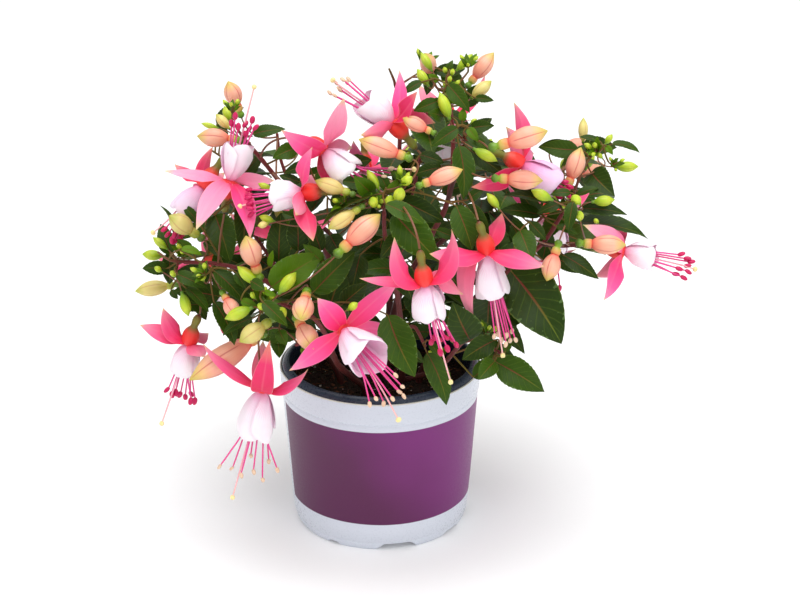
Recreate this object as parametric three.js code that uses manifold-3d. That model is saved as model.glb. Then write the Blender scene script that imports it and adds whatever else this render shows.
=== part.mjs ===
// Potted fuchsia: a bushy plant in a 12 cm round plastic pot. Millimetres, +Z up, origin on the floor under the pot's middle.
import * as THREE from 'three';
import Module from 'manifold-3d';

// ---- driving dimensions (mm)
const POT_HEIGHT = 104;
const POT_RIM_RADIUS = 61;
const POT_MOUTH_RADIUS = 55;
const POT_FOOT_RADIUS = 51;
const POT_SIDES = 40;
const FLOOR_TOP = 7.5;
const DRAIN_HOLE_RADIUS = 2.6;
const DRAIN_HOLE_CIRCLE = 31;
const DRAIN_HOLES = 6;
const SOIL_GAP = 0.3;
const SOIL_TOP = 87;
const STEM_FOOT_Z = 70;
const SOCKET_CLEARANCE = 0.5;
const PETAL_SIDES = 6;
const SEPAL_HALF_THICKNESS = 0.5;
const ANTHER_RADIUS = 0.7;

// Woody branches and green shoot axes: [id, node, parent id, parent segment, place along it, base radius, tip radius, sides, centre line, joined apart]
const BRANCHES = [
  [1,"leafy_stem_left",0,0,0,2.3,1.1,5,[-24,-2,70,-23.9,-1.6,89.4,-30.9,-5.5,107.1,-38.6,-12.9,123.4,-44.1,-23.9,138.6,-49.7,-35.5,153.2,-58.8,-44.7,167.6,-73.9,-47.4,179.4,-92.3,-49.1,185.3,-111.7,-50,186.9],0],
  [2,"leafy_stem_upper_left",0,0,0,2.3,1.1,5,[-13,14,70,-13.1,14.3,90.8,-16.8,13.8,111.4,-21.2,11,131.5,-25.3,3.6,150.6,-29.4,-5.7,168.8,-34.8,-14.6,186.9,-43.2,-21.1,204.8,-53.8,-26.1,222.1,-64.6,-31.2,239.2,-75.2,-38,255.9],0],
  [3,"leafy_stem_centre",0,0,0,2.4,1.1,5,[3,6,70,2.9,6.2,90.4,5,6.1,110.8,8.1,4.5,130.9,12.6,-2.7,149.4,18.2,-13.8,165.7,24.1,-25.3,181.5,31,-33.8,198.8,38.9,-36,217.4,41.9,-33.1,237.3,42,-28.9,257.3,39.8,-26,277.5],0],
  [4,"leafy_stem_centre",3,8,0.11,1.4,0.9,4,[39.5,-36,219.5,42.4,-43.1,233.7,45.4,-48.8,248.4,48.4,-50,264.2],0],
  [5,"leafy_stem_right",0,0,0,2.3,1.1,5,[24,2,70,24,2.4,90.2,31.6,-2.1,108.5,40.6,-8.7,125.4,49.1,-18.6,141.1,57.6,-29.9,155.7,67.6,-39.6,170.5,80.7,-45.9,184.7,94.1,-50.4,199.3,103.8,-52,217],0],
  [6,"leafy_stem_right",5,7,0.92,1.3,0.9,4,[93.1,-50,198,105.3,-59.6,200.6,120.5,-62,203.3],0],
  [7,"leafy_stem_front_left",0,0,0,2.2,1.1,5,[-9,-19,70,-8.8,-18.7,90.4,-17.1,-30.1,105.3,-24.5,-43.3,119.5,-28,-56.4,135.2,-31,-69.5,151,-37.7,-81.5,166.3,-54,-88,176.9],0],
  [8,"leafy_stem_front_left",7,2,0.9,1.4,0.9,4,[-24,-42,118,-27.4,-51.7,128.4,-30.9,-61.4,138.7,-35.8,-71.4,147.9,-47,-80,148.2],1],
  [9,"leafy_stem_front",0,0,0,2.2,1.1,5,[12,-15,70,12.2,-14.6,89.5,13.6,-23.9,106.6,14,-33.8,123.5,12.8,-40.9,141.7,11.1,-47.4,160.1,9.1,-54.1,178.5,6.6,-62.4,196,3.5,-72.6,212.5,3.2,-82,229.7],0],
  [10,"leafy_stem_front",9,3,0.03,1.4,0.9,4,[14,-34,124,15.7,-44.5,136.2,17.5,-55.5,147.8,21,-69.4,154,26.1,-84,149.4],0],
  [11,"leafy_stem_front",9,1,0.31,1.7,1,4,[12.4,-15.5,96,22.7,-23.7,102.6,31.6,-32.6,110,37.4,-42.5,119.1,41.3,-52.6,128.9,45,-62.9,138.7,49.3,-73.5,147.8,57.3,-84.6,152.3,68.2,-94,149.6],0],
  [12,"leafy_stem_back",0,0,0,2.4,1.1,5,[4,26,70,4.1,26.3,91,4.9,33.5,110.9,6,42.1,130.2,7.5,51.6,149,9.1,61.1,167.8,10.5,68.3,187.6,11.5,72.3,208.4,12,74.1,229.4,10,70,250],0],
  [13,"leafy_stem_back",12,2,0.97,1.7,1.1,4,[6,42,130,-4.8,48.4,138.6,-15.5,54.8,147.3,-26.5,60.8,155.9,-37.7,65.9,164.8,-49.6,68.7,173.9,-61.8,69.6,182.9,-74,70,192],0],
  [14,"leafy_stem_back",12,2,0.97,1.7,1.1,4,[6,42,130,16.2,49.6,137.8,26.4,57.2,145.6,37.1,64,153.6,48.6,68.6,161.8,61,69.3,170,73.5,67.9,178.1,86,66,186],0],
  [15,"leafy_stem_back",12,2,0.97,1.6,1,4,[6,42,130,7.6,57.2,134.8,9.3,72.6,139,11.5,88.3,140.1,14,104,138],0],
  [16,"leafy_stem_left",1,2,0.91,1.4,0.9,4,[-38,-12,122,-46.4,-4.2,134.9,-54.9,3.6,147.8,-63.7,11.5,160.3,-73.1,19.6,172.3,-82.9,27.8,184,-93,35.9,195.4,-104,44,206],0],
  [17,"leafy_stem_upper_left",2,3,0.18,1.4,0.9,4,[-22,10,135,-29,17.9,147.4,-36.1,25.7,159.8,-42.9,32.9,172.8,-49.3,38.6,186.6,-55.3,43.1,201.1,-60.6,46.3,216.1,-62,44,232],0],
  [18,"leafy_stem_centre",3,3,0.47,1.4,0.9,4,[10,2,140,12.3,9.1,155,14.6,16.1,170.2,17.1,22.2,185.6,20.1,27.1,201.4,23.2,31.1,217.4,26.3,34.2,233.6,28,32,250],0],
  [19,"leafy_stem_right",5,3,0.16,1.4,0.9,4,[42,-10,128,52.4,-2.2,138.4,62.9,5.5,148.9,73.4,13,159.4,84.1,20.4,170,94.8,27.5,180.6,105.5,33.9,191.7,116,38,204],0],
  [20,"green_shoot_left",0,0,0,0.95,0.6,4,[-112.4,-50,187,-120,-51.4,188.8,-126.4,-50,193],0],
  [21,"green_shoot_left",20,0,0.32,0.8,0.5,4,[-115,-50.2,187.2,-116.2,-54,180.1,-113.2,-52,172.8],0],
  [22,"green_shoot_upper_left",0,0,0,0.95,0.6,4,[-75.6,-38.2,256.5,-79,-41.9,263.5,-82.1,-46,270.5],0],
  [23,"green_shoot_upper_left",22,0,0.29,0.8,0.5,4,[-76.9,-39.1,258.5,-74.1,-40.5,259.4,-71.4,-42,260.2],0],
  [24,"green_shoot_top",0,0,0,0.95,0.6,4,[39.7,-25.9,278.2,38,-26,286,40.3,-24,293.4],0],
  [25,"green_shoot_top",24,0,0.31,0.8,0.5,4,[39.4,-25.5,280.7,33.2,-27.9,283.8,29.5,-28,289.9],0],
  [26,"green_shoot_top",25,0,0.03,0.8,0.5,4,[39.4,-25.5,280.7,45.4,-24.4,286,50.5,-22,291.6],1],
  [27,"green_shoot_right",0,0,0,0.95,0.6,4,[104.1,-52.1,217.6,109.7,-51.4,227.8,113.9,-45.5,237.3,119.4,-38.9,245.5,127.4,-33,251.8],0],
  [28,"green_shoot_right",27,0,0.23,0.8,0.5,4,[105.4,-52.3,219.9,109.4,-55.1,221.4,113.4,-58,222.9],0],
  [29,"green_shoot_front_left",0,0,0,0.95,0.6,4,[-54.6,-88.2,177.3,-60.9,-92.2,181.3,-67.9,-96,184],0],
  [30,"green_shoot_front_left",29,0,0.29,0.8,0.5,4,[-56.6,-89,178.6,-62.3,-95.5,179,-66.8,-100,174.8],0],
  [31,"green_shoot_centre",0,0,0,0.95,0.6,4,[3.2,-82.3,230.3,3.1,-86.5,237.9,4.3,-88,246],0],
  [32,"green_shoot_centre",31,0,0.3,0.8,0.5,4,[3.1,-83.6,232.6,7,-86.8,237.9,10.9,-90,243.3],0],
  [33,"green_shoot_centre",31,0,0.3,0.8,0.5,4,[3.1,-83.6,232.6,-1.7,-86.8,236.2,-6.6,-90,239.7],0],
  [34,"green_shoot_back_left",0,0,0,0.95,0.6,4,[-74.6,70,192.4,-84.8,70.3,199.3,-94.9,69.3,206.3,-104,66,214],0],
  [35,"green_shoot_back_left",34,0,0.21,0.8,0.5,4,[-76.6,70.1,194,-81.3,77,197,-86,84,200],0],
  [36,"green_shoot_back_right",0,0,0,0.95,0.6,4,[86.6,65.9,186.4,98.1,65.1,193.2,109.1,62.5,200.3,118,56,208],0],
  [37,"green_shoot_back_right",36,0,0.19,0.8,0.5,4,[88.8,65.6,187.7,93.4,73.8,191.9,98,82,196],0],
  [38,"green_shoot_back_top",0,0,0,0.95,0.6,4,[9.9,69.9,250.7,8.6,68.5,257,7,66.5,262,5.4,64.5,266.4],0],
  [39,"green_shoot_back_top",38,0,0.23,0.8,0.5,4,[9.7,69.4,253.2,16.8,70.7,257.6,24,72,262],0],
];
// Leaves: [id, node, parent id, segment, place, width, plain outline, stalk foot, stalk bend, blade base, blade bow, tip, face normal, joined apart]
const LEAVES = [
  [119,"green_shoot_upper_left",23,1,0.88,7.9,0,[-71.7,-41.8,260.1],0,[-70.6,-45.3,262.6],[-61.5,-46.3,265.7],[-52.1,-44.2,265.1],[-0.07,-0.631,0.772],0],
  [120,"leafy_stem_upper_left",2,9,0,8.9,0,[-64.6,-31.2,239.2],[-51.8,-43.6,250],[-45.3,-61.1,259.8],[-51.4,-66,258.8],[-58.6,-67.6,255.9],[0.264,-0.834,0.485],0],
  [121,"leafy_stem_upper_left",120,1,0.85,6.7,0,[-46.3,-58.5,258.3],[-40.9,-61.9,255.2],[-38,-66.2,251.6],[-45.2,-68.9,250.3],[-52.4,-68,247.5],[0,-0.921,0.391],1],
  [122,"leafy_stem_upper_left",121,1,0.85,5.2,1,[-38.4,-65.6,252.1],[-40,-66.9,246.7],[-43.6,-68.3,242.3],[-49.4,-68.9,245],[-55.3,-66.8,245.9],[0.072,-0.813,0.578],1],
  [123,"leafy_stem_left",1,7,0.83,5.7,1,[-89.2,-48.8,184.3],[-94.3,-48.2,195.1],[-103.1,-47.2,210.3],[-107.5,-46.9,215.6],[-112,-43.3,219.5],[0,-0.921,0.391],0],
  [124,"green_shoot_left",20,0,0.67,13.4,0,[-117.5,-50.9,188.2],[-116.5,-44.3,185],[-115.8,-36.8,184.6],[-117.1,-31.5,200.2],[-125.9,-24.9,212.6],[0.908,-0.15,0.392],0],
  [125,"leafy_stem_left",123,1,0.85,16.8,0,[-101.8,-47.3,208],[-98.3,-39.5,211.5],[-94.7,-30.2,208.1],[-90.5,-42.2,199.5],[-85.6,-48.3,186.3],[-0.09,-0.78,0.619],0],
  [126,"leafy_stem_left",125,1,0.85,12.7,0,[-92.3,-67.5,222.2],0,[-76.4,-64.9,231],[-74.7,-74.1,218.4],[-76.4,-76.8,203.1],[0.428,-0.832,0.353],0],
  [127,"green_shoot_front_left",29,0,0.67,13.4,0,[-58.8,-90.9,180],[-57.2,-87.4,187.7],[-55.5,-83.3,199.8],[-54.9,-81.2,214.2],[-54.3,-72.3,225.7],[0,-0.921,0.391],0],
  [128,"green_shoot_front_left",127,1,0.85,12.8,0,[-55.8,-83.9,198],[-50.2,-83.6,201],[-44.8,-82.9,206.8],[-45.3,-81.2,218.3],[-45.9,-74.1,227.5],[0,-0.921,0.391],0],
  [129,"green_shoot_front_left",128,1,0.15,9.5,0,[-49.4,-83.5,201.9],[-40.1,-83.9,202.8],[-31.9,-83.7,207.1],[-35.2,-82,218.3],[-40.3,-75.5,226.6],[0.304,-0.823,0.48],0],
  [130,"green_shoot_centre",31,1,0.33,15.2,0,[3.5,-87,240.6],0,[0.3,-92.5,244.2],[-17.6,-96,240.1],[-31.2,-99.5,227.6],[-0.466,-0.004,0.885],1],
  [131,"green_shoot_front_left",129,1,0.85,7.8,1,[-33.1,-83.7,206.5],0,[-31.2,-89.8,203],[-36.5,-89.6,208.3],[-41.8,-85.9,212.2],[0,-0.921,0.391],1],
  [132,"green_shoot_front_left",29,1,0.33,17.7,0,[-63.2,-93.5,182.2],0,[-59.2,-95.3,190.3],[-45.1,-95.8,200.1],[-31,-88.4,206.6],[0,-0.921,0.391],0],
  [133,"green_shoot_front_left",129,1,0.85,10.1,0,[-33.1,-83.7,206.5],[-31.4,-82.7,197.1],[-33.3,-83,187],[-44.5,-87.4,184.6],[-55.7,-86.1,179.8],[0,-0.921,0.391],0],
  [134,"green_shoot_front_left",29,0,0.33,15.5,0,[-56.7,-89.5,178.6],[-48,-94.5,181.9],[-35.8,-99.4,189],[-24.3,-98.8,201.1],[-12.9,-90.5,209.8],[0,-0.921,0.391],0],
  [135,"green_shoot_centre",31,1,0.88,10,0,[4.2,-87.8,245],[2.7,-95.2,244.1],[4.2,-103.6,242.5],[15.4,-107.8,239.8],[25.3,-107.9,232.6],[0.204,-0.669,0.715],0],
  [136,"green_shoot_centre",32,0,0.5,19.1,0,[5.1,-85.2,235.3],0,[8.7,-96.8,234.7],[21,-106.3,224.5],[33.3,-107.1,210.6],[0,-0.921,0.391],0],
  [137,"green_shoot_centre",31,0,0.33,12.2,0,[3.2,-83.7,232.8],0,[12,-80.7,236.3],[24.4,-86.4,232.1],[36.9,-85.4,225.1],[0,-0.921,0.391],0],
  [138,"leafy_stem_front",9,8,0.71,8.8,0,[3.3,-79.3,224.8],[8.5,-83.2,222.9],[12,-88.6,219.2],[6.5,-93.4,213.8],[1,-94,206.5],[0,-0.921,0.391],0],
  [139,"green_shoot_centre",31,1,0.67,13.7,0,[3.9,-87.5,243.3],[22.2,-87.7,243.2],[42.9,-92.5,237.2],[47.2,-100.3,227.4],[51.4,-101.9,215],[0,-0.921,0.391],0],
  [140,"green_shoot_front_left",134,1,0.85,11.1,0,[-37.6,-98.7,187.9],[-30.4,-98.2,183],[-20.4,-97.8,180.5],[-13.2,-98.2,187.2],[-5.8,-93.9,192.1],[-0.038,-0.932,0.361],0],
  [141,"green_shoot_front_left",140,1,0.5,19.3,0,[-25.4,-98,181.8],[-11.3,-101.1,182.7],[5.4,-108,178.8],[12.8,-119.1,165],[20.3,-121.3,147.4],[0,-0.921,0.391],0],
  [142,"leafy_stem_front",10,3,0.88,13,0,[25.5,-82.2,150],[25.1,-94.2,155.2],[27,-109.3,156.5],[33.7,-118.3,145.1],[38.1,-120.6,129.9],[0.287,-0.833,0.473],0],
  [143,"leafy_stem_front",142,1,0.15,4.5,1,[25.4,-96.5,155.4],0,[28.7,-100.2,159.1],[31.5,-103.2,155.5],[34.3,-103.7,150.9],[0,-0.921,0.391],0],
  [144,"leafy_stem_right",5,7,0.57,30.7,0,[88.4,-48.5,193],[79.2,-63.4,196],[73.9,-83.8,195.2],[86.8,-102.1,182.4],[101.3,-109.7,162.5],[-0.125,-0.826,0.55],0],
  [145,"leafy_stem_front",11,7,0.88,16.8,0,[66.9,-92.9,149.9],0,[65.8,-98.5,146.1],[79.4,-105.6,140],[93,-105.1,130.6],[0,-0.921,0.391],0],
  [146,"leafy_stem_front",11,7,0.8,10,0,[66,-92.1,150.1],[66.1,-98.8,150.8],[64.8,-108.5,151.2],[61,-116.5,150.3],[55.3,-121.9,146.1],[0.414,-0.563,0.715],0],
  [147,"leafy_stem_front",11,7,0.8,12.3,0,[66,-92.1,150.1],0,[65,-99.8,160.1],[55.8,-104.5,156.1],[46.6,-104.1,149.8],[0,-0.921,0.391],1],
  [149,"leafy_stem_front",11,7,0.2,19.6,0,[59.5,-86.5,151.8],[55.8,-91.3,154.1],[51.1,-97.3,159],[46.9,-103.3,171.3],[41.1,-102.4,184.2],[0.225,-0.969,-0.105],0],
  [150,"leafy_stem_right",144,1,0.85,12.1,0,[74.7,-80.7,195.3],[75.5,-85.9,211.2],[77.7,-97.2,224.6],[80.2,-106.8,220.4],[83.5,-112.9,212.2],[-0.145,-0.642,0.752],0],
  [151,"leafy_stem_right",6,0,0.8,10.2,0,[102.9,-57.7,200.1],[101.6,-65.8,201.3],[103.3,-75.2,201.3],[114.2,-80,197.3],[123.5,-80.5,188.9],[0.239,-0.691,0.682],0],
  [152,"leafy_stem_right",5,8,0.88,17.5,0,[102.6,-51.8,214.9],0,[112.5,-51.8,211.5],[133.8,-54,213.3],[153.4,-54.8,204.4],[0.159,-0.129,0.979],0],
  [153,"green_shoot_right",28,1,0.5,11.2,0,[111.4,-56.5,222.2],0,[114.3,-54.8,221.1],[127.9,-57,222.7],[140.8,-56.1,218],[0.083,-0.444,0.892],0],
  [154,"green_shoot_right",27,3,0,10.2,0,[119.4,-38.9,245.5],0,[112.5,-42.6,252.1],[101.5,-44.8,254.3],[90.5,-41.7,254.2],[0,-0.921,0.391],0],
  [155,"green_shoot_right",27,3,0.5,8.8,0,[123.4,-35.9,248.7],0,[120.5,-34.6,251.1],[110.7,-37.9,248.1],[102.9,-39,240.6],[-0.382,-0.421,0.822],0],
  [156,"green_shoot_right",27,2,0.75,14.8,0,[118,-40.5,243.5],0,[120.5,-39.6,237.8],[125.1,-52,237.1],[132.5,-61.1,231.2],[-0.43,-0.474,0.768],0],
  [157,"leafy_stem_right",19,6,0.88,7.2,0,[114.7,37.5,202.5],[121.1,25.8,219.6],[136.9,12.3,236.6],[145.6,10.7,236.5],[153.4,10.5,232.2],[0.209,-0.311,0.927],0],
  [158,"green_shoot_right",27,3,0.88,4.9,1,[126.4,-33.7,251],0,[125.3,-30.4,253.2],[119.8,-30.5,255.8],[113.9,-29.4,255.6],[0.145,-0.441,0.886],0],
  [159,"green_shoot_right",27,3,0.88,3.4,1,[126.4,-33.7,251],0,[129.3,-31.4,250.6],[131.3,-33.2,248.6],[133.3,-33.4,245.9],[0,-0.921,0.391],0],
  [160,"green_shoot_right",28,0,0.5,7.1,0,[107.4,-53.7,220.7],[108.2,-64.2,229.5],[107.8,-78,234.1],[106,-83.2,227.3],[105,-84.5,218.8],[-0.19,-0.891,0.413],0],
  [163,"green_shoot_right",160,1,0.85,4.9,1,[107.9,-75.9,233.4],0,[106.9,-72.9,237.5],[101.1,-74.2,238.1],[95.3,-73.3,236.5],[-0.036,-0.701,0.713],0],
  [164,"green_shoot_right",160,1,0.15,14.7,0,[108.1,-66.3,230.2],0,[103.1,-67.8,226],[87,-66.6,234.1],[69,-64.7,233.3],[0.199,-0.086,0.976],0],
  [165,"green_shoot_right",28,0,0,9.5,0,[105.4,-52.3,219.9],[99.9,-59.6,220.4],[90.4,-67.3,222.3],[79.4,-68.5,225.9],[68,-66.2,224.9],[0.064,-0.592,0.803],0],
  [166,"green_shoot_right",27,1,0.5,7.1,0,[111.8,-48.4,232.6],0,[102.3,-51.9,232.7],[93.9,-52.8,235],[85.4,-51.4,233.7],[0.037,-0.547,0.836],0],
  [167,"leafy_stem_centre",4,2,0,8.3,0,[45.4,-48.8,248.4],[51,-51.1,249.9],[59.6,-54,251.4],[69.6,-56.4,251],[78.7,-56.2,246.2],[0.176,-0.487,0.856],1],
  [168,"green_shoot_right",160,1,0.85,5.9,1,[107.9,-75.9,233.4],0,[100.9,-74,231.4],[94.3,-76.5,229.9],[88.1,-76.2,226.3],[-0.113,-0.781,0.614],0],
  [169,"green_shoot_right",165,1,0.85,5.5,1,[91.8,-66.1,222],[93.9,-71.9,221.2],[98.7,-78.5,220],[105.2,-80.4,219.3],[111,-80.2,215.9],[0.181,-0.586,0.79],0],
  [170,"leafy_stem_right",150,1,0.5,6.7,1,[76.6,-91.6,217.9],0,[84.1,-80.3,223.1],[88.6,-83.8,219.2],[93,-84.2,213.9],[0,-0.921,0.391],0],
  [171,"green_shoot_top",25,1,0.88,8.9,0,[29.9,-28,289.2],[32.9,-37.2,292.2],[38.7,-49,292.5],[44.8,-54.4,286.4],[50.9,-55,278.2],[0,-0.921,0.391],0],
  [172,"green_shoot_top",171,0,0.6,5.3,1,[31.7,-33.5,291],[28.8,-35.6,291.2],[24.3,-38.4,290.9],[18.8,-41.1,288.8],[13.7,-41.1,284.7],[-0.145,-0.796,0.588],0],
  [173,"green_shoot_top",171,1,0.85,7.2,1,[37.8,-47.2,292.5],[36.4,-48.3,288.3],[33.1,-50.2,283.6],[26.3,-53.1,281.8],[19.5,-52.4,278.5],[0,-0.921,0.391],0],
  [174,"leafy_stem_centre",3,10,0.57,7.8,1,[40.7,-27.2,268.8],[39.7,-36.4,270.5],[36.6,-49.1,274.2],[33.4,-54.6,277.1],[27.6,-57.8,279.4],[0.733,-0.662,0.157],0],
  [175,"leafy_stem_centre",174,1,0.85,7.7,0,[37.1,-47.2,273.6],[42.6,-58.9,275.7],[43.8,-72.9,275.5],[36.4,-77.1,271.6],[29,-77,265.9],[0,-0.921,0.391],0],
  [176,"leafy_stem_centre",175,1,0.5,7.2,1,[43.2,-65.9,275.6],[46.2,-61.9,272.8],[51.4,-58.4,270.6],[58,-59.7,271.9],[64.5,-57.8,271.8],[0,-0.921,0.391],0],
  [177,"leafy_stem_centre",176,1,0.85,4.5,1,[50.6,-58.9,270.9],0,[46.5,-54.3,273.3],[46.8,-54.5,277.1],[47.1,-52.9,280.5],[-0.016,-0.98,0.197],0],
  [178,"leafy_stem_centre",175,1,0.85,5,1,[43.6,-70.8,275.5],0,[49.5,-67.9,273.8],[52.5,-70.6,270.7],[55.5,-70.9,266.7],[0,-0.921,0.391],0],
  [179,"leafy_stem_centre",176,1,0.5,6.1,1,[48.8,-60.1,271.7],0,[48.6,-63.2,267.5],[55,-66.1,265.2],[60.8,-66.2,260.4],[0.198,-0.734,0.65],0],
  [180,"leafy_stem_centre",175,1,0.5,12.5,0,[43.2,-65.9,275.6],0,[44.5,-73,265.1],[46.9,-82.1,252.9],[46.7,-84.6,237.7],[0.346,-0.853,0.39],0],
  [181,"green_shoot_top",26,1,0,4.5,1,[45.4,-24.4,286],[48.2,-30.3,283.5],[54.2,-37.1,281.1],[59.5,-38.6,281.1],[64.8,-37.6,279.7],[0.014,-0.875,0.484],1],
  [182,"green_shoot_top",173,1,0.5,4.5,1,[34.8,-49.2,286],0,[38.2,-48.3,285.3],[41.4,-50.4,284.4],[44.9,-50.6,282.7],[-0.127,-0.886,0.445],0],
  [183,"green_shoot_top",25,0,0.5,4.5,1,[36.3,-26.7,282.3],0,[33.5,-25.3,286.7],[30.8,-26.2,289.4],[27.8,-25.2,291.6],[0.182,-0.952,0.246],0],
  [184,"green_shoot_top",24,0,0.67,4,1,[38.6,-26,283.4],[38.1,-20.2,285.1],[38.8,-14,289.1],[40.5,-13.6,292.6],[42.2,-11.3,295.4],[0,-0.921,0.391],0],
  [185,"leafy_stem_centre",4,1,0.8,7.8,0,[44.8,-47.7,245.5],[42.2,-57.7,248.7],[35.1,-69.4,251.3],[27.1,-72.2,250.2],[19.2,-71.1,247.4],[0,-0.921,0.391],0],
  [186,"green_shoot_centre",33,1,0.5,9.9,0,[-4.1,-88.4,238],0,[-2.8,-86.2,241.9],[-7.1,-90.9,248],[-13.3,-91.5,254.2],[0.425,-0.905,-0.029],0],
  [187,"green_shoot_centre",31,1,0.33,6,1,[3.5,-87,240.6],0,[5.4,-84.6,243.6],[2.7,-83.9,249],[-0.1,-80.5,253.2],[0,-0.921,0.391],0],
  [188,"green_shoot_centre",139,1,0.15,5.5,1,[25.3,-88.4,242.3],[22.2,-82.4,243.3],[16.4,-76.4,245.9],[11.4,-76.7,249],[6.5,-74.3,250.9],[0,-0.921,0.391],0],
  [189,"green_shoot_centre",31,1,0.67,4.9,1,[3.9,-87.5,243.3],0,[4.9,-86.5,242.5],[8.7,-86.2,246.9],[12.5,-83.2,250.1],[0,-0.921,0.391],0],
  [190,"green_shoot_centre",139,1,0.85,9.4,0,[39.8,-91.8,238.1],0,[48.3,-87.5,235.9],[54.6,-93.4,229.1],[60.9,-94.2,220.2],[0,-0.921,0.391],0],
  [191,"green_shoot_centre",139,1,0.5,5.5,1,[32.6,-90.1,240.2],[39.6,-86.2,237.4],[49.5,-82.4,236.9],[54.2,-82.5,240.5],[58.9,-79.8,243],[0,-0.921,0.391],0],
  [192,"leafy_stem_front",138,1,0.85,5.5,1,[11.5,-87.8,219.8],[19.7,-89.7,222.1],[31.8,-93.2,223.4],[37.8,-95.7,221.7],[43.9,-95.1,218.8],[0,-0.921,0.391],0],
  [193,"green_shoot_left",20,1,0,5.2,1,[-120,-51.4,188.8],[-117.7,-57.1,194.6],[-111.8,-63.8,200.4],[-105.6,-65.2,200.2],[-99.9,-65.1,197.2],[0.162,-0.52,0.838],0],
  [194,"leafy_stem_left",1,8,0.67,5.1,1,[-105.2,-49.7,186.4],[-105.4,-49.7,190.1],[-106.9,-49.7,194.8],[-111.2,-49.8,197.9],[-115.5,-47.5,200],[0,-0.921,0.391],0],
  [195,"green_shoot_left",124,1,0.5,8.1,1,[-116.1,-40.5,184.8],[-118.5,-37.4,180.6],[-123.2,-34.9,176.7],[-130.5,-36.6,177.4],[-137.7,-34.9,176.7],[0,-0.921,0.391],0],
  [196,"green_shoot_left",21,0,0.33,7.9,0,[-115.4,-51.5,184.8],[-116.3,-59.3,186.2],[-114.1,-68.3,187],[-105.3,-71.7,184.9],[-97.1,-71.4,179.7],[0.136,-0.758,0.638],0],
  [197,"green_shoot_left",21,1,0.33,4,1,[-115.2,-53.3,177.7],[-117.8,-52.6,174.6],[-119.5,-52.9,170.7],[-117.6,-55.3,169],[-115.5,-56.2,166.5],[-0.125,-0.838,0.531],0],
  [198,"green_shoot_left",196,1,0.85,8,0,[-114.4,-66.9,186.9],0,[-109.3,-68.5,178.5],[-101.6,-72.5,173.8],[-96.3,-73.9,165.7],[0.472,-0.528,0.706],0],
  [199,"green_shoot_left",193,1,0.85,10.5,0,[-112.7,-62.8,199.5],[-104.5,-69.5,197.5],[-92.2,-78.6,193],[-82.5,-84.3,186.9],[-74.9,-85.6,176.5],[0.338,-0.684,0.646],0],
  [200,"green_shoot_left",199,1,0.85,11.3,0,[-94,-77.2,193.7],[-94.5,-76.1,184.9],[-93,-77.1,173.5],[-85.8,-84.5,164.1],[-81.1,-86.5,151.1],[0.362,-0.773,0.52],0],
  [201,"green_shoot_front_left",30,0,0,8.3,0,[-56.6,-89,178.6],[-61.9,-86.9,173.4],[-70.6,-85.8,167.4],[-80.2,-88.8,165.2],[-88,-89.6,158.7],[-0.327,-0.441,0.836],0],
  [202,"green_shoot_front_left",29,1,0.88,6.6,1,[-67.1,-95.5,183.7],[-69.5,-97.7,190.4],[-70,-102,196.6],[-66.6,-105.8,195.9],[-62.3,-107.6,193.7],[-0.341,-0.756,0.559],0],
  [203,"green_shoot_front_left",202,1,0.5,5,1,[-69.7,-99.8,193.5],0,[-76.3,-96.3,182.9],[-71.3,-98.5,181.4],[-66.3,-98,178.8],[0,-0.921,0.391],0],
  [204,"green_shoot_front_left",202,1,0.85,3.3,1,[-69.9,-101.4,195.7],[-67.2,-101.8,193.5],[-63,-102.8,191],[-59.4,-104.2,190.1],[-55.8,-103.8,188.5],[0,-0.921,0.391],0],
  [205,"green_shoot_front_left",204,1,0.85,8.1,0,[-63.6,-102.6,191.4],0,[-63.3,-109.2,187.2],[-55.9,-113.8,182.4],[-49.5,-114.5,174.8],[0.193,-0.808,0.557],0],
  [206,"green_shoot_left",199,1,0.85,5.6,1,[-94,-77.2,193.7],[-87.5,-80,195.4],[-79.5,-84.7,194.9],[-76.7,-87.8,191.1],[-73.9,-88.4,186.2],[0,-0.921,0.391],0],
  [207,"green_shoot_front_left",127,1,0.5,4,1,[-56.3,-85.3,193.8],[-58.3,-87.5,196],[-60.2,-89.5,199.9],[-59.9,-88.6,204.7],[-58.5,-85.8,208.6],[-0.503,-0.756,0.418],0],
  [208,"leafy_stem_front_left",7,6,0.86,6.7,1,[-51.7,-87.1,175.4],[-54.2,-90.3,170.6],[-55.6,-96.1,164.6],[-53.6,-100.5,162.4],[-51.1,-103,158.4],[-0.181,-0.717,0.673],0],
  [209,"leafy_stem_front_left",7,6,0.29,5,1,[-42.4,-83.4,169.3],[-43.2,-90.5,164.4],[-42.1,-100,156.6],[-39.9,-102.8,153.2],[-37.7,-103.3,148.9],[0,-0.921,0.391],0],
  [210,"leafy_stem_upper_left",121,1,0.5,7.8,1,[-39.4,-64,253.4],[-35.4,-65.6,242.9],[-27,-69.7,232.1],[-21.2,-73,231.8],[-14.8,-73.4,230.1],[-0.197,-0.88,0.432],1],
  [211,"leafy_stem_upper_left",210,1,0.15,9,0,[-34.1,-66.2,241.3],[-28.3,-60.6,244],[-18.8,-55.9,247.9],[-11.4,-57.6,250.1],[-3.7,-55.6,250.8],[-0.057,-0.923,0.38],1],
  [212,"green_shoot_centre",188,1,0.85,7.8,1,[17.3,-77.3,245.5],[18.5,-71,251.6],[23.1,-65.7,257.3],[30,-67.9,256.5],[36.4,-67.5,253.2],[0.108,-0.738,0.666],0],
  [213,"leafy_stem_upper_left",210,1,0.85,11.2,0,[-28.3,-69.1,233.7],[-28.6,-69.9,224.3],[-27.1,-73.9,212.8],[-23.3,-81.1,208.3],[-18.7,-84.5,201],[-0.139,-0.785,0.604],1],
  [214,"leafy_stem_front",9,7,0.86,12.3,0,[3.9,-71.1,210.1],[-2.9,-73.9,207.7],[-10.3,-79.4,203],[-12.5,-87.3,196.3],[-14.8,-90.8,186.6],[0.045,-0.826,0.563],0],
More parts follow.
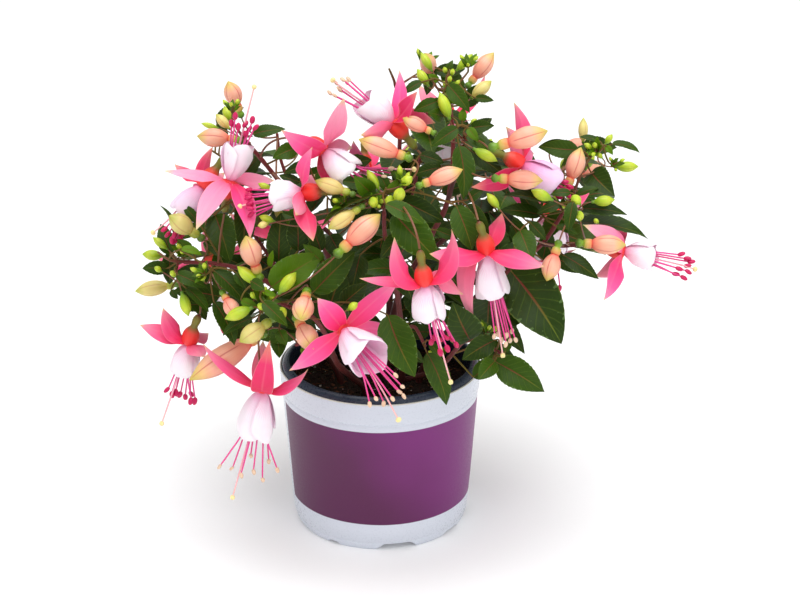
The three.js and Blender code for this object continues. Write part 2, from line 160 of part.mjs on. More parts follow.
  [215,"leafy_stem_front",9,8,0,13.3,0,[3.5,-72.6,212.5],[5.6,-78.3,208.3],[9.2,-86.2,201.5],[13.9,-93.1,193],[18.7,-94.4,182.1],[0,-0.921,0.391],0],
  [216,"leafy_stem_front",9,7,0.57,13.4,0,[4.8,-68.2,205.4],[17.8,-73.6,204.3],[34.3,-84.1,200.7],[39.8,-92.5,196.6],[46.5,-96.7,189.1],[-0.207,-0.765,0.61],0],
  [217,"leafy_stem_right",144,1,0.85,14.5,0,[74.7,-80.7,195.3],[77.8,-82.6,187.8],[79.1,-87.3,179.1],[73.3,-96.5,174.8],[66.3,-101.3,166.8],[0.217,-0.749,0.626],0],
  [218,"leafy_stem_centre",4,2,0.6,10.2,0,[47.2,-49.5,257.9],0,[51.2,-54.3,256.2],[61.2,-59.9,251],[70.7,-60,242.8],[0.064,-0.882,0.468],0],
  [219,"leafy_stem_centre",4,1,0.4,11.2,0,[43.6,-45.4,239.6],[37.1,-55.1,236.1],[28.7,-69,228.9],[25.5,-75.9,222.8],[22,-78.6,214.2],[0.059,-0.849,0.526],0],
  [243,"leafy_stem_back",13,4,0.46,18.1,1,[-43.2,67.2,169],0,[-48.2,62.9,166.9],[-61.2,52.5,161.6],[-70.4,44,149.3],[-0.478,-0.23,0.848],0],
  [245,"leafy_stem_back",12,5,0.99,19.7,1,[10.5,68.3,187.5],0,[9.8,62.8,191.3],[6,46.6,201.4],[5.2,27.2,203.6],[-0.338,0.347,0.875],0],
  [246,"leafy_stem_right",19,3,0,13.6,1,[73.4,13,159.4],0,[81.9,9.4,156.7],[94.8,2.6,154],[106.3,-0.8,145.4],[0.191,-0.488,0.852],0],
  [247,"leafy_stem_right",19,3,0,12.9,1,[73.4,13,159.4],0,[68.5,16.6,165.1],[60.3,23.9,173.6],[48.7,31.3,176.5],[0.493,-0.013,0.87],0],
  [248,"leafy_stem_left",16,3,0.41,15.1,1,[-67.5,14.8,165.2],0,[-74.2,13.1,163],[-88.5,10.8,158.6],[-99,6.7,148.5],[-0.535,0.253,0.806],0],
  [250,"leafy_stem_centre",3,2,0,12.8,1,[5,6.1,110.8],0,[10.9,11.6,113.2],[19.6,21.8,117.3],[30.8,30.2,115.6],[-0.372,0.281,0.885],0],
  [251,"leafy_stem_centre",18,6,0.84,15.2,1,[27.7,32.3,247.4],0,[28.5,26.7,248.3],[31.5,10.1,250],[33.2,-5.7,243.9],[0.163,-0.108,0.981],0],
  [252,"leafy_stem_upper_left",17,3,0.43,14,1,[-45.7,35.4,178.7],0,[-42.2,32.2,185.8],[-36.7,28,199.2],[-28.1,19.4,208.2],[-0.445,0.628,0.638],0],
  [254,"leafy_stem_back",15,0,0.44,13.1,1,[6.7,48.6,132.1],0,[12.6,51.7,127.8],[23.8,57,120.5],[30.5,61.1,108.4],[0.677,0.184,0.713],0],
  [257,"leafy_stem_back",14,0,0.47,16.8,1,[10.8,45.6,133.7],0,[13.1,53,130.2],[16.9,68.5,124.9],[21.4,79.7,113],[-0.086,0.558,0.826],0],
  [259,"leafy_stem_back",12,6,0.66,20,1,[11.2,70.9,201.3],0,[16.7,74.5,201.8],[34.2,88.3,202.9],[52.7,97.8,194.5],[-0.088,0.416,0.905],0],
  [262,"leafy_stem_centre",18,2,0,19.1,1,[14.6,16.1,170.2],0,[11.1,12.4,173.8],[-1.1,1.7,186],[-13.5,-13.8,189.9],[0.025,0.506,0.862],0],
  [263,"leafy_stem_back",13,6,0,15.9,1,[-61.8,69.6,182.9],0,[-68.4,63.4,179.8],[-81.4,52.4,174.6],[-90.2,42.9,162.3],[-0.499,-0.188,0.846],0],
  [265,"leafy_stem_centre",18,1,0.83,17.7,1,[14.2,14.9,167.6],0,[16.8,23.5,165.9],[22.4,40.2,162.2],[26.1,53.7,150.9],[0.226,0.375,0.899],0],
  [266,"leafy_stem_left",16,2,0.41,13.9,1,[-58.5,6.8,152.9],0,[-53.9,5.2,159.3],[-45.4,1,170.8],[-32.4,-2.1,177.2],[-0.663,-0.166,0.73],0],
  [267,"green_shoot_back_left",34,0,0.57,11.8,1,[-80.4,70.2,196.3],0,[-84,66.3,194.9],[-93.1,57.7,191.2],[-99.1,50.4,182.3],[-0.482,-0.217,0.849],0],
  [269,"leafy_stem_upper_left",17,4,0.43,14.3,1,[-51.9,40.5,192.8],0,[-61.6,40.3,191],[-76.3,39.7,189.3],[-88.7,39.6,181.2],[-0.338,-0.064,0.939],0],
  [270,"green_shoot_back_right",37,0,0,9.7,1,[88.8,65.6,187.7],0,[89.7,64.8,196.4],[91.8,65.8,205.5],[92,62.9,214.4],[0.434,0.9,0.044],0],
  [272,"leafy_stem_back",13,3,0.92,16.6,1,[-36.8,65.5,164.1],0,[-45.2,65.2,160.2],[-60.9,64.7,155.1],[-72.5,64.3,143.4],[-0.525,-0.011,0.851],0],
  [273,"leafy_stem_centre",18,1,0.41,12.7,1,[13.3,12,161.3],0,[7,8.4,166.2],[-3.4,1,172.5],[-16.4,-5,172.7],[0.378,-0.222,0.899],0],
  [275,"leafy_stem_back",14,3,0.47,19.6,1,[42.5,66.2,157.5],0,[48.5,61.1,156.6],[63.4,47.6,154.1],[76.7,37.2,142.7],[0.182,-0.323,0.929],0],
  [276,"leafy_stem_centre",18,2,0.42,18.5,1,[15.6,18.6,176.6],0,[23.4,18.9,177.6],[44.4,18.8,182.2],[65.2,20.3,176.8],[0.024,-0.158,0.987],0],
  [277,"leafy_stem_centre",18,1,0,17,1,[12.3,9.1,155],0,[13.9,14.8,153.6],[18,33,149.3],[22.8,46.9,137.2],[-0.079,0.47,0.879],0],
  [278,"leafy_stem_right",19,4,0.84,21,1,[93.1,26.4,178.9],0,[98.7,23,179.1],[116.4,10,179.5],[134.6,1.5,170.7],[-0.049,-0.432,0.901],0],
  [279,"leafy_stem_upper_left",17,4,0,18.4,1,[-49.3,38.6,186.6],0,[-47.9,46.4,188.3],[-42.6,66.3,190.8],[-40.9,85.9,184.3],[0.382,0.026,0.924],0],
  [280,"leafy_stem_upper_left",17,5,0.43,17.6,1,[-57.6,44.5,207.6],0,[-66.6,45.4,206.2],[-84.4,48.2,202.8],[-99.1,48.7,191.8],[-0.368,0.264,0.892],0],
  [281,"leafy_stem_back",14,5,0.94,20.3,1,[72.7,68,177.6],0,[75.3,64.2,174.8],[86.6,50.5,165],[92,39.8,148.6],[0.631,-0.326,0.704],0],
  [282,"leafy_stem_left",16,5,0.41,15.8,1,[-87,31.1,188.6],0,[-87,27.7,192.9],[-85.8,19.2,205.7],[-87.4,6.1,213.8],[0.392,0.637,0.664],0],
  [283,"leafy_stem_back",12,5,0.66,16.5,1,[10,65.9,180.9],0,[13.5,59.1,187.3],[19.1,46.3,199.4],[28,30.8,204],[-0.387,0.315,0.867],0],
  [284,"leafy_stem_left",16,5,0.81,17.6,1,[-91.1,34.4,193.3],0,[-88.5,32.9,198.9],[-80,30.6,216.5],[-67.9,21.6,229],[-0.393,0.739,0.548],0],
  [286,"green_shoot_back_left",35,1,0,12,1,[-81.3,77,197],0,[-87.8,78.2,191.2],[-97.8,80.8,183.8],[-103.9,81,172.6],[-0.656,0.414,0.631],0],
  [287,"leafy_stem_left",16,3,0.81,16.3,1,[-71.3,18.1,170],0,[-70.8,24.8,169.6],[-71.4,41.6,167.4],[-68.6,55.8,158.6],[-0.418,0.33,0.846],0],
  [288,"leafy_stem_right",19,2,0,17.9,1,[62.9,5.5,148.9],0,[69.9,2.9,147.4],[87.9,-2.1,144.1],[101.9,-8.7,133.1],[0.453,0.171,0.875],0],
  [289,"green_shoot_back_left",35,0,0.79,10,1,[-80.3,75.5,196.4],0,[-77.9,79.9,194.8],[-72.4,88.2,191.8],[-69.4,95.3,184.7],[0.528,0.243,0.814],0],
  [290,"leafy_stem_back",15,0,0.87,18.5,1,[7.4,55.3,134.2],0,[12.3,57.2,133.3],[29.4,64.1,130.6],[43.6,69.4,119.9],[0.322,0.19,0.928],0],
  [291,"leafy_stem_back",12,5,0.33,17.5,1,[9.6,63.5,174.4],0,[4.2,64.3,176.4],[-11.6,65.1,183.9],[-28.7,69,183.9],[0.158,-0.366,0.917],0],
  [292,"leafy_stem_back",14,6,0.47,22.3,1,[79.4,67,181.8],0,[78.3,60.5,185.4],[77.3,39.7,193.5],[71.4,18.3,192.4],[0.471,0.067,0.88],0],
  [293,"leafy_stem_back",14,5,0.47,19.5,1,[66.8,68.6,173.8],0,[68.3,61.2,174.6],[71.1,42,176.7],[75.2,24.1,169.9],[-0.137,-0.15,0.979],0],
  [294,"leafy_stem_back",14,5,0,15,1,[61,69.3,170],0,[61,65.7,173.5],[62.3,53.7,186.1],[60.7,37.5,192.4],[0.361,0.517,0.776],0],
  [295,"leafy_stem_back",14,1,0.94,13.3,1,[25.8,56.7,145.1],0,[23.9,59.1,151.7],[21.5,63.4,166.3],[14.1,71.6,177.2],[0.681,-0.518,0.518],0],
  [296,"leafy_stem_centre",18,6,0.42,20.9,1,[27,33.3,240.5],0,[27.7,23.6,242.2],[29.2,2.7,246.1],[30.9,-17.7,240.1],[-0.02,-0.052,0.998],0],
  [297,"leafy_stem_back",14,4,0,14.3,1,[48.6,68.6,161.8],0,[52.9,76.2,160.7],[60.9,88.1,159.5],[66,99.5,152.3],[0.431,0.081,0.899],0],
  [298,"green_shoot_back_right",36,1,0,9,1,[98.1,65.1,193.2],0,[102.7,69.2,190.3],[108.4,74.9,187],[112.9,78.4,180.5],[0.308,0.515,0.8],0],
  [299,"leafy_stem_back",12,2,0.99,20.5,1,[6,42,130.1],0,[0.8,45.8,131.3],[-17.9,58.2,133.3],[-34.1,71.4,125.1],[-0.23,-0.08,0.97],0],
  [301,"leafy_stem_right",19,6,0.42,15.5,1,[109.9,35.6,196.9],0,[105.8,37.4,202.2],[95.3,42.7,213.3],[80.8,48.1,217.9],[0.529,-0.003,0.848],0],
  [302,"leafy_stem_back",13,5,0.92,18.7,1,[-60.8,69.5,182.2],0,[-61.9,64.1,186.7],[-64,47.8,198],[-68.7,28.5,200.9],[0.273,0.311,0.91],0],
  [303,"leafy_stem_back",15,1,0.87,14.9,1,[9.1,70.6,138.5],0,[15.6,71,141.6],[28.5,73.1,147.4],[42.9,72.3,147.4],[-0.208,0.423,0.882],0],
  [305,"leafy_stem_upper_left",17,3,0,19.8,1,[-42.9,32.9,172.8],0,[-39.1,29.7,179],[-25.9,19.8,193.7],[-10.1,5.3,199.5],[-0.234,0.447,0.863],0],
  [307,"leafy_stem_back",12,2,0,12.2,1,[4.9,33.5,110.9],0,[14,34.4,113.1],[27.4,36.5,115.4],[40.6,37.1,111.5],[0.032,0.236,0.971],0],
  [308,"leafy_stem_centre",18,3,0,15.3,1,[17.1,22.2,185.6],0,[15.8,28.5,185.4],[14,44.7,184.4],[9.6,58.3,176.8],[0.336,0.326,0.884],0],
  [309,"leafy_stem_back",13,2,0.46,15.9,1,[-20.6,57.6,151.3],0,[-23.9,60.2,148.5],[-33.9,69.9,141.7],[-42.7,74.7,129.8],[-0.171,0.688,0.705],0],
  [310,"leafy_stem_right",19,2,0.42,14.8,1,[67.3,8.7,153.3],0,[62.5,12.5,159.7],[56.1,18.4,171.3],[45.5,26,177.8],[0.605,-0.25,0.756],0],
  [311,"leafy_stem_back",13,1,0.46,15,1,[-9.7,51.3,142.6],0,[-10.8,48.5,149.6],[-14.2,42.9,162.9],[-17,31.6,172.1],[-0.101,0.808,0.58],0],
  [312,"leafy_stem_left",16,2,0.41,22.4,1,[-58.5,6.8,152.9],0,[-61.9,9.9,150.9],[-78.6,23.3,144.4],[-89.7,35.3,129.2],[-0.536,0.127,0.835],0],
  [313,"leafy_stem_centre",18,1,0.41,17.2,1,[13.3,12,161.3],0,[19.3,15.4,161],[37.2,23.1,159.4],[51.1,33,149.9],[0.438,-0.243,0.865],0],
  [314,"leafy_stem_right",19,5,0.84,14.5,1,[103.8,32.9,189.9],0,[101.4,36,194],[94.4,45.1,205.7],[85.1,57.6,211],[0.301,-0.442,0.845],0],
  [315,"leafy_stem_back",14,4,0.94,18.1,1,[60.3,69.3,169.5],0,[64.4,67.3,166.2],[79.2,61.9,156.8],[87.7,56.5,141.4],[0.73,0.003,0.683],0],
  [316,"leafy_stem_back",12,7,0,16,1,[11.5,72.3,208.4],0,[10.2,65.7,210.3],[6.7,47.9,214.6],[3.4,30,210.1],[-0.031,0.002,1],0],
  [318,"leafy_stem_left",16,4,0.4,11.7,1,[-77.1,22.9,177],0,[-71.5,23,184.9],[-64.8,23.8,196.6],[-53.6,23.3,204.1],[-0.72,0.203,0.664],0],
  [319,"green_shoot_back_right",37,0,0.68,7.3,1,[91.9,71.2,190.6],0,[86.2,74.6,195.1],[80.2,77.6,198.1],[74.1,81.7,197.9],[0.038,-0.314,0.949],0],
  [321,"leafy_stem_centre",18,5,0.83,20.8,1,[25.8,33.7,230.9],0,[26.1,28,233.2],[25,8.7,238.4],[28.4,-10.8,235.4],[-0.479,0.021,0.878],0],
  [322,"leafy_stem_back",15,3,0,17.8,1,[11.5,88.3,140.1],0,[16.4,89.6,133],[29,94.4,118],[34.7,94.6,98.6],[0.739,0.488,0.464],0],
  [323,"leafy_stem_centre",18,4,0.83,15.8,1,[22.7,30.4,214.7],0,[29.2,31,215.9],[44.4,33.4,217.3],[58.9,33.8,211.8],[0.107,0.266,0.958],0],
  [324,"leafy_stem_back",14,2,0.47,22.5,1,[31.4,60.4,149.3],0,[34.5,67.6,144],[41.6,85,132],[46.4,95.3,112.8],[0.227,0.684,0.694],0],
  [326,"leafy_stem_back",14,1,0,18.4,1,[16.2,49.6,137.8],0,[23.4,46.8,136.2],[40.1,40.8,132.5],[53.3,35.4,121.1],[0.424,-0.08,0.902],0],
  [327,"leafy_stem_upper_left",17,3,0.86,16.5,1,[-48.4,37.8,184.7],0,[-43.5,37.9,190.8],[-34,38,203.4],[-19.8,38.3,210.3],[-0.633,-0.029,0.774],0],
  [328,"leafy_stem_upper_left",2,2,0.34,17.4,1,[-18.3,12.9,118.2],0,[-16.9,17.9,120.6],[-14.4,34.7,127.8],[-7.8,52,127.4],[-0.463,-0.052,0.885],0],
  [329,"green_shoot_back_left",34,1,0,12.2,1,[-84.8,70.3,199.3],0,[-90.1,63.2,194.9],[-97.1,54.8,189.9],[-101.2,48.4,180.6],[-0.53,-0.352,0.771],0],
  [330,"leafy_stem_back",15,1,0.44,16.8,1,[8.3,63.9,136.6],0,[8,65,142.4],[8.4,67.1,159.1],[4.4,75.2,173.3],[0.553,-0.769,0.319],0],
  [332,"leafy_stem_centre",3,6,0.68,16.6,1,[28.8,-31.1,193.3],0,[28.1,-26.5,198.9],[27.9,-16.6,211.9],[24.6,-2.5,219.3],[0.398,-0.56,0.727],0],
  [334,"leafy_stem_right",5,4,0.69,22,1,[55,-26.4,151.2],0,[49.9,-24.1,158.3],[40.3,-18.1,176],[23.5,-12.4,187.2],[0.743,0.022,0.669],0],
  [335,"leafy_stem_front_left",7,5,0,15.5,1,[-31,-69.5,151],0,[-35.8,-68,152.5],[-51.3,-64.8,157.2],[-66.3,-58.4,154.8],[-0.062,-0.414,0.908],0],
  [336,"leafy_stem_left",16,2,0,21.2,1,[-54.9,3.6,147.8],0,[-61.1,8.1,142.8],[-74.8,19.3,132.2],[-84.2,25.1,114.8],[-0.442,0.557,0.703],0],
  [337,"leafy_stem_front",9,4,0,14.6,1,[12.8,-40.9,141.7],0,[16.9,-39,143.8],[29.1,-31.9,151.6],[44.1,-26.3,152.6],[-0.385,0.198,0.901],0],
  [338,"leafy_stem_right",19,0,0.42,15,1,[46.4,-6.7,132.4],0,[51.2,-11.8,136.1],[60.8,-20.8,144.9],[71.2,-32.6,146.9],[-0.118,0.365,0.924],0],
  [339,"leafy_stem_centre",18,3,0.42,19.2,1,[18.3,24.2,192.2],0,[21,29.6,191.3],[30.1,45.9,189.4],[36.2,60.6,179.4],[0.348,0.18,0.92],0],
  [341,"green_shoot_right",27,0,0.6,8.4,1,[107.5,-51.7,223.7],0,[101.3,-47.5,229.2],[95.1,-43.6,232.9],[88.4,-38.8,232.9],[0.119,-0.232,0.965],0],
  [343,"leafy_stem_centre",4,1,0.44,15.8,1,[43.7,-45.6,240.1],0,[48.7,-46.1,240.9],[65.3,-47.2,243.8],[81.3,-49.8,238.9],[0.082,0.189,0.979],0],
  [344,"leafy_stem_right",5,5,0.69,20.2,1,[64.5,-36.6,165.9],0,[63.8,-45.6,165],[61.1,-65.3,162],[61.3,-81.9,150.6],[-0.312,-0.332,0.89],0],
  [345,"leafy_stem_right",5,5,0.69,19.5,1,[64.5,-36.6,165.9],0,[69.1,-30.3,170.8],[78,-16.8,181.8],[90,-1.6,184.3],[-0.332,-0.19,0.924],0],
  [346,"leafy_stem_left",16,1,0.4,22.6,1,[-49.8,-1,140.1],0,[-53.3,2.1,138.3],[-70,15.8,131.7],[-81.3,27.7,116.3],[-0.506,0.176,0.845],0],
  [347,"leafy_stem_centre",3,4,0.34,14.4,1,[14.5,-6.5,155],0,[18.2,-12,151.6],[24.5,-23,146],[30.2,-29.9,135.4],[0.099,-0.633,0.768],0],
  [349,"leafy_stem_right",19,2,0.84,19.3,1,[71.7,11.8,157.7],0,[70.8,10.3,163.6],[70.8,6.3,183.1],[63.1,-1.8,199.5],[0.829,0.453,0.328],0],
  [350,"leafy_stem_right",19,2,0.84,18.2,1,[71.7,11.8,157.7],0,[75,14.9,153.8],[85.1,24.7,143.3],[90.9,29.9,127.7],[0.516,0.571,0.638],0],
  [351,"leafy_stem_upper_left",17,2,0.86,12.7,1,[-41.9,31.9,170.9],0,[-38.6,37.4,172.4],[-32.5,49.4,176.6],[-24.5,61,174.4],[-0.265,0.078,0.961],0],
  [352,"leafy_stem_centre",3,5,0,14.5,1,[18.2,-13.8,165.7],0,[12.3,-16.7,167.7],[1.2,-23.8,172.7],[-11.9,-28.9,171.8],[0.306,-0.307,0.901],0],
  [353,"leafy_stem_centre",3,5,0,11.8,1,[18.2,-13.8,165.7],0,[25.6,-13.8,166.4],[39.1,-15.1,167],[51.5,-13.9,161.8],[0.161,-0.388,0.907],0],
  [355,"leafy_stem_centre",18,6,0,22.4,1,[26.3,34.2,233.6],0,[30.6,31.8,234.4],[48.4,20.3,238.9],[67.2,11.2,233.6],[-0.11,-0.229,0.967],0],
  [356,"leafy_stem_front",9,6,0.36,13.6,1,[8.2,-57.1,184.8],0,[11,-52,189.1],[18.3,-41.8,198],[24.3,-27.9,200.9],[0.176,-0.508,0.843],0],
  [357,"leafy_stem_front",9,6,0.36,15.1,1,[8.2,-57.1,184.8],0,[5.9,-62,184.2],[-0.9,-75.4,183.7],[-6.1,-87.4,176.4],[-0.214,-0.193,0.958],0],
  [358,"leafy_stem_back",14,6,0.4,16.6,1,[78.5,67.1,181.3],[84.3,67.3,173.3],[93.1,70.7,163.8],[103.7,83,158.3],[111.5,91.4,145.5],[0.334,0.439,0.834],0],
  [359,"leafy_stem_back",13,5,0.8,19.8,1,[-59.4,69.4,181.1],[-65.2,69.8,175],[-74.5,71.8,167.2],[-90.2,79.3,159.2],[-102.2,81.3,144.3],[-0.392,0.579,0.715],0],
  [360,"leafy_stem_back",14,3,0.2,19.9,1,[39.4,64.9,155.2],[36.3,74.9,151.6],[31.5,89.5,145.9],[25.4,105.9,138.6],[16.4,115.7,125.1],[0.299,0.694,0.655],0],
  [361,"leafy_stem_back",15,2,0.6,15.6,1,[10.6,82,139.7],[-3.1,83.5,139.8],[-20,90.6,138.8],[-27.9,104.6,135.8],[-36.9,114.2,126],[0.129,0.542,0.831],0],
  [362,"leafy_stem_back",13,5,0.6,14.6,1,[-56.9,69.2,179.3],0,[-60.1,74.2,174.4],[-67.2,86.1,170.1],[-71.6,95.1,159.6],[-0.36,0.399,0.843],0],
  [363,"leafy_stem_back",14,5,0.8,14.3,1,[71,68.2,176.5],[69.6,72.4,182.3],[68.6,79.5,186.8],[70.7,93.8,180.6],[70.1,103.7,168.4],[0.34,0.554,0.759],0],
  [364,"leafy_stem_back",12,7,0.14,15.6,1,[11.6,72.6,211.4],[25.1,74.8,210.2],[39.5,82.9,208.7],[42.2,99,208.1],[44.2,112.8,199.7],[0.089,0.276,0.957],0],
  [365,"leafy_stem_right",19,6,0.33,14.5,1,[109,35.3,195.8],[108.7,44,194.1],[110.9,56.2,191.7],[120.1,69.5,189.2],[125.7,81.4,179.5],[0.441,0.169,0.881],0],
  [366,"leafy_stem_back",13,3,0.2,17.2,1,[-28.7,61.8,157.7],[-22.7,73,158.6],[-18.2,89.5,157.3],[-23.4,106.6,149.9],[-27.2,118,134.8],[-0.144,0.586,0.797],0],
  [367,"leafy_stem_back",13,6,0.2,13,1,[-64.2,69.7,184.7],0,[-59.8,75.2,180.1],[-68.5,86.3,175.4],[-75,94,164.4],[-0.311,0.448,0.838],0],
  [368,"leafy_stem_left",16,4,0.5,14,1,[-78,23.7,178.2],[-87.8,26.3,169.3],[-103.9,27.4,160],[-117.5,24.3,159.3],[-128.2,17.3,153.4],[-0.423,0.541,0.727],0],
  [369,"leafy_stem_upper_left",17,5,0.6,15.9,1,[-58.5,45,210.1],[-53.9,56.7,209.5],[-51.4,73.9,208.1],[-56.9,87.6,206.2],[-60.3,99.3,197.5],[-0.29,0.281,0.915],0],
  [370,"leafy_stem_back",13,3,0.8,14.6,1,[-35.5,64.9,163],[-36,73.1,157.9],[-37.1,85.7,150.4],[-38.3,98.4,143.5],[-36.6,106.6,131.7],[-0.396,0.617,0.681],0],
  [371,"leafy_stem_back",14,4,0.2,13.7,1,[51.1,68.7,163.4],[51,77.3,164.5],[53.2,89.3,164.9],[62.1,102.1,162.6],[71.7,110.7,153.6],[-0.085,0.523,0.848],0],
  [372,"leafy_stem_back",13,4,0.6,19.5,1,[-44.8,67.6,170.3],[-46.4,73.3,167.1],[-50.5,80.9,162.7],[-65.8,92.5,155],[-78.8,97.3,139.7],[-0.222,0.644,0.732],0],
  [373,"leafy_stem_back",15,2,0.4,20.3,1,[10.2,78.9,139.4],[13.3,82.5,148.9],[14.4,89.7,157.5],[4.3,108,153.4],[-8.8,119.7,141.5],[0.29,0.615,0.733],0],
  [374,"green_shoot_back_right",36,0,0.75,21.1,1,[95.2,65.3,191.5],[100.1,64.9,185.3],[108.2,65.7,177.7],[126.1,72.8,170.3],[139.9,74.5,155.1],[0.394,0.523,0.756],0],
  [375,"leafy_stem_back",15,2,0.2,13.8,1,[9.7,75.7,139.2],[6.2,79.8,135.9],[1.2,86.4,131.4],[-5,97.9,126.2],[-12.5,104.3,116.3],[0.178,0.711,0.68],0],
  [376,"green_shoot_back_right",36,1,0.25,14,1,[100.9,64.4,195],0,[98.4,69.7,192.2],[110.1,80.4,189.8],[119.9,88.4,180],[0.224,0.341,0.913],0],
  [377,"leafy_stem_back",14,3,0.6,18.6,1,[44,66.8,158.5],[47.3,74.1,150.3],[53.7,85.9,140.4],[64.9,102.2,134.6],[76.5,112,120.7],[-0.039,0.625,0.78],0],
  [378,"leafy_stem_back",13,4,0.8,18.4,1,[-47.2,68.1,172.1],[-50,68.3,180.6],[-53.4,71.8,188.1],[-56.6,88.4,183.2],[-55.9,101.3,171.2],[-0.437,0.421,0.795],0],
  [379,"leafy_stem_back",13,4,0.2,20.7,1,[-40.1,66.5,166.6],[-44.8,69.5,161.8],[-50.8,75.1,154.7],[-58.1,89.7,142],[-60.9,97.4,122.9],[-0.445,0.66,0.605],0],
  [380,"leafy_stem_back",12,6,0.14,18.9,1,[10.6,68.9,190.6],[7.2,76.7,190],[2.7,88.4,188.3],[-2.4,107.8,183.1],[-7.6,121.9,168.8],[0.011,0.505,0.863],0],
  [382,"leafy_stem_back",13,6,0.4,21.2,1,[-66.7,69.8,186.5],[-69.5,67.1,182.1],[-74.8,65.5,177.1],[-95.1,73.7,172.2],[-112.4,76,158],[-0.266,0.519,0.812],0],
  [383,"leafy_stem_back",361,1,0.5,16.3,1,[-11.5,87.1,139.3],0,[-10.8,90,148],[-13.7,105.2,146.3],[-15.7,117.6,137.3],[-0.103,0.344,0.933],0],
  [384,"leafy_stem_back",12,6,0.43,14.8,1,[10.9,70,196.5],[4.1,78.4,193.1],[-3.6,92,190.2],[-5.6,106,191.5],[-7.5,118.9,185.8],[-0.025,0.161,0.987],0],
  [385,"leafy_stem_right",19,5,0.67,17.5,1,[101.9,31.8,188],[110.7,35.4,179.3],[124.4,42.3,168.3],[137.5,50.6,162.4],[146.2,56.9,149.7],[0.532,0.238,0.812],0],
  [386,"leafy_stem_back",361,0,0.6,18.8,1,[2.4,82.9,139.8],0,[-2.5,88.3,148.3],[-2,107.6,143.8],[0.8,122.3,130.8],[-0.228,0.465,0.856],0],
  [387,"leafy_stem_back",373,1,0.85,16.9,1,[14.2,88.6,156.2],[13.9,90.7,162.9],[12.1,95.2,168.9],[4.2,108.5,164.4],[-5.2,116.4,153.9],[0.173,0.659,0.732],0],
  [388,"leafy_stem_back",14,5,0.4,14.8,1,[66,68.7,173.2],[59.2,75.1,181.5],[55.9,85,189.3],[67.4,96.4,187.3],[79.1,103.4,178.5],[-0.034,0.535,0.844],0],
  [390,"leafy_stem_back",373,1,0.5,15.9,1,[13.9,86.1,153.2],[16.2,88.7,162.1],[16.9,94.5,169.8],[10,110.2,164.9],[1.4,120.3,153.1],[0.188,0.61,0.769],0],
  [391,"leafy_stem_back",14,3,0.8,21.2,1,[46.3,67.7,160.2],[40.8,76.8,165.9],[34,91.3,170],[29.3,111,163.8],[21.9,124.7,149.2],[0.251,0.575,0.779],0],
  [394,"leafy_stem_left",16,5,0.5,13.9,1,[-87.9,31.9,189.7],[-89.8,35.7,184.6],[-93.9,41.7,178.5],[-103.7,51.2,174.8],[-109.6,59.6,165.2],[-0.543,0.14,0.828],0],
  [395,"leafy_stem_back",388,1,0.85,22.3,1,[56.4,83.5,188.1],[48.5,86.3,187.9],[39.9,92.6,186.6],[35.8,113.3,179.6],[29.3,127.4,163.8],[0.22,0.58,0.785],0],
  [397,"leafy_stem_back",387,1,0.5,12.9,1,[13,93,165.9],0,[13.5,94.3,163.4],[10.8,107.1,158.3],[7.5,115.6,147.7],[0.082,0.608,0.79],0],
  [398,"leafy_stem_back",15,3,0.2,15.1,1,[12,91.4,139.7],[6.6,91,136.8],[0,93,132.8],[-6.8,107.2,126.4],[-14.8,115.6,114],[0.141,0.686,0.713],0],
  [399,"leafy_stem_back",388,1,0.5,20.6,1,[57.6,80.1,185.4],0,[65.1,88,183.1],[58.8,107.2,173.3],[49,118.3,156.4],[0.314,0.717,0.622],0],
  [400,"leafy_stem_left",16,5,0.33,14.4,1,[-86.3,30.5,187.8],[-86.4,34.8,193.5],[-88.7,40,197.9],[-100.1,44.5,191.5],[-107.3,46.8,180],[-0.596,0.32,0.737],0],
  [401,"leafy_stem_back",12,6,0.57,20.5,1,[11.1,70.6,199.5],[13.6,77.5,198.6],[17.8,87.5,197.1],[28.7,106.8,193.3],[41.2,120,180.1],[-0.142,0.538,0.831],0],
  [403,"leafy_stem_right",19,6,0.5,13.4,1,[110.8,36,197.9],[114.3,39.5,193.4],[120.8,42.8,188.2],[134.4,42.2,184.9],[144.6,38.6,176.2],[0.466,0.422,0.778],0],
  [404,"leafy_stem_right",19,6,0.67,15.7,1,[112.5,36.6,199.9],[110.9,37.3,208],[111.9,39.8,215.8],[126.7,49.9,214.4],[138.7,58.8,204.5],[0.309,0.128,0.943],0],
  [405,"leafy_stem_back",14,5,0.6,17.7,1,[68.5,68.5,174.9],[72.1,71.2,168.6],[77,77,161.2],[83.5,92.7,155.6],[86.7,104.4,142.5],[0.355,0.439,0.826],0],
  [406,"leafy_stem_right",19,6,0.83,14.3,1,[114.3,37.3,202],[118.3,31.9,200.1],[124.4,28.2,198.1],[135.1,37.2,197.3],[142.6,46.4,190.2],[0.439,-0.048,0.897],0],
  [407,"leafy_stem_back",14,6,0.88,21.2,1,[84.5,66.2,185.1],[88,68.5,180.4],[93.6,72.8,174.7],[107.4,86.5,168.4],[118.1,95.5,153.5],[0.298,0.459,0.837],0],
  [408,"leafy_stem_back",373,1,0.85,16.3,1,[14.2,88.6,156.2],0,[9.8,90.4,154.3],[5.2,105.7,151],[-0.8,117,140.7],[0.185,0.504,0.844],0],
  [409,"leafy_stem_back",364,1,0.85,17.3,1,[37.3,81.7,208.9],0,[35.5,81.5,212.8],[43.5,98.1,212.8],[52.3,111.8,204.1],[-0.085,0.315,0.945],0],
];
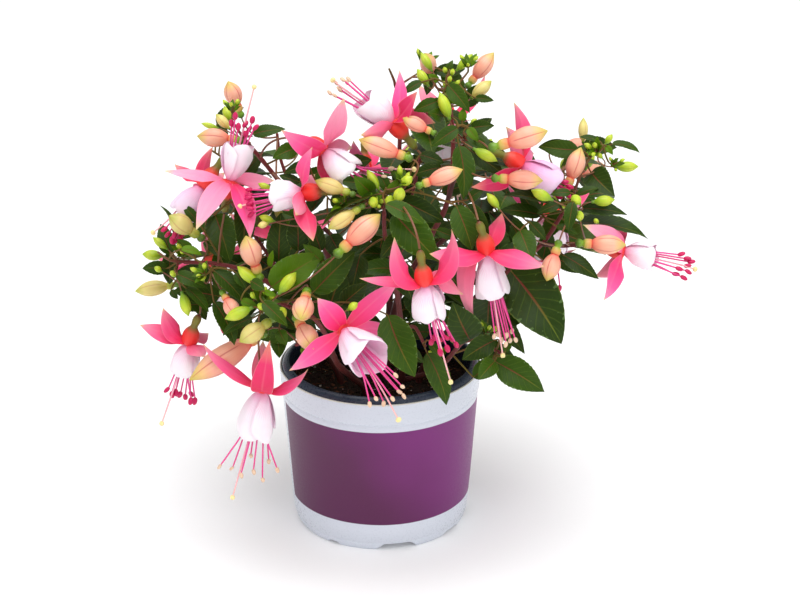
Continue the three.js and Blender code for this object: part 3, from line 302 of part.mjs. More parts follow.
// Flower buds on their stalks: [id, node, parent id, segment, place, width, neck length, stalk foot, stalk bend, neck base, tip, joined apart]
const BUDS = [
  [52,"leafy_stem_upper_left",17,6,0.88,10.6,9,[-61.8,44.3,230.1],[-76.9,20.9,234.2],[-81.4,19.9,250.3],[-88,18.5,273.7],0],
  [53,"leafy_stem_upper_left",2,9,0.43,5.2,1.8,[-69.1,-34.1,246.4],[-79.9,-14.7,245.2],[-85.4,-9.7,257.1],[-89.5,-5.9,266.1],0],
  [54,"leafy_stem_upper_left",2,9,0.57,5.7,2,[-70.7,-35.1,248.7],[-77.8,-19,247.4],[-85.5,-15.8,255.1],[-93.8,-12.3,263.4],1],
  [55,"leafy_stem_upper_left",2,9,0.14,3.5,1.2,[-66.1,-32.2,241.6],[-74.8,-2.7,245.8],[-93.2,-0.7,250.6],[-103.7,0.5,253.3],0],
  [56,"leafy_stem_upper_left",2,9,0.86,10.9,9.2,[-73.7,-37,253.5],[-71.6,-25.4,250.7],[-77.2,-25.1,251.4],[-104.1,-23.8,254.6],0],
  [57,"leafy_stem_left",1,8,0.5,11.4,9.7,[-102,-49.5,186.1],[-95.7,-45.6,195.2],[-100.1,-46.9,199.2],[-119.1,-52.6,216.4],0],
  [58,"leafy_stem_upper_left",2,8,0.71,3.9,1.4,[-61.5,-29.7,234.3],[-43.3,-70.1,230.9],[-58.9,-67.4,237.2],[-67.2,-66,240.6],0],
  [59,"green_shoot_centre",33,1,0.5,4.4,1.6,[-4.1,-88.4,238],[-33.6,-85.1,216],[-56.9,-81.8,223.7],[-66.1,-80.5,226.7],0],
  [60,"green_shoot_centre",33,0,0.5,3.9,1.4,[0.7,-85.2,234.4],[-35.6,-71.9,224.4],[-60.3,-84.8,223.9],[-66.5,-88,223.8],0],
  [61,"green_shoot_top",24,1,0,5.1,1.8,[38,-26,286],[33.5,-17.8,285.1],[30.5,-15.8,289.8],[23.9,-11.5,300.2],0],
  [62,"leafy_stem_centre",3,10,0.86,9.8,8.3,[40.1,-26.4,274.6],[35.8,4.3,267],[32.2,0,278.2],[25.8,-7.8,298.3],0],
  [63,"green_shoot_top",25,1,0.5,5.6,2,[31.4,-27.9,286.9],[30.3,-36.5,284.3],[28.3,-35.3,287],[21.6,-31.4,296.3],0],
  [64,"green_shoot_top",26,0,0.33,5.2,1.8,[41.4,-25.1,282.5],[38.1,-10.2,282.3],[43.9,-7.9,287.6],[53.8,-4,296.7],1],
  [65,"leafy_stem_centre",3,10,0.71,9.8,8.3,[40.4,-26.8,271.7],[43.4,-9.6,269.6],[49.9,-6.5,277],[66.3,1.5,295.6],0],
  [66,"leafy_stem_centre",3,10,0.88,7.3,2.6,[40.1,-26.3,275.1],[46.9,-35,275.3],[51.6,-33.3,279.2],[63.3,-29.1,289.1],0],
  [67,"leafy_stem_centre",4,2,0.8,6.7,2.3,[47.8,-49.8,261],[42.3,-59.6,267.7],[39.8,-56.8,274.4],[34.2,-50.6,289],0],
  [68,"green_shoot_top",24,1,0.33,2.8,1,[38.8,-25.3,288.5],[38.7,-22,288.7],[38.3,-22.2,290.2],[36.9,-22.8,295],0],
  [69,"green_shoot_top",24,1,0.67,2.8,1,[39.5,-24.7,290.9],[41.1,-25.9,289.2],[41.2,-26.1,290.2],[41.9,-27,295.2],0],
  [70,"green_shoot_top",25,1,0,2.8,1,[33.2,-27.9,283.8],[38.3,-34.5,284.3],[39.3,-35.3,289],[40.3,-36.1,293.9],0],
  [71,"leafy_stem_centre",4,2,0.6,8.2,7,[47.2,-49.5,257.9],[44.8,-74.9,266.1],[32.4,-72.6,271.6],[13.5,-69,280],0],
  [72,"green_shoot_centre",32,1,0.88,10.9,9.3,[10.4,-89.6,242.7],[28,-85.1,257.9],[19.1,-83.8,261],[-10.6,-79.4,271.4],0],
  [73,"leafy_stem_centre",4,2,0.8,6.1,2.1,[47.8,-49.8,261],[42.2,-72,269.4],[52,-74.2,264.3],[65.4,-77.2,257.3],0],
  [74,"green_shoot_centre",33,1,0.88,8.7,7.4,[-6,-89.6,239.3],[-8.7,-93.5,242.4],[-12.2,-93,243.6],[-34.4,-89.7,251.3],0],
  [75,"green_shoot_centre",31,1,0.67,4.9,1.7,[3.9,-87.5,243.3],[1.5,-87.6,243],[0.8,-87.1,244.1],[-6.1,-82.6,254.8],0],
  [76,"green_shoot_centre",31,1,0.88,5.5,1.9,[4.2,-87.8,245],[9.1,-89.4,245.5],[11.8,-90.4,248.1],[18.6,-93,254.7],0],
  [77,"green_shoot_centre",32,1,0,9.8,8.4,[7,-86.8,237.9],[13.4,-91.1,245.1],[20.5,-90.1,247.5],[46.4,-86.4,256.2],0],
  [78,"green_shoot_centre",31,1,0,6.5,2.3,[3.1,-86.5,237.9],[8,-95.6,235.1],[9.7,-97.6,240.4],[13.1,-101.5,251],1],
  [79,"green_shoot_centre",33,1,0,5.5,1.9,[-1.7,-86.8,236.2],[-0.1,-92.9,233.9],[-1.1,-94.7,236.8],[-3.8,-99.7,244.8],1],
  [80,"green_shoot_centre",31,0,0.67,5.5,1.9,[3.1,-85.1,235.4],[3.8,-91.9,233.8],[4.9,-94,237.2],[7.6,-99,245.2],0],
  [81,"green_shoot_centre",33,1,0.88,8.7,7.4,[-6,-89.6,239.3],[-3.7,-97.7,242.5],[-7.1,-98.6,240.4],[-27.2,-103.9,228.1],0],
  [82,"green_shoot_front_left",29,1,0,13.1,11.1,[-60.9,-92.2,181.3],[-40.4,-116.2,198.7],[-23.6,-109.7,214.1],[0.6,-100.3,236.3],0],
  [83,"leafy_stem_centre",4,2,0.88,2.8,1,[48,-49.9,262.3],[46.1,-57.4,269.2],[50.7,-56.7,272.3],[54.8,-56,275.1],1],
  [84,"leafy_stem_right",6,1,0,4.9,1.7,[105.3,-59.6,200.6],[82.8,-97,214.4],[66.8,-88.8,233.7],[59.8,-85.2,242.1],0],
  [85,"leafy_stem_centre",4,2,0.4,11,9.3,[46.6,-49.3,254.7],[44.4,-84.5,251.4],[61.9,-84.8,250.6],[90.4,-85.3,249.3],0],
  [86,"green_shoot_right",28,1,0,6.1,2.1,[109.4,-55.1,221.4],[109.9,-83.3,230.3],[96.8,-80.9,236],[84.4,-78.6,241.4],1],
  [87,"green_shoot_right",27,3,0.25,5.7,2,[121.4,-37.4,247.1],[116.5,-28,244.7],[116.6,-25.7,250.1],[116.9,-19.9,263.8],0],
  [88,"green_shoot_right",27,3,0.88,3.4,1.2,[126.4,-33.7,251],[125,-26.5,245.9],[123.4,-26.6,249.1],[120.6,-26.8,254.6],0],
  [89,"green_shoot_right",27,3,0.5,4,1.4,[123.4,-35.9,248.7],[124,-15.6,235.7],[130.3,-11.9,244.4],[134.6,-9.4,250.3],0],
  [90,"green_shoot_right",27,0,0.75,10.7,9.1,[108.3,-51.6,225.3],[103,-60,228.2],[104.7,-58.3,232.1],[114.8,-48.5,255.4],0],
  [91,"green_shoot_right",27,3,0.75,6.4,2.2,[125.4,-34.5,250.2],[123.1,-15.9,232.4],[135.6,-15.9,232.4],[150,-15.9,232.4],0],
  [92,"green_shoot_right",27,2,0,2.8,1,[113.9,-45.5,237.3],[132.8,-38.1,239.2],[127.4,-37.6,244.8],[123.9,-37.3,248.5],0],
  [93,"green_shoot_right",28,1,0.88,6.2,2.2,[112.9,-57.7,222.7],[115.6,-60.7,227.2],[119.4,-60.6,227.5],[132.8,-60.2,228.6],0],
  [94,"green_shoot_right",28,1,0.5,5.6,1.9,[111.4,-56.5,222.2],[116.3,-68.1,224.4],[112.5,-71.9,230.1],[107.7,-76.7,237.4],1],
  [95,"leafy_stem_right",6,1,0.8,5,1.8,[117.5,-61.5,202.8],[114.1,-69.6,213],[112.4,-75.7,222],[111,-80.7,229.4],0],
  [96,"leafy_stem_right",6,1,0.88,2.8,1,[118.7,-61.7,203],[127.3,-61.9,211],[123.8,-64.2,215.7],[121,-66,219.5],0],
  [97,"leafy_stem_right",6,1,0.2,11.2,9.5,[108.3,-60.1,201.1],[101.6,-76.3,209.8],[109.8,-76.5,209.2],[138.2,-77.3,207.2],0],
  [98,"green_shoot_right",28,1,0.88,10.5,8.9,[112.9,-57.7,222.7],[105.1,-82.1,229],[100.2,-89.3,216],[92.6,-100.4,196],0],
  [99,"green_shoot_left",21,0,0,4.6,1.6,[-115,-50.2,187.2],[-115.4,-33.1,181.1],[-122.6,-30.7,186.7],[-131.4,-27.8,193.5],1],
  [100,"leafy_stem_left",1,8,0.88,6.4,2.3,[-109.4,-49.9,186.7],[-110.3,-21.1,176.9],[-125.8,-20.5,178.4],[-139.1,-19.9,179.7],0],
  [101,"leafy_stem_left",16,3,0.5,9.5,8.1,[-68.4,15.6,166.3],[-92.5,-10.5,161.2],[-118.1,-12.1,157.5],[-145.1,-13.7,153.6],0],
  [102,"green_shoot_left",21,1,0,6.3,2.2,[-116.2,-54,180.1],[-114,-62.4,179.7],[-112.4,-64.5,174.8],[-108.1,-70,161.8],0],
  [103,"leafy_stem_left",1,8,0.17,5.6,2,[-95.5,-49.2,185.6],[-96.4,-67,175.8],[-98.6,-72.6,184.5],[-100.7,-78,192.9],0],
  [104,"green_shoot_left",21,1,0.88,3.5,1.2,[-113.6,-52.2,173.7],[-119.8,-35.6,170.6],[-125.5,-38.4,175.9],[-129.8,-40.5,180],0],
  [105,"green_shoot_left",21,0,0.67,3.4,1.2,[-115.8,-52.7,182.5],[-114.9,-56.1,178.6],[-115.9,-57,180.3],[-118.7,-59.5,185.2],0],
  [106,"green_shoot_front_left",29,1,0.67,12.2,10.4,[-65.6,-94.7,183.1],[-64.2,-90.6,187.7],[-65.4,-90.7,191.9],[-73.3,-91.1,218.8],0],
  [107,"green_shoot_front_left",29,1,0.88,6.7,2.3,[-67.1,-95.5,183.7],[-63.4,-94,188.6],[-65.9,-93.2,190.5],[-78.5,-89.2,200],0],
  [108,"green_shoot_front_left",30,1,0,7.2,2.5,[-62.3,-95.5,179],[-59.6,-107.2,184.6],[-55.1,-105,189.8],[-45.3,-100.1,201.2],1],
  [109,"leafy_stem_left",1,8,0.33,8.9,7.6,[-98.8,-49.4,185.8],[-95.7,-70.9,190.6],[-88.3,-82.4,183],[-78.6,-97.5,173.1],0],
  [110,"green_shoot_front_left",30,1,0.67,7.2,2.5,[-65.3,-98.5,176.2],[-66.8,-99.8,181.1],[-69.3,-100.2,180.2],[-85.2,-102.8,174.2],0],
  [111,"green_shoot_front_left",29,1,0.88,3.3,1.2,[-67.1,-95.5,183.7],[-67.5,-97,182.9],[-67.9,-97.2,183.6],[-70.6,-98.7,188.7],0],
  [112,"green_shoot_front_left",30,1,0.33,3.9,1.4,[-63.8,-97,177.6],[-62.6,-100.1,177],[-63.3,-100.8,178.5],[-66.1,-103.7,184.2],0],
  [113,"green_shoot_front_left",30,0,0.67,6.1,2.1,[-60.4,-93.3,178.9],[-51.5,-101.3,170.6],[-52.3,-105.2,175.9],[-53.7,-111.7,184.6],1],
  [114,"green_shoot_front_left",30,0,0.33,11.1,9.4,[-58.5,-91.2,178.7],[-53.7,-95.2,174.6],[-56.6,-96.9,173.1],[-76.9,-108.4,162.7],0],
  [115,"leafy_stem_front_left",7,6,0.88,12,10.2,[-52,-87.2,175.6],[-37.9,-91.7,195.3],[-39,-103.3,192.5],[-41.6,-130.1,185.9],0],
  [116,"leafy_stem_front_left",7,6,0.71,12.2,10.3,[-49.3,-86.1,173.9],[-48.8,-94.1,177.4],[-46.4,-99.1,175.2],[-35,-122.6,165.2],0],
  [117,"leafy_stem_front_left",7,6,0.57,4.4,1.5,[-47,-85.2,172.4],[-32.9,-113.8,172.8],[-17.1,-116.5,185.3],[-11,-117.6,190.1],0],
  [118,"leafy_stem_front_left",8,3,0.88,14.8,12.6,[-45.7,-79,148.2],[-55.8,-67.7,157.7],[-63.6,-69.7,153],[-108.1,-81,126.4],1],
  [226,"leafy_stem_back",12,6,0.86,4.6,1.6,[11.4,71.7,205.4],[14.3,87.2,202.2],[18.8,98.3,205.5],[22.7,107.7,208.3],0],
  [227,"green_shoot_back_right",36,2,0,9.9,8.4,[109.1,62.5,200.3],[100.1,65.9,212.6],[105.9,68.7,212.7],[130.7,80.7,213.3],0],
  [228,"leafy_stem_back",12,6,0.29,5.5,1.9,[10.8,69.4,193.5],[18.4,88.2,188.8],[17.2,100.8,195.8],[16.2,111.3,201.7],0],
  [229,"green_shoot_back_right",36,1,0.75,5.5,1.9,[106.4,63.2,198.5],[110.8,67.3,195.2],[112,70.5,197.6],[115.6,79.8,204.6],0],
  [230,"leafy_stem_back",14,4,0.6,5.5,1.9,[56,69,166.7],[50.5,89.8,168.5],[49.9,100.1,180],[49.5,108.1,188.8],0],
  [231,"leafy_stem_back",15,3,0,10.1,8.6,[11.5,88.3,140.1],[-10.3,89.1,159.1],[-7.2,102.8,161.1],[-1.1,130.1,165.1],0],
  [232,"green_shoot_back_right",36,2,0.25,4.6,1.6,[111.3,60.9,202.2],[117.5,60.6,196.9],[120.1,63.3,199.1],[126,69.3,204],0],
  [233,"leafy_stem_back",13,4,0.4,9.3,7.9,[-42.5,67,168.4],[-44.1,81.9,161.9],[-51.3,91.8,159.3],[-66.2,112.3,153.9],0],
  [234,"leafy_stem_back",13,5,0.2,9.4,8,[-52,68.9,175.7],[-55.9,79.6,170.6],[-60.7,87.9,167.5],[-72.7,108.8,159.7],0],
  [235,"green_shoot_back_right",36,2,0,11,9.3,[109.1,62.5,200.3],[113.3,64.5,197.2],[116.6,67.1,197.1],[140.3,85.7,196.3],0],
  [236,"leafy_stem_back",13,4,0,11.3,9.6,[-37.7,65.9,164.8],[-24.8,84.9,170.3],[-21.9,100.5,163.9],[-16.9,127.3,152.9],1],
  [237,"leafy_stem_back",15,2,0.8,12.1,10.3,[11.1,85.2,139.9],[-13.5,78.3,167.2],[-14.8,101.8,162.9],[-27.7,132.4,154.3],0],
  [238,"leafy_stem_back",13,6,0.88,9.3,7.9,[-72.5,70,190.9],[-74.7,73.5,187.2],[-77.3,76.6,187.4],[-93.8,96.5,188.4],0],
  [239,"leafy_stem_back",14,6,0,5.4,1.9,[73.5,67.9,178.1],[61.1,78.8,195],[65.7,91.7,203.1],[69.2,101.5,209.2],0],
  [240,"green_shoot_back_right",36,2,0.88,5.3,1.8,[116.9,56.8,207.1],[123.6,54,201.2],[125.3,56,204.2],[130.5,62.1,213.6],0],
  [241,"green_shoot_back_right",37,1,0,12,10.2,[93.4,73.8,191.9],[75.8,81.2,197.3],[76.1,91,192.4],[77,119.8,178.2],0],
  [242,"leafy_stem_back",14,5,0.2,11.3,9.6,[63.5,69,171.6],[73.4,80.6,157.7],[80.1,92.4,160.4],[95.1,118.7,166.5],0],
  [410,"leafy_stem_centre",4,2,0.72,12.3,12.2,[47.56,-49.66,259.8],[55.5,-69.6,269.7],[60,-85.6,268],[92.2,-88.7,278.6],1],
];
// Stalks that carry the open flowers: [id, node, parent id, segment, place, foot, bend, end, joined apart]
const FLOWER_STALKS = [
  [40,"leafy_stem_left",1,8,0,[-92.3,-49.1,185.3],[-90.3,-60,204.1],[-86.9,-60.8,220.6],0],
  [41,"leafy_stem_upper_left",2,9,0.71,[-72.2,-36.1,251.1],[-80.6,-22.3,250.3],[-86.3,-24.9,244.2],0],
  [42,"leafy_stem_upper_left",2,9,0.3,[-67.8,-33.2,244.2],[-63,-50,262.5],[-47.7,-63.8,266.8],0],
  [43,"green_shoot_centre",33,1,0.88,[-6,-89.6,239.3],[-14.4,-90.4,245.3],[-21.5,-88.6,244.3],0],
  [44,"leafy_stem_centre",4,2,0.2,[46,-49,251.6],[30.7,-66.6,250.1],[21.6,-64,259.5],0],
  [45,"leafy_stem_centre",4,2,0.88,[48,-49.9,262.3],[54.3,-60.2,261.7],[61.4,-60.4,258.4],0],
  [46,"leafy_stem_right",6,1,0.6,[114.4,-61,202.2],[115.7,-56.4,198.5],[119,-56.7,198.3],0],
  [47,"leafy_stem_centre",4,1,0.2,[43,-44.2,236.6],[50,-80,246],[54.3,-108.2,234.8],0],
  [48,"green_shoot_centre",32,1,0.5,[9,-88.4,240.6],[19.9,-127.2,245],[22.5,-126.7,225.7],1],
  [49,"leafy_stem_front_left",7,6,0.43,[-44.7,-84.3,170.8],[-33.6,-91.2,184.4],[-28.4,-100.3,180.6],0],
  [50,"green_shoot_front_left",30,1,0.88,[-66.3,-99.5,175.3],[-67.2,-103.1,158.9],[-66.7,-99.5,146.4],1],
  [51,"green_shoot_left",21,1,0.88,[-113.6,-52.2,173.7],[-99,-67.5,170.9],[-102.3,-66.6,161.7],0],
  [220,"leafy_stem_left",16,6,0.88,[-102.7,43,204.7],[-105.2,32.5,193.8],[-106.1,29.1,169.6],0],
  [221,"leafy_stem_back",12,7,0.86,[11.9,73.8,226.4],[-4.5,85.3,225.6],[-10,89.1,214.5],0],
  [222,"green_shoot_back_right",37,1,0.33,[94.9,76.5,193.3],[95.5,88.4,174.1],[96,91.1,152.7],0],
  [223,"leafy_stem_right",157,1,0.5,[129,19.1,228.1],[109.1,12.7,226.3],[102.5,10.6,213.6],0],
  [224,"green_shoot_back_top",39,1,0.33,[19.2,71.1,259.1],[36,65.1,261.6],[41.6,63,255.7],0],
  [225,"leafy_stem_upper_left",17,6,0.88,[-61.8,44.3,230.1],[-61.8,19.5,222.1],[-61.8,11.2,198],1],
];
// Open flowers: h = throat, a = axis towards the mouth, o = end of the ovary, l = petal length, m = mouth radius,
// s = sepal tips and widths, f = anther tips, y = stigma
const FLOWERS = [
  { name: 'flower_01', back: 0, h: [-82.8,-61.8,240.8], a: [0.261,0.18,0.948], o: [-86.8,-60.8,221.2], l: 21, m: 8.4, y: [-69.2,-48.8,290.7],
    s: [{ t: [-119.9,-59.7,245.7], w: 8 }, { t: [-100.4,-89.7,222], w: 14 }, { t: [-70.2,-90.3,217.4], w: 13 }, { t: [-59.6,-35.6,232.4], w: 12 }],
    f: [[-79.4,-59.1,276.6],[-81.7,-55.9,271.5],[-78,-58.6,270.1],[-74.9,-54.2,270.3],[-70.1,-59,274.3],[-72.6,-56.2,268.1],[-68.8,-62.4,271.4],[-73.6,-59.2,266.2]] },
  { name: 'flower_02', back: 0, h: [-101.5,-32.7,226.2], a: [-0.601,-0.3,-0.741], o: [-86.7,-25.1,243.8], l: 20, m: 8.2, y: [-129,-42.8,202.5],
    s: [{ t: [-97.3,-4.8,240.7], w: 9.5 }, { t: [-117.8,-24.9,236.8], w: 9 }, { t: [-106.6,-13.1,212.3], w: 11 }, { t: [-90,-9.3,226.9], w: 11 }],
    f: [[-121.8,-44.7,205.7],[-120.6,-41.1,201.2],[-118.6,-44.1,199.3],[-116.7,-40.8,196.8],[-113.3,-45.7,200.6],[-112,-40,201.4],[-116.5,-46.7,203.4],[-114.7,-40.9,204.2]] },
  { name: 'flower_03', back: 0, h: [-29.8,-75.4,263], a: [0.75,-0.16,-0.642], o: [-47.2,-64.2,266.6], l: 20.5, m: 8.8, y: [19.1,-76.7,252.8],
    s: [{ t: [-18.8,-85.1,297], w: 13 }, { t: [-51.8,-96.5,282.2], w: 13 }, { t: [-18.8,-64.2,231.3], w: 11 }, { t: [-14.4,-50.8,255.6], w: 11 }],
    f: [[6.2,-77.5,253.7],[5.5,-73.3,251.6],[2.4,-82.8,251.1],[5.4,-77.5,246],[-1.2,-83.8,245.1],[2.7,-76.9,239.2],[-4.3,-83,242.8],[7.9,-74,249.5]] },
  { name: 'flower_04', back: 0, h: [-41.4,-83.7,241.5], a: [-0.952,0.212,-0.219], o: [-22.1,-88.5,244.2], l: 18, m: 7.8, y: [-76.1,-79.5,232.2],
    s: [{ t: [-34.8,-96.1,272.5], w: 10 }, { t: [-34.8,-118,226.5], w: 13 }, { t: [-43.8,-113.6,239.8], w: 10 }, { t: [-37,-54.1,241.5], w: 11 }],
    f: [[-69.9,-80.5,234.7],[-70.6,-73.8,236.9],[-69.4,-85.3,232.8],[-70,-77.4,232.5],[-69.3,-83.2,229.6],[-68.9,-76.3,224.8],[-70.6,-79.3,237.4],[-70.8,-71.7,239]] },
  { name: 'flower_05', back: 0, h: [7.6,-60,274], a: [-0.752,0.123,0.648], o: [21.2,-63.9,259.9], l: 20.5, m: 8.8, y: [-24.6,-54.5,296.7],
    s: [{ t: [11.4,-28.6,294.8], w: 10 }, { t: [21.4,-73.9,296.8], w: 11 }, { t: [-9.6,-82.1,275], w: 11.5 }, { t: [32,-39,266.9], w: 12 }],
    f: [[-26.2,-59.2,290.6],[-22.9,-51.8,294],[-18.8,-59.7,298.5],[-20.8,-55,291.8],[-15.7,-57.7,297.9],[-20.1,-51.9,289.9],[-23.2,-60.3,289.6],[-16.9,-52.2,294.3]] },
  { name: 'flower_06', back: 0, h: [80.1,-61,249.7], a: [0.857,-0.098,-0.506], o: [61.9,-60.4,258.1], l: 22.5, m: 9.2, y: [105.2,-65.6,234.5],
    s: [{ t: [75.4,-50.9,283.2], w: 10.5 }, { t: [72.3,-32.7,262.6], w: 12 }, { t: [51,-85.3,245.6], w: 12 }, { t: [87.9,-34.2,247.4], w: 12 }],
    f: [[102.8,-64.1,240.7],[104,-62,236.1],[102.2,-68,236.8],[99.8,-64.6,232.7],[105.1,-67.6,235.2],[101.3,-60.5,236.8],[98.3,-66.3,235.5],[105.9,-61.4,237.5]] },
  { name: 'flower_07', back: 0, h: [139.5,-58.3,197], a: [0.962,-0.247,-0.117], o: [119.6,-56.7,198.3], l: 19, m: 7.8, y: [178.4,-66.3,189.3],
    s: [{ t: [133.5,-34.6,208.5], w: 8 }, { t: [114.8,-69.8,217.3], w: 12 }, { t: [126.7,-89.4,179.3], w: 12.5 }, { t: [124.4,-47.1,176.2], w: 11 }],
    f: [[169.8,-65.4,197.6],[173.8,-60.8,193.4],[168.2,-71.1,191.7],[173.8,-63.9,190.1],[173.8,-70,189.6],[167.5,-63.1,184.9],[171.3,-69.9,185.9],[176.1,-61.5,191.6]] },
  { name: 'flower_08', back: 0, h: [59.5,-105.1,215.1], a: [0.151,0.172,-0.973], o: [54.5,-108.1,234.2], l: 26.5, m: 9.6, y: [68.8,-111.5,156.7],
    s: [{ t: [68.8,-74.3,226], w: 12 }, { t: [27.8,-125,221.8], w: 13.5 }, { t: [89.9,-126.2,214], w: 13 }, { t: [53.2,-97.3,168.8], w: 12 }],
    f: [[64.4,-109,167.5],[68.3,-104.9,163.4],[70.5,-113.7,164.7],[73.2,-106.6,163.5],[75.6,-111.4,166.1],[66.6,-102.1,165.8],[71,-108.8,168],[74.3,-103,167.9]] },
  { name: 'flower_09', back: 0, h: [25.3,-126.2,205.3], a: [0.135,0.201,-0.97], o: [22.6,-126.7,225.1], l: 22.5, m: 9, y: [39.5,-132.7,150.3],
    s: [{ t: [9.3,-135.9,236], w: 13 }, { t: [40.6,-133.7,239.2], w: 12.5 }, { t: [-9.9,-125.3,207.5], w: 7.5 }, { t: [46.3,-105,188.9], w: 12 }],
    f: [[29.3,-125.8,171.4],[33,-120.4,170.2],[33.6,-130.8,167.9],[42.5,-122.9,168.4],[37.4,-128.6,169],[31.2,-117.2,170.5],[36.3,-125,173.4],[39.5,-120.2,170.7]] },
  { name: 'flower_10', back: 0, h: [-18.7,-117.1,173.5], a: [0.551,-0.782,-0.291], o: [-28.1,-100.8,180.4], l: 28, m: 11.8, y: [10.9,-152.5,137],
    s: [{ t: [-32.4,-133.6,199.9], w: 13.5 }, { t: [10.9,-106.5,198.5], w: 14 }, { t: [-48.3,-126,152.6], w: 14 }, { t: [7.6,-97.2,165.4], w: 12 }],
    f: [[-4.5,-150.8,145.8],[13.6,-144.2,147.4],[12.9,-150.2,155.5],[9.1,-141.3,158.5],[-1.2,-151.2,149],[3.2,-144.4,143.1],[7.6,-149.8,148.4],[10.9,-143.5,149.3]] },
  { name: 'flower_11', back: 0, h: [-66,-93.8,126.5], a: [-0.164,0.084,-0.983], o: [-66.7,-99.3,145.8], l: 28, m: 10.6, y: [-83.6,-104.5,64.4],
    s: [{ t: [-60.4,-104.1,161.6], w: 13 }, { t: [-66.8,-61.9,143.1], w: 12 }, { t: [-100,-83.8,149.3], w: 8 }, { t: [-38.6,-107.7,145.3], w: 8 }],
    f: [[-90.6,-99.3,81.5],[-73.6,-92.1,84.6],[-78.5,-104,78.6],[-66.8,-98.9,72.8],[-58.1,-101.4,80.6],[-84.1,-93.5,77.2],[-71.7,-100.4,78.9],[-63.2,-93.2,82]] },
  { name: 'flower_12', back: 0, h: [-109.2,-64.7,142.3], a: [-0.203,0.099,-0.974], o: [-102.5,-66.5,161.1], l: 20.5, m: 8, y: [-125.9,-71.6,95.3],
    s: [{ t: [-137.4,-60.5,152.1], w: 12 }, { t: [-123,-66.9,165.4], w: 12 }, { t: [-99.4,-79.6,139.9], w: 11.5 }, { t: [-100,-42.9,138.4], w: 11 }],
    f: [[-120,-67.3,112.2],[-115.5,-61.8,109.6],[-108.6,-71,110],[-106.9,-64.6,107],[-122.1,-65.9,114.3],[-112.9,-61.2,107.6],[-117.9,-65.1,112.7],[-109.9,-60.6,109.2]] },
  { name: 'flower_13', back: 1, h: [-101.9,33.6,150], a: [0.167,0.199,-0.965], o: [-106,29.2,169], l: 26.7, m: 9.8, y: [-90.3,48.2,92.1],
    s: [{ t: [-137.3,27.4,158.9], w: 12.356 }, { t: [-108.6,66.3,168.5], w: 12.146 }, { t: [-77.5,31.6,178.2], w: 12.128 }, { t: [-100.9,-1.9,162.1], w: 12.542 }],
    f: [[-91.9,45.5,111.1],[-87.6,42.5,106.3],[-89.5,38.9,102.7],[-94.3,38.6,105],[-97.9,38.2,108.3],[-97.8,42,105.1],[-99.1,49.7,106.7],[-95.4,49.1,104.6]] },
  { name: 'flower_14', back: 1, h: [-10.6,85.1,194.3], a: [-0.007,-0.155,-0.988], o: [-10,88.9,213.9], l: 25.2, m: 9.7, y: [-9,73.7,136.2],
    s: [{ t: [-3.9,121.6,204.1], w: 12.454 }, { t: [21.6,82.4,217.1], w: 12.568 }, { t: [-16.4,57.6,222.6], w: 12.896 }, { t: [-41.2,93.6,210.6], w: 12.007 }],
    f: [[-8.1,73.7,151.6],[-13,73.7,153.7],[-13.8,77,150.7],[-16.5,80.4,150.4],[-13.9,81.3,147.1],[-9.7,82.7,154.1],[-6.8,79.9,152.3],[-2.7,76.9,150.2]] },
  { name: 'flower_15', back: 1, h: [96.7,94.7,132.4], a: [0.045,0.215,-0.975], o: [96,91.2,152.1], l: 24.9, m: 9.8, y: [102.4,107.4,75.1],
    s: [{ t: [78.1,61.6,144.5], w: 12.795 }, { t: [68.8,106.7,152.6], w: 12.42 }, { t: [109.8,112.8,160.8], w: 12.06 }, { t: [123.4,75.1,145.3], w: 12.608 }],
    f: [[103.6,102.6,88.5],[100.5,101.3,90.2],[96.2,97.2,91.9],[92.3,102,87.8],[92.8,106.9,90.1],[96.9,107.7,87.9],[98.6,107.7,93.6],[104.4,106.3,90.7]] },
  { name: 'flower_16', back: 1, h: [101.3,4.3,194], a: [-0.043,-0.338,-0.941], o: [102.4,10.4,213], l: 24.4, m: 10.7, y: [98.2,-18.1,140],
    s: [{ t: [74.2,-1.4,217], w: 12.94 }, { t: [88.4,39.7,205.5], w: 12.906 }, { t: [128.6,23.5,210.4], w: 12.748 }, { t: [116.7,-22.5,213.2], w: 12.481 }],
    f: [[96.4,-17.7,154.1],[95.7,-11.4,152.5],[96.1,-6.8,155.7],[98.5,-4.5,150.1],[102.5,-3.7,152.8],[103,-9.8,151],[106.8,-11.4,155.5],[103,-13.9,157.8]] },
  { name: 'flower_17', back: 1, h: [40.5,61.1,235.2], a: [0.1,0.068,-0.993], o: [41.5,63,255.1], l: 26.4, m: 10.3, y: [48.8,63.1,175.3],
    s: [{ t: [64.6,71.6,260.6], w: 12.762 }, { t: [54.1,28,246.4], w: 12.407 }, { t: [8.8,46.2,242.9], w: 12.438 }, { t: [23.6,94.6,247.1], w: 12.906 }],
    f: [[47.8,58.3,188.9],[44.6,56.1,187.8],[42.3,61.4,194.1],[36.6,65.5,194.3],[41.7,68.2,192.1],[46,69,192.6],[48.4,66.3,186.8],[50.9,63.2,194.3]] },
  { name: 'flower_18', back: 1, h: [-56.7,13.8,178.2], a: [0.119,0.304,-0.946], o: [-61.6,11.3,197.4], l: 24.8, m: 9.7, y: [-47.4,33.3,123.4],
    s: [{ t: [-90.4,14.7,191.8], w: 12.927 }, { t: [-53.6,40.3,207.8], w: 12.745 }, { t: [-25.8,3.1,194.6], w: 12.995 }, { t: [-63.8,-20.7,188.5], w: 12.016 }],
    f: [[-48.5,27.9,141.6],[-47.9,27.4,134.2],[-51,20.8,139.8],[-52.7,22.2,135],[-56.1,24.9,139.3],[-58.5,30.4,137.8],[-53.8,30.3,141.6],[-49.4,29.9,143.1]] },
];
const JOINED_CALYX = ["flower_02","flower_03","flower_04","flower_05","flower_06","flower_07","flower_08","flower_09","flower_10"];

const wasm = await Module();
wasm.setup();
const { Manifold, Mesh } = wasm;

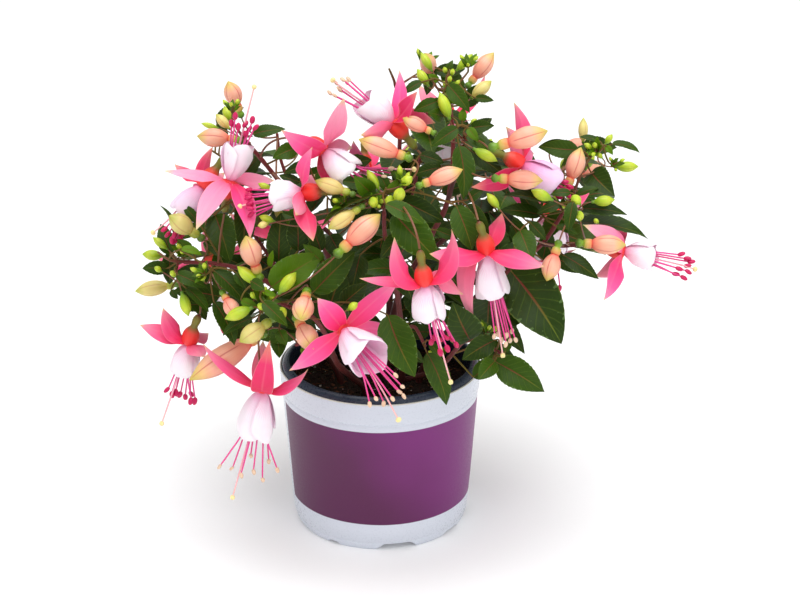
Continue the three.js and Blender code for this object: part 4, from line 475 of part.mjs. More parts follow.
// ---- vectors
const add = (a, b) => [a[0] + b[0], a[1] + b[1], a[2] + b[2]];
const sub = (a, b) => [a[0] - b[0], a[1] - b[1], a[2] - b[2]];
const mul = (a, k) => [a[0] * k, a[1] * k, a[2] * k];
const dot = (a, b) => a[0] * b[0] + a[1] * b[1] + a[2] * b[2];
const cross = (a, b) => [a[1] * b[2] - a[2] * b[1], a[2] * b[0] - a[0] * b[2], a[0] * b[1] - a[1] * b[0]];
const len = (a) => Math.hypot(a[0], a[1], a[2]);
const norm = (a) => mul(a, 1 / (len(a) || 1));
const lerp = (a, b, k) => add(a, mul(sub(b, a), k));
const bez = (p, q, r, k) => add(add(mul(p, (1 - k) * (1 - k)), mul(q, 2 * k * (1 - k))), mul(r, k * k));
const centre = (r) => mul(r.reduce(add), 1 / r.length);
const loopNormal = (r) => { const c = centre(r); return r.reduce((n, p, i) => add(n, cross(sub(p, c), sub(r[(i + 1) % r.length], c))), [0, 0, 0]); };

// ---- rings of points along a path
function tubeRings(pts, rad, n) {
  const m = pts.length;
  const tan = pts.map((p, i) => norm(sub(pts[Math.min(i + 1, m - 1)], pts[Math.max(i - 1, 0)])));
  let u = Math.abs(tan[0][2]) < 0.9 ? norm(cross(tan[0], [0, 0, 1])) : norm(cross(tan[0], [0, 1, 0]));
  return pts.map((p, i) => {
    u = norm(sub(u, mul(tan[i], dot(u, tan[i]))));
    const w = cross(tan[i], u);
    if (rad[i] <= 0) return [p];
    return Array.from({ length: n }, (_, j) => { const a = j / n * Math.PI * 2; return add(p, add(mul(u, Math.cos(a) * rad[i]), mul(w, Math.sin(a) * rad[i]))); });
  });
}
function lens(p, tan, nrm, hw, ht, rise) {
  const s = norm(cross(tan, nrm)), m = norm(cross(s, tan)), up = mul(m, rise);
  return [add(add(p, mul(s, -hw)), up), add(p, mul(m, ht)), add(add(p, mul(s, hw)), up), add(p, mul(m, -ht))];
}
function bladeRings(b, c, t, nrm, st, mid, from) { // the first rings are turned half way between the stalk and the blade
  const turn = (p, q, r) => norm(add(norm(sub(q, p)), norm(sub(r, q))));
  const rings = mid ? [lens(mid, from ? turn(from, mid, b) : norm(sub(b, mid)), nrm, 0.55, 0.55, 0)] : [];
  st.forEach(([k, hw, ht, rise], i) => {
    const at = bez(b, c, t, k), come = i ? null : mid || from;
    let tan = norm(sub(bez(b, c, t, Math.min(1, k + 0.02)), bez(b, c, t, Math.max(0, k - 0.02))));
    if (come) tan = norm(add(mul(norm(sub(at, come)), k ? 0.6 : 1), tan));
    rings.push(lens(at, tan, nrm, hw, ht, rise));
  });
  rings.push([t]);
  return rings;
}

// ---- one closed skin: a trunk of rings, with children that grow out of its side faces
class Skin {
  constructor() { this.pos = []; this.tri = []; }
  v(p) { this.pos.push(p[0], p[1], p[2]); return this.pos.length / 3 - 1; }
  p(i) { return this.pos.slice(3 * i, 3 * i + 3); }
  trunk(rings, kids = []) {
    const o = this.orient(rings, null);
    const idx = o[0].map((p) => this.v(p));
    this.grow(idx, o.slice(1), kids);
    for (let k = 1; k + 1 < idx.length; k++) this.tri.push(idx[0], idx[k + 1], idx[k]);
    return this;
  }
  orient(rings, hole) {
    const first = rings.findIndex((r) => r.length > 1);
    const rs = rings.map((r) => r.slice());
    if (first < 0) return rs;
    if (!hole) {
      const dir = sub(centre(rs[1]), centre(rs[0]));
      return dot(loopNormal(rs[first]), dir) < 0 ? rs.map((r) => r.reverse()) : rs;
    }
    let prev = hole;
    return rs.map((r, k) => {
      if (r.length === 1) return r;
      const from = k ? centre(rs[k - 1]) : centre(hole), to = k + 1 < rs.length ? centre(rs[k + 1]) : centre(r), path = sub(to, from);
      let q = dot(loopNormal(r), path) < 0 ? r.slice().reverse() : r.slice();
      const n = q.length, cp = centre(prev), cq = centre(q);
      let best = [1e9, 0];
      for (let s = 0; s < n; s++) { let e = 0; for (let i = 0; i < n; i++) e -= dot(norm(sub(q[(i + s) % n], cq)), norm(sub(prev[i], cp))); if (e < best[0]) best = [e, s]; }
      q = q.map((_, i) => q[(i + best[1]) % n]); prev = q; return q;
    });
  }
  grow(loop, rings, kids) {
    let a = loop;
    rings.forEach((ring, s) => {
      const b = ring.map((p) => this.v(p));
      if (b.length === 1) for (let k = 0; k < a.length; k++) this.tri.push(a[k], a[(k + 1) % a.length], b[0]);
      else this.band(a, b, kids.filter((k) => k.seg === s));
      a = b;
    });
    if (a.length > 1) for (let k = 1; k + 1 < a.length; k++) this.tri.push(a[0], a[k], a[k + 1]);
  }
  band(a, b, kids) {
    const n = a.length, P = (i) => this.p(i), ca = centre(a.map(P)), cb = centre(b.map(P)), L = len(sub(cb, ca));
    const faces = a.map((_, j) => { const k = (j + 1) % n; return { j, k, n: norm(cross(sub(P(a[k]), P(a[j])), sub(P(b[j]), P(a[j])))), use: [] }; });
    const free = (f, hl, kid, step, air) => { let best = null; for (let q = hl + 0.02; q <= 1 - hl - 0.02 + 1e-9; q += step) if (f.use.every((u) => Math.abs(u.t - q) > (u.hl + hl) * air[0] + air[1])) if (best === null || Math.abs(q - kid.t) < Math.abs(best - kid.t)) best = q; return best; };
    for (const kid of kids) {
      const at = lerp(ca, cb, kid.t), dir = norm(sub(centre(kid.rings[0]), at)), hl = (kid.len || 1) / 2 / L;
      const want = faces.map((f) => [kid.face !== undefined ? (f.j === kid.face % n ? 1 : 0) : dot(f.n, dir), f]).sort((x, y) => y[0] - x[0]);
      let done = false;
      for (const [sc, f] of want) {
        const q = free(f, hl, kid, 0.02, [1.15, 0]);
        if (q === null || (Math.abs(q - kid.t) * L > 5 && sc !== want[want.length - 1][0] && f !== want[Math.min(1, want.length - 1)][1])) continue;
        f.use.push({ t: q, hl, kid }); done = true; break;
      }
      for (const [, f] of done ? [] : want) { const q = free(f, hl, kid, 0.01, [1, 0.01]); if (q !== null) { f.use.push({ t: q, hl, kid }); done = true; break; } }
      if (!done) throw new Error('no room for a stalk');
    }
    for (const f of faces) {
      const A = a[f.j], B = a[f.k], C = b[f.k], D = b[f.j];
      if (!f.use.length) { this.tri.push(A, B, C, A, C, D); continue; }
      f.use.sort((x, y) => x.t - y.t);
      const pt = (u, v) => lerp(lerp(P(A), P(B), u), lerp(P(D), P(C), u), v);
      const l = [], r = [], holes = [];
      for (const u of f.use) {
        const w = (u.kid.wide || 0.62) / 2, h = [pt(0.5 - w, u.t - u.hl), pt(0.5 + w, u.t - u.hl), pt(0.5 + w, u.t + u.hl), pt(0.5 - w, u.t + u.hl)].map((p) => this.v(p));
        holes.push(h); l.push(h[0], h[3]); r.push(h[1], h[2]);
      }
      const m = l.length - 1;
      this.tri.push(A, B, r[0], A, r[0], l[0], l[m], r[m], C, l[m], C, D);
      for (let i = 0; i < m; i++) this.tri.push(A, l[i], l[i + 1]);
      this.tri.push(A, l[m], D, B, C, r[m]);
      for (let i = m; i > 0; i--) this.tri.push(B, r[i], r[i - 1]);
      for (let i = 0; i + 1 < holes.length; i++) this.tri.push(holes[i][3], holes[i][2], holes[i + 1][1], holes[i][3], holes[i + 1][1], holes[i + 1][0]);
      f.use.forEach((u, i) => {
        let rings = u.kid.rings, off = 0;
        const h = holes[i].map(P), hc = centre(h), d0 = norm(sub(centre(rings[0]), hc));
        if (dot(d0, f.n) < 0.6) { const mv = add(mul(f.n, 0.7), mul(d0, 0.45)); rings = [h.map((q) => add(lerp(q, hc, 0.12), mv)), ...rings]; off = 1; }
        this.grow(holes[i], this.orient(rings, h), (u.kid.kids || []).map((q) => (off ? { ...q, seg: q.seg + 1 } : q)));
      });
    }
  }
}
function skinOf(rings) { return new Skin().trunk(rings); }
const solid = (m) => new Manifold(new Mesh({ numProp: 3, vertProperties: new Float32Array(m.pos), triVerts: new Uint32Array(m.tri) }));

// ---- the plant's elements, read from the tables
const elements = [];
for (const [id, node, parent, seg, u, r0, r1, n, flat, apart] of BRANCHES) {
  const pts = []; for (let i = 0; i < flat.length; i += 3) pts.push(flat.slice(i, i + 3));
  const rad = pts.map((_, i) => r0 + (r1 - r0) * i / (pts.length - 1));
  const rings = tubeRings(pts, rad, n);
  elements.push({ id, node, parent, seg, u, apart, hole: 1.3, rings: parent ? rings.slice(1) : rings, own: rings });
}
for (const [id, node, parent, seg, u, w, plain, k, j, b, c, t, n, apart] of LEAVES) {
  const st = plain ? [[0.42, 0.48 * w, 0.42, 0.08 * w]] : [[0, 0.6, 0.5, 0], [0.28, 0.45 * w, 0.42, 0.09 * w], [0.62, 0.4 * w, 0.4, 0.08 * w]];
  if (j && plain) st.unshift([0, 0.6, 0.5, 0]);
  const rings = bladeRings(b, c, t, n, st, j || null, k);
  const s = norm(sub(j || b, k));
  elements.push({ id, node, parent, seg, u, apart, hole: 1, rings, own: [lens(k, s, n, 0.55, 0.55, 0), ...rings] });
}
for (const [id, node, parent, seg, u, w, neck, p, q, e, t, apart] of BUDS) {
  const d = norm(sub(t, e)), total = len(sub(t, e)), at = (s) => add(e, mul(d, s)), r = w / 2, big = w > 7.5;
  const pts = big ? [bez(p, q, e, 0.55), at(neck * 0.3), at(neck * 0.72), at(neck + (total - neck) * 0.3), at(neck + (total - neck) * 0.62), at(total)] : [at(0), at(neck + (total - neck) * 0.4), at(total)];
  const rad = big ? [0.55, 0.14 * w, 0.115 * w, r * 0.93, r * 0.9, 0] : [0.5, r, 0];
  const own = tubeRings([p, ...pts], [0.55, ...rad], 4);
  elements.push({ id, node, parent, seg, u, apart, hole: 1, rings: own.slice(1), own });
}
for (const [id, node, parent, seg, u, p, q, e, apart] of FLOWER_STALKS) {
  const pts = [bez(p, q, e, 0.4), bez(p, q, e, 0.75), e];
  elements.push({ id, node, parent, seg, u, apart, hole: 1, rings: tubeRings(pts, [0.5, 0.5, 0.5], 4), own: tubeRings([p, ...pts], [0.55, 0.5, 0.5, 0.5], 4) });
}
function shoot(node) { // a stem with everything that grows on it, as one body
  const list = elements.filter((e) => e.node === node), grown = list.filter((e) => !e.apart), root = grown.find((e) => !e.parent);
  const pack = (e) => ({ seg: e.seg, t: e.u, rings: e.rings, len: e.hole, kids: grown.filter((q) => q.parent === e.id).map(pack) });
  const body = solid(new Skin().trunk(root.rings, grown.filter((q) => q.parent === root.id).map(pack)));
  const more = list.filter((e) => e.apart).map((e) => solid(skinOf(e.own)));
  return more.length ? Manifold.union([body, ...more]) : body;
}

// ---- flowers
function frame(a) { const x = norm(Math.abs(a[2]) < 0.9 ? cross(a, [0, 0, 1]) : cross(a, [0, 1, 0])); return [x, cross(a, x)]; }
function sepalCurve(F, S, out, drop) {
  const rel = sub(S.t, F.h), ax = dot(rel, F.a), rad = norm(sub(rel, mul(F.a, ax))), L = len(rel);
  const b = add(F.h, add(mul(rad, out), mul(F.a, -drop)));
  const c = add(F.h, add(mul(rad, Math.max(0.42 * L, 6)), mul(F.a, Math.min(0, ax) * 0.12 - drop - 0.2 + Math.max(0, ax) * 0.2)));
  const d = norm(sub(S.t, b)), n = norm(sub(mul(F.a, dot(d, rad)), mul(rad, dot(d, F.a))));
  return { b, c, t: S.t, n };
}
const sepalStations = (F, S) => (F.back ? [[0.42, S.w * 0.49, SEPAL_HALF_THICKNESS, S.w * 0.07]] : [[0.34, S.w * 0.47, SEPAL_HALF_THICKNESS, S.w * 0.07], [0.68, S.w * 0.36, 0.45, S.w * 0.05]]);
function calyxGrown(F) { // ovary, tube and four sepals as one skin
  const dir = norm(sub(F.h, F.o)), ov = len(sub(F.h, F.o)), q = (s) => add(F.o, mul(dir, s)), at = (s) => add(F.h, mul(F.a, s));
  const kids = F.s.map((S) => { const k = sepalCurve(F, S, 3.3, 1.5); return { seg: 3, t: 0.5, rings: bladeRings(k.b, k.c, k.t, k.n, sepalStations(F, S), null), len: 1.1, wide: 0.8 }; });
  return new Skin().trunk(tubeRings([F.o, q(ov * 0.17), q(ov * 0.4), at(-3.2), F.h], [0.6, 1.85, 1.3, 3.4, 3.5], 6), kids);
}
function calyxJoined(F) { // the same pieces as overlapping solids, for a crowded throat
  const dir = norm(sub(F.h, F.o)), ov = len(sub(F.h, F.o)), q = (s) => add(F.o, mul(dir, s)), at = (s) => add(F.h, mul(F.a, s));
  const parts = [skinOf(tubeRings([F.o, q(ov * 0.17), q(ov * 0.4), at(-3.2), F.h], [0.6, 1.85, 1.3, 3.4, 3.5], 5))];
  for (const S of F.s) { const k = sepalCurve(F, S, 2.3, 1.4); parts.push(skinOf(bladeRings(k.b, k.c, k.t, k.n, [[0, 1.5, 0.55, 0], ...sepalStations(F, S)], null))); }
  return parts;
}
function corolla(F) {
  const [x, y] = frame(F.a), R = F.m, L = F.l;
  const ring = (s, r) => Array.from({ length: PETAL_SIDES }, (_, j) => { const w = j / PETAL_SIDES * 2 * Math.PI; return add(add(F.h, mul(F.a, s)), add(mul(x, Math.cos(w) * r), mul(y, Math.sin(w) * r))); });
  return F.back ? skinOf([ring(-0.5, 2.8), ring(L * 0.5, R * 0.74), ring(L, R)]) : closedSkin([ring(0.4, 2.8), ring(L * 0.5, R * 0.74), ring(L, R), ring(L, R - 1.1), ring(2.0, 1.9)]);
}
function closedSkin(rings) { return skinOf(rings); }
function stamens(F) { // eight filaments with anthers round a long style
  const at = (s) => add(F.h, mul(F.a, s)), [x, y] = frame(F.a), L = F.l, parts = [];
  const st = F.back ? F.f.slice(0, 4) : F.f, cap = F.back ? L - 1.0 : L * 0.5 - 0.5, R0 = F.back ? 3.2 : 1.15;
  if (!F.back) parts.push(skinOf(tubeRings([at(2.45), at(L * 0.5)], [1.2, 1.75], 5)));
  const order = st.map((t, i) => { const r = sub(t, F.h); return [Math.atan2(dot(r, y), dot(r, x)), i]; }).sort((p, q) => p[0] - q[0]);
  const gap = Math.min(0.62, 2 * Math.PI / st.length), w = order.map((o) => o[0]), n = w.length, slot = [];
  for (let it = 0; it < 80; it++) for (let k = 0; k < n; k++) { const j = (k + 1) % n, d = w[j] - w[k] + (j === 0 ? 2 * Math.PI : 0); if (d < gap) { w[k] -= (gap - d) / 2; w[j] += (gap - d) / 2; } }
  order.forEach((o, k) => { slot[o[1]] = w[k]; });
  const throughMouth = (b, t, lim) => { const rel = sub(t, b), k = (L - dot(sub(b, F.h), F.a)) / dot(rel, F.a), lat = sub(add(b, mul(rel, k)), at(L)), r = len(lat); return !F.back && r > lim ? add(at(L), mul(lat, lim / r)) : null; };
  st.forEach((t, i) => {
    const b = add(at(cap), add(mul(x, Math.cos(slot[i]) * R0), mul(y, Math.sin(slot[i]) * R0)));
    const pts = [b, lerp(b, t, 0.9), t], rad = [0.3, ANTHER_RADIUS, 0], g = throughMouth(b, t, F.m - 3.2);
    if (g) { pts.splice(1, 0, g); rad.splice(1, 0, 0.35); }
    parts.push(skinOf(tubeRings(pts, rad, 3)));
  });
  const sp = [at(cap)], sr = [0.45], g = throughMouth(at(cap), F.y, F.m - 3.4);
  if (g) { sp.push(g); sr.push(0.45); }
  parts.push(skinOf(tubeRings([...sp, lerp(sp[sp.length - 1], F.y, 0.93), F.y], [...sr, 1.0, 0], 3)));
  return parts;
}

// ---- pot and soil
function lathe(profile, sides) { // closed profile of [r, z], r = 0 allowed at its two ends
  const pos = [], tri = [], rows = profile.map(([r, z]) => {
    if (r === 0) { pos.push(0, 0, z); return [pos.length / 3 - 1]; }
    return Array.from({ length: sides }, (_, j) => { const a = j / sides * 2 * Math.PI; pos.push(r * Math.cos(a), r * Math.sin(a), z); return pos.length / 3 - 1; });
  });
  for (let i = 0; i < rows.length; i++) {
    const a = rows[i], b = rows[(i + 1) % rows.length];
    if (a.length === 1 && b.length === 1) continue;
    for (let j = 0; j < sides; j++) {
      const k = (j + 1) % sides;
      if (a.length === 1) tri.push(a[0], b[j], b[k]);
      else if (b.length === 1) tri.push(a[j], b[0], a[k]);
      else tri.push(a[j], b[j], b[k], a[j], b[k], a[k]);
    }
  }
  const m = { pos, tri };
  const M = solid(m);
  if (M.volume() > 0) return M;
  for (let i = 0; i < tri.length; i += 3) [tri[i + 1], tri[i + 2]] = [tri[i + 2], tri[i + 1]];
  return solid(m);
}
const H = POT_HEIGHT, R = POT_RIM_RADIUS, Rf = POT_FOOT_RADIUS, Ri = POT_MOUTH_RADIUS;
const underside = [[0, 0], [15.6, 0], [18.2, 6], [47.4, 6], [48.4, 0], [Rf, 0]];
const outside = [[Rf + 1.5, 3], [Rf + 2.3, 6], [54.3, 14], [55.6, 30], [59.6, 85.6], [59.2, 86.6], [60.3, 87.6], [R - 0.1, 99.6], [R, 100.4], [R - 0.7, 101]];
const lip = [[R - 1.6, 101.7], [R - 2.7, 102.9], [Ri + 1.6, H - 0.1], [Ri + 0.6, H], [Ri, H - 0.8], [Ri + 0.2, 99]];
const inside = [[57.9, 84], [51.8, 8.2], [49.5, FLOOR_TOP], [17, FLOOR_TOP], [14.5, 1.5], [0, 1.5]];
let pot = lathe([...underside, ...outside, ...lip, ...inside], POT_SIDES);
// notches between the feet: [start, end, height], degrees from the front towards +X
const NOTCHES = [[-38, -28, 2.2], [-2.7, 25.8, 4.8], [47, 66, 3.2], [78, 97, 4], [132, 148, 4.5], [186, 204, 3], [238, 252, 4]];
for (const [a0, a1, h] of NOTCHES) {
  const n = 4, ring = (z, k) => [0, 1].flatMap((side) => Array.from({ length: n + 1 }, (_, i) => { const f = side ? 1 - i / n : i / n, a = ((a0 + (a1 - a0) * ((f - 0.5) * k + 0.5)) - 90) * Math.PI / 180, r = side ? 57 : 44; return [r * Math.cos(a), r * Math.sin(a), z]; }));
  pot = pot.subtract(Manifold.hull([...ring(-1, 1.1), ...ring(h, 0.62)]).subtract(Manifold.cylinder(20, 46, 46, 24, true)));
}
for (let i = 0; i < DRAIN_HOLES; i++) { const a = (i + 0.5) / DRAIN_HOLES * 2 * Math.PI; pot = pot.subtract(Manifold.cylinder(10, DRAIN_HOLE_RADIUS, DRAIN_HOLE_RADIUS, 10, true).translate([DRAIN_HOLE_CIRCLE * Math.cos(a), DRAIN_HOLE_CIRCLE * Math.sin(a), FLOOR_TOP - 1])); }
const g = SOIL_GAP;
let soil = lathe([[0, 1.5 + g], [14.5 - g, 1.5 + g], [17 - g, FLOOR_TOP + g], [49.5 - g, FLOOR_TOP + g], [51.8 - g, 8.2 + g], [57.9 - g, 84], [57.3 - g, SOIL_TOP - 0.5], [40, SOIL_TOP], [0, SOIL_TOP + 0.6]], POT_SIDES);
for (const [, , parent, , , r0, , , flat] of BRANCHES) {
  if (parent || Math.abs(flat[2] - STEM_FOOT_Z) > 0.01) continue;
  const p = flat.slice(0, 3), q = flat.slice(3, 6), k0 = -0.4 / (q[2] - p[2]);
  soil = soil.subtract(solid(skinOf(tubeRings([lerp(p, q, k0), lerp(p, q, 1)], [r0 + SOCKET_CLEARANCE, r0 + SOCKET_CLEARANCE], 10))));
}

// ---- the model
const root = new THREE.Group();
root.name = 'potted_fuchsia';
function put(name, M, color, roughness) {
  const m = M.getMesh(), geo = new THREE.BufferGeometry(), np = m.numProp, pos = new Float32Array(m.triVerts.length * 3);
  m.triVerts.forEach((v, i) => { pos[3 * i] = m.vertProperties[v * np]; pos[3 * i + 1] = m.vertProperties[v * np + 1]; pos[3 * i + 2] = m.vertProperties[v * np + 2]; });
  geo.setAttribute('position', new THREE.BufferAttribute(pos, 3));
  geo.computeVertexNormals();
  const mesh = new THREE.Mesh(geo, new THREE.MeshStandardMaterial({ color, roughness, metalness: 0 }));
  mesh.name = name;
  root.add(mesh);
}
put('pot', pot, 0xe9edf1, 0.28);
put('soil', soil, 0x241b16, 0.95);
const shoots = [...new Set(BRANCHES.map((b) => b[1]))];
for (const name of shoots) put(name, shoot(name), name.startsWith('green') ? 0x4f8a2c : 0x2f5a26, 0.55);
for (const F of FLOWERS) {
  if (F.back) { put(F.name, Manifold.union([...calyxJoined(F), corolla(F), ...stamens(F)].map(solid)), 0xe0506a, 0.5); continue; }
  put(F.name + '_calyx', JOINED_CALYX.includes(F.name) ? Manifold.union(calyxJoined(F).map(solid)) : solid(calyxGrown(F)), 0xe2455f, 0.45);
  put(F.name + '_corolla', solid(corolla(F)), 0xf7eef0, 0.5);
  put(F.name + '_stamens', Manifold.union(stamens(F).map(solid)), 0xc2307a, 0.5);
}
export default root;
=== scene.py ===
# Potted fuchsia: the look of the plant, its flowers, the soil and the pot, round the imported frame. Metres, +Z up.
import bpy
import math
import random
import numpy as np
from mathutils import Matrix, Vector


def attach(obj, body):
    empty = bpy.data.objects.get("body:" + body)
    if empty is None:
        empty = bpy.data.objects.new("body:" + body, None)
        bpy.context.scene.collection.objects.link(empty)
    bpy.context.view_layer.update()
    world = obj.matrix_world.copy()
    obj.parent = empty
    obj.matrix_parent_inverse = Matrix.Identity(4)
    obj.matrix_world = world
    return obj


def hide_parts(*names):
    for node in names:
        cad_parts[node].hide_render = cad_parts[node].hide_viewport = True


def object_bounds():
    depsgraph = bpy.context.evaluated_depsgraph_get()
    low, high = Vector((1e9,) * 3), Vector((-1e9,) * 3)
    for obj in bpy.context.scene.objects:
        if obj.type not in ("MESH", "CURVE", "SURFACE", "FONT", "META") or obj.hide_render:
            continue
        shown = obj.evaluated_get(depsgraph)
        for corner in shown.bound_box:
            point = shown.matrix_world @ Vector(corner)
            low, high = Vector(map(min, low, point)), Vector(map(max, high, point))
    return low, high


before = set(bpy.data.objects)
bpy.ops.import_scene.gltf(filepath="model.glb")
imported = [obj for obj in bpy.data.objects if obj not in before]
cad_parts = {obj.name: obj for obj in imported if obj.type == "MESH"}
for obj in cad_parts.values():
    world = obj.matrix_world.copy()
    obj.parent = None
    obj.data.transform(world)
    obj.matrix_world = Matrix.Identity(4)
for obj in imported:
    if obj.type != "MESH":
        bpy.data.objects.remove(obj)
MM = 0.001
start_lo, start_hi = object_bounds()
start_lo, start_hi = list(start_lo), list(start_hi)

# ---- camera: 800 x 600 picture, elevation 23 degrees, looking along +Y
CAM_TARGET = (0.012, 0.0, 0.142)
CAM_DISTANCE = 1.4
CAM_ELEVATION = math.radians(23.0)
cam_data = bpy.data.cameras.new("camera")
cam_data.lens = 105.0
cam_data.sensor_width = 36.0
cam_data.clip_start, cam_data.clip_end = 0.05, 20.0
cam = bpy.data.objects.new("camera", cam_data)
cam.location = (CAM_TARGET[0], CAM_TARGET[1] - CAM_DISTANCE * math.cos(CAM_ELEVATION), CAM_TARGET[2] + CAM_DISTANCE * math.sin(CAM_ELEVATION))
cam.rotation_euler = (math.radians(90.0) - CAM_ELEVATION, 0.0, 0.0)
bpy.context.scene.collection.objects.link(cam)
bpy.context.scene.camera = cam

# ---- light: a plain white studio
WORLD_LIGHT = 0.52
FLOOR_GLOW = 0.08
LIGHTS = [
    ("key", (0.25, -1.1, 2.3), (0.0, 0.0, 0.16), (1.9, 1.9), 28.0),
    ("fill", (1.3, -1.4, 1.0), (0.0, 0.0, 0.16), (1.6, 1.6), 8.0),
    ("left", (-1.4, -1.2, 0.9), (0.0, 0.0, 0.12), (1.5, 1.5), 5.0),
    ("top", (0.0, 0.3, 2.3), (0.0, 0.0, 0.0), (2.2, 2.2), 33.0),
]

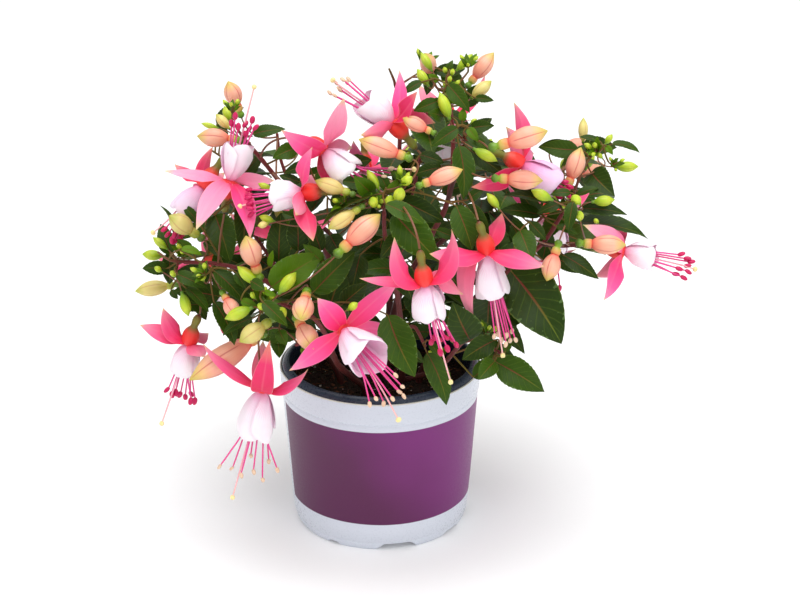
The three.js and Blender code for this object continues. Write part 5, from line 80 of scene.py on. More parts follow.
# ---- the plant's tables, in millimetres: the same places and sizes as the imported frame
BRANCHES = [
    {"node":"leafy_stem_left","pts":[[-24,-2,70],[-23.9,-1.6,89.4],[-30.9,-5.5,107.1],[-38.6,-12.9,123.4],[-44.1,-23.9,138.6],[-49.7,-35.5,153.2],[-58.8,-44.7,167.6],[-73.9,-47.4,179.4],[-92.3,-49.1,185.3],[-111.7,-50,186.9]],"r0":2.3,"r1":1.1,"green":0},
    {"node":"leafy_stem_upper_left","pts":[[-13,14,70],[-13.1,14.3,90.8],[-16.8,13.8,111.4],[-21.2,11,131.5],[-25.3,3.6,150.6],[-29.4,-5.7,168.8],[-34.8,-14.6,186.9],[-43.2,-21.1,204.8],[-53.8,-26.1,222.1],[-64.6,-31.2,239.2],[-75.2,-38,255.9]],"r0":2.3,"r1":1.1,"green":0},
    {"node":"leafy_stem_centre","pts":[[3,6,70],[2.9,6.2,90.4],[5,6.1,110.8],[8.1,4.5,130.9],[12.6,-2.7,149.4],[18.2,-13.8,165.7],[24.1,-25.3,181.5],[31,-33.8,198.8],[38.9,-36,217.4],[41.9,-33.1,237.3],[42,-28.9,257.3],[39.8,-26,277.5]],"r0":2.4,"r1":1.1,"green":0},
    {"node":"leafy_stem_centre","pts":[[39.5,-36,219.5],[42.4,-43.1,233.7],[45.4,-48.8,248.4],[48.4,-50,264.2]],"r0":1.4,"r1":0.9,"green":0},
    {"node":"leafy_stem_right","pts":[[24,2,70],[24,2.4,90.2],[31.6,-2.1,108.5],[40.6,-8.7,125.4],[49.1,-18.6,141.1],[57.6,-29.9,155.7],[67.6,-39.6,170.5],[80.7,-45.9,184.7],[94.1,-50.4,199.3],[103.8,-52,217]],"r0":2.3,"r1":1.1,"green":0},
    {"node":"leafy_stem_right","pts":[[93.1,-50,198],[105.3,-59.6,200.6],[120.5,-62,203.3]],"r0":1.3,"r1":0.9,"green":0},
    {"node":"leafy_stem_front_left","pts":[[-9,-19,70],[-8.8,-18.7,90.4],[-17.1,-30.1,105.3],[-24.5,-43.3,119.5],[-28,-56.4,135.2],[-31,-69.5,151],[-37.7,-81.5,166.3],[-54,-88,176.9]],"r0":2.2,"r1":1.1,"green":0},
    {"node":"leafy_stem_front_left","pts":[[-24,-42,118],[-27.4,-51.7,128.4],[-30.9,-61.4,138.7],[-35.8,-71.4,147.9],[-47,-80,148.2]],"r0":1.4,"r1":0.9,"green":0},
    {"node":"leafy_stem_front","pts":[[12,-15,70],[12.2,-14.6,89.5],[13.6,-23.9,106.6],[14,-33.8,123.5],[12.8,-40.9,141.7],[11.1,-47.4,160.1],[9.1,-54.1,178.5],[6.6,-62.4,196],[3.5,-72.6,212.5],[3.2,-82,229.7]],"r0":2.2,"r1":1.1,"green":0},
    {"node":"leafy_stem_front","pts":[[14,-34,124],[15.7,-44.5,136.2],[17.5,-55.5,147.8],[21,-69.4,154],[26.1,-84,149.4]],"r0":1.4,"r1":0.9,"green":0},
    {"node":"leafy_stem_front","pts":[[12.4,-15.5,96],[22.7,-23.7,102.6],[31.6,-32.6,110],[37.4,-42.5,119.1],[41.3,-52.6,128.9],[45,-62.9,138.7],[49.3,-73.5,147.8],[57.3,-84.6,152.3],[68.2,-94,149.6]],"r0":1.7,"r1":1,"green":0},
    {"node":"leafy_stem_back","pts":[[4,26,70],[4.1,26.3,91],[4.9,33.5,110.9],[6,42.1,130.2],[7.5,51.6,149],[9.1,61.1,167.8],[10.5,68.3,187.6],[11.5,72.3,208.4],[12,74.1,229.4],[10,70,250]],"r0":2.4,"r1":1.1,"green":0},
    {"node":"leafy_stem_back","pts":[[6,42,130],[-4.8,48.4,138.6],[-15.5,54.8,147.3],[-26.5,60.8,155.9],[-37.7,65.9,164.8],[-49.6,68.7,173.9],[-61.8,69.6,182.9],[-74,70,192]],"r0":1.7,"r1":1.1,"green":0},
    {"node":"leafy_stem_back","pts":[[6,42,130],[16.2,49.6,137.8],[26.4,57.2,145.6],[37.1,64,153.6],[48.6,68.6,161.8],[61,69.3,170],[73.5,67.9,178.1],[86,66,186]],"r0":1.7,"r1":1.1,"green":0},
    {"node":"leafy_stem_back","pts":[[6,42,130],[7.6,57.2,134.8],[9.3,72.6,139],[11.5,88.3,140.1],[14,104,138]],"r0":1.6,"r1":1,"green":0},
    {"node":"leafy_stem_left","pts":[[-38,-12,122],[-46.4,-4.2,134.9],[-54.9,3.6,147.8],[-63.7,11.5,160.3],[-73.1,19.6,172.3],[-82.9,27.8,184],[-93,35.9,195.4],[-104,44,206]],"r0":1.4,"r1":0.9,"green":0},
    {"node":"leafy_stem_upper_left","pts":[[-22,10,135],[-29,17.9,147.4],[-36.1,25.7,159.8],[-42.9,32.9,172.8],[-49.3,38.6,186.6],[-55.3,43.1,201.1],[-60.6,46.3,216.1],[-62,44,232]],"r0":1.4,"r1":0.9,"green":0},
    {"node":"leafy_stem_centre","pts":[[10,2,140],[12.3,9.1,155],[14.6,16.1,170.2],[17.1,22.2,185.6],[20.1,27.1,201.4],[23.2,31.1,217.4],[26.3,34.2,233.6],[28,32,250]],"r0":1.4,"r1":0.9,"green":0},
    {"node":"leafy_stem_right","pts":[[42,-10,128],[52.4,-2.2,138.4],[62.9,5.5,148.9],[73.4,13,159.4],[84.1,20.4,170],[94.8,27.5,180.6],[105.5,33.9,191.7],[116,38,204]],"r0":1.4,"r1":0.9,"green":0},
    {"node":"green_shoot_left","pts":[[-112.4,-50,187],[-120,-51.4,188.8],[-126.4,-50,193]],"r0":0.95,"r1":0.6,"green":1},
    {"node":"green_shoot_left","pts":[[-115,-50.2,187.2],[-116.2,-54,180.1],[-113.2,-52,172.8]],"r0":0.8,"r1":0.5,"green":1},
    {"node":"green_shoot_upper_left","pts":[[-75.6,-38.2,256.5],[-79,-41.9,263.5],[-82.1,-46,270.5]],"r0":0.95,"r1":0.6,"green":1},
    {"node":"green_shoot_upper_left","pts":[[-76.9,-39.1,258.5],[-74.1,-40.5,259.4],[-71.4,-42,260.2]],"r0":0.8,"r1":0.5,"green":1},
    {"node":"green_shoot_top","pts":[[39.7,-25.9,278.2],[38,-26,286],[40.3,-24,293.4]],"r0":0.95,"r1":0.6,"green":1},
    {"node":"green_shoot_top","pts":[[39.4,-25.5,280.7],[33.2,-27.9,283.8],[29.5,-28,289.9]],"r0":0.8,"r1":0.5,"green":1},
    {"node":"green_shoot_top","pts":[[39.4,-25.5,280.7],[45.4,-24.4,286],[50.5,-22,291.6]],"r0":0.8,"r1":0.5,"green":1},
    {"node":"green_shoot_right","pts":[[104.1,-52.1,217.6],[109.7,-51.4,227.8],[113.9,-45.5,237.3],[119.4,-38.9,245.5],[127.4,-33,251.8]],"r0":0.95,"r1":0.6,"green":1},
    {"node":"green_shoot_right","pts":[[105.4,-52.3,219.9],[109.4,-55.1,221.4],[113.4,-58,222.9]],"r0":0.8,"r1":0.5,"green":1},
    {"node":"green_shoot_front_left","pts":[[-54.6,-88.2,177.3],[-60.9,-92.2,181.3],[-67.9,-96,184]],"r0":0.95,"r1":0.6,"green":1},
    {"node":"green_shoot_front_left","pts":[[-56.6,-89,178.6],[-62.3,-95.5,179],[-66.8,-100,174.8]],"r0":0.8,"r1":0.5,"green":1},
    {"node":"green_shoot_centre","pts":[[3.2,-82.3,230.3],[3.1,-86.5,237.9],[4.3,-88,246]],"r0":0.95,"r1":0.6,"green":1},
    {"node":"green_shoot_centre","pts":[[3.1,-83.6,232.6],[7,-86.8,237.9],[10.9,-90,243.3]],"r0":0.8,"r1":0.5,"green":1},
    {"node":"green_shoot_centre","pts":[[3.1,-83.6,232.6],[-1.7,-86.8,236.2],[-6.6,-90,239.7]],"r0":0.8,"r1":0.5,"green":1},
    {"node":"green_shoot_back_left","pts":[[-74.6,70,192.4],[-84.8,70.3,199.3],[-94.9,69.3,206.3],[-104,66,214]],"r0":0.95,"r1":0.6,"green":1},
    {"node":"green_shoot_back_left","pts":[[-76.6,70.1,194],[-81.3,77,197],[-86,84,200]],"r0":0.8,"r1":0.5,"green":1},
    {"node":"green_shoot_back_right","pts":[[86.6,65.9,186.4],[98.1,65.1,193.2],[109.1,62.5,200.3],[118,56,208]],"r0":0.95,"r1":0.6,"green":1},
    {"node":"green_shoot_back_right","pts":[[88.8,65.6,187.7],[93.4,73.8,191.9],[98,82,196]],"r0":0.8,"r1":0.5,"green":1},
    {"node":"green_shoot_back_top","pts":[[9.9,69.9,250.7],[8.6,68.5,257],[7,66.5,262],[5.4,64.5,266.4]],"r0":0.95,"r1":0.6,"green":1},
    {"node":"green_shoot_back_top","pts":[[9.7,69.4,253.2],[16.8,70.7,257.6],[24,72,262]],"r0":0.8,"r1":0.5,"green":1},
]
# cls sets each leaf's green class: partly real leaf age, partly painted shade and painted light
LEAVES = [
    {"node":"green_shoot_upper_left","b":[-70.6,-45.3,262.6],"c":[-61.5,-46.3,265.7],"t":[-52.1,-44.2,265.1],"n":[-0.07,-0.631,0.772],"w":7.9,"k":[-71.7,-41.8,260.1],"cls":0.45},
    {"node":"leafy_stem_upper_left","b":[-45.3,-61.1,259.8],"c":[-51.4,-66,258.8],"t":[-58.6,-67.6,255.9],"n":[0.264,-0.834,0.485],"w":8.9,"k":[-64.6,-31.2,239.2],"j":[-51.8,-43.6,250],"cls":0.45},
    {"node":"leafy_stem_upper_left","b":[-38,-66.2,251.6],"c":[-45.2,-68.9,250.3],"t":[-52.4,-68,247.5],"n":[0,-0.921,0.391],"w":6.7,"k":[-46.3,-58.5,258.3],"j":[-40.9,-61.9,255.2],"cls":0},
    {"node":"leafy_stem_upper_left","b":[-43.6,-68.3,242.3],"c":[-49.4,-68.9,245],"t":[-55.3,-66.8,245.9],"n":[0.072,-0.813,0.578],"w":5.2,"k":[-38.4,-65.6,252.1],"j":[-40,-66.9,246.7],"cls":0},
    {"node":"leafy_stem_left","b":[-103.1,-47.2,210.3],"c":[-107.5,-46.9,215.6],"t":[-112,-43.3,219.5],"n":[0,-0.921,0.391],"w":5.7,"k":[-89.2,-48.8,184.3],"j":[-94.3,-48.2,195.1],"cls":0.45},
    {"node":"green_shoot_left","b":[-115.8,-36.8,184.6],"c":[-117.1,-31.5,200.2],"t":[-125.9,-24.9,212.6],"n":[0.908,-0.15,0.392],"w":13.4,"k":[-117.5,-50.9,188.2],"j":[-116.5,-44.3,185],"cls":0.45},
    {"node":"leafy_stem_left","b":[-94.7,-30.2,208.1],"c":[-90.5,-42.2,199.5],"t":[-85.6,-48.3,186.3],"n":[-0.09,-0.78,0.619],"w":16.8,"k":[-101.8,-47.3,208],"j":[-98.3,-39.5,211.5],"cls":0.45},
    {"node":"leafy_stem_left","b":[-76.4,-64.9,231],"c":[-74.7,-74.1,218.4],"t":[-76.4,-76.8,203.1],"n":[0.428,-0.832,0.353],"w":12.7,"k":[-92.3,-67.5,222.2],"j":[-84.5,-65.2,228],"cls":0},
    {"node":"green_shoot_front_left","b":[-55.5,-83.3,199.8],"c":[-54.9,-81.2,214.2],"t":[-54.3,-72.3,225.7],"n":[0,-0.921,0.391],"w":13.4,"k":[-58.8,-90.9,180],"j":[-57.2,-87.4,187.7],"cls":0},
    {"node":"green_shoot_front_left","b":[-44.8,-82.9,206.8],"c":[-45.3,-81.2,218.3],"t":[-45.9,-74.1,227.5],"n":[0,-0.921,0.391],"w":12.8,"k":[-55.8,-83.9,198],"j":[-50.2,-83.6,201],"cls":0},
    {"node":"green_shoot_front_left","b":[-31.9,-83.7,207.1],"c":[-35.2,-82,218.3],"t":[-40.3,-75.5,226.6],"n":[0.304,-0.823,0.48],"w":9.5,"k":[-49.4,-83.5,201.9],"j":[-40.1,-83.9,202.8],"cls":0},
    {"node":"green_shoot_centre","b":[0.3,-92.5,244.2],"c":[-17.6,-96,240.1],"t":[-31.2,-99.5,227.6],"n":[-0.466,-0.004,0.885],"w":15.2,"k":[3.5,-87,240.6],"cls":0},
    {"node":"green_shoot_front_left","b":[-31.2,-89.8,203],"c":[-36.5,-89.6,208.3],"t":[-41.8,-85.9,212.2],"n":[0,-0.921,0.391],"w":7.8,"k":[-33.1,-83.7,206.5],"cls":0.7},
    {"node":"green_shoot_front_left","b":[-59.2,-95.3,190.3],"c":[-45.1,-95.8,200.1],"t":[-31,-88.4,206.6],"n":[0,-0.921,0.391],"w":17.7,"k":[-63.2,-93.5,182.2],"cls":1},
    {"node":"green_shoot_front_left","b":[-33.3,-83,187],"c":[-44.5,-87.4,184.6],"t":[-55.7,-86.1,179.8],"n":[0,-0.921,0.391],"w":10.1,"k":[-33.1,-83.7,206.5],"j":[-31.4,-82.7,197.1],"cls":0},
    {"node":"green_shoot_front_left","b":[-35.8,-99.4,189],"c":[-24.3,-98.8,201.1],"t":[-12.9,-90.5,209.8],"n":[0,-0.921,0.391],"w":15.5,"k":[-56.7,-89.5,178.6],"j":[-48,-94.5,181.9],"cls":0.45},
    {"node":"green_shoot_centre","b":[4.2,-103.6,242.5],"c":[15.4,-107.8,239.8],"t":[25.3,-107.9,232.6],"n":[0.204,-0.669,0.715],"w":10,"k":[4.2,-87.8,245],"j":[2.7,-95.2,244.1],"cls":0.45},
    {"node":"green_shoot_centre","b":[8.7,-96.8,234.7],"c":[21,-106.3,224.5],"t":[33.3,-107.1,210.6],"n":[0,-0.921,0.391],"w":19.1,"k":[5.1,-85.2,235.3],"cls":0.45},
    {"node":"green_shoot_centre","b":[12,-80.7,236.3],"c":[24.4,-86.4,232.1],"t":[36.9,-85.4,225.1],"n":[0,-0.921,0.391],"w":12.2,"k":[3.2,-83.7,232.8],"cls":0},
    {"node":"leafy_stem_front","b":[12,-88.6,219.2],"c":[6.5,-93.4,213.8],"t":[1,-94,206.5],"n":[0,-0.921,0.391],"w":8.8,"k":[3.3,-79.3,224.8],"j":[8.5,-83.2,222.9],"cls":0},
    {"node":"green_shoot_centre","b":[42.9,-92.5,237.2],"c":[47.2,-100.3,227.4],"t":[51.4,-101.9,215],"n":[0,-0.921,0.391],"w":13.7,"k":[3.9,-87.5,243.3],"j":[22.2,-87.7,243.2],"cls":0.45},
    {"node":"green_shoot_front_left","b":[-20.4,-97.8,180.5],"c":[-13.2,-98.2,187.2],"t":[-5.8,-93.9,192.1],"n":[-0.038,-0.932,0.361],"w":11.1,"k":[-37.6,-98.7,187.9],"j":[-30.4,-98.2,183],"cls":0},
    {"node":"green_shoot_front_left","b":[5.4,-108,178.8],"c":[12.8,-119.1,165],"t":[20.3,-121.3,147.4],"n":[0,-0.921,0.391],"w":19.3,"k":[-25.4,-98,181.8],"j":[-11.3,-101.1,182.7],"cls":0.45},
    {"node":"leafy_stem_front","b":[27,-109.3,156.5],"c":[33.7,-118.3,145.1],"t":[38.1,-120.6,129.9],"n":[0.287,-0.833,0.473],"w":13,"k":[25.5,-82.2,150],"j":[25.1,-94.2,155.2],"cls":0.45},
    {"node":"leafy_stem_front","b":[28.7,-100.2,159.1],"c":[31.5,-103.2,155.5],"t":[34.3,-103.7,150.9],"n":[0,-0.921,0.391],"w":4.5,"k":[25.4,-96.5,155.4],"cls":0.45},
    {"node":"leafy_stem_right","b":[73.9,-83.8,195.2],"c":[86.8,-102.1,182.4],"t":[101.3,-109.7,162.5],"n":[-0.125,-0.826,0.55],"w":30.7,"k":[88.4,-48.5,193],"j":[79.2,-63.4,196],"cls":0},
    {"node":"leafy_stem_front","b":[65.8,-98.5,146.1],"c":[79.4,-105.6,140],"t":[93,-105.1,130.6],"n":[0,-0.921,0.391],"w":16.8,"k":[66.9,-92.9,149.9],"cls":0.45},
    {"node":"leafy_stem_front","b":[64.8,-108.5,151.2],"c":[61,-116.5,150.3],"t":[55.3,-121.9,146.1],"n":[0.414,-0.563,0.715],"w":10,"k":[66,-92.1,150.1],"j":[66.1,-98.8,150.8],"cls":0.45},
    {"node":"leafy_stem_front","b":[65,-99.8,160.1],"c":[55.8,-104.5,156.1],"t":[46.6,-104.1,149.8],"n":[0,-0.921,0.391],"w":12.3,"k":[66,-92.1,150.1],"cls":0},
    {"node":"leafy_stem_front","b":[70.5,-103.7,154.6],"c":[72.2,-103.1,159.4],"t":[73.8,-100,163.3],"n":[0,-0.921,0.391],"w":4.5,"k":[65.9,-100.3,150.9],"cls":0.45},
    {"node":"leafy_stem_front","b":[51.1,-97.3,159],"c":[46.9,-103.3,171.3],"t":[41.1,-102.4,184.2],"n":[0.225,-0.969,-0.105],"w":19.6,"k":[59.5,-86.5,151.8],"j":[55.8,-91.3,154.1],"cls":0},
    {"node":"leafy_stem_right","b":[77.7,-97.2,224.6],"c":[80.2,-106.8,220.4],"t":[83.5,-112.9,212.2],"n":[-0.145,-0.642,0.752],"w":12.1,"k":[74.7,-80.7,195.3],"j":[75.5,-85.9,211.2],"cls":0.45},
    {"node":"leafy_stem_right","b":[103.3,-75.2,201.3],"c":[114.2,-80,197.3],"t":[123.5,-80.5,188.9],"n":[0.239,-0.691,0.682],"w":10.2,"k":[102.9,-57.7,200.1],"j":[101.6,-65.8,201.3],"cls":0},
    {"node":"leafy_stem_right","b":[112.5,-51.8,211.5],"c":[133.8,-54,213.3],"t":[153.4,-54.8,204.4],"n":[0.159,-0.129,0.979],"w":17.5,"k":[102.6,-51.8,214.9],"cls":0},
    {"node":"green_shoot_right","b":[114.3,-54.8,221.1],"c":[127.9,-57,222.7],"t":[140.8,-56.1,218],"n":[0.083,-0.444,0.892],"w":11.2,"k":[111.4,-56.5,222.2],"cls":0},
    {"node":"green_shoot_right","b":[112.5,-42.6,252.1],"c":[101.5,-44.8,254.3],"t":[90.5,-41.7,254.2],"n":[0,-0.921,0.391],"w":10.2,"k":[119.4,-38.9,245.5],"cls":0.45},
    {"node":"green_shoot_right","b":[120.5,-34.6,251.1],"c":[110.7,-37.9,248.1],"t":[102.9,-39,240.6],"n":[-0.382,-0.421,0.822],"w":8.8,"k":[123.4,-35.9,248.7],"cls":0.45},
    {"node":"green_shoot_right","b":[120.5,-39.6,237.8],"c":[125.1,-52,237.1],"t":[132.5,-61.1,231.2],"n":[-0.43,-0.474,0.768],"w":14.8,"k":[118,-40.5,243.5],"cls":0},
    {"node":"leafy_stem_right","b":[136.9,12.3,236.6],"c":[145.6,10.7,236.5],"t":[153.4,10.5,232.2],"n":[0.209,-0.311,0.927],"w":7.2,"k":[114.7,37.5,202.5],"j":[121.1,25.8,219.6],"cls":0.45},
    {"node":"green_shoot_right","b":[125.3,-30.4,253.2],"c":[119.8,-30.5,255.8],"t":[113.9,-29.4,255.6],"n":[0.145,-0.441,0.886],"w":4.9,"k":[126.4,-33.7,251],"cls":0.45},
    {"node":"green_shoot_right","b":[129.3,-31.4,250.6],"c":[131.3,-33.2,248.6],"t":[133.3,-33.4,245.9],"n":[0,-0.921,0.391],"w":3.4,"k":[126.4,-33.7,251],"cls":1},
    {"node":"green_shoot_right","b":[107.8,-78,234.1],"c":[106,-83.2,227.3],"t":[105,-84.5,218.8],"n":[-0.19,-0.891,0.413],"w":7.1,"k":[107.4,-53.7,220.7],"j":[108.2,-64.2,229.5],"cls":0.45},
    {"node":"green_shoot_right","b":[108.3,-54.4,233],"c":[103.2,-54.6,236.1],"t":[97.6,-52.6,237.1],"n":[0.134,-0.739,0.66],"w":4.9,"k":[110.8,-49.9,230.2],"cls":0.45},
    {"node":"green_shoot_right","b":[111.6,-57,230.4],"c":[117.5,-57,233.7],"t":[124,-55.5,234],"n":[-0.192,-0.475,0.859],"w":5.5,"k":[109.7,-51.4,227.8],"cls":0.45},
    {"node":"green_shoot_right","b":[106.9,-72.9,237.5],"c":[101.1,-74.2,238.1],"t":[95.3,-73.3,236.5],"n":[-0.036,-0.701,0.713],"w":4.9,"k":[107.9,-75.9,233.4],"cls":0.45},
    {"node":"green_shoot_right","b":[103.1,-67.8,226],"c":[87,-66.6,234.1],"t":[69,-64.7,233.3],"n":[0.199,-0.086,0.976],"w":14.7,"k":[108.1,-66.3,230.2],"cls":0},
    {"node":"green_shoot_right","b":[90.4,-67.3,222.3],"c":[79.4,-68.5,225.9],"t":[68,-66.2,224.9],"n":[0.064,-0.592,0.803],"w":9.5,"k":[105.4,-52.3,219.9],"j":[99.9,-59.6,220.4],"cls":0},
    {"node":"green_shoot_right","b":[102.3,-51.9,232.7],"c":[93.9,-52.8,235],"t":[85.4,-51.4,233.7],"n":[0.037,-0.547,0.836],"w":7.1,"k":[111.8,-48.4,232.6],"cls":0},
    {"node":"leafy_stem_centre","b":[59.6,-54,251.4],"c":[69.6,-56.4,251],"t":[78.7,-56.2,246.2],"n":[0.176,-0.487,0.856],"w":8.3,"k":[45.4,-48.8,248.4],"j":[51,-51.1,249.9],"cls":0},
    {"node":"green_shoot_right","b":[100.9,-74,231.4],"c":[94.3,-76.5,229.9],"t":[88.1,-76.2,226.3],"n":[-0.113,-0.781,0.614],"w":5.9,"k":[107.9,-75.9,233.4],"cls":0},
    {"node":"green_shoot_right","b":[98.7,-78.5,220],"c":[105.2,-80.4,219.3],"t":[111,-80.2,215.9],"n":[0.181,-0.586,0.79],"w":5.5,"k":[91.8,-66.1,222],"j":[93.9,-71.9,221.2],"cls":0.45},
    {"node":"leafy_stem_right","b":[84.1,-80.3,223.1],"c":[88.6,-83.8,219.2],"t":[93,-84.2,213.9],"n":[0,-0.921,0.391],"w":6.7,"k":[76.6,-91.6,217.9],"j":[79.4,-85.2,221.3],"cls":0},
    {"node":"green_shoot_top","b":[38.7,-49,292.5],"c":[44.8,-54.4,286.4],"t":[50.9,-55,278.2],"n":[0,-0.921,0.391],"w":8.9,"k":[29.9,-28,289.2],"j":[32.9,-37.2,292.2],"cls":0.45},
    {"node":"green_shoot_top","b":[24.3,-38.4,290.9],"c":[18.8,-41.1,288.8],"t":[13.7,-41.1,284.7],"n":[-0.145,-0.796,0.588],"w":5.3,"k":[31.7,-33.5,291],"j":[28.8,-35.6,291.2],"cls":0.45},
    {"node":"green_shoot_top","b":[33.1,-50.2,283.6],"c":[26.3,-53.1,281.8],"t":[19.5,-52.4,278.5],"n":[0,-0.921,0.391],"w":7.2,"k":[37.8,-47.2,292.5],"j":[36.4,-48.3,288.3],"cls":0.45},
    {"node":"leafy_stem_centre","b":[36.6,-49.1,274.2],"c":[33.4,-54.6,277.1],"t":[27.6,-57.8,279.4],"n":[0.733,-0.662,0.157],"w":7.8,"k":[40.7,-27.2,268.8],"j":[39.7,-36.4,270.5],"cls":0.7},
    {"node":"leafy_stem_centre","b":[43.8,-72.9,275.5],"c":[36.4,-77.1,271.6],"t":[29,-77,265.9],"n":[0,-0.921,0.391],"w":7.7,"k":[37.1,-47.2,273.6],"j":[42.6,-58.9,275.7],"cls":0.45},
    {"node":"leafy_stem_centre","b":[51.4,-58.4,270.6],"c":[58,-59.7,271.9],"t":[64.5,-57.8,271.8],"n":[0,-0.921,0.391],"w":7.2,"k":[43.2,-65.9,275.6],"j":[46.2,-61.9,272.8],"cls":0.45},
    {"node":"leafy_stem_centre","b":[46.5,-54.3,273.3],"c":[46.8,-54.5,277.1],"t":[47.1,-52.9,280.5],"n":[-0.016,-0.98,0.197],"w":4.5,"k":[50.6,-58.9,270.9],"cls":1},
    {"node":"leafy_stem_centre","b":[49.5,-67.9,273.8],"c":[52.5,-70.6,270.7],"t":[55.5,-70.9,266.7],"n":[0,-0.921,0.391],"w":5,"k":[43.6,-70.8,275.5],"cls":1},
    {"node":"leafy_stem_centre","b":[48.6,-63.2,267.5],"c":[55,-66.1,265.2],"t":[60.8,-66.2,260.4],"n":[0.198,-0.734,0.65],"w":6.1,"k":[48.8,-60.1,271.7],"cls":0.45},
    {"node":"leafy_stem_centre","b":[44.5,-73,265.1],"c":[46.9,-82.1,252.9],"t":[46.7,-84.6,237.7],"n":[0.346,-0.853,0.39],"w":12.5,"k":[43.2,-65.9,275.6],"cls":0.45},
    {"node":"green_shoot_top","b":[54.2,-37.1,281.1],"c":[59.5,-38.6,281.1],"t":[64.8,-37.6,279.7],"n":[0.014,-0.875,0.484],"w":4.5,"k":[45.4,-24.4,286],"j":[48.2,-30.3,283.5],"cls":0.45},
    {"node":"green_shoot_top","b":[38.2,-48.3,285.3],"c":[41.4,-50.4,284.4],"t":[44.9,-50.6,282.7],"n":[-0.127,-0.886,0.445],"w":4.5,"k":[34.8,-49.2,286],"cls":1},
    {"node":"green_shoot_top","b":[33.5,-25.3,286.7],"c":[30.8,-26.2,289.4],"t":[27.8,-25.2,291.6],"n":[0.182,-0.952,0.246],"w":4.5,"k":[36.3,-26.7,282.3],"cls":1},
    {"node":"green_shoot_top","b":[38.8,-14,289.1],"c":[40.5,-13.6,292.6],"t":[42.2,-11.3,295.4],"n":[0,-0.921,0.391],"w":4,"k":[38.6,-26,283.4],"j":[38.1,-20.2,285.1],"cls":0.45},
    {"node":"leafy_stem_centre","b":[35.1,-69.4,251.3],"c":[27.1,-72.2,250.2],"t":[19.2,-71.1,247.4],"n":[0,-0.921,0.391],"w":7.8,"k":[44.8,-47.7,245.5],"j":[42.2,-57.7,248.7],"cls":0},
    {"node":"green_shoot_centre","b":[-2.8,-86.2,241.9],"c":[-7.1,-90.9,248],"t":[-13.3,-91.5,254.2],"n":[0.425,-0.905,-0.029],"w":9.9,"k":[-4.1,-88.4,238],"cls":0.7},
    {"node":"green_shoot_centre","b":[5.4,-84.6,243.6],"c":[2.7,-83.9,249],"t":[-0.1,-80.5,253.2],"n":[0,-0.921,0.391],"w":6,"k":[3.5,-87,240.6],"cls":0.45},
    {"node":"green_shoot_centre","b":[16.4,-76.4,245.9],"c":[11.4,-76.7,249],"t":[6.5,-74.3,250.9],"n":[0,-0.921,0.391],"w":5.5,"k":[25.3,-88.4,242.3],"j":[22.2,-82.4,243.3],"cls":0.7},
    {"node":"green_shoot_centre","b":[4.9,-86.5,242.5],"c":[8.7,-86.2,246.9],"t":[12.5,-83.2,250.1],"n":[0,-0.921,0.391],"w":4.9,"k":[3.9,-87.5,243.3],"cls":1},
    {"node":"green_shoot_centre","b":[48.3,-87.5,235.9],"c":[54.6,-93.4,229.1],"t":[60.9,-94.2,220.2],"n":[0,-0.921,0.391],"w":9.4,"k":[39.8,-91.8,238.1],"cls":0},
    {"node":"green_shoot_centre","b":[49.5,-82.4,236.9],"c":[54.2,-82.5,240.5],"t":[58.9,-79.8,243],"n":[0,-0.921,0.391],"w":5.5,"k":[32.6,-90.1,240.2],"j":[39.6,-86.2,237.4],"cls":0.45},
    {"node":"leafy_stem_front","b":[31.8,-93.2,223.4],"c":[37.8,-95.7,221.7],"t":[43.9,-95.1,218.8],"n":[0,-0.921,0.391],"w":5.5,"k":[11.5,-87.8,219.8],"j":[19.7,-89.7,222.1],"cls":0.45},
    {"node":"green_shoot_left","b":[-111.8,-63.8,200.4],"c":[-105.6,-65.2,200.2],"t":[-99.9,-65.1,197.2],"n":[0.162,-0.52,0.838],"w":5.2,"k":[-120,-51.4,188.8],"j":[-117.7,-57.1,194.6],"cls":1},
    {"node":"leafy_stem_left","b":[-106.9,-49.7,194.8],"c":[-111.2,-49.8,197.9],"t":[-115.5,-47.5,200],"n":[0,-0.921,0.391],"w":5.1,"k":[-105.2,-49.7,186.4],"j":[-105.4,-49.7,190.1],"cls":0.7},
    {"node":"green_shoot_left","b":[-123.2,-34.9,176.7],"c":[-130.5,-36.6,177.4],"t":[-137.7,-34.9,176.7],"n":[0,-0.921,0.391],"w":8.1,"k":[-116.1,-40.5,184.8],"j":[-118.5,-37.4,180.6],"cls":0.45},
    {"node":"green_shoot_left","b":[-114.1,-68.3,187],"c":[-105.3,-71.7,184.9],"t":[-97.1,-71.4,179.7],"n":[0.136,-0.758,0.638],"w":7.9,"k":[-115.4,-51.5,184.8],"j":[-116.3,-59.3,186.2],"cls":0.45},
    {"node":"green_shoot_left","b":[-119.5,-52.9,170.7],"c":[-117.6,-55.3,169],"t":[-115.5,-56.2,166.5],"n":[-0.125,-0.838,0.531],"w":4,"k":[-115.2,-53.3,177.7],"j":[-117.8,-52.6,174.6],"cls":0.45},
    {"node":"green_shoot_left","b":[-109.3,-68.5,178.5],"c":[-101.6,-72.5,173.8],"t":[-96.3,-73.9,165.7],"n":[0.472,-0.528,0.706],"w":8,"k":[-114.4,-66.9,186.9],"cls":0.45},
    {"node":"green_shoot_left","b":[-92.2,-78.6,193],"c":[-82.5,-84.3,186.9],"t":[-74.9,-85.6,176.5],"n":[0.338,-0.684,0.646],"w":10.5,"k":[-112.7,-62.8,199.5],"j":[-104.5,-69.5,197.5],"cls":0.45},
    {"node":"green_shoot_left","b":[-93,-77.1,173.5],"c":[-85.8,-84.5,164.1],"t":[-81.1,-86.5,151.1],"n":[0.362,-0.773,0.52],"w":11.3,"k":[-94,-77.2,193.7],"j":[-94.5,-76.1,184.9],"cls":0.45},
    {"node":"green_shoot_front_left","b":[-70.6,-85.8,167.4],"c":[-80.2,-88.8,165.2],"t":[-88,-89.6,158.7],"n":[-0.327,-0.441,0.836],"w":8.3,"k":[-56.6,-89,178.6],"j":[-61.9,-86.9,173.4],"cls":0.45},
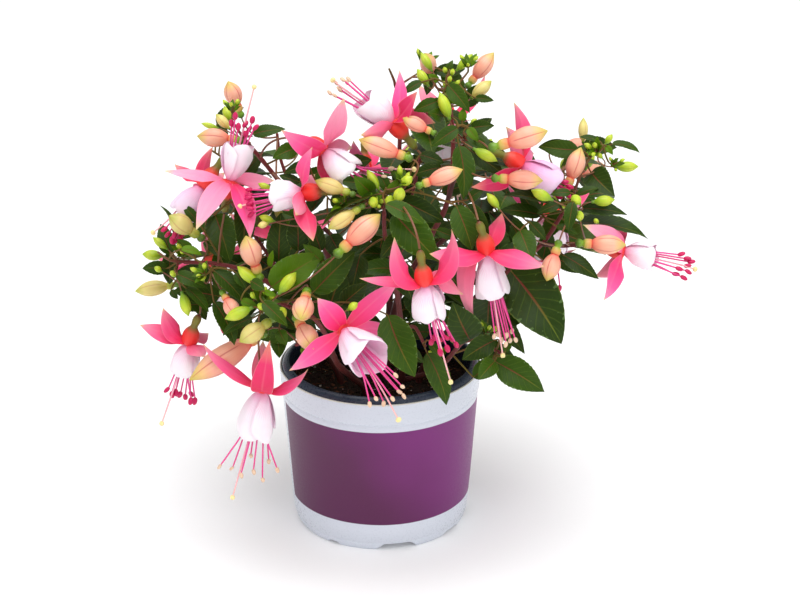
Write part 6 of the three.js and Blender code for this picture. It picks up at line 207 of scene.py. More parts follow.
    {"node":"green_shoot_front_left","b":[-70,-102,196.6],"c":[-66.6,-105.8,195.9],"t":[-62.3,-107.6,193.7],"n":[-0.341,-0.756,0.559],"w":6.6,"k":[-67.1,-95.5,183.7],"j":[-69.5,-97.7,190.4],"cls":0.45},
    {"node":"green_shoot_front_left","b":[-76.3,-96.3,182.9],"c":[-71.3,-98.5,181.4],"t":[-66.3,-98,178.8],"n":[0,-0.921,0.391],"w":5,"k":[-69.7,-99.8,193.5],"j":[-74.1,-97.6,188.5],"cls":1},
    {"node":"green_shoot_front_left","b":[-63,-102.8,191],"c":[-59.4,-104.2,190.1],"t":[-55.8,-103.8,188.5],"n":[0,-0.921,0.391],"w":3.3,"k":[-69.9,-101.4,195.7],"j":[-67.2,-101.8,193.5],"cls":1},
    {"node":"green_shoot_front_left","b":[-63.3,-109.2,187.2],"c":[-55.9,-113.8,182.4],"t":[-49.5,-114.5,174.8],"n":[0.193,-0.808,0.557],"w":8.1,"k":[-63.6,-102.6,191.4],"cls":0.45},
    {"node":"green_shoot_left","b":[-79.5,-84.7,194.9],"c":[-76.7,-87.8,191.1],"t":[-73.9,-88.4,186.2],"n":[0,-0.921,0.391],"w":5.6,"k":[-94,-77.2,193.7],"j":[-87.5,-80,195.4],"cls":0.45},
    {"node":"green_shoot_front_left","b":[-60.2,-89.5,199.9],"c":[-59.9,-88.6,204.7],"t":[-58.5,-85.8,208.6],"n":[-0.503,-0.756,0.418],"w":4,"k":[-56.3,-85.3,193.8],"j":[-58.3,-87.5,196],"cls":1},
    {"node":"leafy_stem_front_left","b":[-55.6,-96.1,164.6],"c":[-53.6,-100.5,162.4],"t":[-51.1,-103,158.4],"n":[-0.181,-0.717,0.673],"w":6.7,"k":[-51.7,-87.1,175.4],"j":[-54.2,-90.3,170.6],"cls":0.7},
    {"node":"leafy_stem_front_left","b":[-42.1,-100,156.6],"c":[-39.9,-102.8,153.2],"t":[-37.7,-103.3,148.9],"n":[0,-0.921,0.391],"w":5,"k":[-42.4,-83.4,169.3],"j":[-43.2,-90.5,164.4],"cls":1},
    {"node":"leafy_stem_upper_left","b":[-27,-69.7,232.1],"c":[-21.2,-73,231.8],"t":[-14.8,-73.4,230.1],"n":[-0.197,-0.88,0.432],"w":7.8,"k":[-39.4,-64,253.4],"j":[-35.4,-65.6,242.9],"cls":0},
    {"node":"leafy_stem_upper_left","b":[-18.8,-55.9,247.9],"c":[-11.4,-57.6,250.1],"t":[-3.7,-55.6,250.8],"n":[-0.057,-0.923,0.38],"w":9,"k":[-34.1,-66.2,241.3],"j":[-28.3,-60.6,244],"cls":0},
    {"node":"green_shoot_centre","b":[23.1,-65.7,257.3],"c":[30,-67.9,256.5],"t":[36.4,-67.5,253.2],"n":[0.108,-0.738,0.666],"w":7.8,"k":[17.3,-77.3,245.5],"j":[18.5,-71,251.6],"cls":0},
    {"node":"leafy_stem_upper_left","b":[-27.1,-73.9,212.8],"c":[-23.3,-81.1,208.3],"t":[-18.7,-84.5,201],"n":[-0.139,-0.785,0.604],"w":11.2,"k":[-28.3,-69.1,233.7],"j":[-28.6,-69.9,224.3],"cls":0},
    {"node":"leafy_stem_front","b":[-10.3,-79.4,203],"c":[-12.5,-87.3,196.3],"t":[-14.8,-90.8,186.6],"n":[0.045,-0.826,0.563],"w":12.3,"k":[3.9,-71.1,210.1],"j":[-2.9,-73.9,207.7],"cls":0},
    {"node":"leafy_stem_front","b":[9.2,-86.2,201.5],"c":[13.9,-93.1,193],"t":[18.7,-94.4,182.1],"n":[0,-0.921,0.391],"w":13.3,"k":[3.5,-72.6,212.5],"j":[5.6,-78.3,208.3],"cls":0},
    {"node":"leafy_stem_front","b":[34.3,-84.1,200.7],"c":[39.8,-92.5,196.6],"t":[46.5,-96.7,189.1],"n":[-0.207,-0.765,0.61],"w":13.4,"k":[4.8,-68.2,205.4],"j":[17.8,-73.6,204.3],"cls":0},
    {"node":"leafy_stem_right","b":[79.1,-87.3,179.1],"c":[73.3,-96.5,174.8],"t":[66.3,-101.3,166.8],"n":[0.217,-0.749,0.626],"w":14.5,"k":[74.7,-80.7,195.3],"j":[77.8,-82.6,187.8],"cls":0},
    {"node":"leafy_stem_centre","b":[51.2,-54.3,256.2],"c":[61.2,-59.9,251],"t":[70.7,-60,242.8],"n":[0.064,-0.882,0.468],"w":10.2,"k":[47.2,-49.5,257.9],"cls":0},
    {"node":"leafy_stem_centre","b":[28.7,-69,228.9],"c":[25.5,-75.9,222.8],"t":[22,-78.6,214.2],"n":[0.059,-0.849,0.526],"w":11.2,"k":[43.6,-45.4,239.6],"j":[37.1,-55.1,236.1],"cls":0},
    {"node":"leafy_stem_back","b":[-48.2,62.9,166.9],"c":[-61.2,52.5,161.6],"t":[-70.4,44,149.3],"n":[-0.478,-0.23,0.848],"w":18.1,"k":[-43.2,67.2,169],"cls":0},
    {"node":"leafy_stem_back","b":[14.7,36.6,120.1],"c":[36.3,37.8,125.8],"t":[58.2,37.5,121.2],"n":[-0.03,0.149,0.988],"w":22.9,"k":[5.3,36.3,117.3],"cls":0.45},
    {"node":"leafy_stem_back","b":[9.8,62.8,191.3],"c":[6,46.6,201.4],"t":[5.2,27.2,203.6],"n":[-0.338,0.347,0.875],"w":19.7,"k":[10.5,68.3,187.5],"cls":0},
    {"node":"leafy_stem_right","b":[81.9,9.4,156.7],"c":[94.8,2.6,154],"t":[106.3,-0.8,145.4],"n":[0.191,-0.488,0.852],"w":13.6,"k":[73.4,13,159.4],"cls":0.45},
    {"node":"leafy_stem_right","b":[68.5,16.6,165.1],"c":[60.3,23.9,173.6],"t":[48.7,31.3,176.5],"n":[0.493,-0.013,0.87],"w":12.9,"k":[73.4,13,159.4],"cls":0},
    {"node":"leafy_stem_left","b":[-74.2,13.1,163],"c":[-88.5,10.8,158.6],"t":[-99,6.7,148.5],"n":[-0.535,0.253,0.806],"w":15.1,"k":[-67.5,14.8,165.2],"cls":0},
    {"node":"leafy_stem_upper_left","b":[-39,33.7,157.6],"c":[-47.7,52.1,152.5],"t":[-51.3,68,139.5],"n":[-0.525,0.244,0.815],"w":19.7,"k":[-36.1,25.7,159.8],"cls":0.45},
    {"node":"leafy_stem_centre","b":[10.9,11.6,113.2],"c":[19.6,21.8,117.3],"t":[30.8,30.2,115.6],"n":[-0.372,0.281,0.885],"w":12.8,"k":[5,6.1,110.8],"cls":0},
    {"node":"leafy_stem_centre","b":[28.5,26.7,248.3],"c":[31.5,10.1,250],"t":[33.2,-5.7,243.9],"n":[0.163,-0.108,0.981],"w":15.2,"k":[27.7,32.3,247.4],"cls":0},
    {"node":"leafy_stem_upper_left","b":[-42.2,32.2,185.8],"c":[-36.7,28,199.2],"t":[-28.1,19.4,208.2],"n":[-0.445,0.628,0.638],"w":14,"k":[-45.7,35.4,178.7],"cls":0},
    {"node":"leafy_stem_right","b":[59.7,4.1,153.8],"c":[59.1,3.7,176.4],"t":[48.4,3.2,196.2],"n":[0.966,0.012,0.257],"w":22,"k":[61.2,4.2,147.2],"cls":0},
    {"node":"leafy_stem_back","b":[12.6,51.7,127.8],"c":[23.8,57,120.5],"t":[30.5,61.1,108.4],"n":[0.677,0.184,0.713],"w":13.1,"k":[6.7,48.6,132.1],"cls":0},
    {"node":"leafy_stem_upper_left","b":[-34.9,21.3,142.5],"c":[-50.2,29.4,136],"t":[-60,37.9,122.9],"n":[-0.639,-0.058,0.767],"w":17.8,"k":[-28,16.8,145.7],"cls":0},
    {"node":"leafy_stem_back","b":[-55.2,72.1,169.5],"c":[-71.5,79.9,160.4],"t":[-81.2,87.8,144.4],"n":[-0.7,-0.016,0.714],"w":18.3,"k":[-49.6,68.7,173.9],"cls":0.45},
    {"node":"leafy_stem_back","b":[13.1,53,130.2],"c":[16.9,68.5,124.9],"t":[21.4,79.7,113],"n":[-0.086,0.558,0.826],"w":16.8,"k":[10.8,45.6,133.7],"cls":0.45},
    {"node":"green_shoot_back_right","b":[94.3,71.8,192.3],"c":[97,81.1,196.9],"t":[99.5,91.5,196.6],"n":[0.026,-0.221,0.975],"w":9.6,"k":[92.6,65.5,190],"cls":0},
    {"node":"leafy_stem_back","b":[16.7,74.5,201.8],"c":[34.2,88.3,202.9],"t":[52.7,97.8,194.5],"n":[-0.088,0.416,0.905],"w":20,"k":[11.2,70.9,201.3],"cls":0},
    {"node":"leafy_stem_centre","b":[0.7,-0.5,127.9],"c":[-13,-14.3,135.5],"t":[-29.9,-26.5,134.2],"n":[0.336,-0.171,0.926],"w":19.6,"k":[7.1,5,124.6],"cls":0},
    {"node":"leafy_stem_back","b":[-9.3,47.7,135.5],"c":[-24.7,43.6,126.8],"t":[-35.4,43.3,112.2],"n":[-0.555,-0.441,0.706],"w":18.6,"k":[-4.8,48.4,138.6],"cls":0},
    {"node":"leafy_stem_centre","b":[11.1,12.4,173.8],"c":[-1.1,1.7,186],"t":[-13.5,-13.8,189.9],"n":[0.025,0.506,0.862],"w":19.1,"k":[14.6,16.1,170.2],"cls":0},
    {"node":"leafy_stem_back","b":[-68.4,63.4,179.8],"c":[-81.4,52.4,174.6],"t":[-90.2,42.9,162.3],"n":[-0.499,-0.188,0.846],"w":15.9,"k":[-61.8,69.6,182.9],"cls":0},
    {"node":"leafy_stem_back","b":[39.7,68.2,149.8],"c":[50.2,82.3,140.4],"t":[56.5,91.7,124],"n":[0.451,0.493,0.743],"w":19,"k":[36.4,63.6,153.1],"cls":0},
    {"node":"leafy_stem_centre","b":[16.8,23.5,165.9],"c":[22.4,40.2,162.2],"t":[26.1,53.7,150.9],"n":[0.226,0.375,0.899],"w":17.7,"k":[14.2,14.9,167.6],"cls":0},
    {"node":"leafy_stem_left","b":[-53.9,5.2,159.3],"c":[-45.4,1,170.8],"t":[-32.4,-2.1,177.2],"n":[-0.663,-0.166,0.73],"w":13.9,"k":[-58.5,6.8,152.9],"cls":0},
    {"node":"green_shoot_back_left","b":[-84,66.3,194.9],"c":[-93.1,57.7,191.2],"t":[-99.1,50.4,182.3],"n":[-0.482,-0.217,0.849],"w":11.8,"k":[-80.4,70.2,196.3],"cls":0},
    {"node":"leafy_stem_centre","b":[15.6,20,195.7],"c":[8.2,8.2,207.4],"t":[-1.9,-6.4,211.5],"n":[0.328,0.315,0.891],"w":17.4,"k":[18.3,24.2,192.2],"cls":0},
    {"node":"leafy_stem_upper_left","b":[-61.6,40.3,191],"c":[-76.3,39.7,189.3],"t":[-88.7,39.6,181.2],"n":[-0.338,-0.064,0.939],"w":14.3,"k":[-51.9,40.5,192.8],"cls":0.45},
    {"node":"green_shoot_back_right","b":[89.7,64.8,196.4],"c":[91.8,65.8,205.5],"t":[92,62.9,214.4],"n":[0.434,0.9,0.044],"w":9.7,"k":[88.8,65.6,187.7],"cls":0},
    {"node":"leafy_stem_upper_left","b":[-14.2,13.3,140.2],"c":[-1.6,19.3,150.5],"t":[14.5,25.4,153.6],"n":[-0.421,-0.007,0.907],"w":17.9,"k":[-22,10,135],"cls":0.45},
    {"node":"leafy_stem_back","b":[-45.2,65.2,160.2],"c":[-60.9,64.7,155.1],"t":[-72.5,64.3,143.4],"n":[-0.525,-0.011,0.851],"w":16.6,"k":[-36.8,65.5,164.1],"cls":0},
    {"node":"leafy_stem_centre","b":[7,8.4,166.2],"c":[-3.4,1,172.5],"t":[-16.4,-5,172.7],"n":[0.378,-0.222,0.899],"w":12.7,"k":[13.3,12,161.3],"cls":0},
    {"node":"leafy_stem_back","b":[19.6,77.9,216.9],"c":[33.6,87.3,219.5],"t":[47.7,95.5,214.3],"n":[-0.009,0.162,0.987],"w":15.7,"k":[11.7,72.9,215.4],"cls":0},
    {"node":"leafy_stem_back","b":[48.5,61.1,156.6],"c":[63.4,47.6,154.1],"t":[76.7,37.2,142.7],"n":[0.182,-0.323,0.929],"w":19.6,"k":[42.5,66.2,157.5],"cls":0},
    {"node":"leafy_stem_centre","b":[23.4,18.9,177.6],"c":[44.4,18.8,182.2],"t":[65.2,20.3,176.8],"n":[0.024,-0.158,0.987],"w":18.5,"k":[15.6,18.6,176.6],"cls":0},
    {"node":"leafy_stem_centre","b":[13.9,14.8,153.6],"c":[18,33,149.3],"t":[22.8,46.9,137.2],"n":[-0.079,0.47,0.879],"w":17,"k":[12.3,9.1,155],"cls":0},
    {"node":"leafy_stem_right","b":[98.7,23,179.1],"c":[116.4,10,179.5],"t":[134.6,1.5,170.7],"n":[-0.049,-0.432,0.901],"w":21,"k":[93.1,26.4,178.9],"cls":0.45},
    {"node":"leafy_stem_upper_left","b":[-47.9,46.4,188.3],"c":[-42.6,66.3,190.8],"t":[-40.9,85.9,184.3],"n":[0.382,0.026,0.924],"w":18.4,"k":[-49.3,38.6,186.6],"cls":0},
    {"node":"leafy_stem_upper_left","b":[-66.6,45.4,206.2],"c":[-84.4,48.2,202.8],"t":[-99.1,48.7,191.8],"n":[-0.368,0.264,0.892],"w":17.6,"k":[-57.6,44.5,207.6],"cls":0},
    {"node":"leafy_stem_back","b":[75.3,64.2,174.8],"c":[86.6,50.5,165],"t":[92,39.8,148.6],"n":[0.631,-0.326,0.704],"w":20.3,"k":[72.7,68,177.6],"cls":0.45},
    {"node":"leafy_stem_left","b":[-87,27.7,192.9],"c":[-85.8,19.2,205.7],"t":[-87.4,6.1,213.8],"n":[0.392,0.637,0.664],"w":15.8,"k":[-87,31.1,188.6],"cls":0},
    {"node":"leafy_stem_back","b":[13.5,59.1,187.3],"c":[19.1,46.3,199.4],"t":[28,30.8,204],"n":[-0.387,0.315,0.867],"w":16.5,"k":[10,65.9,180.9],"cls":0.45},
    {"node":"leafy_stem_left","b":[-88.5,32.9,198.9],"c":[-80,30.6,216.5],"t":[-67.9,21.6,229],"n":[-0.393,0.739,0.548],"w":17.6,"k":[-91.1,34.4,193.3],"cls":0},
    {"node":"leafy_stem_back","b":[31.2,58.6,141.1],"c":[44.7,63.9,129.9],"t":[52.9,64.9,113.6],"n":[0.622,0.502,0.602],"w":17.4,"k":[26.4,57.2,145.6],"cls":0},
    {"node":"green_shoot_back_left","b":[-87.8,78.2,191.2],"c":[-97.8,80.8,183.8],"t":[-103.9,81,172.6],"n":[-0.656,0.414,0.631],"w":12,"k":[-81.3,77,197],"cls":0.45},
    {"node":"leafy_stem_left","b":[-70.8,24.8,169.6],"c":[-71.4,41.6,167.4],"t":[-68.6,55.8,158.6],"n":[-0.418,0.33,0.846],"w":16.3,"k":[-71.3,18.1,170],"cls":0.45},
    {"node":"leafy_stem_right","b":[69.9,2.9,147.4],"c":[87.9,-2.1,144.1],"t":[101.9,-8.7,133.1],"n":[0.453,0.171,0.875],"w":17.9,"k":[62.9,5.5,148.9],"cls":0},
    {"node":"green_shoot_back_left","b":[-77.9,79.9,194.8],"c":[-72.4,88.2,191.8],"t":[-69.4,95.3,184.7],"n":[0.528,0.243,0.814],"w":10,"k":[-80.3,75.5,196.4],"cls":0},
    {"node":"leafy_stem_back","b":[12.3,57.2,133.3],"c":[29.4,64.1,130.6],"t":[43.6,69.4,119.9],"n":[0.322,0.19,0.928],"w":18.5,"k":[7.4,55.3,134.2],"cls":0.45},
    {"node":"leafy_stem_back","b":[4.2,64.3,176.4],"c":[-11.6,65.1,183.9],"t":[-28.7,69,183.9],"n":[0.158,-0.366,0.917],"w":17.5,"k":[9.6,63.5,174.4],"cls":0},
    {"node":"leafy_stem_back","b":[78.3,60.5,185.4],"c":[77.3,39.7,193.5],"t":[71.4,18.3,192.4],"n":[0.471,0.067,0.88],"w":22.3,"k":[79.4,67,181.8],"cls":0.45},
    {"node":"leafy_stem_back","b":[68.3,61.2,174.6],"c":[71.1,42,176.7],"t":[75.2,24.1,169.9],"n":[-0.137,-0.15,0.979],"w":19.5,"k":[66.8,68.6,173.8],"cls":0},
    {"node":"leafy_stem_back","b":[61,65.7,173.5],"c":[62.3,53.7,186.1],"t":[60.7,37.5,192.4],"n":[0.361,0.517,0.776],"w":15,"k":[61,69.3,170],"cls":0},
    {"node":"leafy_stem_back","b":[23.9,59.1,151.7],"c":[21.5,63.4,166.3],"t":[14.1,71.6,177.2],"n":[0.681,-0.518,0.518],"w":13.3,"k":[25.8,56.7,145.1],"cls":0.45},
    {"node":"leafy_stem_centre","b":[27.7,23.6,242.2],"c":[29.2,2.7,246.1],"t":[30.9,-17.7,240.1],"n":[-0.02,-0.052,0.998],"w":20.9,"k":[27,33.3,240.5],"cls":0.45},
    {"node":"leafy_stem_back","b":[52.9,76.2,160.7],"c":[60.9,88.1,159.5],"t":[66,99.5,152.3],"n":[0.431,0.081,0.899],"w":14.3,"k":[48.6,68.6,161.8],"cls":0.45},
    {"node":"green_shoot_back_right","b":[102.7,69.2,190.3],"c":[108.4,74.9,187],"t":[112.9,78.4,180.5],"n":[0.308,0.515,0.8],"w":9,"k":[98.1,65.1,193.2],"cls":0},
    {"node":"leafy_stem_back","b":[0.8,45.8,131.3],"c":[-17.9,58.2,133.3],"t":[-34.1,71.4,125.1],"n":[-0.23,-0.08,0.97],"w":20.5,"k":[6,42,130.1],"cls":0},
    {"node":"leafy_stem_back","b":[13.1,52.2,145.9],"c":[9,56.9,161],"t":[1.5,66.8,171.5],"n":[0.43,-0.687,0.586],"w":16.4,"k":[15.6,49.1,137.3],"cls":0.45},
    {"node":"leafy_stem_right","b":[105.8,37.4,202.2],"c":[95.3,42.7,213.3],"t":[80.8,48.1,217.9],"n":[0.529,-0.003,0.848],"w":15.5,"k":[109.9,35.6,196.9],"cls":0.45},
    {"node":"leafy_stem_back","b":[-61.9,64.1,186.7],"c":[-64,47.8,198],"t":[-68.7,28.5,200.9],"n":[0.273,0.311,0.91],"w":18.7,"k":[-60.8,69.5,182.2],"cls":0.45},
    {"node":"leafy_stem_back","b":[15.6,71,141.6],"c":[28.5,73.1,147.4],"t":[42.9,72.3,147.4],"n":[-0.208,0.423,0.882],"w":14.9,"k":[9.1,70.6,138.5],"cls":0},
    {"node":"leafy_stem_left","b":[-72.4,17.6,177.1],"c":[-72.2,13.1,193.4],"t":[-67,3.5,206.2],"n":[-0.625,0.651,0.431],"w":16.6,"k":[-73.1,19.6,172.3],"cls":0.45},
    {"node":"leafy_stem_upper_left","b":[-39.1,29.7,179],"c":[-25.9,19.8,193.7],"t":[-10.1,5.3,199.5],"n":[-0.234,0.447,0.863],"w":19.8,"k":[-42.9,32.9,172.8],"cls":0},
    {"node":"leafy_stem_upper_left","b":[-31,16.6,138.5],"c":[-46.7,24.6,135.1],"t":[-58.9,31.8,124.1],"n":[-0.419,0.092,0.903],"w":16.3,"k":[-25,13.4,140.3],"cls":0},
    {"node":"leafy_stem_back","b":[14,34.4,113.1],"c":[27.4,36.5,115.4],"t":[40.6,37.1,111.5],"n":[0.032,0.236,0.971],"w":12.2,"k":[4.9,33.5,110.9],"cls":0.45},
    {"node":"leafy_stem_centre","b":[15.8,28.5,185.4],"c":[14,44.7,184.4],"t":[9.6,58.3,176.8],"n":[0.336,0.326,0.884],"w":15.3,"k":[17.1,22.2,185.6],"cls":0},
    {"node":"leafy_stem_back","b":[-23.9,60.2,148.5],"c":[-33.9,69.9,141.7],"t":[-42.7,74.7,129.8],"n":[-0.171,0.688,0.705],"w":15.9,"k":[-20.6,57.6,151.3],"cls":0.45},
    {"node":"leafy_stem_right","b":[62.5,12.5,159.7],"c":[56.1,18.4,171.3],"t":[45.5,26,177.8],"n":[0.605,-0.25,0.756],"w":14.8,"k":[67.3,8.7,153.3],"cls":0},
    {"node":"leafy_stem_back","b":[-10.8,48.5,149.6],"c":[-14.2,42.9,162.9],"t":[-17,31.6,172.1],"n":[-0.101,0.808,0.58],"w":15,"k":[-9.7,51.3,142.6],"cls":0},
    {"node":"leafy_stem_left","b":[-61.9,9.9,150.9],"c":[-78.6,23.3,144.4],"t":[-89.7,35.3,129.2],"n":[-0.536,0.127,0.835],"w":22.4,"k":[-58.5,6.8,152.9],"cls":0},
    {"node":"leafy_stem_centre","b":[19.3,15.4,161],"c":[37.2,23.1,159.4],"t":[51.1,33,149.9],"n":[0.438,-0.243,0.865],"w":17.2,"k":[13.3,12,161.3],"cls":0},
    {"node":"leafy_stem_right","b":[101.4,36,194],"c":[94.4,45.1,205.7],"t":[85.1,57.6,211],"n":[0.301,-0.442,0.845],"w":14.5,"k":[103.8,32.9,189.9],"cls":0},
    {"node":"leafy_stem_back","b":[64.4,67.3,166.2],"c":[79.2,61.9,156.8],"t":[87.7,56.5,141.4],"n":[0.73,0.003,0.683],"w":18.1,"k":[60.3,69.3,169.5],"cls":0},
    {"node":"leafy_stem_back","b":[10.2,65.7,210.3],"c":[6.7,47.9,214.6],"t":[3.4,30,210.1],"n":[-0.031,0.002,1],"w":16,"k":[11.5,72.3,208.4],"cls":0},
    {"node":"green_shoot_back_right","b":[118.6,56.5,200.4],"c":[126.3,52.6,195.8],"t":[131.3,49.8,187.8],"n":[0.613,-0.251,0.749],"w":10.4,"k":[113.7,59.1,204.3],"cls":0},
    {"node":"leafy_stem_left","b":[-71.5,23,184.9],"c":[-64.8,23.8,196.6],"t":[-53.6,23.3,204.1],"n":[-0.72,0.203,0.664],"w":11.7,"k":[-77.1,22.9,177],"cls":0},
    {"node":"green_shoot_back_right","b":[86.2,74.6,195.1],"c":[80.2,77.6,198.1],"t":[74.1,81.7,197.9],"n":[0.038,-0.314,0.949],"w":7.3,"k":[91.9,71.2,190.6],"cls":0},
    {"node":"leafy_stem_back","b":[10.4,33.6,129.8],"c":[22.4,22.6,141.4],"t":[33.6,6.5,145.3],"n":[0.079,0.544,0.835],"w":17.8,"k":[5.6,39.2,123.7],"cls":0},
    {"node":"leafy_stem_centre","b":[26.1,28,233.2],"c":[25,8.7,238.4],"t":[28.4,-10.8,235.4],"n":[-0.479,0.021,0.878],"w":20.8,"k":[25.8,33.7,230.9],"cls":0},
    {"node":"leafy_stem_back","b":[16.4,89.6,133],"c":[29,94.4,118],"t":[34.7,94.6,98.6],"n":[0.739,0.488,0.464],"w":17.8,"k":[11.5,88.3,140.1],"cls":0},
    {"node":"leafy_stem_centre","b":[29.2,31,215.9],"c":[44.4,33.4,217.3],"t":[58.9,33.8,211.8],"n":[0.107,0.266,0.958],"w":15.8,"k":[22.7,30.4,214.7],"cls":0.45},
    {"node":"leafy_stem_back","b":[34.5,67.6,144],"c":[41.6,85,132],"t":[46.4,95.3,112.8],"n":[0.227,0.684,0.694],"w":22.5,"k":[31.4,60.4,149.3],"cls":0.45},
    {"node":"leafy_stem_back","b":[-1.8,49.2,147],"c":[0.5,49,161.8],"t":[6.6,54.3,174.4],"n":[-0.534,-0.786,0.313],"w":13.4,"k":[-3.9,47.9,137.9],"cls":0},
    {"node":"leafy_stem_back","b":[23.4,46.8,136.2],"c":[40.1,40.8,132.5],"t":[53.3,35.4,121.1],"n":[0.424,-0.08,0.902],"w":18.4,"k":[16.2,49.6,137.8],"cls":0.45},
    {"node":"leafy_stem_upper_left","b":[-43.5,37.9,190.8],"c":[-34,38,203.4],"t":[-19.8,38.3,210.3],"n":[-0.633,-0.029,0.774],"w":16.5,"k":[-48.4,37.8,184.7],"cls":0},
    {"node":"leafy_stem_upper_left","b":[-16.9,17.9,120.6],"c":[-14.4,34.7,127.8],"t":[-7.8,52,127.4],"n":[-0.463,-0.052,0.885],"w":17.4,"k":[-18.3,12.9,118.2],"cls":0},
    {"node":"green_shoot_back_left","b":[-90.1,63.2,194.9],"c":[-97.1,54.8,189.9],"t":[-101.2,48.4,180.6],"n":[-0.53,-0.352,0.771],"w":12.2,"k":[-84.8,70.3,199.3],"cls":0},
    {"node":"leafy_stem_back","b":[8,65,142.4],"c":[8.4,67.1,159.1],"t":[4.4,75.2,173.3],"n":[0.553,-0.769,0.319],"w":16.8,"k":[8.3,63.9,136.6],"cls":0},
    {"node":"leafy_stem_upper_left","b":[-22.9,-4.7,149.2],"c":[-20,-17.7,146.4],"t":[-16.3,-27.7,138],"n":[-0.126,-0.465,0.876],"w":12.9,"k":[-25.3,3.6,150.6],"cls":0},
    {"node":"leafy_stem_centre","b":[28.1,-26.5,198.9],"c":[27.9,-16.6,211.9],"t":[24.6,-2.5,219.3],"n":[0.398,-0.56,0.727],"w":16.6,"k":[28.8,-31.1,193.3],"cls":0},
    {"node":"leafy_stem_right","b":[60.5,-30.7,148.6],"c":[74.1,-42.2,142.7],"t":[85,-49.7,129.4],"n":[0.304,-0.454,0.838],"w":17.5,"k":[55,-26.4,151.2],"cls":0},
    {"node":"leafy_stem_right","b":[49.9,-24.1,158.3],"c":[40.3,-18.1,176],"t":[23.5,-12.4,187.2],"n":[0.743,0.022,0.669],"w":22,"k":[55,-26.4,151.2],"cls":0.45},
    {"node":"leafy_stem_front_left","b":[-35.8,-68,152.5],"c":[-51.3,-64.8,157.2],"t":[-66.3,-58.4,154.8],"n":[-0.062,-0.414,0.908],"w":15.5,"k":[-31,-69.5,151],"cls":0},
    {"node":"leafy_stem_left","b":[-61.1,8.1,142.8],"c":[-74.8,19.3,132.2],"t":[-84.2,25.1,114.8],"n":[-0.442,0.557,0.703],"w":21.2,"k":[-54.9,3.6,147.8],"cls":0},
    {"node":"leafy_stem_front","b":[16.9,-39,143.8],"c":[29.1,-31.9,151.6],"t":[44.1,-26.3,152.6],"n":[-0.385,0.198,0.901],"w":14.6,"k":[12.8,-40.9,141.7],"cls":0},
    {"node":"leafy_stem_right","b":[51.2,-11.8,136.1],"c":[60.8,-20.8,144.9],"t":[71.2,-32.6,146.9],"n":[-0.118,0.365,0.924],"w":15,"k":[46.4,-6.7,132.4],"cls":0.45},
    {"node":"leafy_stem_centre","b":[21,29.6,191.3],"c":[30.1,45.9,189.4],"t":[36.2,60.6,179.4],"n":[0.348,0.18,0.92],"w":19.2,"k":[18.3,24.2,192.2],"cls":0.45},
    {"node":"leafy_stem_front_left","b":[-47.2,-72.1,154.7],"c":[-57.4,-66.8,165.8],"t":[-69.8,-58,170.7],"n":[0.303,-0.46,0.835],"w":15.9,"k":[-41.4,-75.7,148],"cls":0},
    {"node":"green_shoot_right","b":[101.3,-47.5,229.2],"c":[95.1,-43.6,232.9],"t":[88.4,-38.8,232.9],"n":[0.119,-0.232,0.965],"w":8.4,"k":[107.5,-51.7,223.7],"cls":0.45},
    {"node":"leafy_stem_upper_left","b":[-23.2,-3.3,164.8],"c":[-9.5,-6.8,168.3],"t":[4.7,-7.3,165.7],"n":[-0.092,-0.432,0.897],"w":15,"k":[-28.1,-2.6,162.8],"cls":0.45},
    {"node":"leafy_stem_centre","b":[48.7,-46.1,240.9],"c":[65.3,-47.2,243.8],"t":[81.3,-49.8,238.9],"n":[0.082,0.189,0.979],"w":15.8,"k":[43.7,-45.6,240.1],"cls":0.45},
    {"node":"leafy_stem_right","b":[63.8,-45.6,165],"c":[61.1,-65.3,162],"t":[61.3,-81.9,150.6],"n":[-0.312,-0.332,0.89],"w":20.2,"k":[64.5,-36.6,165.9],"cls":0},
    {"node":"leafy_stem_right","b":[69.1,-30.3,170.8],"c":[78,-16.8,181.8],"t":[90,-1.6,184.3],"n":[-0.332,-0.19,0.924],"w":19.5,"k":[64.5,-36.6,165.9],"cls":0},
    {"node":"leafy_stem_left","b":[-53.3,2.1,138.3],"c":[-70,15.8,131.7],"t":[-81.3,27.7,116.3],"n":[-0.506,0.176,0.845],"w":22.6,"k":[-49.8,-1,140.1],"cls":0},
    {"node":"leafy_stem_centre","b":[18.2,-12,151.6],"c":[24.5,-23,146],"t":[30.2,-29.9,135.4],"n":[0.099,-0.633,0.768],"w":14.4,"k":[14.5,-6.5,155],"cls":0},
    {"node":"leafy_stem_centre","b":[50.4,-38.7,235.5],"c":[67.7,-32.2,242.5],"t":[85.6,-24.2,240.5],"n":[-0.076,-0.16,0.984],"w":19.6,"k":[42,-42.2,231.8],"cls":0.45},
    {"node":"leafy_stem_right","b":[70.8,10.3,163.6],"c":[70.8,6.3,183.1],"t":[63.1,-1.8,199.5],"n":[0.829,0.453,0.328],"w":19.3,"k":[71.7,11.8,157.7],"cls":0},
    {"node":"leafy_stem_right","b":[75,14.9,153.8],"c":[85.1,24.7,143.3],"t":[90.9,29.9,127.7],"n":[0.516,0.571,0.638],"w":18.2,"k":[71.7,11.8,157.7],"cls":0},
    {"node":"leafy_stem_upper_left","b":[-38.6,37.4,172.4],"c":[-32.5,49.4,176.6],"t":[-24.5,61,174.4],"n":[-0.265,0.078,0.961],"w":12.7,"k":[-41.9,31.9,170.9],"cls":0.45},
    {"node":"leafy_stem_centre","b":[12.3,-16.7,167.7],"c":[1.2,-23.8,172.7],"t":[-11.9,-28.9,171.8],"n":[0.306,-0.307,0.901],"w":14.5,"k":[18.2,-13.8,165.7],"cls":0.45},
    {"node":"leafy_stem_centre","b":[25.6,-13.8,166.4],"c":[39.1,-15.1,167],"t":[51.5,-13.9,161.8],"n":[0.161,-0.388,0.907],"w":11.8,"k":[18.2,-13.8,165.7],"cls":0},
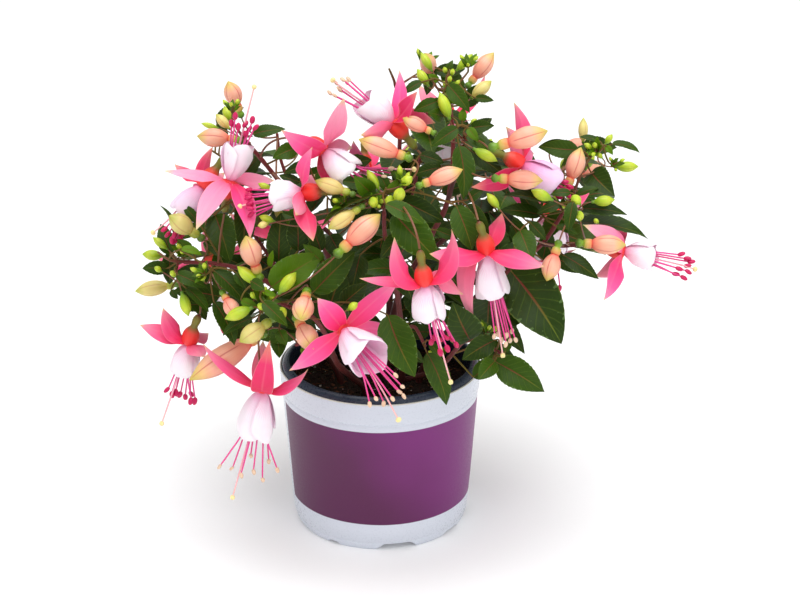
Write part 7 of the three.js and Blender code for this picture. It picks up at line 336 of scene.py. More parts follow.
    {"node":"leafy_stem_front_left","b":[-31.4,-64.7,149.6],"c":[-26.5,-63.6,171],"t":[-18,-53.6,188.6],"n":[-0.355,-0.86,0.367],"w":21.8,"k":[-33.3,-66.2,143.2],"cls":0},
    {"node":"leafy_stem_centre","b":[30.6,31.8,234.4],"c":[48.4,20.3,238.9],"t":[67.2,11.2,233.6],"n":[-0.11,-0.229,0.967],"w":22.4,"k":[26.3,34.2,233.6],"cls":0},
    {"node":"leafy_stem_front","b":[11,-52,189.1],"c":[18.3,-41.8,198],"t":[24.3,-27.9,200.9],"n":[0.176,-0.508,0.843],"w":13.6,"k":[8.2,-57.1,184.8],"cls":0},
    {"node":"leafy_stem_front","b":[5.9,-62,184.2],"c":[-0.9,-75.4,183.7],"t":[-6.1,-87.4,176.4],"n":[-0.214,-0.193,0.958],"w":15.1,"k":[8.2,-57.1,184.8],"cls":0},
    {"node":"leafy_stem_back","b":[93.1,70.7,163.8],"c":[103.7,83,158.3],"t":[111.5,91.4,145.5],"n":[0.334,0.439,0.834],"w":16.6,"k":[78.5,67.1,181.3],"j":[84.3,67.3,173.3],"cls":0},
    {"node":"leafy_stem_back","b":[-74.5,71.8,167.2],"c":[-90.2,79.3,159.2],"t":[-102.2,81.3,144.3],"n":[-0.392,0.579,0.715],"w":19.8,"k":[-59.4,69.4,181.1],"j":[-65.2,69.8,175],"cls":0.45},
    {"node":"leafy_stem_back","b":[31.5,89.5,145.9],"c":[25.4,105.9,138.6],"t":[16.4,115.7,125.1],"n":[0.299,0.694,0.655],"w":19.9,"k":[39.4,64.9,155.2],"j":[36.3,74.9,151.6],"cls":0.45},
    {"node":"leafy_stem_back","b":[-20,90.6,138.8],"c":[-27.9,104.6,135.8],"t":[-36.9,114.2,126],"n":[0.129,0.542,0.831],"w":15.6,"k":[10.6,82,139.7],"j":[-3.1,83.5,139.8],"cls":0},
    {"node":"leafy_stem_back","b":[-60.1,74.2,174.4],"c":[-67.2,86.1,170.1],"t":[-71.6,95.1,159.6],"n":[-0.36,0.399,0.843],"w":14.6,"k":[-56.9,69.2,179.3],"cls":0},
    {"node":"leafy_stem_back","b":[68.6,79.5,186.8],"c":[70.7,93.8,180.6],"t":[70.1,103.7,168.4],"n":[0.34,0.554,0.759],"w":14.3,"k":[71,68.2,176.5],"j":[69.6,72.4,182.3],"cls":0},
    {"node":"leafy_stem_back","b":[39.5,82.9,208.7],"c":[42.2,99,208.1],"t":[44.2,112.8,199.7],"n":[0.089,0.276,0.957],"w":15.6,"k":[11.6,72.6,211.4],"j":[25.1,74.8,210.2],"cls":0.45},
    {"node":"leafy_stem_right","b":[110.9,56.2,191.7],"c":[120.1,69.5,189.2],"t":[125.7,81.4,179.5],"n":[0.441,0.169,0.881],"w":14.5,"k":[109,35.3,195.8],"j":[108.7,44,194.1],"cls":0},
    {"node":"leafy_stem_back","b":[-18.2,89.5,157.3],"c":[-23.4,106.6,149.9],"t":[-27.2,118,134.8],"n":[-0.144,0.586,0.797],"w":17.2,"k":[-28.7,61.8,157.7],"j":[-22.7,73,158.6],"cls":0},
    {"node":"leafy_stem_back","b":[-59.8,75.2,180.1],"c":[-68.5,86.3,175.4],"t":[-75,94,164.4],"n":[-0.311,0.448,0.838],"w":13,"k":[-64.2,69.7,184.7],"cls":0},
    {"node":"leafy_stem_left","b":[-103.9,27.4,160],"c":[-117.5,24.3,159.3],"t":[-128.2,17.3,153.4],"n":[-0.423,0.541,0.727],"w":14,"k":[-78,23.7,178.2],"j":[-87.8,26.3,169.3],"cls":0},
    {"node":"leafy_stem_upper_left","b":[-51.4,73.9,208.1],"c":[-56.9,87.6,206.2],"t":[-60.3,99.3,197.5],"n":[-0.29,0.281,0.915],"w":15.9,"k":[-58.5,45,210.1],"j":[-53.9,56.7,209.5],"cls":0.45},
    {"node":"leafy_stem_back","b":[-37.1,85.7,150.4],"c":[-38.3,98.4,143.5],"t":[-36.6,106.6,131.7],"n":[-0.396,0.617,0.681],"w":14.6,"k":[-35.5,64.9,163],"j":[-36,73.1,157.9],"cls":0},
    {"node":"leafy_stem_back","b":[53.2,89.3,164.9],"c":[62.1,102.1,162.6],"t":[71.7,110.7,153.6],"n":[-0.085,0.523,0.848],"w":13.7,"k":[51.1,68.7,163.4],"j":[51,77.3,164.5],"cls":0},
    {"node":"leafy_stem_back","b":[-50.5,80.9,162.7],"c":[-65.8,92.5,155],"t":[-78.8,97.3,139.7],"n":[-0.222,0.644,0.732],"w":19.5,"k":[-44.8,67.6,170.3],"j":[-46.4,73.3,167.1],"cls":0},
    {"node":"leafy_stem_back","b":[14.4,89.7,157.5],"c":[4.3,108,153.4],"t":[-8.8,119.7,141.5],"n":[0.29,0.615,0.733],"w":20.3,"k":[10.2,78.9,139.4],"j":[13.3,82.5,148.9],"cls":0},
    {"node":"green_shoot_back_right","b":[108.2,65.7,177.7],"c":[126.1,72.8,170.3],"t":[139.9,74.5,155.1],"n":[0.394,0.523,0.756],"w":21.1,"k":[95.2,65.3,191.5],"j":[100.1,64.9,185.3],"cls":0},
    {"node":"leafy_stem_back","b":[1.2,86.4,131.4],"c":[-5,97.9,126.2],"t":[-12.5,104.3,116.3],"n":[0.178,0.711,0.68],"w":13.8,"k":[9.7,75.7,139.2],"j":[6.2,79.8,135.9],"cls":0},
    {"node":"green_shoot_back_right","b":[98.4,69.7,192.2],"c":[110.1,80.4,189.8],"t":[119.9,88.4,180],"n":[0.224,0.341,0.913],"w":14,"k":[100.9,64.4,195],"cls":0.45},
    {"node":"leafy_stem_back","b":[53.7,85.9,140.4],"c":[64.9,102.2,134.6],"t":[76.5,112,120.7],"n":[-0.039,0.625,0.78],"w":18.6,"k":[44,66.8,158.5],"j":[47.3,74.1,150.3],"cls":0},
    {"node":"leafy_stem_back","b":[-53.4,71.8,188.1],"c":[-56.6,88.4,183.2],"t":[-55.9,101.3,171.2],"n":[-0.437,0.421,0.795],"w":18.4,"k":[-47.2,68.1,172.1],"j":[-50,68.3,180.6],"cls":0},
    {"node":"leafy_stem_back","b":[-50.8,75.1,154.7],"c":[-58.1,89.7,142],"t":[-60.9,97.4,122.9],"n":[-0.445,0.66,0.605],"w":20.7,"k":[-40.1,66.5,166.6],"j":[-44.8,69.5,161.8],"cls":0},
    {"node":"leafy_stem_back","b":[2.7,88.4,188.3],"c":[-2.4,107.8,183.1],"t":[-7.6,121.9,168.8],"n":[0.011,0.505,0.863],"w":18.9,"k":[10.6,68.9,190.6],"j":[7.2,76.7,190],"cls":0.45},
    {"node":"leafy_stem_back","b":[-65.9,66.4,190.2],"c":[-77.6,81.1,180.5],"t":[-84.4,90.5,162.8],"n":[-0.454,0.495,0.741],"w":21.2,"k":[-52.9,71.3,187],"j":[-58.6,67.9,189.3],"cls":0.45},
    {"node":"leafy_stem_back","b":[-74.8,65.5,177.1],"c":[-95.1,73.7,172.2],"t":[-112.4,76,158],"n":[-0.266,0.519,0.812],"w":21.2,"k":[-66.7,69.8,186.5],"j":[-69.5,67.1,182.1],"cls":0},
    {"node":"leafy_stem_back","b":[-10.8,90,148],"c":[-13.7,105.2,146.3],"t":[-15.7,117.6,137.3],"n":[-0.103,0.344,0.933],"w":16.3,"k":[-11.5,87.1,139.3],"cls":0.45},
    {"node":"leafy_stem_back","b":[-3.6,92,190.2],"c":[-5.6,106,191.5],"t":[-7.5,118.9,185.8],"n":[-0.025,0.161,0.987],"w":14.8,"k":[10.9,70,196.5],"j":[4.1,78.4,193.1],"cls":0},
    {"node":"leafy_stem_right","b":[124.4,42.3,168.3],"c":[137.5,50.6,162.4],"t":[146.2,56.9,149.7],"n":[0.532,0.238,0.812],"w":17.5,"k":[101.9,31.8,188],"j":[110.7,35.4,179.3],"cls":0.45},
    {"node":"leafy_stem_back","b":[-2.5,88.3,148.3],"c":[-2,107.6,143.8],"t":[0.8,122.3,130.8],"n":[-0.228,0.465,0.856],"w":18.8,"k":[2.4,82.9,139.8],"cls":0},
    {"node":"leafy_stem_back","b":[12.1,95.2,168.9],"c":[4.2,108.5,164.4],"t":[-5.2,116.4,153.9],"n":[0.173,0.659,0.732],"w":16.9,"k":[14.2,88.6,156.2],"j":[13.9,90.7,162.9],"cls":0.45},
    {"node":"leafy_stem_back","b":[55.9,85,189.3],"c":[67.4,96.4,187.3],"t":[79.1,103.4,178.5],"n":[-0.034,0.535,0.844],"w":14.8,"k":[66,68.7,173.2],"j":[59.2,75.1,181.5],"cls":0},
    {"node":"leafy_stem_back","b":[42.4,83.6,220.7],"c":[36.3,103.4,217.1],"t":[28.1,118.2,204.6],"n":[0.207,0.482,0.851],"w":20.5,"k":[37.3,81.7,208.9],"cls":0},
    {"node":"leafy_stem_back","b":[16.9,94.5,169.8],"c":[10,110.2,164.9],"t":[1.4,120.3,153.1],"n":[0.188,0.61,0.769],"w":15.9,"k":[13.9,86.1,153.2],"j":[16.2,88.7,162.1],"cls":0},
    {"node":"leafy_stem_back","b":[34,91.3,170],"c":[29.3,111,163.8],"t":[21.9,124.7,149.2],"n":[0.251,0.575,0.779],"w":21.2,"k":[46.3,67.7,160.2],"j":[40.8,76.8,165.9],"cls":0.45},
    {"node":"leafy_stem_back","b":[23.8,90.6,149.5],"c":[26.3,104.7,147.4],"t":[29.3,115.8,138.6],"n":[-0.086,0.413,0.906],"w":14.8,"k":[13.9,86.1,153.2],"cls":0},
    {"node":"leafy_stem_back","b":[-12.1,89.7,142.8],"c":[-15.8,105.2,136],"t":[-18.4,115.5,122.2],"n":[-0.123,0.602,0.789],"w":16.7,"k":[-11.5,87.1,139.3],"cls":0},
    {"node":"leafy_stem_left","b":[-93.9,41.7,178.5],"c":[-103.7,51.2,174.8],"t":[-109.6,59.6,165.2],"n":[-0.543,0.14,0.828],"w":13.9,"k":[-87.9,31.9,189.7],"j":[-89.8,35.7,184.6],"cls":0},
    {"node":"leafy_stem_back","b":[39.9,92.6,186.6],"c":[35.8,113.3,179.6],"t":[29.3,127.4,163.8],"n":[0.22,0.58,0.785],"w":22.3,"k":[56.4,83.5,188.1],"j":[48.5,86.3,187.9],"cls":0},
    {"node":"leafy_stem_upper_left","b":[-58.4,67.7,207.8],"c":[-74.1,80.8,207.3],"t":[-88.8,90.6,197.2],"n":[-0.096,0.31,0.946],"w":20.2,"k":[-51.8,71.3,208.3],"cls":0.45},
    {"node":"leafy_stem_back","b":[13.5,94.3,163.4],"c":[10.8,107.1,158.3],"t":[7.5,115.6,147.7],"n":[0.082,0.608,0.79],"w":12.9,"k":[13,93,165.9],"cls":0},
    {"node":"leafy_stem_back","b":[0,93,132.8],"c":[-6.8,107.2,126.4],"t":[-14.8,115.6,114],"n":[0.141,0.686,0.713],"w":15.1,"k":[12,91.4,139.7],"j":[6.6,91,136.8],"cls":0},
    {"node":"leafy_stem_back","b":[65.1,88,183.1],"c":[58.8,107.2,173.3],"t":[49,118.3,156.4],"n":[0.314,0.717,0.622],"w":20.6,"k":[57.6,80.1,185.4],"cls":0},
    {"node":"leafy_stem_left","b":[-88.7,40,197.9],"c":[-100.1,44.5,191.5],"t":[-107.3,46.8,180],"n":[-0.596,0.32,0.737],"w":14.4,"k":[-86.3,30.5,187.8],"j":[-86.4,34.8,193.5],"cls":0},
    {"node":"leafy_stem_back","b":[17.8,87.5,197.1],"c":[28.7,106.8,193.3],"t":[41.2,120,180.1],"n":[-0.142,0.538,0.831],"w":20.5,"k":[11.1,70.6,199.5],"j":[13.6,77.5,198.6],"cls":0},
    {"node":"leafy_stem_back","b":[-75.1,70.5,171.1],"c":[-86.3,79.7,167.9],"t":[-95.5,85.9,158.1],"n":[-0.258,0.398,0.881],"w":13.3,"k":[-73.1,71.5,168.4],"cls":0.45},
    {"node":"leafy_stem_right","b":[120.8,42.8,188.2],"c":[134.4,42.2,184.9],"t":[144.6,38.6,176.2],"n":[0.466,0.422,0.778],"w":13.4,"k":[110.8,36,197.9],"j":[114.3,39.5,193.4],"cls":0},
    {"node":"leafy_stem_right","b":[111.9,39.8,215.8],"c":[126.7,49.9,214.4],"t":[138.7,58.8,204.5],"n":[0.309,0.128,0.943],"w":15.7,"k":[112.5,36.6,199.9],"j":[110.9,37.3,208],"cls":0.45},
    {"node":"leafy_stem_back","b":[77,77,161.2],"c":[83.5,92.7,155.6],"t":[86.7,104.4,142.5],"n":[0.355,0.439,0.826],"w":17.7,"k":[68.5,68.5,174.9],"j":[72.1,71.2,168.6],"cls":0},
    {"node":"leafy_stem_right","b":[124.4,28.2,198.1],"c":[135.1,37.2,197.3],"t":[142.6,46.4,190.2],"n":[0.439,-0.048,0.897],"w":14.3,"k":[114.3,37.3,202],"j":[118.3,31.9,200.1],"cls":0.45},
    {"node":"leafy_stem_back","b":[93.6,72.8,174.7],"c":[107.4,86.5,168.4],"t":[118.1,95.5,153.5],"n":[0.298,0.459,0.837],"w":21.2,"k":[84.5,66.2,185.1],"j":[88,68.5,180.4],"cls":0},
    {"node":"leafy_stem_back","b":[9.8,90.4,154.3],"c":[5.2,105.7,151],"t":[-0.8,117,140.7],"n":[0.185,0.504,0.844],"w":16.3,"k":[14.2,88.6,156.2],"cls":0},
    {"node":"leafy_stem_back","b":[35.5,81.5,212.8],"c":[43.5,98.1,212.8],"t":[52.3,111.8,204.1],"n":[-0.085,0.315,0.945],"w":17.3,"k":[37.3,81.7,208.9],"cls":0},
    {"node":"leafy_stem_left","b":[-55.7,-37.3,182.4],"c":[-50.9,-36.5,191],"t":[-45,-33,198.1],"n":[-0.304,-0.846,0.438],"w":10.4,"k":[-62.6,-45.4,170.5],"j":[-59.2,-41.3,176.5],"cls":0},
    {"node":"leafy_stem_left","b":[-91.5,-54.2,167.1],"c":[-104.2,-58.1,170.7],"t":[-117.5,-60.4,173.3],"n":[0.31,-0.819,0.483],"w":13,"k":[-87.7,-48.7,183.8],"j":[-89.6,-51.4,175.4],"cls":0},
    {"node":"leafy_stem_left","b":[-61.1,-5.6,125.8],"c":[-60.7,-11.7,118.9],"t":[-60.2,-17,111.5],"n":[0.046,-0.778,0.627],"w":10.1,"k":[-46.4,-4.2,134.9],"j":[-53.8,-4.9,130.3],"cls":0.45},
    {"node":"leafy_stem_back","b":[16.4,48.8,123.5],"c":[13.8,44.8,115.5],"t":[11,42.5,106.9],"n":[0.106,-0.94,0.324],"w":8.6,"k":[11.1,45.8,133.9],"j":[13.7,47.3,129],"cls":0},
    {"node":"leafy_stem_left","b":[-71.2,-37.9,154.5],"c":[-79.5,-39.8,159.5],"t":[-88.7,-39.4,162.7],"n":[0.333,-0.736,0.589],"w":9.8,"k":[-56.5,-42.4,164],"j":[-63.9,-40.2,159.2],"cls":0},
    {"node":"leafy_stem_right","b":[29.6,3.1,119.7],"c":[20.6,2.1,120.9],"t":[11.6,3.1,121],"n":[0.035,-0.881,0.471],"w":9.4,"k":[33.9,-3.8,112.7],"j":[31.7,-0.3,116.6],"cls":0},
    {"node":"leafy_stem_left","b":[-88.3,3.9,170.2],"c":[-96.6,2.4,174.5],"t":[-105.4,2.5,177.9],"n":[0.258,-0.875,0.41],"w":9.3,"k":[-73.1,19.6,172.3],"j":[-80.7,11.8,170.9],"cls":0},
    {"node":"leafy_stem_upper_left","b":[-40.8,-19,197.5],"c":[-49,-17.6,201.2],"t":[-57.2,-14,203.2],"n":[-0.032,-0.798,0.601],"w":7.8,"k":[-39,-17.9,195.9],"j":[-39.9,-18.4,197.5],"cls":0.45},
    {"node":"green_shoot_left","b":[-121.6,-31.2,184.1],"c":[-124.7,-26.6,192.2],"t":[-127.6,-19.7,198.6],"n":[-0.055,-0.793,0.607],"w":10,"k":[-115,-50.2,187.2],"j":[-118.3,-40.7,185.4],"cls":0.45},
    {"node":"green_shoot_left","b":[-121.8,-29.4,184.7],"c":[-121.9,-31.6,174.9],"t":[-122.4,-31.2,164.9],"n":[0.16,-0.983,0.085],"w":9.3,"k":[-115,-50.2,187.2],"j":[-118.4,-39.8,185.6],"cls":0},
    {"node":"leafy_stem_front","b":[54.5,-62.4,119.8],"c":[62.5,-60.9,126.6],"t":[71,-57.9,132.4],"n":[-0.197,-0.816,0.543],"w":9.9,"k":[42.2,-55.2,131.4],"j":[48.4,-58.8,125.5],"cls":0.45},
    {"node":"leafy_stem_centre","b":[27.8,45.2,231.7],"c":[36.2,46.3,236.2],"t":[44.7,48.2,240.1],"n":[-0.065,-0.891,0.45],"w":10.7,"k":[26.3,34.2,233.6],"j":[27.1,39.7,233],"cls":0},
    {"node":"leafy_stem_right","b":[91.1,-54.4,216.4],"c":[85,-55,224.9],"t":[78.6,-54.5,233.3],"n":[0.268,-0.944,0.192],"w":9.2,"k":[101.4,-51.6,212.6],"j":[96.2,-53,214.8],"cls":0},
    {"node":"green_shoot_back_top","b":[33.4,72.5,262.2],"c":[43,73.5,263],"t":[52,77.3,262.6],"n":[0.218,-0.896,0.386],"w":8.1,"k":[22.2,71.7,260.9],"j":[27.8,72.1,261.9],"cls":0},
    {"node":"leafy_stem_right","b":[100,-47.9,189.2],"c":[108,-52.5,186.1],"t":[116.6,-54.5,181.9],"n":[-0.178,-0.896,0.407],"w":8.4,"k":[96.1,-52.4,198.7],"j":[98.1,-50.2,194.2],"cls":0.45},
    {"node":"leafy_stem_left","b":[-74.8,30.8,156.8],"c":[-67.5,25.9,152.7],"t":[-60.7,23.2,146.4],"n":[0.147,-0.692,0.706],"w":8.8,"k":[-70.8,17.6,169.3],"j":[-72.8,24.2,162.9],"cls":0},
    {"node":"leafy_stem_upper_left","b":[-44.6,7.6,185.5],"c":[-51.9,10.1,190.3],"t":[-59.1,14.4,194.1],"n":[-0.081,-0.845,0.529],"w":9.5,"k":[-32.1,-10.2,177.9],"j":[-38.3,-1.3,181.3],"cls":0},
    {"node":"green_shoot_back_right","b":[93.3,82.5,186.3],"c":[83.9,82.1,185.2],"t":[75.1,84.5,182.5],"n":[-0.19,-0.861,0.472],"w":9.6,"k":[95.7,77.9,193.9],"j":[94.5,80.2,190.5],"cls":0},
    {"node":"leafy_stem_back","b":[54.5,60.5,175],"c":[44,56.2,176.4],"t":[32.6,54.3,176],"n":[0.245,-0.776,0.581],"w":9.8,"k":[57.9,69.1,167.9],"j":[56.2,64.8,171.8],"cls":0.45},
    {"node":"leafy_stem_centre","b":[48.4,-14.4,269.6],"c":[54.7,-15.6,276.5],"t":[62.1,-14.3,282.2],"n":[-0.346,-0.857,0.383],"w":10.1,"k":[40.3,-26.7,272.4],"j":[44.4,-20.6,271.1],"cls":0},
    {"node":"green_shoot_back_right","b":[122.7,47.3,223.2],"c":[133.2,46,223.5],"t":[143.5,47.5,222.1],"n":[0.036,-0.869,0.493],"w":11.5,"k":[115.8,57.6,206.1],"j":[119.3,52.5,214.4],"cls":0},
    {"node":"leafy_stem_left","b":[-47.2,-10.8,126.2],"c":[-60.4,-9.4,123.5],"t":[-72.7,-6.2,119.1],"n":[-0.305,-0.717,0.626],"w":12.2,"k":[-42.2,-8.1,128.4],"j":[-44.7,-9.5,128],"cls":0.45},
    {"node":"leafy_stem_left","b":[-104.5,45.6,180.3],"c":[-112.4,40.9,173.7],"t":[-120.1,39.3,165.7],"n":[-0.041,-0.9,0.434],"w":12.2,"k":[-95.8,37.9,198.1],"j":[-100.1,41.8,188.9],"cls":0.45},
    {"node":"leafy_stem_back","b":[-15.2,52.1,167.6],"c":[-10.3,53.1,175.1],"t":[-5,55.2,182.1],"n":[-0.245,-0.899,0.362],"w":8.4,"k":[-23.8,59.3,153.8],"j":[-19.5,55.7,160.6],"cls":0},
    {"node":"leafy_stem_right","b":[55.8,-15.6,120.9],"c":[62.8,-15.4,126.7],"t":[70,-14.5,132.1],"n":[-0.296,-0.84,0.456],"w":10,"k":[42.7,-11.2,129.3],"j":[49.3,-13.4,125.2],"cls":0.45},
    {"node":"leafy_stem_centre","b":[22.9,48.2,205.4],"c":[20,45.1,195.1],"t":[17.7,43.9,184.2],"n":[-0.268,-0.929,0.256],"w":12.4,"k":[21.6,29.1,209.4],"j":[22.3,38.7,207.2],"cls":0.45},
    {"node":"green_shoot_left","b":[-112.6,-62,165.1],"c":[-103.6,-60.7,164.3],"t":[-95.5,-56.9,162.4],"n":[0.322,-0.864,0.387],"w":7.8,"k":[-114,-52.5,174.6],"j":[-113.3,-57.3,170],"cls":0.45},
    {"node":"leafy_stem_right","b":[47.9,-29.3,139.4],"c":[38.8,-26.3,142.5],"t":[30.3,-21.4,144.4],"n":[-0.244,-0.839,0.486],"w":8.5,"k":[51.2,-21.4,144.8],"j":[49.6,-25.4,142.5],"cls":0.45},
    {"node":"green_shoot_top","b":[31.2,-4.8,289.8],"c":[28.8,-6.4,281.3],"t":[27.3,-5.9,272.6],"n":[-0.388,-0.91,0.148],"w":8.3,"k":[39.7,-24.5,291.5],"j":[35.5,-14.6,290.4],"cls":0},
    {"node":"leafy_stem_front","b":[12.4,-54.2,136],"c":[19.3,-55.2,131],"t":[25.9,-55.1,125.6],"n":[0.222,-0.905,0.362],"w":7.7,"k":[16.6,-50,142],"j":[14.5,-52.1,139.5],"cls":0},
    {"node":"leafy_stem_left","b":[-92,10.3,172.2],"c":[-95,3.4,165.7],"t":[-98.3,-2.3,158.1],"n":[0.219,-0.773,0.596],"w":10,"k":[-75.5,21.7,175.2],"j":[-83.8,16,173.5],"cls":0.45},
    {"node":"green_shoot_back_top","b":[37.3,78.2,261.5],"c":[45.5,77.6,254.9],"t":[53.1,78.9,247.7],"n":[0.323,-0.889,0.324],"w":11.3,"k":[22.2,71.7,260.9],"j":[29.8,74.9,261.2],"cls":0.45},
    {"node":"leafy_stem_back","b":[-4.3,67.1,191.7],"c":[-15.4,65.3,193.4],"t":[-26.7,64.6,194.2],"n":[0.154,-0.793,0.589],"w":10,"k":[10.8,69.3,192.8],"j":[3.2,68.2,192.3],"cls":0.45},
    {"node":"leafy_stem_centre","b":[48.2,31.3,228.4],"c":[62.2,30.2,226.8],"t":[75.6,32.9,223.4],"n":[0.128,-0.902,0.413],"w":12.2,"k":[26.3,34.2,233.6],"j":[37.3,32.8,230.7],"cls":0.45},
    {"node":"leafy_stem_left","b":[-63.8,5.3,130.3],"c":[-70.9,3.6,124.2],"t":[-77.6,4.4,117.7],"n":[-0.109,-0.977,0.185],"w":10.3,"k":[-50.6,-0.3,141.4],"j":[-57.2,2.5,135.7],"cls":0},
    {"node":"leafy_stem_centre","b":[27.1,35.8,235.4],"c":[29.1,38.5,244],"t":[31.3,42.9,251.8],"n":[-0.103,-0.905,0.413],"w":8,"k":[26.3,34.2,233.6],"j":[26.7,35,235.4],"cls":0.45},
    {"node":"green_shoot_right","b":[105.3,-41.9,214.9],"c":[98.7,-46.7,207.8],"t":[93,-49,199],"n":[-0.282,-0.776,0.564],"w":11.1,"k":[104.1,-52.1,217.6],"j":[104.7,-47,216.6],"cls":0.45},
    {"node":"leafy_stem_left","b":[-94.5,-38.4,177.1],"c":[-91.6,-44.5,170.4],"t":[-89,-48.6,162.2],"n":[0.168,-0.784,0.598],"w":7.9,"k":[-92.3,-49.1,185.3],"j":[-93.4,-43.8,181.4],"cls":0.45},
    {"node":"leafy_stem_centre","b":[50.2,-41.6,261],"c":[57.5,-37.6,264.8],"t":[64.5,-32.3,267.7],"n":[0.26,-0.798,0.543],"w":8,"k":[47.6,-49.7,260.2],"j":[48.9,-45.6,261.1],"cls":0},
    {"node":"leafy_stem_centre","b":[37.2,24,201.7],"c":[46,25.8,203.7],"t":[54.5,28.8,204.7],"n":[0.116,-0.792,0.6],"w":9.2,"k":[20.9,28.1,205.4],"j":[29,26,203.5],"cls":0},
    {"node":"green_shoot_back_left","b":[-99.1,71.6,214.2],"c":[-98,74.3,222.7],"t":[-97.1,77.8,231],"n":[0.288,-0.91,0.299],"w":8.5,"k":[-99.5,67.7,210.2],"j":[-99.3,69.6,212.8],"cls":0},
    {"node":"leafy_stem_back","b":[62.8,77.5,167.5],"c":[68,77.1,174.7],"t":[73.7,77.7,181.6],"n":[-0.328,-0.908,0.262],"w":8.1,"k":[61,69.3,170],"j":[61.9,73.4,169.2],"cls":0.45},
    {"node":"green_shoot_back_right","b":[115.1,82,179.7],"c":[125.8,82,177.8],"t":[135.7,84.4,174.1],"n":[0.247,-0.786,0.566],"w":10.3,"k":[96.8,80,195],"j":[106,81,186.9],"cls":0.45},
    {"node":"leafy_stem_back","b":[25.1,80.9,144.8],"c":[34.7,82.9,147.2],"t":[44.2,85.8,148.9],"n":[0.06,-0.772,0.633],"w":8.7,"k":[10.9,84.4,139.8],"j":[18,82.6,142.4],"cls":0},
    {"node":"leafy_stem_centre","b":[23.6,52.8,237.7],"c":[30.8,52.4,245.5],"t":[38.3,53.7,252.9],"n":[-0.193,-0.951,0.242],"w":9.7,"k":[26.3,34.2,233.6],"j":[25,43.5,235.5],"cls":0},
    {"node":"leafy_stem_back","b":[12.8,66.4,196.8],"c":[18.1,65.2,204.5],"t":[23.5,66.4,212.1],"n":[-0.041,-0.999,0.033],"w":9.8,"k":[11,70.3,198],"j":[11.9,68.3,198.1],"cls":0},
    {"node":"leafy_stem_back","b":[-47.2,84.2,187.8],"c":[-40,82.1,192.8],"t":[-31.8,82.5,196.5],"n":[-0.339,-0.836,0.432],"w":8.4,"k":[-55.7,69.2,178.4],"j":[-51.4,76.7,182.9],"cls":0.45},
    {"node":"leafy_stem_front","b":[57,-46.4,133.1],"c":[68.2,-50.4,131],"t":[79.5,-52.2,127],"n":[-0.014,-0.747,0.664],"w":10.7,"k":[42.2,-55.2,131.4],"j":[49.6,-50.8,132.2],"cls":0},
    {"node":"leafy_stem_left","b":[-68.4,-34.6,158],"c":[-75.3,-33.2,163.3],"t":[-82.1,-30.1,167.9],"n":[-0.063,-0.939,0.338],"w":8.5,"k":[-54.2,-40.1,160.4],"j":[-61.3,-37.3,159.3],"cls":0},
    {"node":"leafy_stem_centre","b":[38.8,33,249.3],"c":[46.5,31.2,245.8],"t":[53.6,31.3,240.9],"n":[0.261,-0.744,0.615],"w":8.1,"k":[27.6,32.5,245.9],"j":[33.2,32.8,247.9],"cls":0},
    {"node":"leafy_stem_left","b":[-95.7,-31.3,171.9],"c":[-107.5,-29.4,172],"t":[-119,-26.2,171.6],"n":[-0.2,-0.898,0.391],"w":11.4,"k":[-92.3,-49.1,185.3],"j":[-94,-40.2,178.2],"cls":0},
    {"node":"leafy_stem_left","b":[-76.7,-52.6,155.8],"c":[-80.1,-59.3,143.3],"t":[-83.4,-62.1,129.4],"n":[-0.029,-0.938,0.345],"w":13.1,"k":[-66.3,-46,173.5],"j":[-71.5,-49.3,164.4],"cls":0},
    {"node":"leafy_stem_left","b":[-73.8,11.4,154.7],"c":[-83.7,9.3,161.1],"t":[-94.4,10.4,166.3],"n":[0.238,-0.909,0.343],"w":13,"k":[-63.7,11.5,160.3],"j":[-68.7,11.4,157.8],"cls":0},
    {"node":"green_shoot_left","b":[-106.8,-41.9,163.6],"c":[-103.6,-43.2,155.8],"t":[-100.6,-43.6,147.7],"n":[0.341,-0.911,0.231],"w":8.2,"k":[-114,-52.5,174.6],"j":[-110.4,-47.2,169.1],"cls":0.45},
    {"node":"leafy_stem_back","b":[82.7,83.5,167.2],"c":[79.1,90,176.2],"t":[75.8,97.5,184.5],"n":[-0.197,-0.8,0.567],"w":11.5,"k":[73.5,67.9,178.1],"j":[78.1,75.7,172.4],"cls":0},
    {"node":"leafy_stem_upper_left","b":[-40.9,-22.6,205.9],"c":[-40.7,-30,197.5],"t":[-40.9,-34.1,187.1],"n":[0.116,-0.846,0.52],"w":11.2,"k":[-43.2,-21.1,204.8],"j":[-42.1,-21.8,206.2],"cls":0.45},
    {"node":"leafy_stem_right","b":[64.6,24.1,146.4],"c":[55.9,25.3,145.8],"t":[48,29,144.4],"n":[-0.299,-0.911,0.283],"w":8.4,"k":[68.2,9.2,154.2],"j":[66.4,16.7,150.2],"cls":0},
    {"node":"leafy_stem_left","b":[-67.7,31.1,160.2],"c":[-64.2,34.8,167.4],"t":[-60.5,39.3,174],"n":[-0.207,-0.79,0.577],"w":7.7,"k":[-70.8,17.6,169.3],"j":[-69.2,24.4,164.7],"cls":0.45},
    {"node":"leafy_stem_back","b":[83.1,70.6,156.5],"c":[76.6,68.2,150.2],"t":[70.7,67.6,142.9],"n":[-0.29,-0.843,0.452],"w":8.6,"k":[70.4,68.2,176.1],"j":[76.7,69.4,165.9],"cls":0.45},
    {"node":"leafy_stem_back","b":[8.5,85,194.9],"c":[11.7,82.7,186.7],"t":[14.8,81.5,178.2],"n":[0.146,-0.957,0.251],"w":8.1,"k":[11,70.3,198],"j":[9.8,77.6,196.5],"cls":0},
    {"node":"green_shoot_back_left","b":[-101.6,86,224],"c":[-93.4,88.4,229.5],"t":[-85.1,93,232.9],"n":[-0.065,-0.722,0.689],"w":10.6,"k":[-101.7,66.8,212.1],"j":[-101.6,76.4,217.7],"cls":0},
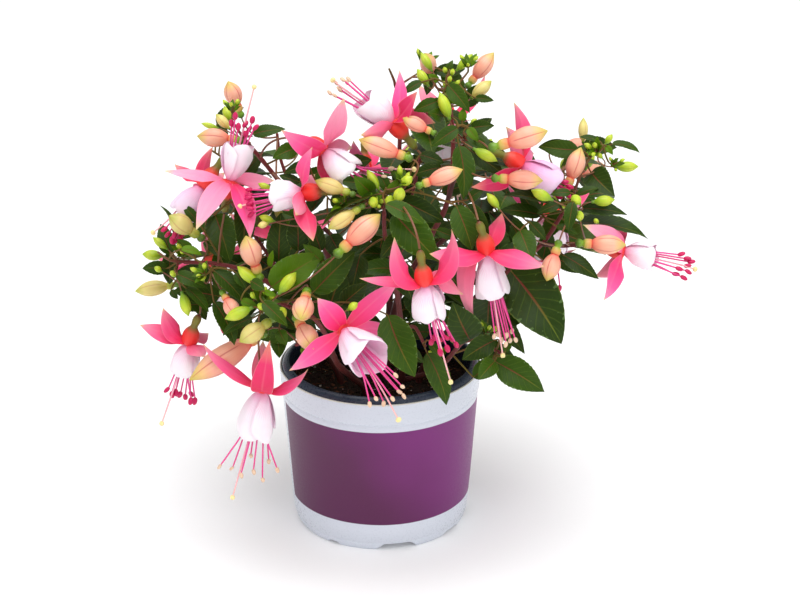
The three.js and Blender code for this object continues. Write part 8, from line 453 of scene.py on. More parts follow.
    {"node":"leafy_stem_back","b":[36.7,48.3,124.1],"c":[44.9,48,120.7],"t":[52.4,49.5,116.1],"n":[0.317,-0.796,0.516],"w":7.7,"k":[21.3,53.4,141.7],"j":[29,50.9,132.5],"cls":0.45},
    {"node":"leafy_stem_back","b":[16.4,61.8,120.1],"c":[17.6,56.6,112.7],"t":[18.8,52.1,104.7],"n":[-0.083,-0.851,0.519],"w":9.5,"k":[7.6,57.2,134.8],"j":[12,59.5,127.4],"cls":0},
    {"node":"green_shoot_back_right","b":[116,81.1,212.2],"c":[106.8,82.5,210.9],"t":[97.9,85,209.1],"n":[-0.254,-0.918,0.305],"w":8.1,"k":[111.3,60.9,202.2],"j":[113.7,71,206.8],"cls":0},
    {"node":"leafy_stem_upper_left","b":[-24.6,22.2,118.1],"c":[-36.6,25.1,121],"t":[-48.4,29.5,122.6],"n":[-0.085,-0.712,0.697],"w":12.8,"k":[-17.9,13.1,116.4],"j":[-21.3,17.6,117.6],"cls":0.45},
    {"node":"leafy_stem_right","b":[94.2,-42.6,185.1],"c":[96.7,-37.3,192.6],"t":[98.9,-30.7,199.1],"n":[0.207,-0.781,0.589],"w":10.4,"k":[87.4,-48.1,192],"j":[90.8,-45.4,188.9],"cls":0.45},
    {"node":"leafy_stem_upper_left","b":[-50.9,-3.7,184.8],"c":[-51.4,-2.5,193.8],"t":[-52.3,1,202.2],"n":[0.116,-0.957,0.268],"w":8.1,"k":[-34.8,-14.6,186.9],"j":[-42.8,-9.1,185.7],"cls":0.45},
    {"node":"leafy_stem_back","b":[-5.4,65.5,163.7],"c":[-12,65.8,175.8],"t":[-19.9,69.3,186.5],"n":[0.365,-0.852,0.376],"w":13.2,"k":[8.7,58.7,163.1],"j":[1.7,62.1,163.4],"cls":0},
    {"node":"leafy_stem_right","b":[107.2,20.9,205.1],"c":[100.9,15.6,201.4],"t":[94.7,12.4,195.6],"n":[-0.02,-0.732,0.681],"w":8.2,"k":[110.8,36,197.8],"j":[109,28.4,201.4],"cls":0},
    {"node":"green_shoot_back_top","b":[26.9,74.4,266.1],"c":[28.1,77,268.8],"t":[29.1,80.4,270.4],"n":[0.126,-0.609,0.783],"w":3.5,"k":[24,72,262],"cls":0.7},
    {"node":"green_shoot_back_top","b":[26.5,73,266.5],"c":[26.6,71.8,269.4],"t":[25.8,70.5,272],"n":[0.972,0.143,0.185],"w":2.9,"k":[26.5,73.5,265.2],"cls":1},
    {"node":"green_shoot_back_top","b":[27.6,73.4,266.1],"c":[31.4,73,269.8],"t":[36.1,73.3,272.2],"n":[-0.519,-0.461,0.72],"w":4.7,"k":[26.5,73.5,265.2],"cls":0.7},
    {"node":"green_shoot_back_top","b":[26,73.9,266.4],"c":[24.3,75,270.4],"t":[21.9,77,273.6],"n":[0.536,-0.617,0.577],"w":3.7,"k":[26.5,73.5,265.2],"cls":1},
    {"node":"green_shoot_back_top","b":[27,72.5,266],"c":[28.4,69.3,268.4],"t":[29.9,65.5,269.6],"n":[-0.072,0.436,0.897],"w":4,"k":[26.5,73.5,265.2],"cls":0.7},
    {"node":"green_shoot_back_top","b":[27.1,74.1,266.3],"c":[29.3,76,270.2],"t":[31.5,79,273.1],"n":[-0.071,-0.786,0.614],"w":4.3,"k":[26.5,73.5,265.2],"cls":1},
    {"node":"green_shoot_back_top","b":[26.2,73.4,266.6],"c":[25.4,72.8,271.5],"t":[23.4,73,276.1],"n":[0.811,-0.541,0.223],"w":4.4,"k":[26.5,73.5,265.2],"cls":0.7},
    {"node":"leafy_stem_centre","b":[28.8,34.8,224.9],"c":[29,37.5,228.4],"t":[28.8,41.1,231],"n":[0.243,-0.677,0.695],"w":3.8,"k":[23.2,31.1,217.4],"cls":0.7},
    {"node":"leafy_stem_centre","b":[28.5,33.3,225],"c":[28.1,31.5,228.4],"t":[26.6,29.5,231.3],"n":[0.904,0.186,0.385],"w":3.5,"k":[28.7,33.9,223.7],"cls":1},
    {"node":"leafy_stem_centre","b":[30,34.1,224.2],"c":[34.3,34.3,225.7],"t":[38.8,35.2,225.9],"n":[-0.119,-0.412,0.903],"w":4.5,"k":[28.7,33.9,223.7],"cls":0.7},
    {"node":"leafy_stem_centre","b":[28,34.4,224.8],"c":[25.3,35.9,228.1],"t":[21.9,38.1,230.4],"n":[0.427,-0.472,0.771],"w":3.8,"k":[28.7,33.9,223.7],"cls":1},
    {"node":"leafy_stem_centre","b":[29.3,32.9,224.4],"c":[31.5,29,226.9],"t":[33.9,24.6,227.8],"n":[-0.12,0.316,0.941],"w":4.6,"k":[28.7,33.9,223.7],"cls":0.7},
    {"node":"leafy_stem_centre","b":[29.4,34.6,224.8],"c":[31.7,36.9,228.5],"t":[34,40.3,231.2],"n":[-0.017,-0.739,0.674],"w":4.5,"k":[28.7,33.9,223.7],"cls":1},
    {"node":"leafy_stem_centre","b":[28.4,33.9,225.2],"c":[27.7,33.2,230],"t":[25.6,33.4,234.6],"n":[0.816,-0.534,0.221],"w":4.9,"k":[28.7,33.9,223.7],"cls":0.7},
    {"node":"green_shoot_right","b":[124.1,-34,249],"c":[122.2,-32.6,252.5],"t":[120.7,-30.1,255.5],"n":[-0.315,-0.876,0.366],"w":4.1,"k":[127.4,-33,251.8],"cls":0.7},
    {"node":"green_shoot_right","b":[123.6,-35.2,248.2],"c":[120.3,-38,248.9],"t":[116.4,-40.2,248.6],"n":[0.365,-0.462,0.808],"w":3.5,"k":[124.8,-34.4,247.9],"cls":1},
    {"node":"green_shoot_right","b":[124.8,-35.5,248.9],"c":[124.9,-38.8,251.7],"t":[126.3,-41.9,254.6],"n":[-0.976,-0.217,0.02],"w":3.6,"k":[124.8,-34.4,247.9],"cls":0.7},
    {"node":"green_shoot_right","b":[123.7,-34,248.8],"c":[121,-32.9,251.1],"t":[118.5,-30.8,252.9],"n":[-0.223,-0.883,0.413],"w":3.7,"k":[124.8,-34.4,247.9],"cls":1},
    {"node":"green_shoot_right","b":[124.4,-35.7,248.2],"c":[123.3,-39.6,249.1],"t":[122.9,-43.7,248.8],"n":[-0.463,0.157,0.872],"w":3.6,"k":[124.8,-34.4,247.9],"cls":0.7},
    {"node":"green_shoot_right","b":[124.5,-34.6,249.3],"c":[124,-35.2,253.5],"t":[124,-34.6,257.8],"n":[-0.457,-0.889,-0.028],"w":3.9,"k":[124.8,-34.4,247.9],"cls":1},
    {"node":"green_shoot_right","b":[123.5,-35,247.9],"c":[120,-36.9,247.8],"t":[116.3,-38.1,246.7],"n":[0.134,-0.622,0.771],"w":3.7,"k":[124.8,-34.4,247.9],"cls":0.7},
    {"node":"leafy_stem_left","b":[-111.8,-49.8,190.9],"c":[-112,-47.6,194.9],"t":[-112.3,-44.3,198],"n":[0.025,-0.794,0.607],"w":3.9,"k":[-111.7,-50,186.9],"cls":0.7},
    {"node":"leafy_stem_left","b":[-112.3,-51.4,190.4],"c":[-113.5,-53.7,192.1],"t":[-115.2,-56.1,192.9],"n":[0.521,0.129,0.843],"w":2.5,"k":[-111.7,-50.4,189.6],"cls":1},
    {"node":"leafy_stem_left","b":[-110.6,-50.4,190.4],"c":[-107.7,-50.4,192.5],"t":[-104.3,-49.7,193.7],"n":[-0.334,-0.543,0.77],"w":3.2,"k":[-111.7,-50.4,189.6],"cls":0.7},
    {"node":"leafy_stem_left","b":[-112.4,-50.2,190.9],"c":[-114.3,-49.7,194.2],"t":[-116.6,-48.3,196.9],"n":[0.399,-0.758,0.516],"w":3.3,"k":[-111.7,-50.4,189.6],"cls":1},
    {"node":"leafy_stem_left","b":[-111.6,-51.6,190.5],"c":[-111.4,-54.5,192.7],"t":[-111,-58,193.9],"n":[-0.113,0.459,0.881],"w":3.2,"k":[-111.7,-50.4,189.6],"cls":0.7},
    {"node":"leafy_stem_left","b":[-111.4,-50.1,191],"c":[-110.7,-49.3,195.2],"t":[-109.6,-47.2,198.9],"n":[-0.179,-0.909,0.375],"w":4.1,"k":[-111.7,-50.4,189.6],"cls":1},
    {"node":"leafy_stem_left","b":[-112.4,-50.8,190.8],"c":[-114.9,-52.2,194.8],"t":[-118.5,-53,198],"n":[0.744,-0.466,0.479],"w":4.1,"k":[-111.7,-50.4,189.6],"cls":0.7},
    {"node":"green_shoot_front_left","b":[-64.2,-96.5,183],"c":[-62.9,-96,186.2],"t":[-61.9,-94.4,189.3],"n":[0.37,-0.912,0.176],"w":2.9,"k":[-67.9,-96,184],"cls":0.7},
    {"node":"green_shoot_front_left","b":[-64.3,-97.9,182.5],"c":[-62.7,-101.5,185.3],"t":[-62.3,-105.9,187.5],"n":[0.8,0.45,0.397],"w":4.7,"k":[-64.8,-96.8,181.7],"cls":1},
    {"node":"green_shoot_front_left","b":[-63.4,-97,182],"c":[-58.8,-98.2,183],"t":[-53.9,-98.2,182.8],"n":[-0.147,-0.679,0.719],"w":4.5,"k":[-64.8,-96.8,181.7],"cls":0.7},
    {"node":"green_shoot_front_left","b":[-64.6,-97.1,183.1],"c":[-64.1,-98.2,186.2],"t":[-64.5,-98.5,189.5],"n":[0.705,-0.691,-0.16],"w":2.8,"k":[-64.8,-96.8,181.7],"cls":1},
    {"node":"green_shoot_front_left","b":[-63.8,-97.8,182],"c":[-61.3,-100.6,182.8],"t":[-58.7,-103.4,182.4],"n":[-0.103,-0.019,0.995],"w":3.3,"k":[-64.8,-96.8,181.7],"cls":0.7},
    {"node":"green_shoot_front_left","b":[-63.7,-96.4,182.5],"c":[-59.6,-95.2,185.5],"t":[-55.9,-92.6,187.7],"n":[0.147,-0.889,0.434],"w":4.2,"k":[-64.8,-96.8,181.7],"cls":1},
    {"node":"green_shoot_front_left","b":[-65.1,-97.4,182.9],"c":[-66.3,-99.9,187.1],"t":[-68.9,-101.7,191],"n":[0.878,-0.444,0.177],"w":5,"k":[-64.8,-96.8,181.7],"cls":0.7},
    {"node":"green_shoot_centre","b":[13.2,-87.5,248.1],"c":[13.9,-84.7,252.1],"t":[14.4,-80.8,255],"n":[0.122,-0.72,0.683],"w":3.9,"k":[10.9,-90,243.3],"cls":0.7},
    {"node":"green_shoot_centre","b":[12.8,-89.1,248.1],"c":[11.9,-92.3,252],"t":[10,-96.2,254.9],"n":[0.643,0.388,0.66],"w":5,"k":[13,-88.3,247],"cls":1},
    {"node":"green_shoot_centre","b":[14.1,-88,247.8],"c":[16.6,-87.4,249.6],"t":[19.3,-86.3,250.5],"n":[-0.264,-0.515,0.816],"w":2.9,"k":[13,-88.3,247],"cls":0.7},
    {"node":"green_shoot_centre","b":[12.8,-87.7,248.2],"c":[11.8,-85.7,252.3],"t":[10.3,-82.8,255.4],"n":[0.358,-0.711,0.606],"w":4.1,"k":[13,-88.3,247],"cls":1},
    {"node":"green_shoot_centre","b":[13.3,-89.3,247.8],"c":[14.2,-92.8,250.4],"t":[15.1,-97,251.8],"n":[0.024,0.463,0.886],"w":3.8,"k":[13,-88.3,247],"cls":0.7},
    {"node":"green_shoot_centre","b":[13.9,-87.5,247.7],"c":[16.6,-85,249.6],"t":[19.3,-82,250.3],"n":[0.04,-0.463,0.885],"w":3.9,"k":[13,-88.3,247],"cls":1},
    {"node":"green_shoot_centre","b":[12.6,-88.4,248.4],"c":[11.3,-89,252.4],"t":[8.9,-88.9,255.9],"n":[0.816,-0.448,0.364],"w":4,"k":[13,-88.3,247],"cls":0.7},
    {"node":"green_shoot_upper_left","b":[-82.1,-43.1,275.9],"c":[-82,-40.5,278.7],"t":[-81.9,-37.2,280.6],"n":[-0.015,-0.625,0.781],"w":3,"k":[-82.1,-46,270.5],"cls":0.7},
    {"node":"green_shoot_upper_left","b":[-82.7,-44.3,276.1],"c":[-83.7,-45.1,278.5],"t":[-85.4,-45.7,280.5],"n":[0.866,-0.18,0.466],"w":2.1,"k":[-82.1,-44.1,274.8],"cls":1},
    {"node":"green_shoot_upper_left","b":[-81.2,-43.6,275.7],"c":[-79.2,-42.9,277.2],"t":[-77,-41.8,278.1],"n":[-0.289,-0.458,0.841],"w":2.3,"k":[-82.1,-44.1,274.8],"cls":0.7},
    {"node":"green_shoot_upper_left","b":[-82.7,-43.4,276],"c":[-84.1,-42.2,278.5],"t":[-85.7,-40.3,280.3],"n":[0.287,-0.671,0.684],"w":2.8,"k":[-82.1,-44.1,274.8],"cls":1},
    {"node":"green_shoot_upper_left","b":[-82,-44.8,276],"c":[-81.7,-46.2,278.4],"t":[-81.1,-48.2,280.2],"n":[-0.371,0.678,0.635],"w":2.4,"k":[-82.1,-44.1,274.8],"cls":0.7},
    {"node":"green_shoot_upper_left","b":[-81.5,-43.3,275.8],"c":[-79.6,-41.5,278.5],"t":[-77.4,-39,280.3],"n":[-0.232,-0.585,0.777],"w":3.2,"k":[-82.1,-44.1,274.8],"cls":1},
    {"node":"green_shoot_upper_left","b":[-82.9,-44,276.1],"c":[-84.4,-44.1,278.8],"t":[-86.6,-43.7,280.9],"n":[0.663,-0.514,0.544],"w":2.8,"k":[-82.1,-44.1,274.8],"cls":0.7},
    {"node":"green_shoot_centre","b":[-19.1,-90.2,238],"c":[-20.3,-88.9,239.8],"t":[-21,-86.9,241.2],"n":[-0.39,-0.742,0.545],"w":2.2,"k":[-6.6,-90,239.7],"cls":0.7},
    {"node":"green_shoot_centre","b":[-19.6,-91.8,237],"c":[-22.9,-94.3,236.8],"t":[-26,-96.6,235.3],"n":[-0.078,-0.238,0.968],"w":3.6,"k":[-18.5,-91,237],"cls":1},
    {"node":"green_shoot_centre","b":[-18.3,-91,238.4],"c":[-17.9,-91.3,241.2],"t":[-16.7,-91,243.9],"n":[-0.757,-0.611,0.234],"w":2.6,"k":[-18.5,-91,237],"cls":0.7},
    {"node":"green_shoot_centre","b":[-19.6,-90.3,237.5],"c":[-22.5,-88.4,238.7],"t":[-25,-85.8,239.1],"n":[-0.34,-0.653,0.676],"w":3.5,"k":[-18.5,-91,237],"cls":1},
    {"node":"green_shoot_centre","b":[-18.9,-92.1,237.7],"c":[-19.8,-95.3,239.5],"t":[-20,-98.9,240.5],"n":[-0.616,0.393,0.683],"w":3.4,"k":[-18.5,-91,237],"cls":0.7},
    {"node":"green_shoot_centre","b":[-18.6,-90.7,238.4],"c":[-18.8,-90.3,240.8],"t":[-18.4,-89.3,243],"n":[-0.587,-0.769,0.254],"w":2,"k":[-18.5,-91,237],"cls":1},
    {"node":"green_shoot_centre","b":[-19.8,-91.4,237.5],"c":[-22,-92.4,238.5],"t":[-24.5,-93,238.8],"n":[0.373,-0.436,0.819],"w":2.1,"k":[-18.5,-91,237],"cls":0.7},
    {"node":"green_shoot_top","b":[50.4,-21.8,295.5],"c":[49.9,-19.9,298.8],"t":[49.5,-17.2,301.3],"n":[0.051,-0.777,0.628],"w":3,"k":[50.5,-22,291.6],"cls":0.7},
    {"node":"green_shoot_top","b":[49.9,-23.5,295],"c":[48.8,-25.5,296.1],"t":[47.4,-27.5,296.5],"n":[0.432,0.073,0.899],"w":2.2,"k":[50.5,-22.4,294.3],"cls":1},
    {"node":"green_shoot_top","b":[51.5,-22.5,295.2],"c":[53.8,-22.7,297],"t":[56.4,-22.4,298.1],"n":[-0.422,-0.538,0.729],"w":2.4,"k":[50.5,-22.4,294.3],"cls":0.7},
    {"node":"green_shoot_top","b":[49.8,-22,295.4],"c":[47.9,-20.7,298.5],"t":[45.7,-18.5,300.7],"n":[0.239,-0.715,0.657],"w":3.3,"k":[50.5,-22.4,294.3],"cls":1},
    {"node":"green_shoot_top","b":[50.6,-23.5,295.3],"c":[50.7,-25.7,297.4],"t":[51,-28.4,298.7],"n":[-0.133,0.559,0.818],"w":2.7,"k":[50.5,-22.4,294.3],"cls":0.7},
    {"node":"green_shoot_top","b":[51.2,-22,295.5],"c":[53.2,-20.9,299],"t":[55.7,-18.8,301.6],"n":[-0.288,-0.742,0.605],"w":3.7,"k":[50.5,-22.4,294.3],"cls":1},
    {"node":"green_shoot_top","b":[49.8,-23,295.5],"c":[48.3,-24.5,298.5],"t":[45.8,-25.7,300.9],"n":[0.833,-0.29,0.471],"w":3.5,"k":[50.5,-22.4,294.3],"cls":0.7},
    {"node":"leafy_stem_right","b":[103.9,-51.9,221],"c":[104.3,-50.8,223.9],"t":[104.7,-48.8,226.4],"n":[-0.074,-0.858,0.508],"w":2.8,"k":[103.8,-52,217],"cls":0.7},
    {"node":"leafy_stem_right","b":[103.2,-53.2,220.8],"c":[101.8,-55.4,224],"t":[99.3,-57.6,226.4],"n":[0.821,-0.003,0.571],"w":4.1,"k":[103.8,-52.4,219.7],"cls":1},
    {"node":"leafy_stem_right","b":[104.8,-52.7,220.7],"c":[107.4,-53.4,223],"t":[110.6,-53.6,224.5],"n":[-0.535,-0.483,0.693],"w":3.4,"k":[103.8,-52.4,219.7],"cls":0.7},
    {"node":"leafy_stem_right","b":[103.2,-52.2,221],"c":[101.7,-51.9,223.8],"t":[99.8,-50.8,226.1],"n":[0.408,-0.771,0.489],"w":2.5,"k":[103.8,-52.4,219.7],"cls":1},
    {"node":"leafy_stem_right","b":[103.9,-53.5,220.7],"c":[104.2,-55.7,222.8],"t":[104.6,-58.4,224.2],"n":[-0.225,0.546,0.807],"w":2.7,"k":[103.8,-52.4,219.7],"cls":0.7},
    {"node":"leafy_stem_right","b":[104.4,-51.8,220.8],"c":[105.9,-50.5,223],"t":[107.6,-48.5,224.6],"n":[-0.163,-0.669,0.725],"w":3,"k":[103.8,-52.4,219.7],"cls":1},
    {"node":"leafy_stem_right","b":[102.9,-52.9,220.7],"c":[100.5,-54.2,223.2],"t":[97.3,-55.1,224.8],"n":[0.645,-0.367,0.671],"w":3.5,"k":[103.8,-52.4,219.7],"cls":0.7},
    {"node":"leafy_stem_front","b":[60.6,-82,156.3],"c":[61,-78.3,158.8],"t":[61,-74,160],"n":[0.24,-0.416,0.877],"w":3.8,"k":[57.3,-84.6,152.3],"cls":0.7},
    {"node":"leafy_stem_front","b":[60.3,-83.6,156.9],"c":[59.9,-84.7,159.7],"t":[58.7,-85.8,162.4],"n":[0.964,-0.051,0.26],"w":2.9,"k":[60.5,-83.1,155.5],"cls":1},
    {"node":"leafy_stem_front","b":[61.7,-82.8,156],"c":[64.7,-82.2,157],"t":[67.8,-81.1,157.1],"n":[-0.039,-0.446,0.894],"w":3.1,"k":[60.5,-83.1,155.5],"cls":0.7},
    {"node":"leafy_stem_front","b":[60.2,-82.5,156.8],"c":[59.4,-80.8,160.5],"t":[57.9,-78.2,163.5],"n":[0.433,-0.683,0.588],"w":3.4,"k":[60.5,-83.1,155.5],"cls":1},
    {"node":"leafy_stem_front","b":[60.7,-84.1,156.4],"c":[61.2,-86.7,158.5],"t":[61.3,-89.8,159.8],"n":[0.269,0.517,0.813],"w":2.9,"k":[60.5,-83.1,155.5],"cls":0.7},
    {"node":"leafy_stem_front","b":[61.3,-82.2,156.3],"c":[62.8,-80.5,157.8],"t":[64.3,-78.3,158.5],"n":[0.101,-0.551,0.829],"w":2.4,"k":[60.5,-83.1,155.5],"cls":1},
    {"node":"leafy_stem_front","b":[60,-83.3,156.8],"c":[58.9,-83.9,159.7],"t":[56.9,-84.2,162.2],"n":[0.84,-0.345,0.418],"w":2.9,"k":[60.5,-83.1,155.5],"cls":0.7},
    {"node":"green_shoot_left","b":[-97.9,-78,191.5],"c":[-99.6,-76.9,194.2],"t":[-100.9,-75,196.6],"n":[-0.323,-0.884,0.337],"w":3.1,"k":[-94,-77.2,193.7],"cls":0.7},
    {"node":"green_shoot_left","b":[-98.2,-79.2,190.1],"c":[-100.6,-81.3,189.4],"t":[-102.9,-83,187.7],"n":[-0.1,-0.438,0.893],"w":3.1,"k":[-97.2,-78.4,190.4],"cls":1},
    {"node":"green_shoot_left","b":[-97.1,-78.9,191.7],"c":[-96.7,-80.6,195.1],"t":[-95.4,-81.5,198.6],"n":[-0.802,-0.597,-0.027],"w":3.1,"k":[-97.2,-78.4,190.4],"cls":0.7},
    {"node":"green_shoot_left","b":[-98.4,-78.3,191.1],"c":[-102.1,-78.1,193.1],"t":[-105.8,-76.6,194.6],"n":[-0.003,-0.907,0.421],"w":3.9,"k":[-97.2,-78.4,190.4],"cls":1},
    {"node":"green_shoot_left","b":[-97.9,-79.6,190.8],"c":[-99.6,-83,192.1],"t":[-101.1,-86.8,192.2],"n":[-0.221,0.287,0.932],"w":3.7,"k":[-97.2,-78.4,190.4],"cls":0.7},
    {"node":"green_shoot_left","b":[-97.2,-78.5,191.7],"c":[-96.9,-78.8,195.8],"t":[-95.8,-78.1,199.7],"n":[-0.604,-0.783,0.146],"w":3.3,"k":[-97.2,-78.4,190.4],"cls":1},
    {"node":"green_shoot_left","b":[-98.5,-79,190.6],"c":[-101.4,-80.7,191.2],"t":[-104.6,-81.8,191],"n":[0.294,-0.54,0.788],"w":3.2,"k":[-97.2,-78.4,190.4],"cls":0.7},
    {"node":"leafy_stem_centre","b":[39.9,-25.8,281.5],"c":[40.3,-24.1,285.1],"t":[40.7,-21.4,288],"n":[-0.051,-0.822,0.567],"w":3.2,"k":[39.8,-26,277.5],"cls":0.7},
    {"node":"leafy_stem_centre","b":[39.3,-27.2,281.3],"c":[38.1,-29.4,284.2],"t":[36,-31.8,286.4],"n":[0.787,0.111,0.607],"w":3.3,"k":[39.8,-26.4,280.2],"cls":1},
    {"node":"leafy_stem_centre","b":[40.7,-26.7,281.3],"c":[42.7,-27.4,284],"t":[45.5,-27.6,286],"n":[-0.642,-0.52,0.563],"w":3.2,"k":[39.8,-26.4,280.2],"cls":0.7},
    {"node":"leafy_stem_centre","b":[39,-25.9,281.2],"c":[37.4,-24.9,283],"t":[35.7,-23.3,284.3],"n":[0.189,-0.64,0.745],"w":2.2,"k":[39.8,-26.4,280.2],"cls":1},
    {"node":"leafy_stem_centre","b":[39.8,-27.4,281.3],"c":[39.7,-29.6,284.4],"t":[39.5,-32.8,286.7],"n":[0.121,0.693,0.711],"w":3.6,"k":[39.8,-26.4,280.2],"cls":0.7},
    {"node":"leafy_stem_centre","b":[40.3,-26.1,281.5],"c":[41.5,-25.6,284.4],"t":[43,-24.2,286.9],"n":[-0.324,-0.83,0.454],"w":3,"k":[39.8,-26.4,280.2],"cls":1},
    {"node":"leafy_stem_centre","b":[38.9,-27,281.1],"c":[36.6,-28.8,283.1],"t":[33.6,-30.2,284.3],"n":[0.612,-0.241,0.754],"w":2.9,"k":[39.8,-26.4,280.2],"cls":0.7},
    {"node":"green_shoot_centre","b":[-2.9,-90.6,238.2],"c":[-1.3,-89.8,241.3],"t":[-0.1,-87.9,244.2],"n":[0.338,-0.906,0.254],"w":3.5,"k":[-6.6,-90,239.7],"cls":0.7},
    {"node":"green_shoot_centre","b":[-3.1,-92.1,237.7],"c":[-1.9,-95.5,239.6],"t":[-1.6,-99.3,240.7],"n":[0.703,0.396,0.591],"w":3.5,"k":[-3.5,-90.9,237],"cls":1},
    {"node":"green_shoot_centre","b":[-2.2,-90.8,237.2],"c":[0.3,-90.7,237.4],"t":[2.6,-90,237],"n":[0.147,-0.745,0.651],"w":2.3,"k":[-3.5,-90.9,237],"cls":0.7},
    {"node":"green_shoot_centre","b":[-3.4,-91.3,238.4],"c":[-3.2,-92.3,241.6],"t":[-3.7,-92.5,245],"n":[0.697,-0.711,-0.096],"w":3,"k":[-3.5,-90.9,237],"cls":1},
    {"node":"green_shoot_centre","b":[-2.8,-92.1,237.2],"c":[-1.7,-94.3,237.5],"t":[-0.8,-96.6,237.1],"n":[0.241,0.096,0.966],"w":2.2,"k":[-3.5,-90.9,237],"cls":0.7},
    {"node":"green_shoot_centre","b":[-2.5,-90.6,237.9],"c":[0,-89.8,240.2],"t":[2.3,-88.1,242.1],"n":[0.17,-0.917,0.361],"w":3.4,"k":[-3.5,-90.9,237],"cls":1},
    {"node":"green_shoot_centre","b":[-3.2,-92,238],"c":[-2.1,-94.8,240.4],"t":[-2.2,-97.8,242.8],"n":[0.98,0.195,0.03],"w":3.5,"k":[-3.5,-90.9,237],"cls":0.7},
    {"node":"green_shoot_back_right","b":[98.9,63.2,190.1],"c":[98.8,62.5,193.8],"t":[98.4,62.9,197.5],"n":[0.233,-0.972,-0.022],"w":3.2,"k":[98.1,65.1,193.2],"cls":0.7},
    {"node":"green_shoot_back_right","b":[98.6,62.2,188.5],"c":[97.5,58.5,187.7],"t":[95.8,55.3,186],"n":[0.413,-0.454,0.79],"w":3.5,"k":[98.9,63.5,188.7],"cls":1},
    {"node":"green_shoot_back_right","b":[100.1,62.9,189.4],"c":[102.1,61.8,190.6],"t":[104.5,61.4,191.5],"n":[-0.434,-0.844,0.316],"w":2.1,"k":[98.9,63.5,188.7],"cls":0.7},
    {"node":"green_shoot_back_right","b":[98.8,62.8,189.9],"c":[98.5,61.2,192.2],"t":[97.8,60.4,194.7],"n":[0.485,-0.821,-0.301],"w":2.4,"k":[98.9,63.5,188.7],"cls":1},
    {"node":"green_shoot_back_right","b":[99.5,62.2,188.5],"c":[100.6,59.2,188.1],"t":[101.8,56.6,186.7],"n":[-0.115,-0.35,0.93],"w":2.9,"k":[98.9,63.5,188.7],"cls":0.7},
    {"node":"green_shoot_back_right","b":[99.8,63.1,189.8],"c":[101.9,62.1,192.8],"t":[104.4,62.1,195.7],"n":[-0.255,-0.966,0.042],"w":3.3,"k":[98.9,63.5,188.7],"cls":1},
    {"node":"green_shoot_back_right","b":[98.1,62.6,189.3],"c":[95.8,60,190.7],"t":[92.6,58.2,191.6],"n":[0.666,-0.637,0.387],"w":3.2,"k":[98.9,63.5,188.7],"cls":0.7},
    {"node":"green_shoot_right","b":[133,-37.6,242.4],"c":[133.9,-38.3,244.2],"t":[134.7,-38.3,246.2],"n":[0.047,-0.982,-0.185],"w":1.8,"k":[127.4,-33,251.8],"cls":0.7},
    {"node":"green_shoot_right","b":[132.3,-38.6,241.5],"c":[132.1,-40.7,242.2],"t":[131.3,-42.8,242.4],"n":[0.811,-0.066,0.581],"w":1.8,"k":[132.4,-37.3,241.1],"cls":1},
    {"node":"green_shoot_right","b":[133.7,-37.7,241.5],"c":[136.6,-38.8,242.5],"t":[139.8,-39,242.9],"n":[-0.28,-0.828,0.486],"w":2.6,"k":[132.4,-37.3,241.1],"cls":0.7},
    {"node":"green_shoot_right","b":[132.4,-37.9,242.4],"c":[132.3,-39,244.3],"t":[131.7,-39.6,246.3],"n":[0.629,-0.748,-0.214],"w":2.1,"k":[132.4,-37.3,241.1],"cls":1},
    {"node":"green_shoot_right","b":[133,-38.6,241.3],"c":[134.1,-41.2,241.8],"t":[135.2,-43.8,241.4],"n":[-0.022,0.009,1],"w":2.4,"k":[132.4,-37.3,241.1],"cls":0.7},
    {"node":"green_shoot_right","b":[133.3,-37.5,242.2],"c":[134.7,-37.8,244],"t":[136.2,-37.5,245.8],"n":[-0.073,-0.995,0.06],"w":1.9,"k":[132.4,-37.3,241.1],"cls":1},
    {"node":"green_shoot_right","b":[132.3,-38.5,241.8],"c":[132.2,-41.6,243.3],"t":[131.1,-44.5,244.5],"n":[0.939,-0.038,0.343],"w":3,"k":[132.4,-37.3,241.1],"cls":0.7},
    {"node":"leafy_stem_front","b":[35.4,-40.9,122.3],"c":[35.1,-39.7,124.8],"t":[34.9,-37.8,126.8],"n":[-0.217,-0.812,0.543],"w":2.2,"k":[37.4,-42.5,119.1],"cls":0.7},
    {"node":"leafy_stem_front","b":[34.5,-42,121.8],"c":[31.5,-43.8,123.9],"t":[27.9,-45.4,124.9],"n":[0.45,-0.079,0.89],"w":3.4,"k":[35.6,-41.5,121.1],"cls":1},
    {"node":"leafy_stem_front","b":[36,-41.2,122.4],"c":[37.5,-40.4,125.9],"t":[39.7,-38.9,128.8],"n":[-0.583,-0.605,0.543],"w":3.8,"k":[35.6,-41.5,121.1],"cls":0.7},
    {"node":"leafy_stem_front","b":[34.6,-41.3,122.2],"c":[32.7,-40.9,124.4],"t":[30.4,-39.9,126],"n":[0.367,-0.681,0.633],"w":2.7,"k":[35.6,-41.5,121.1],"cls":1},
    {"node":"leafy_stem_front","b":[35.5,-42.1,122.4],"c":[35.1,-43.3,125.1],"t":[35.5,-45,127.5],"n":[-0.838,0.478,0.264],"w":2.8,"k":[35.6,-41.5,121.1],"cls":0.7},
    {"node":"leafy_stem_front","b":[35.8,-40.9,122.3],"c":[36.5,-39.7,125],"t":[37.5,-37.8,127.2],"n":[-0.422,-0.69,0.588],"w":2.8,"k":[35.6,-41.5,121.1],"cls":1},
    {"node":"leafy_stem_front","b":[34.6,-41.9,122.1],"c":[32.3,-43.1,124.8],"t":[29.1,-44,126.7],"n":[0.675,-0.19,0.713],"w":3.5,"k":[35.6,-41.5,121.1],"cls":0.7},
]
